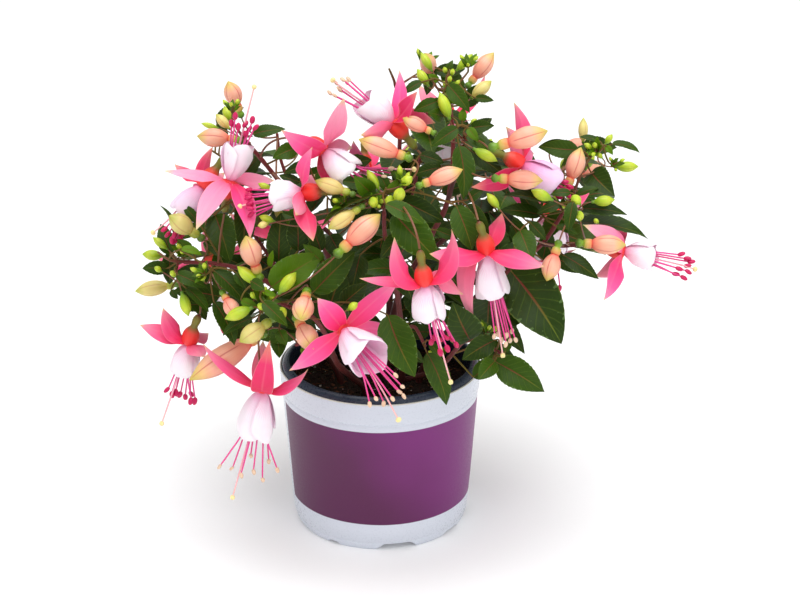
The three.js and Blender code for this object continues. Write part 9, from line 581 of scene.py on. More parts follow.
BUDS = [
    {"node":"leafy_stem_upper_left","e":[-81.4,19.9,250.3],"t":[-88,18.5,273.7],"w":10.6,"nk":9,"type":2,"p":[-61.8,44.3,230.1],"q":[-76.9,20.9,234.2]},
    {"node":"leafy_stem_upper_left","e":[-85.4,-9.7,257.1],"t":[-89.5,-5.9,266.1],"w":5.2,"nk":1.8,"type":0,"p":[-69.1,-34.1,246.4],"q":[-79.9,-14.7,245.2]},
    {"node":"leafy_stem_upper_left","e":[-85.5,-15.8,255.1],"t":[-93.8,-12.3,263.4],"w":5.7,"nk":2,"type":1,"p":[-70.7,-35.1,248.7],"q":[-77.8,-19,247.4]},
    {"node":"leafy_stem_upper_left","e":[-93.2,-0.7,250.6],"t":[-103.7,0.5,253.3],"w":3.5,"nk":1.2,"type":0,"p":[-66.1,-32.2,241.6],"q":[-74.8,-2.7,245.8]},
    {"node":"leafy_stem_upper_left","e":[-77.2,-25.1,251.4],"t":[-104.1,-23.8,254.6],"w":10.9,"nk":9.2,"type":2,"p":[-73.7,-37,253.5],"q":[-71.6,-25.4,250.7]},
    {"node":"leafy_stem_left","e":[-100.1,-46.9,199.2],"t":[-119.1,-52.6,216.4],"w":11.4,"nk":9.7,"type":1,"p":[-102,-49.5,186.1],"q":[-95.7,-45.6,195.2]},
    {"node":"leafy_stem_upper_left","e":[-58.9,-67.4,237.2],"t":[-67.2,-66,240.6],"w":3.9,"nk":1.4,"type":0,"p":[-61.5,-29.7,234.3],"q":[-43.3,-70.1,230.9]},
    {"node":"green_shoot_centre","e":[-56.9,-81.8,223.7],"t":[-66.1,-80.5,226.7],"w":4.4,"nk":1.6,"type":0,"p":[-4.1,-88.4,238],"q":[-33.6,-85.1,216]},
    {"node":"green_shoot_centre","e":[-60.3,-84.8,223.9],"t":[-66.5,-88,223.8],"w":3.9,"nk":1.4,"type":1,"p":[0.7,-85.2,234.4],"q":[-35.6,-71.9,224.4]},
    {"node":"green_shoot_top","e":[30.5,-15.8,289.8],"t":[23.9,-11.5,300.2],"w":5.1,"nk":1.8,"type":0,"p":[38,-26,286],"q":[33.5,-17.8,285.1]},
    {"node":"leafy_stem_centre","e":[32.2,0,278.2],"t":[25.8,-7.8,298.3],"w":9.8,"nk":8.3,"type":2,"p":[40.1,-26.4,274.6],"q":[35.8,4.3,267]},
    {"node":"green_shoot_top","e":[28.3,-35.3,287],"t":[21.6,-31.4,296.3],"w":5.6,"nk":2,"type":0,"p":[31.4,-27.9,286.9],"q":[30.3,-36.5,284.3]},
    {"node":"green_shoot_top","e":[43.9,-7.9,287.6],"t":[53.8,-4,296.7],"w":5.2,"nk":1.8,"type":0,"p":[41.4,-25.1,282.5],"q":[38.1,-10.2,282.3]},
    {"node":"leafy_stem_centre","e":[49.9,-6.5,277],"t":[66.3,1.5,295.6],"w":9.8,"nk":8.3,"type":2,"p":[40.4,-26.8,271.7],"q":[43.4,-9.6,269.6]},
    {"node":"leafy_stem_centre","e":[51.6,-33.3,279.2],"t":[63.3,-29.1,289.1],"w":7.3,"nk":2.6,"type":1,"p":[40.1,-26.3,275.1],"q":[46.9,-35,275.3]},
    {"node":"leafy_stem_centre","e":[39.8,-56.8,274.4],"t":[34.2,-50.6,289],"w":6.7,"nk":2.3,"type":0,"p":[47.8,-49.8,261],"q":[42.3,-59.6,267.7]},
    {"node":"green_shoot_top","e":[38.3,-22.2,290.2],"t":[36.9,-22.8,295],"w":2.8,"nk":1,"type":0,"p":[38.8,-25.3,288.5],"q":[38.7,-22,288.7]},
    {"node":"green_shoot_top","e":[41.2,-26.1,290.2],"t":[41.9,-27,295.2],"w":2.8,"nk":1,"type":0,"p":[39.5,-24.7,290.9],"q":[41.1,-25.9,289.2]},
    {"node":"green_shoot_top","e":[39.3,-35.3,289],"t":[40.3,-36.1,293.9],"w":2.8,"nk":1,"type":0,"p":[33.2,-27.9,283.8],"q":[38.3,-34.5,284.3]},
    {"node":"leafy_stem_centre","e":[32.4,-72.6,271.6],"t":[13.5,-69,280],"w":8.2,"nk":7,"type":2,"p":[47.2,-49.5,257.9],"q":[44.8,-74.9,266.1]},
    {"node":"green_shoot_centre","e":[19.1,-83.8,261],"t":[-10.6,-79.4,271.4],"w":10.9,"nk":9.3,"type":2,"p":[10.4,-89.6,242.7],"q":[28,-85.1,257.9]},
    {"node":"leafy_stem_centre","e":[52,-74.2,264.3],"t":[65.4,-77.2,257.3],"w":6.1,"nk":2.1,"type":0,"p":[47.8,-49.8,261],"q":[42.2,-72,269.4]},
    {"node":"green_shoot_centre","e":[-12.2,-93,243.6],"t":[-34.4,-89.7,251.3],"w":8.7,"nk":7.4,"type":1,"p":[-6,-89.6,239.3],"q":[-8.7,-93.5,242.4]},
    {"node":"green_shoot_centre","e":[0.8,-87.1,244.1],"t":[-6.1,-82.6,254.8],"w":4.9,"nk":1.7,"type":0,"p":[3.9,-87.5,243.3],"q":[1.5,-87.6,243]},
    {"node":"green_shoot_centre","e":[11.8,-90.4,248.1],"t":[18.6,-93,254.7],"w":5.5,"nk":1.9,"type":0,"p":[4.2,-87.8,245],"q":[9.1,-89.4,245.5]},
    {"node":"green_shoot_centre","e":[20.5,-90.1,247.5],"t":[46.4,-86.4,256.2],"w":9.8,"nk":8.4,"type":2,"p":[7,-86.8,237.9],"q":[13.4,-91.1,245.1]},
    {"node":"green_shoot_centre","e":[9.7,-97.6,240.4],"t":[13.1,-101.5,251],"w":6.5,"nk":2.3,"type":0,"p":[3.1,-86.5,237.9],"q":[8,-95.6,235.1]},
    {"node":"green_shoot_centre","e":[-1.1,-94.7,236.8],"t":[-3.8,-99.7,244.8],"w":5.5,"nk":1.9,"type":0,"p":[-1.7,-86.8,236.2],"q":[-0.1,-92.9,233.9]},
    {"node":"green_shoot_centre","e":[4.9,-94,237.2],"t":[7.6,-99,245.2],"w":5.5,"nk":1.9,"type":0,"p":[3.1,-85.1,235.4],"q":[3.8,-91.9,233.8]},
    {"node":"green_shoot_centre","e":[-7.1,-98.6,240.4],"t":[-27.2,-103.9,228.1],"w":8.7,"nk":7.4,"type":1,"p":[-6,-89.6,239.3],"q":[-3.7,-97.7,242.5]},
    {"node":"green_shoot_front_left","e":[-23.6,-109.7,214.1],"t":[0.6,-100.3,236.3],"w":13.1,"nk":11.1,"type":2,"p":[-60.9,-92.2,181.3],"q":[-40.4,-116.2,198.7]},
    {"node":"leafy_stem_centre","e":[50.7,-56.7,272.3],"t":[54.8,-56,275.1],"w":2.8,"nk":1,"type":0,"p":[48,-49.9,262.3],"q":[46.1,-57.4,269.2]},
    {"node":"leafy_stem_right","e":[66.8,-88.8,233.7],"t":[59.8,-85.2,242.1],"w":4.9,"nk":1.7,"type":0,"p":[105.3,-59.6,200.6],"q":[82.8,-97,214.4]},
    {"node":"leafy_stem_centre","e":[61.9,-84.8,250.6],"t":[90.4,-85.3,249.3],"w":11,"nk":9.3,"type":2,"p":[46.6,-49.3,254.7],"q":[44.4,-84.5,251.4]},
    {"node":"green_shoot_right","e":[96.8,-80.9,236],"t":[84.4,-78.6,241.4],"w":6.1,"nk":2.1,"type":0,"p":[109.4,-55.1,221.4],"q":[109.9,-83.3,230.3]},
    {"node":"green_shoot_right","e":[116.6,-25.7,250.1],"t":[116.9,-19.9,263.8],"w":5.7,"nk":2,"type":1,"p":[121.4,-37.4,247.1],"q":[116.5,-28,244.7]},
    {"node":"green_shoot_right","e":[123.4,-26.6,249.1],"t":[120.6,-26.8,254.6],"w":3.4,"nk":1.2,"type":0,"p":[126.4,-33.7,251],"q":[125,-26.5,245.9]},
    {"node":"green_shoot_right","e":[130.3,-11.9,244.4],"t":[134.6,-9.4,250.3],"w":4,"nk":1.4,"type":0,"p":[123.4,-35.9,248.7],"q":[124,-15.6,235.7]},
    {"node":"green_shoot_right","e":[104.7,-58.3,232.1],"t":[114.8,-48.5,255.4],"w":10.7,"nk":9.1,"type":2,"p":[108.3,-51.6,225.3],"q":[103,-60,228.2]},
    {"node":"green_shoot_right","e":[135.6,-15.9,232.4],"t":[150,-15.9,232.4],"w":6.4,"nk":2.2,"type":0,"p":[125.4,-34.5,250.2],"q":[123.1,-15.9,232.4]},
    {"node":"green_shoot_right","e":[127.4,-37.6,244.8],"t":[123.9,-37.3,248.5],"w":2.8,"nk":1,"type":0,"p":[113.9,-45.5,237.3],"q":[132.8,-38.1,239.2]},
    {"node":"green_shoot_right","e":[119.4,-60.6,227.5],"t":[132.8,-60.2,228.6],"w":6.2,"nk":2.2,"type":0,"p":[112.9,-57.7,222.7],"q":[115.6,-60.7,227.2]},
    {"node":"green_shoot_right","e":[112.5,-71.9,230.1],"t":[107.7,-76.7,237.4],"w":5.6,"nk":1.9,"type":0,"p":[111.4,-56.5,222.2],"q":[116.3,-68.1,224.4]},
    {"node":"leafy_stem_right","e":[112.4,-75.7,222],"t":[111,-80.7,229.4],"w":5,"nk":1.8,"type":0,"p":[117.5,-61.5,202.8],"q":[114.1,-69.6,213]},
    {"node":"leafy_stem_right","e":[123.8,-64.2,215.7],"t":[121,-66,219.5],"w":2.8,"nk":1,"type":0,"p":[118.7,-61.7,203],"q":[127.3,-61.9,211]},
    {"node":"leafy_stem_right","e":[109.8,-76.5,209.2],"t":[138.2,-77.3,207.2],"w":11.2,"nk":9.5,"type":2,"p":[108.3,-60.1,201.1],"q":[101.6,-76.3,209.8]},
    {"node":"green_shoot_right","e":[100.2,-89.3,216],"t":[92.6,-100.4,196],"w":10.5,"nk":8.9,"type":2,"p":[112.9,-57.7,222.7],"q":[105.1,-82.1,229]},
    {"node":"green_shoot_left","e":[-122.6,-30.7,186.7],"t":[-131.4,-27.8,193.5],"w":4.6,"nk":1.6,"type":0,"p":[-115,-50.2,187.2],"q":[-115.4,-33.1,181.1]},
    {"node":"leafy_stem_left","e":[-125.8,-20.5,178.4],"t":[-139.1,-19.9,179.7],"w":6.4,"nk":2.3,"type":0,"p":[-109.4,-49.9,186.7],"q":[-110.3,-21.1,176.9]},
    {"node":"leafy_stem_left","e":[-118.1,-12.1,157.5],"t":[-145.1,-13.7,153.6],"w":9.5,"nk":8.1,"type":1,"p":[-68.4,15.6,166.3],"q":[-92.5,-10.5,161.2]},
    {"node":"green_shoot_left","e":[-112.4,-64.5,174.8],"t":[-108.1,-70,161.8],"w":6.3,"nk":2.2,"type":0,"p":[-116.2,-54,180.1],"q":[-114,-62.4,179.7]},
    {"node":"leafy_stem_left","e":[-98.6,-72.6,184.5],"t":[-100.7,-78,192.9],"w":5.6,"nk":2,"type":0,"p":[-95.5,-49.2,185.6],"q":[-96.4,-67,175.8]},
    {"node":"green_shoot_left","e":[-125.5,-38.4,175.9],"t":[-129.8,-40.5,180],"w":3.5,"nk":1.2,"type":0,"p":[-113.6,-52.2,173.7],"q":[-119.8,-35.6,170.6]},
    {"node":"green_shoot_left","e":[-115.9,-57,180.3],"t":[-118.7,-59.5,185.2],"w":3.4,"nk":1.2,"type":0,"p":[-115.8,-52.7,182.5],"q":[-114.9,-56.1,178.6]},
    {"node":"green_shoot_front_left","e":[-65.4,-90.7,191.9],"t":[-73.3,-91.1,218.8],"w":12.2,"nk":10.4,"type":2,"p":[-65.6,-94.7,183.1],"q":[-64.2,-90.6,187.7]},
    {"node":"green_shoot_front_left","e":[-65.9,-93.2,190.5],"t":[-78.5,-89.2,200],"w":6.7,"nk":2.3,"type":0,"p":[-67.1,-95.5,183.7],"q":[-63.4,-94,188.6]},
    {"node":"green_shoot_front_left","e":[-55.1,-105,189.8],"t":[-45.3,-100.1,201.2],"w":7.2,"nk":2.5,"type":0,"p":[-62.3,-95.5,179],"q":[-59.6,-107.2,184.6]},
    {"node":"leafy_stem_left","e":[-88.3,-82.4,183],"t":[-78.6,-97.5,173.1],"w":8.9,"nk":7.6,"type":2,"p":[-98.8,-49.4,185.8],"q":[-95.7,-70.9,190.6]},
    {"node":"green_shoot_front_left","e":[-69.3,-100.2,180.2],"t":[-85.2,-102.8,174.2],"w":7.2,"nk":2.5,"type":0,"p":[-65.3,-98.5,176.2],"q":[-66.8,-99.8,181.1]},
    {"node":"green_shoot_front_left","e":[-67.9,-97.2,183.6],"t":[-70.6,-98.7,188.7],"w":3.3,"nk":1.2,"type":0,"p":[-67.1,-95.5,183.7],"q":[-67.5,-97,182.9]},
    {"node":"green_shoot_front_left","e":[-63.3,-100.8,178.5],"t":[-66.1,-103.7,184.2],"w":3.9,"nk":1.4,"type":0,"p":[-63.8,-97,177.6],"q":[-62.6,-100.1,177]},
    {"node":"green_shoot_front_left","e":[-52.3,-105.2,175.9],"t":[-53.7,-111.7,184.6],"w":6.1,"nk":2.1,"type":0,"p":[-60.4,-93.3,178.9],"q":[-51.5,-101.3,170.6]},
    {"node":"green_shoot_front_left","e":[-56.6,-96.9,173.1],"t":[-76.9,-108.4,162.7],"w":11.1,"nk":9.4,"type":1,"p":[-58.5,-91.2,178.7],"q":[-53.7,-95.2,174.6]},
    {"node":"leafy_stem_front_left","e":[-39,-103.3,192.5],"t":[-41.6,-130.1,185.9],"w":12,"nk":10.2,"type":2,"p":[-52,-87.2,175.6],"q":[-37.9,-91.7,195.3]},
    {"node":"leafy_stem_front_left","e":[-46.4,-99.1,175.2],"t":[-35,-122.6,165.2],"w":12.2,"nk":10.3,"type":2,"p":[-49.3,-86.1,173.9],"q":[-48.8,-94.1,177.4]},
    {"node":"leafy_stem_front_left","e":[-17.1,-116.5,185.3],"t":[-11,-117.6,190.1],"w":4.4,"nk":1.5,"type":0,"p":[-47,-85.2,172.4],"q":[-32.9,-113.8,172.8]},
    {"node":"leafy_stem_front_left","e":[-63.6,-69.7,153],"t":[-108.1,-81,126.4],"w":14.8,"nk":12.6,"type":2,"p":[-45.7,-79,148.2],"q":[-55.8,-67.7,157.7]},
    {"node":"leafy_stem_back","e":[18.8,98.3,205.5],"t":[22.7,107.7,208.3],"w":4.6,"nk":1.6,"type":0,"p":[11.4,71.7,205.4],"q":[14.3,87.2,202.2]},
    {"node":"green_shoot_back_right","e":[105.9,68.7,212.7],"t":[130.7,80.7,213.3],"w":9.9,"nk":8.4,"type":2,"p":[109.1,62.5,200.3],"q":[100.1,65.9,212.6]},
    {"node":"leafy_stem_back","e":[17.2,100.8,195.8],"t":[16.2,111.3,201.7],"w":5.5,"nk":1.9,"type":0,"p":[10.8,69.4,193.5],"q":[18.4,88.2,188.8]},
    {"node":"green_shoot_back_right","e":[112,70.5,197.6],"t":[115.6,79.8,204.6],"w":5.5,"nk":1.9,"type":0,"p":[106.4,63.2,198.5],"q":[110.8,67.3,195.2]},
    {"node":"leafy_stem_back","e":[49.9,100.1,180],"t":[49.5,108.1,188.8],"w":5.5,"nk":1.9,"type":0,"p":[56,69,166.7],"q":[50.5,89.8,168.5]},
    {"node":"leafy_stem_back","e":[-7.2,102.8,161.1],"t":[-1.1,130.1,165.1],"w":10.1,"nk":8.6,"type":1,"p":[11.5,88.3,140.1],"q":[-10.3,89.1,159.1]},
    {"node":"green_shoot_back_right","e":[120.1,63.3,199.1],"t":[126,69.3,204],"w":4.6,"nk":1.6,"type":0,"p":[111.3,60.9,202.2],"q":[117.5,60.6,196.9]},
    {"node":"leafy_stem_back","e":[-51.3,91.8,159.3],"t":[-66.2,112.3,153.9],"w":9.3,"nk":7.9,"type":2,"p":[-42.5,67,168.4],"q":[-44.1,81.9,161.9]},
    {"node":"leafy_stem_back","e":[-60.7,87.9,167.5],"t":[-72.7,108.8,159.7],"w":9.4,"nk":8,"type":2,"p":[-52,68.9,175.7],"q":[-55.9,79.6,170.6]},
    {"node":"green_shoot_back_right","e":[116.6,67.1,197.1],"t":[140.3,85.7,196.3],"w":11,"nk":9.3,"type":2,"p":[109.1,62.5,200.3],"q":[113.3,64.5,197.2]},
    {"node":"leafy_stem_back","e":[-21.9,100.5,163.9],"t":[-16.9,127.3,152.9],"w":11.3,"nk":9.6,"type":2,"p":[-37.7,65.9,164.8],"q":[-24.8,84.9,170.3]},
    {"node":"leafy_stem_back","e":[-14.8,101.8,162.9],"t":[-27.7,132.4,154.3],"w":12.1,"nk":10.3,"type":2,"p":[11.1,85.2,139.9],"q":[-13.5,78.3,167.2]},
    {"node":"leafy_stem_back","e":[-77.3,76.6,187.4],"t":[-93.8,96.5,188.4],"w":9.3,"nk":7.9,"type":2,"p":[-72.5,70,190.9],"q":[-74.7,73.5,187.2]},
    {"node":"leafy_stem_back","e":[65.7,91.7,203.1],"t":[69.2,101.5,209.2],"w":5.4,"nk":1.9,"type":0,"p":[73.5,67.9,178.1],"q":[61.1,78.8,195]},
    {"node":"green_shoot_back_right","e":[125.3,56,204.2],"t":[130.5,62.1,213.6],"w":5.3,"nk":1.8,"type":0,"p":[116.9,56.8,207.1],"q":[123.6,54,201.2]},
    {"node":"green_shoot_back_right","e":[76.1,91,192.4],"t":[77,119.8,178.2],"w":12,"nk":10.2,"type":1,"p":[93.4,73.8,191.9],"q":[75.8,81.2,197.3]},
    {"node":"leafy_stem_back","e":[80.1,92.4,160.4],"t":[95.1,118.7,166.5],"w":11.3,"nk":9.6,"type":1,"p":[63.5,69,171.6],"q":[73.4,80.6,157.7]},
    {"node":"leafy_stem_centre","e":[60,-85.6,268],"t":[92.2,-88.7,278.6],"w":12.3,"nk":12.2,"type":2,"p":[47.56,-49.66,259.8],"q":[55.5,-69.6,269.7]},
    {"node":"green_shoot_back_top","e":[25.3,74.9,268.7],"t":[22.6,78,275.3],"w":3,"nk":2.2,"type":0,"p":[26.6,73.5,265.5],"q":[26.1,74.1,266.7]},
    {"node":"green_shoot_back_top","e":[27.3,71.7,268.5],"t":[28.8,68.3,274.6],"w":2.8,"nk":2,"type":0,"p":[26.6,73.5,265.5],"q":[26.9,72.7,266.7]},
    {"node":"green_shoot_back_top","e":[28.4,74.3,266.5],"t":[32.9,76.3,269.1],"w":2.5,"nk":1.6,"type":0,"p":[26.6,73.5,265.5],"q":[27.8,74,266.2]},
    {"node":"leafy_stem_centre","e":[28.8,34.7,227.5],"t":[28.7,36,233.4],"w":2.8,"nk":1.7,"type":0,"p":[28.8,33.9,224],"q":[28.8,34.2,225.5]},
    {"node":"leafy_stem_centre","e":[29.6,32.4,227.1],"t":[31.2,29.4,233],"w":3.2,"nk":1.9,"type":0,"p":[28.8,33.9,224],"q":[29.1,33.3,225.3]},
    {"node":"leafy_stem_centre","e":[30.4,34.6,225.2],"t":[35.5,36.7,229.3],"w":3,"nk":1.9,"type":0,"p":[28.8,33.9,224],"q":[29.9,34.4,224.9]},
    {"node":"green_shoot_right","e":[122.5,-35.1,249.5],"t":[116.1,-36.7,253.7],"w":3.3,"nk":2.2,"type":0,"p":[124.6,-34.6,248.1],"q":[123.4,-34.9,248.9]},
    {"node":"green_shoot_right","e":[123.6,-36.3,248.2],"t":[120.4,-42.1,248.5],"w":2.8,"nk":1.9,"type":0,"p":[124.6,-34.6,248.1],"q":[123.9,-35.9,248.2]},
    {"node":"green_shoot_right","e":[123.5,-36.4,250.6],"t":[121.5,-39.9,255.4],"w":3,"nk":1.8,"type":0,"p":[124.6,-34.6,248.1],"q":[124.1,-35.4,249.2]},
    {"node":"leafy_stem_left","e":[-112.7,-50.4,192.6],"t":[-114.9,-50,198.7],"w":3,"nk":1.8,"type":0,"p":[-111.7,-50.5,189.9],"q":[-112.2,-50.4,191.3]},
    {"node":"leafy_stem_left","e":[-111.8,-52.2,192],"t":[-111.9,-56.7,197.7],"w":3.2,"nk":2,"type":0,"p":[-111.7,-50.5,189.9],"q":[-111.7,-51.4,191.1]},
    {"node":"leafy_stem_left","e":[-110.2,-50,191.6],"t":[-106,-48.6,196.4],"w":2.7,"nk":1.8,"type":0,"p":[-111.7,-50.5,189.9],"q":[-110.7,-50.2,191]},
    {"node":"green_shoot_front_left","e":[-63.7,-97.7,185.6],"t":[-62.1,-99.3,192.4],"w":3.2,"nk":2,"type":0,"p":[-64.6,-96.9,181.9],"q":[-64.3,-97.2,183.3]},
    {"node":"green_shoot_front_left","e":[-62.9,-100.1,182.5],"t":[-59.6,-106.3,183.6],"w":3,"nk":2,"type":0,"p":[-64.6,-96.9,181.9],"q":[-63.9,-98.2,182.1]},
    {"node":"green_shoot_front_left","e":[-62.2,-96.9,183.1],"t":[-57.3,-97,185.7],"w":2.6,"nk":1.6,"type":0,"p":[-64.6,-96.9,181.9],"q":[-63.3,-96.9,182.6]},
    {"node":"green_shoot_centre","e":[12.6,-87.4,250.7],"t":[11.5,-85.3,258.5],"w":3.2,"nk":2.3,"type":0,"p":[13.1,-88.3,247.3],"q":[12.9,-87.9,248.7]},
    {"node":"green_shoot_centre","e":[13.3,-89.7,248.7],"t":[14.2,-94.8,254.2],"w":3,"nk":2.1,"type":0,"p":[13.1,-88.3,247.3],"q":[13.3,-89.3,248.4]},
    {"node":"green_shoot_centre","e":[14.3,-87.8,249.5],"t":[17.3,-86.6,254.8],"w":2.6,"nk":1.7,"type":0,"p":[13.1,-88.3,247.3],"q":[13.8,-88,248.6]},
    {"node":"green_shoot_upper_left","e":[-83.8,-42.9,277],"t":[-87.3,-40.3,281.2],"w":2.5,"nk":1.7,"type":0,"p":[-82.1,-44,275.1],"q":[-83,-43.4,276.2]},
    {"node":"green_shoot_upper_left","e":[-82.2,-45.3,277.5],"t":[-82.3,-48,282.4],"w":2.3,"nk":1.6,"type":0,"p":[-82.1,-44,275.1],"q":[-82.2,-44.7,276.4]},
    {"node":"green_shoot_upper_left","e":[-80.6,-43,278],"t":[-78.3,-41.5,282.1],"w":2.3,"nk":1.4,"type":0,"p":[-82.1,-44,275.1],"q":[-81.4,-43.6,276.4]},
    {"node":"green_shoot_centre","e":[-20.8,-90.2,237.8],"t":[-25.3,-88.5,238.9],"w":1.9,"nk":1.4,"type":0,"p":[-18.7,-91.1,237.2],"q":[-20.1,-90.5,237.6]},
    {"node":"green_shoot_centre","e":[-20.9,-93.1,239.3],"t":[-24.6,-96.4,242.8],"w":2.4,"nk":1.7,"type":0,"p":[-18.7,-91.1,237.2],"q":[-19.6,-91.9,238.1]},
    {"node":"green_shoot_centre","e":[-18.3,-90.8,240.3],"t":[-17.8,-90.4,245.6],"w":2.5,"nk":1.5,"type":0,"p":[-18.7,-91.1,237.2],"q":[-18.5,-90.9,238.7]},
    {"node":"green_shoot_top","e":[48.8,-21.9,297.1],"t":[45.9,-20.7,301.5],"w":2.3,"nk":1.5,"type":0,"p":[50.5,-22.5,294.6],"q":[49.7,-22.2,295.8]},
    {"node":"green_shoot_top","e":[50.4,-24.5,295.8],"t":[50.3,-28.6,298.4],"w":2,"nk":1.4,"type":0,"p":[50.5,-22.5,294.6],"q":[50.5,-23.8,295.4]},
    {"node":"green_shoot_top","e":[52.5,-21.8,296.8],"t":[56.2,-20.5,300.7],"w":2.2,"nk":1.5,"type":0,"p":[50.5,-22.5,294.6],"q":[51.5,-22.2,295.7]},
    {"node":"leafy_stem_right","e":[101.9,-51.7,222.4],"t":[98.2,-50.1,227.1],"w":2.5,"nk":1.8,"type":0,"p":[103.8,-52.5,220],"q":[102.9,-52.1,221.1]},
    {"node":"leafy_stem_right","e":[103.7,-54.8,221.5],"t":[103.5,-60.8,225.4],"w":2.8,"nk":2,"type":0,"p":[103.8,-52.5,220],"q":[103.8,-53.8,220.8]},
    {"node":"leafy_stem_right","e":[105,-52.2,222.1],"t":[107.8,-51.6,227.2],"w":2.4,"nk":1.6,"type":0,"p":[103.8,-52.5,220],"q":[104.5,-52.3,221.3]},
    {"node":"leafy_stem_front","e":[59.4,-81.9,158],"t":[57.1,-79.5,162.5],"w":2.6,"nk":1.6,"type":0,"p":[60.6,-83.1,155.8],"q":[60,-82.5,157]},
    {"node":"leafy_stem_front","e":[61.4,-84.5,158.7],"t":[62.9,-87,163.6],"w":2.3,"nk":1.6,"type":0,"p":[60.6,-83.1,155.8],"q":[61,-83.8,157.1]},
    {"node":"leafy_stem_front","e":[62.4,-82.3,156.7],"t":[68,-79.9,159.5],"w":2.9,"nk":1.9,"type":0,"p":[60.6,-83.1,155.8],"q":[61.8,-82.6,156.4]},
    {"node":"green_shoot_left","e":[-100.2,-78.3,191.9],"t":[-105.8,-77.7,194.6],"w":2.7,"nk":1.8,"type":0,"p":[-97.4,-78.5,190.6],"q":[-98.7,-78.4,191.2]},
    {"node":"green_shoot_left","e":[-98.7,-80.4,191.1],"t":[-101.9,-84.6,192.5],"w":2.2,"nk":1.5,"type":0,"p":[-97.4,-78.5,190.6],"q":[-98.2,-79.7,190.9]},
    {"node":"green_shoot_left","e":[-97.4,-79.5,193.5],"t":[-97.3,-81.6,199.4],"w":2.8,"nk":1.8,"type":0,"p":[-97.4,-78.5,190.6],"q":[-97.4,-79,192]},
    {"node":"leafy_stem_centre","e":[38.8,-26.2,282.6],"t":[36.4,-25.5,287.5],"w":2.3,"nk":1.5,"type":0,"p":[39.8,-26.5,280.5],"q":[39.2,-26.3,281.8]},
    {"node":"leafy_stem_centre","e":[39.8,-27.9,282.6],"t":[39.7,-30.9,286.9],"w":2.5,"nk":1.5,"type":0,"p":[39.8,-26.5,280.5],"q":[39.8,-27.3,281.7]},
    {"node":"leafy_stem_centre","e":[42.2,-25.7,283.4],"t":[45.9,-24.5,287.9],"w":2.6,"nk":1.7,"type":0,"p":[39.8,-26.5,280.5],"q":[40.7,-26.2,281.6]},
    {"node":"green_shoot_centre","e":[-2.2,-92,239.5],"t":[-0.4,-93.6,243.3],"w":2.1,"nk":1.3,"type":0,"p":[-3.3,-91.1,237.2],"q":[-2.7,-91.6,238.5]},
    {"node":"green_shoot_centre","e":[-1.4,-94.3,238],"t":[1.4,-98.8,239.1],"w":2.2,"nk":1.5,"type":0,"p":[-3.3,-91.1,237.2],"q":[-2.6,-92.3,237.5]},
    {"node":"green_shoot_centre","e":[-1.2,-90.7,238],"t":[4.4,-89.8,240],"w":2.5,"nk":1.7,"type":0,"p":[-3.3,-91.1,237.2],"q":[-2,-90.8,237.7]},
    {"node":"green_shoot_back_right","e":[98.4,61.3,191.2],"t":[97.4,58.1,195.1],"w":2.3,"nk":1.5,"type":0,"p":[99,63.3,188.9],"q":[98.7,62.3,190]},
    {"node":"green_shoot_back_right","e":[99.5,61,189.6],"t":[100.7,56,191],"w":2.5,"nk":1.5,"type":0,"p":[99,63.3,188.9],"q":[99.3,61.9,189.3]},
    {"node":"green_shoot_back_right","e":[100.6,62.2,190.3],"t":[103.6,60.3,193.1],"w":2.1,"nk":1.3,"type":0,"p":[99,63.3,188.9],"q":[100,62.6,189.8]},
    {"node":"green_shoot_right","e":[131.9,-38.5,243.5],"t":[130.8,-40.3,247.1],"w":1.8,"nk":1.1,"type":0,"p":[132.5,-37.5,241.3],"q":[132.2,-38.1,242.6]},
    {"node":"green_shoot_right","e":[133.5,-40.5,240.8],"t":[134.8,-44.4,240.2],"w":1.9,"nk":1.1,"type":0,"p":[132.5,-37.5,241.3],"q":[133,-38.9,241.1]},
    {"node":"green_shoot_right","e":[135.9,-37.9,243.2],"t":[139.7,-38.5,245.3],"w":2.1,"nk":1.2,"type":0,"p":[132.5,-37.5,241.3],"q":[133.8,-37.6,242]},
    {"node":"leafy_stem_front","e":[33.1,-40.3,122.9],"t":[28.5,-37.9,125.7],"w":2.6,"nk":1.7,"type":0,"p":[35.5,-41.5,121.4],"q":[34.3,-40.9,122.1]},
    {"node":"leafy_stem_front","e":[34.8,-42.8,123.4],"t":[33.3,-45.7,128.2],"w":2.5,"nk":1.6,"type":0,"p":[35.5,-41.5,121.4],"q":[35.1,-42.3,122.6]},
    {"node":"leafy_stem_front","e":[35.8,-41,123.6],"t":[36.5,-39.6,129.3],"w":2.4,"nk":1.6,"type":0,"p":[35.5,-41.5,121.4],"q":[35.7,-41.2,122.8]},
]
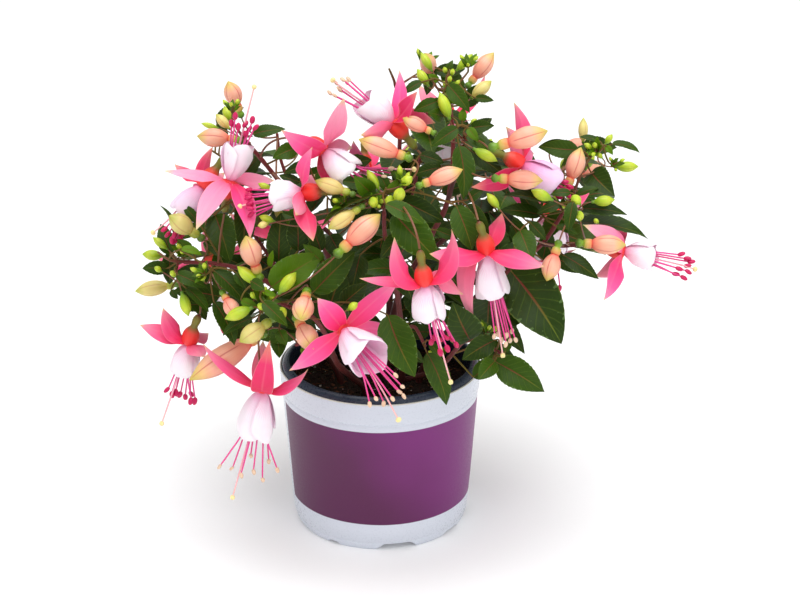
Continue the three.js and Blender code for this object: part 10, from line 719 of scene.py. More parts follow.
STALKS = [
    {"node":"leafy_stem_left","p":[-92.3,-49.1,185.3],"q":[-90.3,-60,204.1],"e":[-86.9,-60.8,220.6]},
    {"node":"leafy_stem_upper_left","p":[-72.2,-36.1,251.1],"q":[-80.6,-22.3,250.3],"e":[-86.3,-24.9,244.2]},
    {"node":"leafy_stem_upper_left","p":[-67.8,-33.2,244.2],"q":[-63,-50,262.5],"e":[-47.7,-63.8,266.8]},
    {"node":"green_shoot_centre","p":[-6,-89.6,239.3],"q":[-14.4,-90.4,245.3],"e":[-21.5,-88.6,244.3]},
    {"node":"leafy_stem_centre","p":[46,-49,251.6],"q":[30.7,-66.6,250.1],"e":[21.6,-64,259.5]},
    {"node":"leafy_stem_centre","p":[48,-49.9,262.3],"q":[54.3,-60.2,261.7],"e":[61.4,-60.4,258.4]},
    {"node":"leafy_stem_right","p":[114.4,-61,202.2],"q":[115.7,-56.4,198.5],"e":[119,-56.7,198.3]},
    {"node":"leafy_stem_centre","p":[43,-44.2,236.6],"q":[50,-80,246],"e":[54.3,-108.2,234.8]},
    {"node":"green_shoot_centre","p":[9,-88.4,240.6],"q":[19.9,-127.2,245],"e":[22.5,-126.7,225.7]},
    {"node":"leafy_stem_front_left","p":[-44.7,-84.3,170.8],"q":[-33.6,-91.2,184.4],"e":[-28.4,-100.3,180.6]},
    {"node":"green_shoot_front_left","p":[-66.3,-99.5,175.3],"q":[-67.2,-103.1,158.9],"e":[-66.7,-99.5,146.4]},
    {"node":"green_shoot_left","p":[-113.6,-52.2,173.7],"q":[-99,-67.5,170.9],"e":[-102.3,-66.6,161.7]},
    {"node":"leafy_stem_left","p":[-102.7,43,204.7],"q":[-105.2,32.5,193.8],"e":[-106.1,29.1,169.6]},
    {"node":"leafy_stem_back","p":[11.9,73.8,226.4],"q":[-4.5,85.3,225.6],"e":[-10,89.1,214.5]},
    {"node":"green_shoot_back_right","p":[94.9,76.5,193.3],"q":[95.5,88.4,174.1],"e":[96,91.1,152.7]},
    {"node":"leafy_stem_right","p":[129,19.1,228.1],"q":[109.1,12.7,226.3],"e":[102.5,10.6,213.6]},
    {"node":"green_shoot_back_top","p":[19.2,71.1,259.1],"q":[36,65.1,261.6],"e":[41.6,63,255.7]},
    {"node":"leafy_stem_upper_left","p":[-61.8,44.3,230.1],"q":[-61.8,19.5,222.1],"e":[-61.8,11.2,198]},
]
# each sepal's k picks its pink: 1 and 3 a paler copy (painted light), 2 a crimson copy (painted shade)
FLOWERS = [
    {"name":"flower_01","back":0,"h":[-82.8,-61.8,240.8],"a":[0.261,0.18,0.948],"o":[-86.8,-60.8,221.2],"l":21,"m":8.4,"y":[-69.2,-48.8,290.7],"an":0,"s":[{"t":[-119.9,-59.7,245.7],"w":8,"k":1},{"t":[-100.4,-89.7,222],"w":14,"k":1},{"t":[-70.2,-90.3,217.4],"w":13,"k":0},{"t":[-59.6,-35.6,232.4],"w":12,"k":1}],"f":[[-79.4,-59.1,276.6],[-81.7,-55.9,271.5],[-78,-58.6,270.1],[-74.9,-54.2,270.3],[-70.1,-59,274.3],[-72.6,-56.2,268.1],[-68.8,-62.4,271.4],[-73.6,-59.2,266.2]],"skirt":1},
    {"name":"flower_02","back":0,"h":[-101.5,-32.7,226.2],"a":[-0.601,-0.3,-0.741],"o":[-86.7,-25.1,243.8],"l":20,"m":8.2,"y":[-129,-42.8,202.5],"an":0,"s":[{"t":[-97.3,-4.8,240.7],"w":9.5,"k":2},{"t":[-117.8,-24.9,236.8],"w":9,"k":2},{"t":[-106.6,-13.1,212.3],"w":11,"k":0},{"t":[-90,-9.3,226.9],"w":11,"k":1}],"f":[[-121.8,-44.7,205.7],[-120.6,-41.1,201.2],[-118.6,-44.1,199.3],[-116.7,-40.8,196.8],[-113.3,-45.7,200.6],[-112,-40,201.4],[-116.5,-46.7,203.4],[-114.7,-40.9,204.2]],"pink":0.6},
    {"name":"flower_03","back":0,"h":[-29.8,-75.4,263],"a":[0.75,-0.16,-0.642],"o":[-47.2,-64.2,266.6],"l":20.5,"m":8.8,"y":[19.1,-76.7,252.8],"an":1,"s":[{"t":[-18.8,-85.1,297],"w":13,"k":1},{"t":[-51.8,-96.5,282.2],"w":13,"k":0},{"t":[-18.8,-64.2,231.3],"w":11,"k":2},{"t":[-14.4,-50.8,255.6],"w":11,"k":1}],"f":[[6.2,-77.5,253.7],[5.5,-73.3,251.6],[2.4,-82.8,251.1],[5.4,-77.5,246],[-1.2,-83.8,245.1],[2.7,-76.9,239.2],[-4.3,-83,242.8],[7.9,-74,249.5]]},
    {"name":"flower_04","back":0,"h":[-41.4,-83.7,241.5],"a":[-0.952,0.212,-0.219],"o":[-22.1,-88.5,244.2],"l":18,"m":7.8,"y":[-76.1,-79.5,232.2],"an":0,"s":[{"t":[-34.8,-96.1,272.5],"w":10,"k":0},{"t":[-34.8,-118,226.5],"w":13,"k":2},{"t":[-43.8,-113.6,239.8],"w":10,"k":1},{"t":[-37,-54.1,241.5],"w":11,"k":1}],"f":[[-69.9,-80.5,234.7],[-70.6,-73.8,236.9],[-69.4,-85.3,232.8],[-70,-77.4,232.5],[-69.3,-83.2,229.6],[-68.9,-76.3,224.8],[-70.6,-79.3,237.4],[-70.8,-71.7,239]]},
    {"name":"flower_05","back":0,"h":[7.6,-60,274],"a":[-0.752,0.123,0.648],"o":[21.2,-63.9,259.9],"l":20.5,"m":8.8,"y":[-24.6,-54.5,296.7],"an":1,"s":[{"t":[11.4,-28.6,294.8],"w":10,"k":0},{"t":[21.4,-73.9,296.8],"w":11,"k":2},{"t":[-9.6,-82.1,275],"w":11.5,"k":1},{"t":[32,-39,266.9],"w":12,"k":2}],"f":[[-26.2,-59.2,290.6],[-22.9,-51.8,294],[-18.8,-59.7,298.5],[-20.8,-55,291.8],[-15.7,-57.7,297.9],[-20.1,-51.9,289.9],[-23.2,-60.3,289.6],[-16.9,-52.2,294.3]]},
    {"name":"flower_06","back":0,"h":[80.1,-61,249.7],"a":[0.857,-0.098,-0.506],"o":[61.9,-60.4,258.1],"l":22.5,"m":9.2,"y":[105.2,-65.6,234.5],"an":0,"s":[{"t":[75.4,-50.9,283.2],"w":10.5,"k":0},{"t":[72.3,-32.7,262.6],"w":12,"k":1},{"t":[51,-85.3,245.6],"w":12,"k":2},{"t":[87.9,-34.2,247.4],"w":12,"k":0}],"f":[[102.8,-64.1,240.7],[104,-62,236.1],[102.2,-68,236.8],[99.8,-64.6,232.7],[105.1,-67.6,235.2],[101.3,-60.5,236.8],[98.3,-66.3,235.5],[105.9,-61.4,237.5]],"pink":1},
    {"name":"flower_07","back":0,"h":[139.5,-58.3,197],"a":[0.962,-0.247,-0.117],"o":[119.6,-56.7,198.3],"l":19,"m":7.8,"y":[178.4,-66.3,189.3],"an":0,"s":[{"t":[133.5,-34.6,208.5],"w":8,"k":0},{"t":[114.8,-69.8,217.3],"w":12,"k":1},{"t":[126.7,-89.4,179.3],"w":12.5,"k":0},{"t":[124.4,-47.1,176.2],"w":11,"k":3}],"f":[[169.8,-65.4,197.6],[173.8,-60.8,193.4],[168.2,-71.1,191.7],[173.8,-63.9,190.1],[173.8,-70,189.6],[167.5,-63.1,184.9],[171.3,-69.9,185.9],[176.1,-61.5,191.6]]},
    {"name":"flower_08","back":0,"h":[59.5,-105.1,215.1],"a":[0.151,0.172,-0.973],"o":[54.5,-108.1,234.2],"l":26.5,"m":9.6,"y":[68.8,-111.5,156.7],"an":1,"s":[{"t":[68.8,-74.3,226],"w":12,"k":2},{"t":[27.8,-125,221.8],"w":13.5,"k":0},{"t":[89.9,-126.2,214],"w":13,"k":0},{"t":[53.2,-97.3,168.8],"w":12,"k":1}],"f":[[64.4,-109,167.5],[68.3,-104.9,163.4],[70.5,-113.7,164.7],[73.2,-106.6,163.5],[75.6,-111.4,166.1],[66.6,-102.1,165.8],[71,-108.8,168],[74.3,-103,167.9]],"flare":-0.05,"skirt":1},
    {"name":"flower_09","back":0,"h":[25.3,-126.2,205.3],"a":[0.135,0.201,-0.97],"o":[22.6,-126.7,225.1],"l":22.5,"m":9,"y":[39.5,-132.7,150.3],"an":0,"s":[{"t":[9.3,-135.9,236],"w":13,"k":0},{"t":[40.6,-133.7,239.2],"w":12.5,"k":0},{"t":[-9.9,-125.3,207.5],"w":7.5,"k":0},{"t":[46.3,-105,188.9],"w":12,"k":1}],"f":[[29.3,-125.8,171.4],[33,-120.4,170.2],[33.6,-130.8,167.9],[42.5,-122.9,168.4],[37.4,-128.6,169],[31.2,-117.2,170.5],[36.3,-125,173.4],[39.5,-120.2,170.7]],"flare":-0.04},
    {"name":"flower_10","back":0,"h":[-18.7,-117.1,173.5],"a":[0.551,-0.782,-0.291],"o":[-28.1,-100.8,180.4],"l":28,"m":11.8,"y":[10.9,-152.5,137],"an":1,"s":[{"t":[-32.4,-133.6,199.9],"w":13.5,"k":0},{"t":[10.9,-106.5,198.5],"w":14,"k":0},{"t":[-48.3,-126,152.6],"w":14,"k":0},{"t":[7.6,-97.2,165.4],"w":12,"k":0}],"f":[[-4.5,-150.8,145.8],[13.6,-144.2,147.4],[12.9,-150.2,155.5],[9.1,-141.3,158.5],[-1.2,-151.2,149],[3.2,-144.4,143.1],[7.6,-149.8,148.4],[10.9,-143.5,149.3]],"pink":0.2,"skirt":1},
    {"name":"flower_11","back":0,"h":[-66,-93.8,126.5],"a":[-0.164,0.084,-0.983],"o":[-66.7,-99.3,145.8],"l":28,"m":10.6,"y":[-83.6,-104.5,64.4],"an":1,"s":[{"t":[-60.4,-104.1,161.6],"w":13,"k":2},{"t":[-66.8,-61.9,143.1],"w":12,"k":1},{"t":[-100,-83.8,149.3],"w":8,"k":0},{"t":[-38.6,-107.7,145.3],"w":8,"k":0}],"f":[[-90.6,-99.3,81.5],[-73.6,-92.1,84.6],[-78.5,-104,78.6],[-66.8,-98.9,72.8],[-58.1,-101.4,80.6],[-84.1,-93.5,77.2],[-71.7,-100.4,78.9],[-63.2,-93.2,82]],"skirt":1},
    {"name":"flower_12","back":0,"h":[-109.2,-64.7,142.3],"a":[-0.203,0.099,-0.974],"o":[-102.5,-66.5,161.1],"l":20.5,"m":8,"y":[-125.9,-71.6,95.3],"an":0,"s":[{"t":[-137.4,-60.5,152.1],"w":12,"k":0},{"t":[-123,-66.9,165.4],"w":12,"k":0},{"t":[-99.4,-79.6,139.9],"w":11.5,"k":3},{"t":[-100,-42.9,138.4],"w":11,"k":1}],"f":[[-120,-67.3,112.2],[-115.5,-61.8,109.6],[-108.6,-71,110],[-106.9,-64.6,107],[-122.1,-65.9,114.3],[-112.9,-61.2,107.6],[-117.9,-65.1,112.7],[-109.9,-60.6,109.2]]},
    {"name":"flower_13","back":1,"h":[-101.9,33.6,150],"a":[0.167,0.199,-0.965],"o":[-106,29.2,169],"l":26.7,"m":9.8,"y":[-90.3,48.2,92.1],"an":0,"s":[{"t":[-137.3,27.4,158.9],"w":12.356,"k":0},{"t":[-108.6,66.3,168.5],"w":12.146,"k":1},{"t":[-77.5,31.6,178.2],"w":12.128,"k":0},{"t":[-100.9,-1.9,162.1],"w":12.542,"k":1}],"f":[[-91.9,45.5,111.1],[-87.6,42.5,106.3],[-89.5,38.9,102.7],[-94.3,38.6,105],[-97.9,38.2,108.3],[-97.8,42,105.1],[-99.1,49.7,106.7],[-95.4,49.1,104.6]]},
    {"name":"flower_14","back":1,"h":[-10.6,85.1,194.3],"a":[-0.007,-0.155,-0.988],"o":[-10,88.9,213.9],"l":25.2,"m":9.7,"y":[-9,73.7,136.2],"an":0,"s":[{"t":[-3.9,121.6,204.1],"w":12.454,"k":0},{"t":[21.6,82.4,217.1],"w":12.568,"k":1},{"t":[-16.4,57.6,222.6],"w":12.896,"k":0},{"t":[-41.2,93.6,210.6],"w":12.007,"k":1}],"f":[[-8.1,73.7,151.6],[-13,73.7,153.7],[-13.8,77,150.7],[-16.5,80.4,150.4],[-13.9,81.3,147.1],[-9.7,82.7,154.1],[-6.8,79.9,152.3],[-2.7,76.9,150.2]]},
    {"name":"flower_15","back":1,"h":[96.7,94.7,132.4],"a":[0.045,0.215,-0.975],"o":[96,91.2,152.1],"l":24.9,"m":9.8,"y":[102.4,107.4,75.1],"an":0,"s":[{"t":[78.1,61.6,144.5],"w":12.795,"k":0},{"t":[68.8,106.7,152.6],"w":12.42,"k":1},{"t":[109.8,112.8,160.8],"w":12.06,"k":0},{"t":[123.4,75.1,145.3],"w":12.608,"k":1}],"f":[[103.6,102.6,88.5],[100.5,101.3,90.2],[96.2,97.2,91.9],[92.3,102,87.8],[92.8,106.9,90.1],[96.9,107.7,87.9],[98.6,107.7,93.6],[104.4,106.3,90.7]]},
    {"name":"flower_16","back":1,"h":[101.3,4.3,194],"a":[-0.043,-0.338,-0.941],"o":[102.4,10.4,213],"l":24.4,"m":10.7,"y":[98.2,-18.1,140],"an":0,"s":[{"t":[74.2,-1.4,217],"w":12.94,"k":0},{"t":[88.4,39.7,205.5],"w":12.906,"k":1},{"t":[128.6,23.5,210.4],"w":12.748,"k":0},{"t":[116.7,-22.5,213.2],"w":12.481,"k":1}],"f":[[96.4,-17.7,154.1],[95.7,-11.4,152.5],[96.1,-6.8,155.7],[98.5,-4.5,150.1],[102.5,-3.7,152.8],[103,-9.8,151],[106.8,-11.4,155.5],[103,-13.9,157.8]]},
    {"name":"flower_17","back":1,"h":[40.5,61.1,235.2],"a":[0.1,0.068,-0.993],"o":[41.5,63,255.1],"l":26.4,"m":10.3,"y":[48.8,63.1,175.3],"an":1,"s":[{"t":[64.6,71.6,260.6],"w":12.762,"k":0},{"t":[54.1,28,246.4],"w":12.407,"k":1},{"t":[8.8,46.2,242.9],"w":12.438,"k":0},{"t":[23.6,94.6,247.1],"w":12.906,"k":1}],"f":[[47.8,58.3,188.9],[44.6,56.1,187.8],[42.3,61.4,194.1],[36.6,65.5,194.3],[41.7,68.2,192.1],[46,69,192.6],[48.4,66.3,186.8],[50.9,63.2,194.3]]},
    {"name":"flower_18","back":1,"h":[-56.7,13.8,178.2],"a":[0.119,0.304,-0.946],"o":[-61.6,11.3,197.4],"l":24.8,"m":9.7,"y":[-47.4,33.3,123.4],"an":0,"s":[{"t":[-90.4,14.7,191.8],"w":12.927,"k":0},{"t":[-53.6,40.3,207.8],"w":12.745,"k":1},{"t":[-25.8,3.1,194.6],"w":12.995,"k":0},{"t":[-63.8,-20.7,188.5],"w":12.016,"k":1}],"f":[[-48.5,27.9,141.6],[-47.9,27.4,134.2],[-51,20.8,139.8],[-52.7,22.2,135],[-56.1,24.9,139.3],[-58.5,30.4,137.8],[-53.8,30.3,141.6],[-49.4,29.9,143.1]]},
]

# ---------------------------------------------------------------- vectors and curves
def A(x):
    return np.array(x, dtype=float)


def unit(v):
    n = np.linalg.norm(v)
    return v / n if n > 1e-12 else v


def units(a):
    return a / np.maximum(np.linalg.norm(a, axis=-1, keepdims=True), 1e-12)


def bez(p, q, r, k):
    k = np.asarray(k, dtype=float)[..., None]
    return p * (1 - k) ** 2 + q * 2 * k * (1 - k) + r * k ** 2


def catmull(pts, per):
    pts = np.asarray(pts, dtype=float)
    n = len(pts)
    if n == 2:
        k = np.linspace(0, 1, per + 1)[:, None]
        return pts[0] * (1 - k) + pts[1] * k
    out = []
    for i in range(n - 1):
        p0, p1, p2, p3 = pts[max(i - 1, 0)], pts[i], pts[i + 1], pts[min(i + 2, n - 1)]
        for j in range(per):
            t = j / per
            out.append(0.5 * (2 * p1 + (p2 - p0) * t + (2 * p0 - 5 * p1 + 4 * p2 - p3) * t * t + (3 * p1 - p0 - 3 * p2 + p3) * t ** 3))
    out.append(pts[-1])
    return np.array(out)


def along(values, keys, s):
    return np.interp(s, keys, values)


def frame_of(a):
    x = unit(np.cross(a, [0, 0, 1.0])) if abs(a[2]) < 0.9 else unit(np.cross(a, [0, 1.0, 0]))
    return x, np.cross(a, x)


def path_frames(P):
    T = np.gradient(P, axis=0)
    T = units(T)
    u = np.cross(T[0], [0, 0, 1.0]) if abs(T[0][2]) < 0.9 else np.cross(T[0], [0, 1.0, 0])
    U = []
    for t in T:
        u = unit(u - t * np.dot(u, t))
        U.append(u)
    U = np.array(U)
    return T, U, np.cross(T, U)


# ---------------------------------------------------------------- mesh gathering
class Geo:
    def __init__(self):
        self.v, self.f, self.uv, self.at, self.n = [], [], [], [], 0

    def grid(self, P, U, V, info, wrap=False):
        """P: rows x columns x 3 points in mm; U, V: corner coordinates; info: 4 numbers, or rows x cols x 4."""
        R, C = P.shape[:2]
        idx = self.n + np.arange(R * C).reshape(R, C)
        self.v.append(P.reshape(-1, 3))
        self.n += R * C
        if wrap:
            nx = np.roll(idx, -1, axis=1)
            a, b, c, d = idx[:-1], nx[:-1], nx[1:], idx[1:]
            ua, ub = U[:-1, :-1], U[:-1, 1:]
            uc, ud = U[1:, 1:], U[1:, :-1]
            va, vb = V[:-1, :-1], V[:-1, 1:]
            vc, vd = V[1:, 1:], V[1:, :-1]
            m = C
        else:
            a, b, c, d = idx[:-1, :-1], idx[:-1, 1:], idx[1:, 1:], idx[1:, :-1]
            ua, ub, uc, ud = U[:-1, :-1], U[:-1, 1:], U[1:, 1:], U[1:, :-1]
            va, vb, vc, vd = V[:-1, :-1], V[:-1, 1:], V[1:, 1:], V[1:, :-1]
            m = C - 1
        self.f.append(np.stack([a, b, c, d], -1).reshape(-1, 4))
        uv = np.stack([np.stack([ua, va], -1), np.stack([ub, vb], -1), np.stack([uc, vc], -1), np.stack([ud, vd], -1)], 2)
        self.uv.append(uv.reshape(-1, 2))
        info = np.asarray(info, dtype=float)
        if info.ndim == 1:
            info = np.broadcast_to(info, (R - 1, m, 4))
        self.at.append(np.repeat(info.reshape(-1, 4), 4, axis=0))

    def tube(self, P, rad, n, info, v0=0.0, v1=1.0, squash=1.0):
        P = np.asarray(P, dtype=float)
        rad = np.broadcast_to(np.asarray(rad, dtype=float), (len(P),))
        T, U, W = path_frames(P)
        a = np.linspace(0, 2 * np.pi, n, endpoint=False)
        ring = U[:, None, :] * np.cos(a)[None, :, None] + W[:, None, :] * (np.sin(a) * squash)[None, :, None]
        Q = P[:, None, :] + ring * rad[:, None, None]
        uu = np.linspace(v0, v1, len(P))[:, None] * np.ones((1, n + 1))
        vv = np.ones((len(P), 1)) * np.linspace(0, 1, n + 1)[None, :]
        self.grid(Q, uu, vv, info, wrap=True)

    def build(self, name, material, cut=50.0):
        if not self.v:
            return None
        v = np.concatenate(self.v) * MM
        f = np.concatenate(self.f)
        uv = np.concatenate(self.uv)
        at = np.concatenate(self.at)
        me = bpy.data.meshes.new(name)
        me.vertices.add(len(v))
        me.vertices.foreach_set("co", v.astype(np.float32).ravel())
        me.loops.add(len(f) * 4)
        me.loops.foreach_set("vertex_index", f.astype(np.int32).ravel())
        me.polygons.add(len(f))
        me.polygons.foreach_set("loop_start", (np.arange(len(f)) * 4).astype(np.int32))
        lay = me.uv_layers.new(name="UVMap")
        lay.data.foreach_set("uv", uv.astype(np.float32).ravel())
        ca = me.attributes.new("info", "FLOAT_COLOR", "CORNER")
        ca.data.foreach_set("color", at.astype(np.float32).ravel())
        me.update(calc_edges=True)
        me.validate(clean_customdata=False)
        me.polygons.foreach_set("use_smooth", np.ones(len(me.polygons), dtype=bool))
        if cut:
            me.set_sharp_from_angle(angle=math.radians(cut))
        me.materials.append(material)
        o = bpy.data.objects.new(name, me)
        bpy.context.scene.collection.objects.link(o)
        return o


def closed_blade(g, centre, side, up, half, lift, thick, info_top, info_bottom, nv, info_at=None):
    """A thin closed blade: a loop of points round each station, first over the top, then back underneath."""
    R = len(centre)
    v_top = np.linspace(-1, 1, nv + 1)
    v_all = np.concatenate([v_top, v_top[::-1][1:-1]])
    top = np.concatenate([np.ones(nv + 1), -np.ones(nv - 1)])
    edge = np.sqrt(np.clip(1 - v_all ** 2, 0, 1))
    P = (centre[:, None, :] + side[:, None, :] * (half[:, None] * v_all[None, :])[..., None]
         + up[:, None, :] * (lift(v_all)[...] + thick[:, None] * 0.5 * (top * edge)[None, :])[..., None])
    C = len(v_all)
    s = np.linspace(0, 1, R)
    U = s[:, None] * np.ones((1, C + 1))
    vv = np.concatenate([v_all, v_all[:1]])
    V = np.ones((R, 1)) * (vv[None, :] * 0.5 + 0.5)
    info = np.empty((R - 1, C, 4))
    info[:, :nv] = info_top
    info[:, nv:] = info_bottom
    if info_at is not None:
        info[:, :, 3] = info_at(0.5 * (s[1:] + s[:-1]))[:, None]
    g.grid(P, U, V, info, wrap=True)


# ---------------------------------------------------------------- materials
def lin(r, g, b):
    return tuple(((c / 255.0) / 12.92 if c <= 10 else ((c / 255.0 + 0.055) / 1.055) ** 2.4) for c in (r, g, b)) + (1.0,)


class Mat:
    """A small helper that writes shader nodes."""

    def __init__(self, name, rough=0.5, spec=0.5, sub=0.0, radius=(0.6, 0.25, 0.15), scale=0.002, coat=0.0, coat_rough=0.1, sheen=0.0):
        self.m = bpy.data.materials.new(name)
        self.m.use_nodes = True
        self.t = self.m.node_tree
        self.t.nodes.clear()
        self.out = self.t.nodes.new("ShaderNodeOutputMaterial")
        self.b = self.t.nodes.new("ShaderNodeBsdfPrincipled")
        self.t.links.new(self.b.outputs[0], self.out.inputs[0])
        self.b.inputs["Roughness"].default_value = rough
        self.b.inputs["Specular IOR Level"].default_value = spec
        if sub:
            self.b.inputs["Subsurface Weight"].default_value = sub
            self.b.inputs["Subsurface Radius"].default_value = radius
            self.b.inputs["Subsurface Scale"].default_value = scale
        if coat:
            self.b.inputs["Coat Weight"].default_value = coat
            self.b.inputs["Coat Roughness"].default_value = coat_rough
        if sheen:
            self.b.inputs["Sheen Weight"].default_value = sheen

    def link(self, a, b):
        self.t.links.new(a, b)

    def val(self, sock, x):
        if isinstance(x, (int, float)):
            sock.default_value = x
        elif isinstance(x, (tuple, list)):
            sock.default_value = x
        else:
            self.link(x, sock)

    def math(self, op, a, b=0.0, c=0.0, clamp=False):
        n = self.t.nodes.new("ShaderNodeMath")
        n.operation = op
        n.use_clamp = clamp
        self.val(n.inputs[0], a)
        self.val(n.inputs[1], b)
        if op in ("MULTIPLY_ADD", "SMOOTH_MIN", "COMPARE"):
            self.val(n.inputs[2], c)
        return n.outputs[0]

    def mix(self, f, a, b, mode="MIX"):
        n = self.t.nodes.new("ShaderNodeMix")
        n.data_type = "RGBA"
        n.blend_type = mode
        n.clamp_factor = True
        self.val(n.inputs[0], f)
        self.val(n.inputs[6], a)
        self.val(n.inputs[7], b)
        return n.outputs[2]

    def ramp(self, f, stops, kind="LINEAR"):
        n = self.t.nodes.new("ShaderNodeValToRGB")
        n.color_ramp.interpolation = kind
        e = n.color_ramp.elements
        e[0].position, e[0].color = stops[0][0], stops[0][1]
        e[1].position, e[1].color = stops[-1][0], stops[-1][1]
        for p, c in stops[1:-1]:
            q = e.new(p)
            q.color = c
        self.val(n.inputs[0], f)
        return n.outputs[0]

    def step(self, x, lo, hi):
        n = self.t.nodes.new("ShaderNodeMapRange")
        n.interpolation_type = "SMOOTHSTEP"
        self.val(n.inputs[0], x)
        self.val(n.inputs[1], lo)
        self.val(n.inputs[2], hi)
        self.val(n.inputs[3], 0.0)
        self.val(n.inputs[4], 1.0)
        return n.outputs[0]

    def line(self, x, lo, hi, a, b):
        n = self.t.nodes.new("ShaderNodeMapRange")
        self.val(n.inputs[0], x)
        self.val(n.inputs[1], lo)
        self.val(n.inputs[2], hi)
        self.val(n.inputs[3], a)
        self.val(n.inputs[4], b)
        return n.outputs[0]

    def noise(self, scale, detail=3.0, rough=0.55, vec=None, out=0, dist=0.0):
        n = self.t.nodes.new("ShaderNodeTexNoise")
        n.inputs["Scale"].default_value = scale
        n.inputs["Detail"].default_value = detail
        n.inputs["Roughness"].default_value = rough
        n.inputs["Distortion"].default_value = dist
        if vec is None:
            vec = self.coord()
        self.link(vec, n.inputs["Vector"])
        return n.outputs[out]

    def voronoi(self, scale, vec=None, feature="F1", out="Distance"):
        n = self.t.nodes.new("ShaderNodeTexVoronoi")
        n.feature = feature
        n.inputs["Scale"].default_value = scale
        self.link(vec if vec is not None else self.coord(), n.inputs["Vector"])
        return n.outputs[out]

    def coord(self):
        if not hasattr(self, "_c"):
            self._c = self.t.nodes.new("ShaderNodeTexCoord").outputs["Object"]
        return self._c

    def xyz(self, vec):
        n = self.t.nodes.new("ShaderNodeSeparateXYZ")
        self.link(vec, n.inputs[0])
        return n.outputs[0], n.outputs[1], n.outputs[2]

    def uv(self):
        if not hasattr(self, "_uv"):
            n = self.t.nodes.new("ShaderNodeUVMap")
            n.uv_map = "UVMap"
            self._uv = self.xyz(n.outputs[0])
            self._uvv = n.outputs[0]
        return self._uv[0], self._uv[1]

    def uvvec(self, sx, sy):
        self.uv()
        n = self.t.nodes.new("ShaderNodeMapping")
        n.inputs["Scale"].default_value = (sx, sy, 1.0)
        self.link(self._uvv, n.inputs["Vector"])
        return n.outputs[0]

    def info(self):
        if not hasattr(self, "_i"):
            n = self.t.nodes.new("ShaderNodeAttribute")
            n.attribute_type = "GEOMETRY"
            n.attribute_name = "info"
            s = self.t.nodes.new("ShaderNodeSeparateColor")
            self.link(n.outputs["Color"], s.inputs[0])
            self._i = (s.outputs[0], s.outputs[1], s.outputs[2], n.outputs["Alpha"])
        return self._i

    def color(self, c):
        self.val(self.b.inputs["Base Color"], c)

    def rough(self, r):
        self.val(self.b.inputs["Roughness"], r)

    def bump(self, h, strength=0.3, dist=0.0004):
        n = self.t.nodes.new("ShaderNodeBump")
        n.inputs["Strength"].default_value = strength
        n.inputs["Distance"].default_value = dist
        self.link(h, n.inputs["Height"])
        self.link(n.outputs[0], self.b.inputs["Normal"])


def leaf_material():
    m = Mat("leaf", rough=0.46, spec=0.16, sub=0.0)
    u, v = m.uv()
    tone, cls, side, misc = m.info()
    across = m.math("ABSOLUTE", m.math("SUBTRACT", m.math("MULTIPLY", v, 2.0), 1.0))
    # slanting side veins
    k = m.math("SUBTRACT", m.math("MULTIPLY", u, 8.5), m.math("MULTIPLY", m.math("POWER", across, 0.8), 2.1))
    fr = m.math("ABSOLUTE", m.math("SUBTRACT", m.math("FRACT", k), 0.5))
    vein = m.math("SUBTRACT", 1.0, m.step(fr, 0.0, 0.11))
    vein = m.math("MULTIPLY", vein, m.step(across, 1.0, 0.75))
    mid = m.math("SUBTRACT", 1.0, m.step(across, 0.015, m.math("ADD", 0.05, m.math("MULTIPLY", u, 0.03))))
    n1 = m.noise(90.0, 3.0)
    n2 = m.noise(420.0, 2.0)
    # dark, mid and bright greens picked per leaf by cls: partly real leaf age, partly painted shade and painted light
    dark = m.mix(n1, lin(24, 44, 4), lin(44, 68, 6))
    mids = m.mix(n1, lin(34, 60, 0), lin(58, 90, 2))
    bright = m.mix(n1, lin(72, 116, 0), lin(108, 148, 4))
    top = m.mix(m.step(cls, 0.0, 0.5), dark, mids)
    top = m.mix(m.step(cls, 0.5, 1.0), top, bright)
    top = m.mix(m.math("MULTIPLY", tone, 0.45), top, lin(20, 38, 8))
    top = m.mix(m.math("MULTIPLY", vein, 0.13), top, lin(112, 138, 34))
    top = m.mix(m.math("MULTIPLY", n2, 0.08), top, lin(96, 122, 26))
    midc = m.mix(m.step(u, 0.25, 0.95), lin(122, 38, 36), lin(100, 118, 30))
    top = m.mix(m.math("MULTIPLY", mid, 0.7), top, midc)
    rim = m.step(across, 0.93, 1.0)
    top = m.mix(m.math("MULTIPLY", rim, 0.35), top, lin(124, 144, 52))
    under = m.mix(n1, lin(82, 112, 58), lin(108, 136, 76))
    under = m.mix(m.math("MULTIPLY", vein, 0.3), under, lin(146, 164, 112))
    under = m.mix(m.math("MULTIPLY", mid, 0.8), under, lin(164, 118, 96))
    col = m.mix(m.step(side, 0.2, 0.4), top, under)
    stalk = m.mix(n1, lin(112, 50, 40), lin(96, 104, 34))
    col = m.mix(m.step(side, 0.7, 0.9), col, stalk)
    m.color(col)
    r = m.math("ADD", 0.30, m.math("MULTIPLY", n1, 0.18))
    r = m.math("ADD", r, m.math("MULTIPLY", m.step(side, 0.2, 0.4), 0.22))
    m.rough(r)
    h = m.math("SUBTRACT", m.math("MULTIPLY", n2, 0.25), m.math("ADD", m.math("MULTIPLY", vein, 0.55), m.math("MULTIPLY", mid, 0.9)))
    m.bump(h, 0.4, 0.0003)
    return m.m


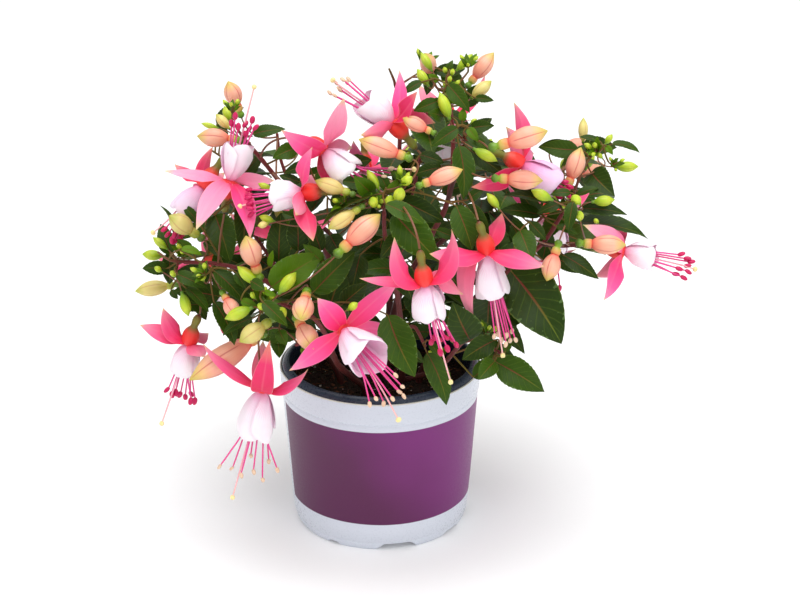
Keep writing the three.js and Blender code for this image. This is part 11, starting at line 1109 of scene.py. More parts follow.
def wood_material():
    m = Mat("stem_bark", rough=0.55, spec=0.35)
    u, v = m.uv()
    tone, cls, side, misc = m.info()
    n1 = m.noise(160.0, 4.0)
    n2 = m.noise(60.0, 3.0, vec=m.uvvec(1.0, 14.0))
    old = m.mix(n2, lin(58, 22, 22), lin(104, 48, 42))
    young = m.mix(n2, lin(108, 30, 36), lin(140, 52, 50))
    green = m.mix(n2, lin(122, 48, 44), lin(112, 122, 44))
    c = m.mix(m.step(cls, 0.0, 0.5), old, young)
    c = m.mix(m.step(cls, 0.5, 1.0), c, green)
    c = m.mix(m.math("MULTIPLY", n1, 0.35), c, lin(44, 24, 20))
    m.color(c)
    m.rough(m.line(n1, 0.3, 0.7, 0.42, 0.66))
    m.bump(m.math("ADD", m.math("MULTIPLY", n2, 0.7), m.math("MULTIPLY", n1, 0.5)), 0.5, 0.0003)
    return m.m


def bud_material():
    m = Mat("bud_skin", rough=0.36, spec=0.45, sub=0.10, scale=0.0015)
    u, v = m.uv()      # u: -1 (stalk) .. 0 (neck) .. 1 (tip) packed as 0..1 ; v: once round
    tone, kind, side, misc = m.info()
    b = m.math("SUBTRACT", m.math("MULTIPLY", u, 2.0), 1.0)
    seam = m.math("ABSOLUTE", m.math("SUBTRACT", m.math("FRACT", m.math("ADD", m.math("MULTIPLY", v, 4.0), 0.5)), 0.5))
    seam = m.math("MULTIPLY", m.math("SUBTRACT", 1.0, m.step(seam, 0.0, 0.07)), m.step(b, 0.08, 0.2))
    n1 = m.noise(220.0, 3.0)
    n3 = m.noise(60.0, 2.0)
    streak = m.noise(1.0, 3.0, vec=m.uvvec(3.0, 60.0))
    lime = m.ramp(b, [(0.0, lin(128, 166, 20)), (0.3, lin(172, 200, 34)), (0.7, lin(200, 216, 56)), (1.0, lin(158, 192, 30))])
    yellow = m.ramp(b, [(0.0, lin(196, 190, 84)), (0.3, lin(224, 216, 128)), (0.7, lin(226, 220, 132)), (1.0, lin(170, 192, 50))])
    peach = m.ramp(b, [(0.0, lin(228, 96, 74)), (0.07, lin(242, 148, 118)), (0.3, lin(246, 184, 152)), (0.62, lin(247, 198, 166)), (0.8, lin(232, 206, 128)), (1.0, lin(186, 198, 58))])
    c = m.mix(m.step(kind, 0.2, 0.35), lime, yellow)
    c = m.mix(m.step(kind, 0.6, 0.8), c, peach)
    blush = m.math("MULTIPLY", m.step(n3, 0.44, 0.70), m.math("MULTIPLY", m.step(kind, 0.2, 0.9), 0.36))
    blush = m.math("MULTIPLY", blush, m.step(b, 1.0, 0.6))
    c = m.mix(blush, c, lin(240, 122, 118))
    c = m.mix(m.math("MULTIPLY", m.math("MULTIPLY", streak, 0.42), m.step(kind, 0.1, 0.8)), c, lin(228, 96, 98))
    c = m.mix(m.math("MULTIPLY", seam, m.math("ADD", 0.22, m.math("MULTIPLY", kind, 0.5))), c, m.mix(m.step(kind, 0.1, 0.6), lin(120, 150, 30), lin(200, 74, 78)))
    neck = m.ramp(u, [(0.0, lin(72, 96, 30)), (0.10, lin(84, 124, 22)), (0.21, lin(118, 158, 24)), (0.25, lin(136, 166, 36)), (0.29, lin(190, 176, 78)), (0.38, lin(214, 164, 92)), (0.46, lin(224, 142, 88)), (0.49, lin(212, 78, 54)), (0.5, lin(206, 60, 48))])
    limeneck = m.ramp(u, [(0.0, lin(70, 118, 24)), (0.5, lin(122, 164, 26))])
    yneck = m.ramp(u, [(0.0, lin(72, 104, 26)), (0.2, lin(86, 124, 28)), (0.26, lin(150, 170, 48)), (0.5, lin(186, 184, 76))])
    neck = m.mix(m.step(kind, 0.6, 0.8), yneck, neck)
    neck = m.mix(m.step(kind, 0.2, 0.35), limeneck, neck)
    c = m.mix(m.step(b, -0.02, 0.02), neck, c)
    stalk = m.mix(n1, lin(112, 48, 40), lin(132, 92, 52))
    c = m.mix(m.step(side, 0.4, 0.6), c, stalk)
    c = m.mix(m.math("MULTIPLY", tone, 0.16), c, lin(110, 96, 48))
    m.color(c)
    m.rough(m.line(n1, 0.3, 0.7, 0.30, 0.46))
    m.bump(m.math("SUBTRACT", m.math("MULTIPLY", n1, 0.3), seam), 0.4, 0.0003)
    return m.m


def sepal_material():
    m = Mat("sepal", rough=0.40, spec=0.36, sub=0.13, radius=(0.8, 0.38, 0.45), scale=0.0022)
    u, v = m.uv()
    tone, sepal_light_shade_class, side, along_ = m.info()
    across = m.math("ABSOLUTE", m.math("SUBTRACT", m.math("MULTIPLY", v, 2.0), 1.0))
    streak = m.noise(1.0, 4.0, vec=m.uvvec(2.0, 34.0))
    n1 = m.noise(260.0, 2.0)
    face = m.ramp(u, [(0.0, lin(238, 46, 72)), (0.08, lin(240, 40, 98)), (0.35, lin(247, 58, 128)), (0.72, lin(250, 90, 155)), (0.93, lin(250, 138, 174)), (1.0, lin(230, 206, 130))])
    # the paler pink and crimson copies, picked per sepal, are painted light and painted shade
    painted_lit_pink = m.ramp(u, [(0.0, lin(244, 92, 96)), (0.10, lin(247, 106, 148)), (0.4, lin(251, 138, 176)), (0.86, lin(252, 172, 196)), (1.0, lin(222, 212, 136))])
    back = m.ramp(u, [(0.0, lin(236, 46, 52)), (0.2, lin(236, 48, 88)), (0.6, lin(242, 84, 128)), (0.9, lin(242, 142, 150)), (1.0, lin(204, 200, 108))])
    painted_shade_crimson = m.ramp(u, [(0.0, lin(214, 20, 52)), (0.3, lin(214, 18, 78)), (0.75, lin(228, 44, 104)), (1.0, lin(236, 150, 124))])
    c = m.mix(m.step(sepal_light_shade_class, 0.1, 0.5), face, painted_lit_pink)
    c = m.mix(m.step(sepal_light_shade_class, 0.7, 0.95), c, painted_shade_crimson)
    c = m.mix(m.math("MULTIPLY", m.step(streak, 0.45, 0.7), 0.16), c, lin(224, 36, 96))
    c = m.mix(m.math("MULTIPLY", m.math("SUBTRACT", 1.0, m.step(across, 0.0, 0.16)), 0.14), c, lin(250, 158, 176))
    c = m.mix(m.math("MULTIPLY", m.step(across, 0.9, 1.0), 0.3), c, lin(248, 176, 176))
    c = m.mix(m.step(side, 0.25, 0.45), c, m.mix(m.math("MULTIPLY", streak, 0.3), back, lin(206, 48, 70)))
    # tube, ovary and stalk end: side = 1, u runs from the stalk to the throat
    tube = m.ramp(u, [(0.0, lin(92, 50, 34)), (0.05, lin(74, 104, 26)), (0.12, lin(92, 128, 30)), (0.36, lin(86, 112, 32)), (0.43, lin(150, 96, 44)), (0.52, lin(226, 66, 50)), (0.72, lin(240, 52, 38)), (1.0, lin(240, 62, 62))])
    c = m.mix(m.step(side, 0.7, 0.9), c, m.mix(m.math("MULTIPLY", n1, 0.2), tube, lin(200, 60, 50)))
    c = m.mix(m.math("MULTIPLY", tone, 0.12), c, lin(180, 40, 80))
    m.color(c)
    m.rough(m.line(n1, 0.3, 0.7, 0.34, 0.5))
    m.bump(m.math("ADD", m.math("MULTIPLY", streak, 0.8), m.math("MULTIPLY", n1, 0.2)), 0.35, 0.0003)
    return m.m


def petal_material():
    m = Mat("petal", rough=0.5, spec=0.3, sub=0.28, radius=(0.9, 0.6, 0.65), scale=0.0025)
    u, v = m.uv()      # u: from the throat to the free edge, v: across one petal
    tone, kind, side, misc = m.info()
    across = m.math("ABSOLUTE", m.math("SUBTRACT", m.math("MULTIPLY", v, 2.0), 1.0))
    fan = m.math("MULTIPLY", m.math("SUBTRACT", v, 0.5), m.math("ADD", 0.7, m.math("MULTIPLY", m.math("SUBTRACT", 1.0, u), 0.9)))
    vn = m.math("ABSOLUTE", m.math("SUBTRACT", m.math("FRACT", m.math("ADD", m.math("MULTIPLY", fan, 13.0), m.math("MULTIPLY", m.noise(60.0, 2.0), 0.8))), 0.5))
    vein = m.math("MULTIPLY", m.math("SUBTRACT", 1.0, m.step(vn, 0.02, 0.2)), m.step(u, 0.66, 0.12))
    n1 = m.noise(120.0, 3.0)
    base = m.ramp(u, [(0.0, lin(238, 104, 150)), (0.07, lin(244, 168, 204)), (0.22, lin(249, 216, 234)), (0.55, lin(251, 236, 246)), (1.0, lin(252, 242, 249))])
    pink = m.ramp(u, [(0.0, lin(236, 92, 148)), (0.2, lin(240, 158, 206)), (0.55, lin(238, 190, 228)), (1.0, lin(240, 202, 234))])
    base = m.mix(kind, base, pink)
    c = m.mix(m.math("MULTIPLY", vein, 0.46), base, lin(232, 112, 172))
    c = m.mix(m.math("MULTIPLY", m.step(n1, 0.4, 0.75), 0.14), c, lin(240, 190, 220))
    inner = m.ramp(u, [(0.0, lin(226, 92, 150)), (0.5, lin(242, 168, 212)), (1.0, lin(249, 208, 232))])
    c = m.mix(m.step(side, 0.25, 0.45), c, inner)
    c = m.mix(m.math("MULTIPLY", m.step(across, 0.9, 1.0), 0.2), c, lin(238, 160, 196))
    m.color(c)
    m.bump(m.math("SUBTRACT", m.math("MULTIPLY", n1, 0.4), m.math("MULTIPLY", vein, 0.8)), 0.3, 0.0003)
    return m.m


def stamen_material():
    m = Mat("stamen", rough=0.42, spec=0.4, sub=0.1, scale=0.001)
    u, v = m.uv()
    tone, kind, side, misc = m.info()   # side: 0 filament, 0.33 fresh anther, 0.66 old anther, 1 style and stigma (kind 1 = stigma)
    n1 = m.noise(700.0, 3.0)
    fil = m.ramp(u, [(0.0, lin(238, 130, 178)), (0.45, lin(232, 84, 156)), (1.0, lin(222, 56, 132))])
    fresh = m.mix(n1, lin(176, 8, 72), lin(214, 24, 100))
    old = m.mix(n1, lin(204, 160, 132), lin(238, 214, 184))
    style = m.ramp(u, [(0.0, lin(240, 150, 190)), (0.6, lin(240, 164, 186)), (1.0, lin(244, 188, 180))])
    stigma = m.mix(n1, lin(236, 206, 130), lin(250, 236, 178))
    c = m.mix(m.step(side, 0.15, 0.2), fil, fresh)
    c = m.mix(m.step(side, 0.48, 0.52), c, old)
    c = m.mix(m.step(side, 0.8, 0.85), c, style)
    c = m.mix(m.step(kind, 0.7, 0.9), c, stigma)
    m.color(c)
    m.bump(n1, 0.5, 0.0002)
    return m.m


def soil_material():
    m = Mat("potting_soil", rough=0.92, spec=0.2)
    tone, kind, side, misc = m.info()
    n1 = m.noise(260.0, 6.0, 0.7)
    n2 = m.noise(900.0, 3.0)
    vo = m.voronoi(420.0)
    c = m.mix(n1, lin(14, 10, 8), lin(52, 36, 28))
    c = m.mix(m.math("MULTIPLY", m.step(n2, 0.55, 0.75), 0.5), c, lin(84, 54, 40))
    bark = m.mix(n2, lin(60, 34, 24), lin(112, 70, 48))
    c = m.mix(m.step(kind, 0.2, 0.3), c, bark)
    speck = m.mix(n2, lin(150, 140, 126), lin(206, 200, 188))
    c = m.mix(m.step(kind, 0.7, 0.8), c, speck)
    m.color(c)
    m.rough(m.line(n1, 0.3, 0.7, 0.8, 0.98))
    m.bump(m.math("ADD", n1, m.math("MULTIPLY", vo, 0.8)), 0.8, 0.0012)
    return m.m


def pot_material():
    m = Mat("pot_plastic", rough=0.36, spec=0.34, coat=0.06, coat_rough=0.12)
    x, y, z = m.xyz(m.coord())
    r = m.math("SQRT", m.math("ADD", m.math("MULTIPLY", x, x), m.math("MULTIPLY", y, y)))
    ang = m.math("ARCTAN2", x, m.math("MULTIPLY", y, -1.0))     # 0 at the front, positive to the right
    n1 = m.noise(7.0, 3.0)
    n2 = m.noise(900.0, 2.0)
    white = m.mix(n1, lin(202, 207, 219), lin(215, 220, 230))
    navy = m.mix(n1, lin(36, 44, 60), lin(52, 62, 80))
    # printed band: between two heights, with a bare strip on the left
    wob = m.math("MULTIPLY", m.noise(45.0, 2.0), 0.0004)
    zz = m.math("ADD", z, wob)
    band = m.math("MULTIPLY", m.step(zz, 0.0186, 0.0190), m.step(zz, 0.0828, 0.0824))
    gap = m.step(m.math("ABSOLUTE", m.math("SUBTRACT", ang, math.radians(-86.5))), math.radians(12.0), math.radians(12.4))
    wall = m.step(r, 0.0520, 0.0524)
    mask = m.math("MULTIPLY", m.math("MULTIPLY", band, gap), wall)
    # the band's purple turns lighter towards the right and darker on the left: painted light and painted shade
    n3 = m.noise(16.0, 2.0)
    side = m.step(m.math("ADD", m.math("ADD", ang, m.math("MULTIPLY", m.math("SUBTRACT", z, 0.05), 18.0)), m.math("MULTIPLY", m.math("SUBTRACT", n3, 0.5), 1.1)), math.radians(-32.0), math.radians(62.0))
    side = m.math("MULTIPLY", side, m.step(ang, math.radians(172.0), math.radians(105.0)))
    band_purple_with_painted_light = m.mix(side, lin(82, 20, 68), lin(118, 28, 112))
    band_purple_with_painted_light = m.mix(m.math("MULTIPLY", n2, 0.14), band_purple_with_painted_light, lin(116, 60, 104))
    c = m.mix(mask, white, band_purple_with_painted_light)
    cream = m.math("MULTIPLY", m.step(z, 0.1004, 0.1007), m.step(r, 0.0600, 0.0602))
    c = m.mix(m.math("MULTIPLY", cream, 0.7), c, lin(232, 228, 212))
    info = m.info()
    c = m.mix(m.step(info[2], 0.4, 0.6), c, navy)
    m.color(c)
    m.rough(m.math("ADD", m.line(n2, 0.3, 0.7, 0.24, 0.36), m.math("MULTIPLY", mask, 0.12)))
    m.bump(m.math("ADD", m.math("MULTIPLY", n2, 0.25), m.math("MULTIPLY", n1, 0.6)), 0.12, 0.0003)
    return m.m


M_LEAF, M_WOOD, M_BUD, M_SEPAL = leaf_material(), wood_material(), bud_material(), sepal_material()
M_PETAL, M_STAMEN, M_SOIL, M_POT = petal_material(), stamen_material(), soil_material(), pot_material()

made = {}


def place(obj, slot, *nodes):
    if obj is None:
        return
    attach(obj, "root")
    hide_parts(*nodes)
    made[obj.name] = obj


# ---------------------------------------------------------------- leaves
def leaf_outline(s, belly=0.62, point=1.02):
    f = np.power(np.clip(s, 1e-6, 1), belly) * np.power(np.clip(1 - s, 0, 1), point)
    k = belly / (belly + point)
    return f / (k ** belly * (1 - k) ** point)


def add_leaf(g, rec, rnd, fine=True):
    b, c, t, n, w, cls = A(rec["b"]), A(rec["c"]), A(rec["t"]), unit(A(rec["n"])), rec["w"], rec["cls"]
    length = np.linalg.norm(t - b)
    rows, nv = (26, 8) if length > 17 else (13, 6)
    if not fine:
        rows, nv = (18, 6) if length > 15 else (12, 6)
    s = np.linspace(0, 1, rows + 1) ** 1.05
    # a slight sideways bow and an arched midrib
    side0 = unit(np.cross(unit(t - b), n))
    c = c + side0 * rnd.uniform(-0.06, 0.06) * length + n * rnd.uniform(-0.01, 0.04) * length
    P = bez(b, c, t, s)
    tip = np.clip((s - 0.72) / 0.28, 0, 1) ** 2
    P = P - n[None, :] * (tip * rnd.uniform(-0.01, 0.05) * length)[:, None]
    T = units(np.gradient(P, axis=0))
    S = units(np.cross(T, n))
    M = np.cross(S, T)
    tw = (s - 0.45) * rnd.uniform(-0.35, 0.35)
    S, M = S * np.cos(tw)[:, None] + M * np.sin(tw)[:, None], M * np.cos(tw)[:, None] - S * np.sin(tw)[:, None]
    f = leaf_outline(s, rnd.uniform(0.54, 0.68), rnd.uniform(0.86, 1.1))
    half = 0.5 * w * f
    tooth = np.where(np.arange(rows + 1) % 2 == 1, 1.0, 0.0) * np.where((s > 0.14) & (s < 0.95), 1.0, 0.0)
    half = half * (1 + tooth * min(0.06, 0.62 / max(w, 4))) + 0.28 * (1 - s) ** 3
    half[-1] = 0.02
    fold, droop = rnd.uniform(0.10, 0.20), rnd.uniform(0.0, 0.07)
    ph, wave = rnd.uniform(0, 6.28), rnd.uniform(0.012, 0.035)
    k = rnd.uniform(6.0, 8.0)

    def lift(v):
        a = np.abs(v)[None, :]
        z = fold * w * f[:, None] * a ** 1.15 - droop * w * f[:, None] * a ** 3
        z = z + wave * w * np.sin(6.28 * 1.6 * s + ph)[:, None] * np.sign(v)[None, :] * a ** 2 * f[:, None]
        z = z - 0.011 * w * np.cos(6.28 * (k * s[:, None] - 1.7 * a)) * np.clip(a * 3, 0, 1) * f[:, None]
        return z

    thick = 0.42 * np.clip(f + 0.15, 0, 1)
    tone = rnd.random()
    closed_blade(g, P, S, M, half, lift, thick, (tone, cls, 0.0, 1.0), (tone, cls, 0.3, 1.0), nv)
    # the raised midrib underneath and the stalk
    rib = P[: int(rows * 0.86)] - M[: int(rows * 0.86)] * (thick[: int(rows * 0.86)] * 0.5 + 0.02)[:, None]
    g.tube(rib, np.linspace(0.42, 0.10, len(rib)), 5, (tone, cls, 1.0, 1.0))
    kpt = A(rec["k"])
    if rec.get("j"):
        j = A(rec["j"])
        st = bez(kpt, j + (j - 0.5 * (kpt + b)) * 0.9, b, np.linspace(0, 1, 11))
        g.tube(st, np.linspace(0.62, 0.46, 11), 7, (tone, cls, 1.0, 1.0))
    else:
        d0 = unit(P[1] - P[0])
        q = b - d0 * min(0.6 * np.linalg.norm(b - kpt), 5.0)
        st = bez(kpt, q, b + d0 * 0.4, np.linspace(0, 1, 9))
        g.tube(st, np.linspace(0.58, 0.45, 9), 7, (tone, cls, 1.0, 1.0))


# ---------------------------------------------------------------- branches
def add_branch(g, rec, rnd):
    pts, r0, r1, green = A(rec["pts"]), rec["r0"], rec["r1"], rec["green"]
    P = catmull(pts, 6)
    n = len(P)
    s = np.linspace(0, 1, n)
    rad = r0 + (r1 - r0) * s
    d = np.concatenate([[0], np.cumsum(np.linalg.norm(np.diff(P, axis=0), axis=1))])
    joint = 0.16 * np.exp(-((np.mod(d + 4.0, 17.0) - 8.5) / 1.3) ** 2)
    rad = rad * (1 + joint) * (1 + 0.03 * np.sin(d * 1.9 + r0 * 7))
    dirn = unit(P[-1] - P[-2])
    P = np.vstack([P, P[-1] + dirn * rad[-1] * 0.7])
    rad = np.append(rad, rad[-1] * 0.45)
    P = np.vstack([P, P[-1] + dirn * 0.05])
    rad = np.append(rad, 0.01)
    old = 0.0 if not green else 0.62
    info = np.zeros((len(P) - 1, 11, 4))
    ss = np.linspace(0, 1, len(P) - 1)
    info[..., 0] = rnd.random()
    info[..., 1] = np.clip(old + (0.55 if not green else 0.38) * ss ** 1.5, 0, 1)[:, None]
    info[..., 3] = 1
    g.tube(P, rad, 11, info)


# ---------------------------------------------------------------- buds
BODY_S = A([0.0, 0.10, 0.22, 0.36, 0.50, 0.64, 0.77, 0.88, 0.95, 1.0])
BODY_R = A([0.21, 0.335, 0.435, 0.49, 0.50, 0.455, 0.35, 0.20, 0.095, 0.012])


def add_stalk(g, p, q, e, r0, r1, tone):
    P = bez(A(p), A(q), A(e), np.linspace(0, 1, 15))
    g.tube(P, np.linspace(r0, r1, 15), 7, (tone, 0.0, 1.0, 1.0), 0.0, 0.0)


def add_bud(g, rec, rnd):
    e, t, w, nk, kind = A(rec["e"]), A(rec["t"]), rec["w"], rec["nk"], rec["type"]
    d = unit(t - e)
    total = np.linalg.norm(t - e)
    body = total - nk
    x, y = frame_of(d)
    tone = rnd.random()
    ph = rnd.uniform(0, 1.57)
    kv = {0: 0.0, 1: 0.45, 2: 1.0}[kind]
    if w > 7.5:
        ns = A([0.0, 0.03, 0.09, 0.18, 0.28, 0.37, 0.43, 0.48, 0.53, 0.60, 0.72, 0.86, 0.96]) * nk
        nr = A([0.05, 0.12, 0.18, 0.22, 0.215, 0.18, 0.15, 0.158, 0.205, 0.24, 0.25, 0.25, 0.235]) * w
    else:
        ns = A([0.0, 0.2, 0.5, 0.8]) * nk
        nr = A([0.10, 0.14, 0.15, 0.15]) * w
    sb = np.linspace(0, 1, 17)
    rb = np.interp(sb, BODY_S, BODY_R) * w
    rb[0] = (0.205 if w > 7.5 else 0.2) * w
    S = np.concatenate([ns, nk + sb * body])
    Rr = np.concatenate([nr, rb])
    # u: 0..0.5 on the neck, 0.5..1 on the body
    uu = np.concatenate([0.5 * ns / max(nk, 1e-6), 0.5 + 0.5 * sb])
    n = 24 if w > 7.5 else 14
    a = np.linspace(0, 2 * np.pi, n, endpoint=False)
    rib = 1 - (0.07 if w > 7.5 else 0.05) * np.exp(-((np.mod(a + np.pi / 4, np.pi / 2) - np.pi / 4) / 0.16) ** 2)
    on = np.concatenate([np.zeros(len(ns)), np.clip(sb * 6, 0, 1)])
    bend = rnd.uniform(-0.04, 0.04) * total
    C = e + d * S[:, None] + x * (bend * (S / total) ** 2 * np.sin(ph))[:, None] + y * (bend * (S / total) ** 2 * np.cos(ph))[:, None]
    rr = Rr[:, None] * (1 - on[:, None] * (1 - rib[None, :]))
    P = C[:, None, :] + x * (rr * np.cos(a + ph)[None, :])[..., None] + y * (rr * np.sin(a + ph)[None, :])[..., None]
    U = uu[:, None] * np.ones((1, n + 1))
    V = np.ones((len(uu), 1)) * np.linspace(0, 1, n + 1)[None, :]
    g.grid(P, U, V, (tone, kv, 0.0, 1.0), wrap=True)
    r = 0.45 if w > 7.5 else 0.36
    add_stalk(g, rec["p"], rec["q"], e + d * 0.3, 0.55, r, tone)


# ---------------------------------------------------------------- flowers
def sepal_curve(F, S):
    h, a, t = A(F["h"]), A(F["a"]), A(S["t"])
    rel = t - h
    ax = rel @ a
    rad = unit(rel - a * ax)
    L = np.linalg.norm(rel)
    b = h + rad * 2.9 - a * 0.9
    c = h + rad * max(0.44 * L, 6) + a * (min(0, ax) * 0.12 - 1.7 + max(0, ax) * 0.2)
    d = unit(t - b)
    n = unit(a * (d @ rad) - rad * (d @ a))
    return b, c, t, n, rad


_ks = np.linspace(0, 1, 201)
_kf = np.interp(_ks, [0, 0.10, 0.24, 0.38, 0.50, 0.62, 0.75, 0.87, 0.95, 1.0], [0.50, 0.68, 0.91, 1.0, 0.985, 0.90, 0.69, 0.385, 0.16, 0.0])
_kf = np.convolve(np.pad(_kf, 12, mode="edge"), np.ones(25) / 25, mode="valid")
_kf[-12:] = np.linspace(_kf[-13], 0.0, 13)[1:]


def sepal_outline(s):
    return np.interp(s, _ks, _kf)


VIEW_SIDE = A([0.0, -0.92, 0.39])


def add_calyx(g, F, rnd):
    h, a, o = A(F["h"]), A(F["a"]), A(F["o"])
    tone = rnd.random()
    d = unit(h - o)
    ov = np.linalg.norm(h - o)
    # the ovary, the narrow neck and the swelling tube, bending from the stalk to the axis
    s = A([0, 0.02, 0.06, 0.12, 0.18, 0.25, 0.32, 0.39, 0.45, 0.52, 0.60, 0.68, 0.76, 0.84, 0.91, 0.96, 1.0])
    r = A([0.3, 1.2, 1.9, 2.35, 2.5, 2.35, 2.1, 2.2, 3.0, 4.0, 4.6, 4.85, 4.9, 4.8, 4.5, 4.2, 3.8])
    C = bez(o, h - a * (0.42 * ov), h, s)
    T, U_, W_ = path_frames(C)
    n = 24
    aa = np.linspace(0, 2 * np.pi, n, endpoint=False)
    lobes = 1 + 0.055 * np.cos(4 * aa)[None, :] * np.clip((s - 0.5) * 3, 0, 1)[:, None]
    P = C[:, None, :] + (U_[:, None, :] * np.cos(aa)[None, :, None] + W_[:, None, :] * np.sin(aa)[None, :, None]) * (r[:, None] * lobes)[..., None]
    Uc = s[:, None] * np.ones((1, n + 1))
    Vc = np.ones((len(s), 1)) * np.linspace(0, 1, n + 1)[None, :]
    g.grid(P, Uc, Vc, (tone, 0, 1.0, 1.0), wrap=True)
    # floor of the throat
    x, y = frame_of(a)
    ring = [3.7, 2.5, 1.2, 0.05]
    hz = [0.0, 0.35, 0.5, 0.55]
    P = np.array([[h + a * z + (x * math.cos(q) + y * math.sin(q)) * rr for q in aa] for rr, z in zip(ring, hz)])
    g.grid(P, np.full((4, n + 1), 1.0), np.zeros((4, n + 1)), (tone, 0, 1.0, 1.0), wrap=True)
    for S in F["s"]:
        b, c, t, nn, rad = sepal_curve(F, S)
        w = S["w"]
        L = np.linalg.norm(t - b)
        rows = 22
        s = np.linspace(0, 1, rows + 1)
        Pc = bez(b, c, t, s)
        # the tip curls a little back
        curl = rnd.uniform(-0.02, 0.05) * L
        Pc = Pc - nn * (np.clip((s - 0.75) / 0.25, 0, 1) ** 2 * curl)[:, None]
        T = units(np.gradient(Pc, axis=0))
        Sd = units(np.cross(T, nn))
        Mn = np.cross(Sd, T)
        tw = (s - 0.3) * rnd.uniform(-0.22, 0.22)
        if not F["back"]:
            dd = unit(t - b)
            want = VIEW_SIDE - dd * (VIEW_SIDE @ dd)
            if np.linalg.norm(want) > 0.25:
                want = unit(want)
                want = want if want @ nn >= 0 else -want
                turn = math.atan2(np.cross(nn, want) @ dd, nn @ want)
                turn = math.copysign(max(0.0, abs(turn) - math.radians(32)), turn)
                tw = tw - turn * np.clip(s / 0.4, 0, 1) ** 1.3
        Sd, Mn = Sd * np.cos(tw)[:, None] + Mn * np.sin(tw)[:, None], Mn * np.cos(tw)[:, None] - Sd * np.sin(tw)[:, None]
        f = sepal_outline(s)
        half = 0.5 * w * f
        half = np.maximum(half, 2.7 * (1 - s) ** 6)
        half[-1] = 0.05
        cup = rnd.uniform(0.05, 0.13)

        def lift(v, f=f, w=w, cup=cup, s=s):
            q = np.abs(v)[None, :]
            return (cup * w * q ** 2 - 0.02 * w * np.cos(q * 9.0) * (1 - q)) * f[:, None] + 0.018 * w * np.sin(6.28 * 1.3 * s + 1.0)[:, None] * v[None, :] * q

        thick = 0.95 * np.clip(f + 0.2, 0, 1) * (1 - 0.5 * s)
        # sepal class k: 0.55 gives the paler copy (painted light), 1.0 gives the crimson copy (painted shade)
        kind = {0: 0.0, 1: 0.55, 2: 1.0, 3: 0.55}[S["k"]]
        closed_blade(g, Pc, Sd, Mn, half, lift, thick, (tone, kind, 0.0, 1.0), (tone, kind, 0.35, 1.0), 10)


def add_corolla(g, F, rnd):
    h, a = A(F["h"]), A(F["a"])
    R, L = F["m"], F["l"]
    x, y = frame_of(a)
    tone = rnd.random()
    th0 = F.get("ph", rnd.uniform(0, 6.28))
    rows, nv = 20, 12
    s = np.linspace(0, 1, rows + 1)
    keys = [0.42, 0.58, 0.72, 0.84, 0.93, 0.98, 1.02] if F.get("skirt") else [0.50, 0.72, 0.88, 0.96, 1.0, 1.0, 0.97 + F.get("flare", 0.0)]
    prof = np.interp(s, [0, 0.05, 0.14, 0.28, 0.45, 0.62, 0.78, 0.9, 1.0], [2.2 / R, 2.9 / R] + keys)
    for i in range(4):
        th = th0 + i * np.pi / 2
        span = math.radians(rnd.uniform(62, 74))
        roll_side = rnd.choice((-1.0, 1.0))
        flick = rnd.uniform(0.0, 1.5)
        v_top = np.linspace(-1, 1, nv + 1)
        v_all = np.concatenate([v_top, v_top[::-1][1:-1]])
        out = np.concatenate([np.ones(nv + 1), -np.ones(nv - 1)])
        e = np.sqrt(np.clip(1 - v_all ** 2, 0, 1))
        ll = L * (1 + rnd.uniform(-0.10, 0.06))
        lobe = 1 - 0.24 * np.abs(v_all) ** 2.4 + 0.03 * np.sin(v_all * 3 + i * 2.1) + 0.012 * np.sin(v_all * 9 + i)
        Z = s[:, None] * (ll * lobe)[None, :]
        spread = np.interp(s, [0, 0.12, 0.4, 1], [0.62, 0.8, 1.0, 1.0])
        ang = th + span * v_all[None, :] * spread[:, None]
        spiral = 0.85 * v_all[None, :] * np.clip(s * 2.2, 0, 1)[:, None]
        wav = 0.35 * np.sin(v_all * 5 + i * 1.3)[None, :] * (s ** 3)[:, None] + flick * (np.clip((s - 0.6) / 0.4, 0, 1) ** 2)[:, None] * (np.clip(roll_side * v_all, 0, 1) ** 2)[None, :]
        roll = 0.5 * (np.clip((s - 0.9) / 0.1, 0, 1) ** 2)[:, None]
        rr = prof[:, None] * R * np.ones_like(v_all)[None, :] + spiral + wav - roll
        rr = rr + 0.21 * (out * e)[None, :] * np.minimum(1, (1.02 - s) * 8)[:, None]
        P = h + a * (0.2 + Z)[..., None] + x * (rr * np.cos(ang))[..., None] + y * (rr * np.sin(ang))[..., None]
        # v runs against the wanted side, so the outer face is the first half of the loop
        C = len(v_all)
        U = s[:, None] * np.ones((1, C + 1))
        V = np.ones((rows + 1, 1)) * (np.concatenate([v_all, v_all[:1]])[None, :] * 0.5 + 0.5)
        info = np.empty((rows, C, 4))
        info[:, :nv] = (tone, F.get("pink", 0.0), 0.0, 1.0)
        info[:, nv:] = (tone, F.get("pink", 0.0), 0.35, 1.0)
        g.grid(P, U, V, info, wrap=True)
        # close the free edge
        last = P[-1]
        lid = np.stack([last[: nv + 1], np.concatenate([last[:1], last[nv + 1:][::-1], last[nv: nv + 1]])], 0)
        g.grid(lid, np.ones((2, nv + 1)), np.ones((2, 1)) * (v_top[None, :] * 0.5 + 0.5), (tone, 0, 0.0, 1.0))


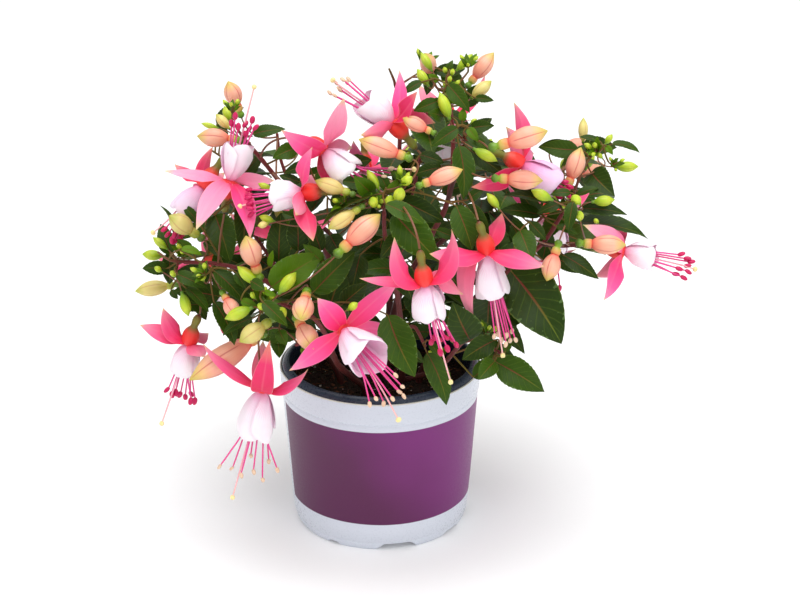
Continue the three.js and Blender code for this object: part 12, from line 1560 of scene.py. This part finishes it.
def add_stamens(g, F, rnd):
    h, a = A(F["h"]), A(F["a"])
    L, R = F["l"], F["m"]
    x, y = frame_of(a)
    tips = [A(q) for q in F["f"]]
    ang = [math.atan2((t - h) @ y, (t - h) @ x) for t in tips]
    order = sorted(range(len(tips)), key=lambda i: ang[i])
    gap = 0.62
    w = [ang[i] for i in order]
    for _ in range(80):
        for k in range(len(w)):
            j = (k + 1) % len(w)
            d = w[j] - w[k] + (2 * math.pi if j == 0 else 0)
            if d < gap:
                w[k] -= (gap - d) / 2
                w[j] += (gap - d) / 2
    slot = {i: w[k] for k, i in enumerate(order)}
    old = F["an"]
    for i, t in enumerate(tips):
        tone = rnd.random()
        st = h + a * 1.2 + (x * math.cos(slot[i]) + y * math.sin(slot[i])) * 1.5
        mouth = None
        rel = t - st
        k = (L - (st - h) @ a) / max(rel @ a, 1e-3)
        lat = st + rel * k - (h + a * L)
        r = np.linalg.norm(lat)
        lim = R - 2.4
        mpt = h + a * L + lat * (min(1.0, lim / r) if r > 1e-6 else 0)
        P = catmull([st, h + a * (L * 0.5) + (mpt - h - a * L) * 0.5 + (x * math.cos(slot[i]) + y * math.sin(slot[i])) * 0.5, mpt, mpt * 0.45 + t * 0.55 + a * 0.4, t], 6)
        g.tube(P, np.interp(np.linspace(0, 1, len(P)), [0, 0.9, 1], [0.5, 0.46, 0.32]), 7, (tone, 0, 0.0, 1.0))
        dirn = unit(P[-1] - P[-3])
        px, py = frame_of(dirn)
        tilt = unit(dirn + px * rnd.uniform(-0.5, 0.5) + py * rnd.uniform(-0.5, 0.5))
        is_old = old >= 0.5
        ln, rd = (3.9, 1.5) if not is_old else (3.0, 1.15)
        s = np.linspace(0, 1, 11)
        prof = rd * np.sqrt(np.clip(1 - (2 * s - 1) ** 2, 0, 1)) * (1 - 0.12 * (s - 0.5)) + 0.03
        C = t - tilt * ln * 0.30 + tilt * (s * ln * 1.25)[:, None]
        T, U_, W_ = path_frames(C)
        n = 12
        q = np.linspace(0, 2 * np.pi, n, endpoint=False)
        groove = 1 - 0.16 * np.exp(-((np.mod(q, np.pi) - np.pi / 2) / 0.35) ** 2)
        P2 = C[:, None, :] + (U_[:, None, :] * np.cos(q)[None, :, None] + W_[:, None, :] * (np.sin(q) * 0.85)[None, :, None]) * (prof[:, None] * groove[None, :])[..., None]
        g.grid(P2, s[:, None] * np.ones((1, n + 1)), np.ones((11, 1)) * np.linspace(0, 1, n + 1)[None, :], (tone, 0, 0.66 if is_old else 0.33, 1.0), wrap=True)
    # the long style and its stigma
    t = A(F["y"])
    st = h + a * 1.0
    rel = t - st
    k = (L - 1.0) / max(rel @ a, 1e-3)
    lat = st + rel * k - (h + a * L)
    r = np.linalg.norm(lat)
    lim = R - 2.6
    mpt = h + a * L + lat * (min(1.0, lim / r) if r > 1e-6 else 0)
    bow = unit(np.cross(a, x)) * rnd.uniform(-0.8, 0.8)
    P = catmull([st, h + a * (L * 0.5) + (mpt - h - a * L) * 0.5, mpt, mpt * 0.5 + t * 0.5 + bow, t], 7)
    g.tube(P, np.interp(np.linspace(0, 1, len(P)), [0, 0.6, 1], [0.6, 0.52, 0.42]), 8, (0.5, 0, 1.0, 1.0))
    dirn = unit(P[-1] - P[-3])
    s = np.linspace(0, 1, 11)
    prof = 1.45 * np.sqrt(np.clip(1 - (2 * s - 1) ** 2, 0, 1)) + 0.03
    C = t - dirn * 0.8 + dirn * (s * 2.9)[:, None]
    T, U_, W_ = path_frames(C)
    q = np.linspace(0, 2 * np.pi, 16, endpoint=False)
    lobes = 1 - 0.14 * np.cos(4 * q)
    P2 = C[:, None, :] + (U_[:, None, :] * np.cos(q)[None, :, None] + W_[:, None, :] * np.sin(q)[None, :, None]) * (prof[:, None] * lobes[None, :])[..., None]
    g.grid(P2, s[:, None] * np.ones((1, 17)), np.ones((11, 1)) * np.linspace(0, 1, 17)[None, :], (0.5, 1.0, 1.0, 1.0), wrap=True)


# ---------------------------------------------------------------- build the plant
nodes_of = {}
for kind, rows in (("branch", BRANCHES), ("leaf", LEAVES), ("bud", BUDS), ("stalk", STALKS)):
    for rec in rows:
        nodes_of.setdefault(rec["node"], {"branch": [], "leaf": [], "bud": [], "stalk": []})[kind].append(rec)

for node, parts in nodes_of.items():
    rnd = random.Random(node)
    short = node.replace("leafy_stem_", "").replace("green_shoot_", "shoot_")
    slot_name = "foliage" if node.startswith("leafy") else "green_shoot"
    g = Geo()
    for rec in parts["branch"]:
        add_branch(g, rec, rnd)
    place(g.build("stem_" + short, M_WOOD), slot_name, node)
    g = Geo()
    for rec in parts["leaf"]:
        add_leaf(g, rec, rnd)
    place(g.build("leaves_" + short, M_LEAF, 42.0), slot_name, node)
    g = Geo()
    for rec in parts["bud"]:
        add_bud(g, rec, rnd)
    for rec in parts["stalk"]:
        add_stalk(g, rec["p"], rec["q"], rec["e"], 0.62, 0.62, rnd.random())
    place(g.build("buds_" + short, M_BUD), slot_name, node)

for F in FLOWERS:
    rnd = random.Random(F["name"])
    name = F["name"]
    cad = [name] if F["back"] else None
    g = Geo()
    add_calyx(g, F, rnd)
    place(g.build(name + "_sepals", M_SEPAL, 55.0), "whole_flower" if F["back"] else "sepal", *(cad or [name + "_calyx"]))
    g = Geo()
    add_corolla(g, F, rnd)
    place(g.build(name + "_petals", M_PETAL, 60.0), "whole_flower" if F["back"] else "petal", *(cad or [name + "_corolla"]))
    g = Geo()
    add_stamens(g, F, rnd)
    place(g.build(name + "_filaments", M_STAMEN, 60.0), "whole_flower" if F["back"] else "stamen", *(cad or [name + "_stamens"]))


# ---------------------------------------------------------------- pot
NOTCHES = [(-38, -28, 2.2), (-2.7, 25.8, 4.8), (47, 66, 3.2), (78, 97, 4.0), (132, 148, 4.5), (186, 204, 3.0), (238, 252, 4.0)]


def foot_height(deg):
    z = np.zeros_like(deg)
    for a0, a1, hgt in NOTCHES:
        m, hw = (a0 + a1) / 2, (a1 - a0) / 2
        d = np.abs((deg - m + 180) % 360 - 180)
        z = np.maximum(z, np.clip((1.1 - d / hw) * (hgt + 1) / 0.48 - 1, 0, hgt))
    return z


def make_pot():
    prof = [  # r, z, dark inside
        (0.0, 0.0, 0), (14.0, 0.0, 0), (15.6, 0.0, 0), (16.2, 0.3, 0), (18.2, 5.8, 0), (18.8, 6.0, 0), (30.0, 6.0, 0), (46.8, 6.0, 0), (47.5, 5.7, 0),
        (48.3, 0.4, 0), (48.6, 0.0, 0), (50.3, 0.0, 0), (50.9, 0.25, 0), (51.3, 0.9, 0), (52.4, 3.0, 0), (53.1, 5.2, 0), (53.0, 5.5, 0), (53.35, 5.9, 0), (54.2, 13.0, 0),
        (54.75, 20.0, 0), (55.6, 30.0, 0), (56.55, 43.0, 0), (57.55, 57.0, 0), (58.6, 71.5, 0), (59.5, 84.4, 0), (59.6, 85.3, 0), (59.35, 86.0, 0), (59.3, 86.6, 0), (59.8, 87.2, 0),
        (60.25, 87.6, 0), (60.4, 88.4, 0), (60.65, 94.0, 0), (60.85, 99.0, 0), (60.98, 99.7, 0), (61.0, 100.3, 0), (60.85, 100.8, 0), (60.4, 101.05, 0), (60.0, 101.0, 0),
        (59.75, 100.75, 1), (59.5, 101.1, 1), (59.3, 101.7, 1), (58.6, 102.6, 1), (57.7, 103.3, 1), (56.7, 103.8, 1), (55.9, 104.0, 1), (55.3, 103.85, 1), (55.05, 103.3, 1), (55.05, 101.5, 1),
        (55.2, 99.0, 1), (56.6, 91.0, 1), (57.7, 84.5, 1), (55.3, 52.0, 1), (51.9, 8.3, 1), (49.5, 7.5, 1), (30.0, 7.5, 1), (17.0, 7.5, 1), (14.5, 1.5, 1), (0.0, 1.5, 1)]
    n = 240
    deg = np.arange(n) * 360.0 / n
    ph = np.radians(deg - 90.0)     # 0 degrees is the front, towards +X
    lift = foot_height(deg)
    r = A([p[0] for p in prof])
    z = A([p[1] for p in prof])
    Z = np.repeat(z[:, None], n, axis=1)
    for i in range(9, 16):
        Z[i] = np.maximum(Z[i], np.minimum(lift, 5.35) + z[i] * 0.04)
    Rr = np.repeat(r[:, None], n, axis=1)
    for i in range(12, 16):       # where the foot is cut away the wall keeps its slope
        Rr[i] = np.maximum(Rr[i], np.interp(Z[i], [0.25, 3.0, 5.4], [50.9, 52.4, 53.1]))
    P = np.stack([Rr * np.cos(ph)[None, :], Rr * np.sin(ph)[None, :], Z], -1)
    U = (np.arange(len(prof)) / len(prof))[:, None] * np.ones((1, n + 1))
    V = np.ones((len(prof), 1)) * np.linspace(0, 1, n + 1)[None, :]
    info = np.zeros((len(prof) - 1, n, 4))
    info[..., 2] = (0.5 * (A([p[2] for p in prof[1:]]) + A([p[2] for p in prof[:-1]])) > 0.4)[:, None]
    info[..., 3] = 1
    g = Geo()
    g.grid(P, U, V, info, wrap=True)
    return g.build("pot_body", M_POT, 40.0)


place(make_pot(), "pot_plastic", "pot")


# ---------------------------------------------------------------- soil
def make_soil():
    rnd = random.Random(7)
    rng = np.random.default_rng(11)
    g = Geo()
    n, m = 150, 46
    a = np.linspace(0, 2 * np.pi, n, endpoint=False)
    r = np.linspace(0.02, 1, m) ** 0.8 * 57.2

    def bumps(x, y):
        z = np.zeros_like(x)
        q = np.random.default_rng(5)
        for k, amp in ((0.05, 0.9), (0.11, 0.6), (0.24, 0.42), (0.5, 0.28), (0.95, 0.2)):
            for _ in range(7):
                th, p = q.uniform(0, 6.28), q.uniform(0, 6.28)
                kk = k * q.uniform(0.75, 1.3)
                z += amp / 3.0 * np.sin(kk * (x * np.cos(th) + y * np.sin(th)) * 6.28 / 2 + p)
        return z

    X = r[:, None] * np.cos(a)[None, :]
    Y = r[:, None] * np.sin(a)[None, :]
    Zt = 86.6 + 1.0 * (1 - (r / 57.5) ** 2)[:, None] + bumps(X, Y) * np.clip((57.5 - r) / 6, 0.15, 1)[:, None]
    top = np.stack([X, Y, Zt], -1)
    side = []
    for rr, zz in ((57.3, 84.5), (56.9, 80.0), (54.0, 40.0), (51.4, 8.6), (48.5, 7.9), (17.0, 7.9), (14.3, 1.9), (0.02, 1.9)):
        side.append(np.stack([rr * np.cos(a), rr * np.sin(a), np.full(n, zz)], -1))
    P = np.concatenate([top, np.array(side)], 0)
    R = len(P)
    g.grid(P[::-1], np.zeros((R, n + 1)), np.zeros((R, n + 1)), (0, 0, 0, 1), wrap=True)
    # crumbs, bark chips, fibres and pale specks
    def lump(c, sx, sy, sz, kind, seed):
        q = np.random.default_rng(seed)
        u, w = np.linspace(0, np.pi, 6), np.linspace(0, 2 * np.pi, 8, endpoint=False)
        d = np.stack([np.sin(u)[:, None] * np.cos(w)[None, :], np.sin(u)[:, None] * np.sin(w)[None, :], np.cos(u)[:, None] * np.ones((1, 8))], -1)
        d = d * (1 + q.uniform(-0.28, 0.28, (6, 8, 1)))
        d[0], d[-1] = (0, 0, 1), (0, 0, -1)
        d = d * A([sx, sy, sz])
        ang, tilt = q.uniform(0, 6.28), q.uniform(-0.5, 0.5)
        ca, sa, ct, st = math.cos(ang), math.sin(ang), math.cos(tilt), math.sin(tilt)
        Rm = A([[ca, -sa, 0], [sa, ca, 0], [0, 0, 1]]) @ A([[ct, 0, st], [0, 1, 0], [-st, 0, ct]])
        g.grid(c + d @ Rm.T, np.zeros((6, 9)), np.zeros((6, 9)), (q.uniform(), kind, 0, 1), wrap=True)

    for i in range(1150):
        rr, th = 55.9 * math.sqrt(rng.uniform()), rng.uniform(0, 6.28)
        x, y = rr * math.cos(th), rr * math.sin(th)
        z = 86.6 + 1.0 * (1 - (rr / 57.5) ** 2) + float(bumps(A([x]), A([y]))[0]) * min(1, max(0.15, (57.5 - rr) / 6))
        roll = rng.uniform()
        if roll < 0.62:
            s0 = rng.uniform(0.5, 1.5)
            lump(A([x, y, z]), s0, s0 * rng.uniform(0.6, 1), s0 * rng.uniform(0.4, 0.8), 0.0, i)
        elif roll < 0.82:
            s0 = rng.uniform(0.9, 2.2)
            lump(A([x, y, z + 0.2]), s0, s0 * rng.uniform(0.3, 0.6), s0 * 0.28, 0.4, i)
        elif roll < 0.87:
            s0 = rng.uniform(0.4, 0.8)
            lump(A([x, y, z + 0.3]), s0, s0, s0 * 0.8, 1.0, i)
        else:
            L = rng.uniform(4, 11)
            d = A([math.cos(th * 3), math.sin(th * 3), rng.uniform(-0.1, 0.15)]) * L
            p0 = A([x, y, z + 0.1])
            p2 = p0 + d
            k = math.hypot(p2[0], p2[1])
            if k > 55:
                p2[:2] *= 55 / k
            p1 = (p0 + p2) / 2 + A([rng.uniform(-2, 2), rng.uniform(-2, 2), rng.uniform(0.3, 1.3)])
            g.tube(bez(p0, p1, p2, np.linspace(0, 1, 8)), 0.22, 5, (0, 0.4, 0, 1))
    return g.build("soil_surface", M_SOIL, 60.0)


place(make_soil(), "soil", "soil")

# ---------------------------------------------------------------- floor and light
floor_me = bpy.data.meshes.new("floor")
floor_me.from_pydata([(-6, -3, 0), (6, -3, 0), (6, 9, 0), (-6, 9, 0)], [], [(0, 1, 2, 3)])
floor = bpy.data.objects.new("floor", floor_me)
bpy.context.scene.collection.objects.link(floor)
fm = Mat("floor_white", rough=0.75, spec=0.15)
fm.color(fm.mix(fm.noise(3.0, 2.0), (0.905, 0.905, 0.91, 1), (0.925, 0.925, 0.93, 1)))
fm.b.inputs["Emission Color"].default_value = (1.0, 1.0, 1.0, 1.0)
fm.b.inputs["Emission Strength"].default_value = FLOOR_GLOW
floor_me.materials.append(fm.m)

world = bpy.data.worlds.new("studio")
world.use_nodes = True
world.node_tree.nodes["Background"].inputs[0].default_value = (1.0, 1.0, 1.0, 1.0)
world.node_tree.nodes["Background"].inputs[1].default_value = WORLD_LIGHT
bpy.context.scene.world = world


def area(name, loc, target, size, power, color=(1, 1, 1)):
    d = bpy.data.lights.new(name, "AREA")
    d.shape = "RECTANGLE"
    d.size, d.size_y = size
    d.energy = power
    d.color = color
    o = bpy.data.objects.new(name, d)
    o.location = loc
    o.rotation_euler = (Vector(target) - Vector(loc)).to_track_quat("-Z", "Y").to_euler()
    bpy.context.scene.collection.objects.link(o)
    return o


for spec in LIGHTS:
    area(*spec)

bpy.context.scene.view_settings.view_transform = "Standard"
bpy.context.scene.view_settings.look = "None"
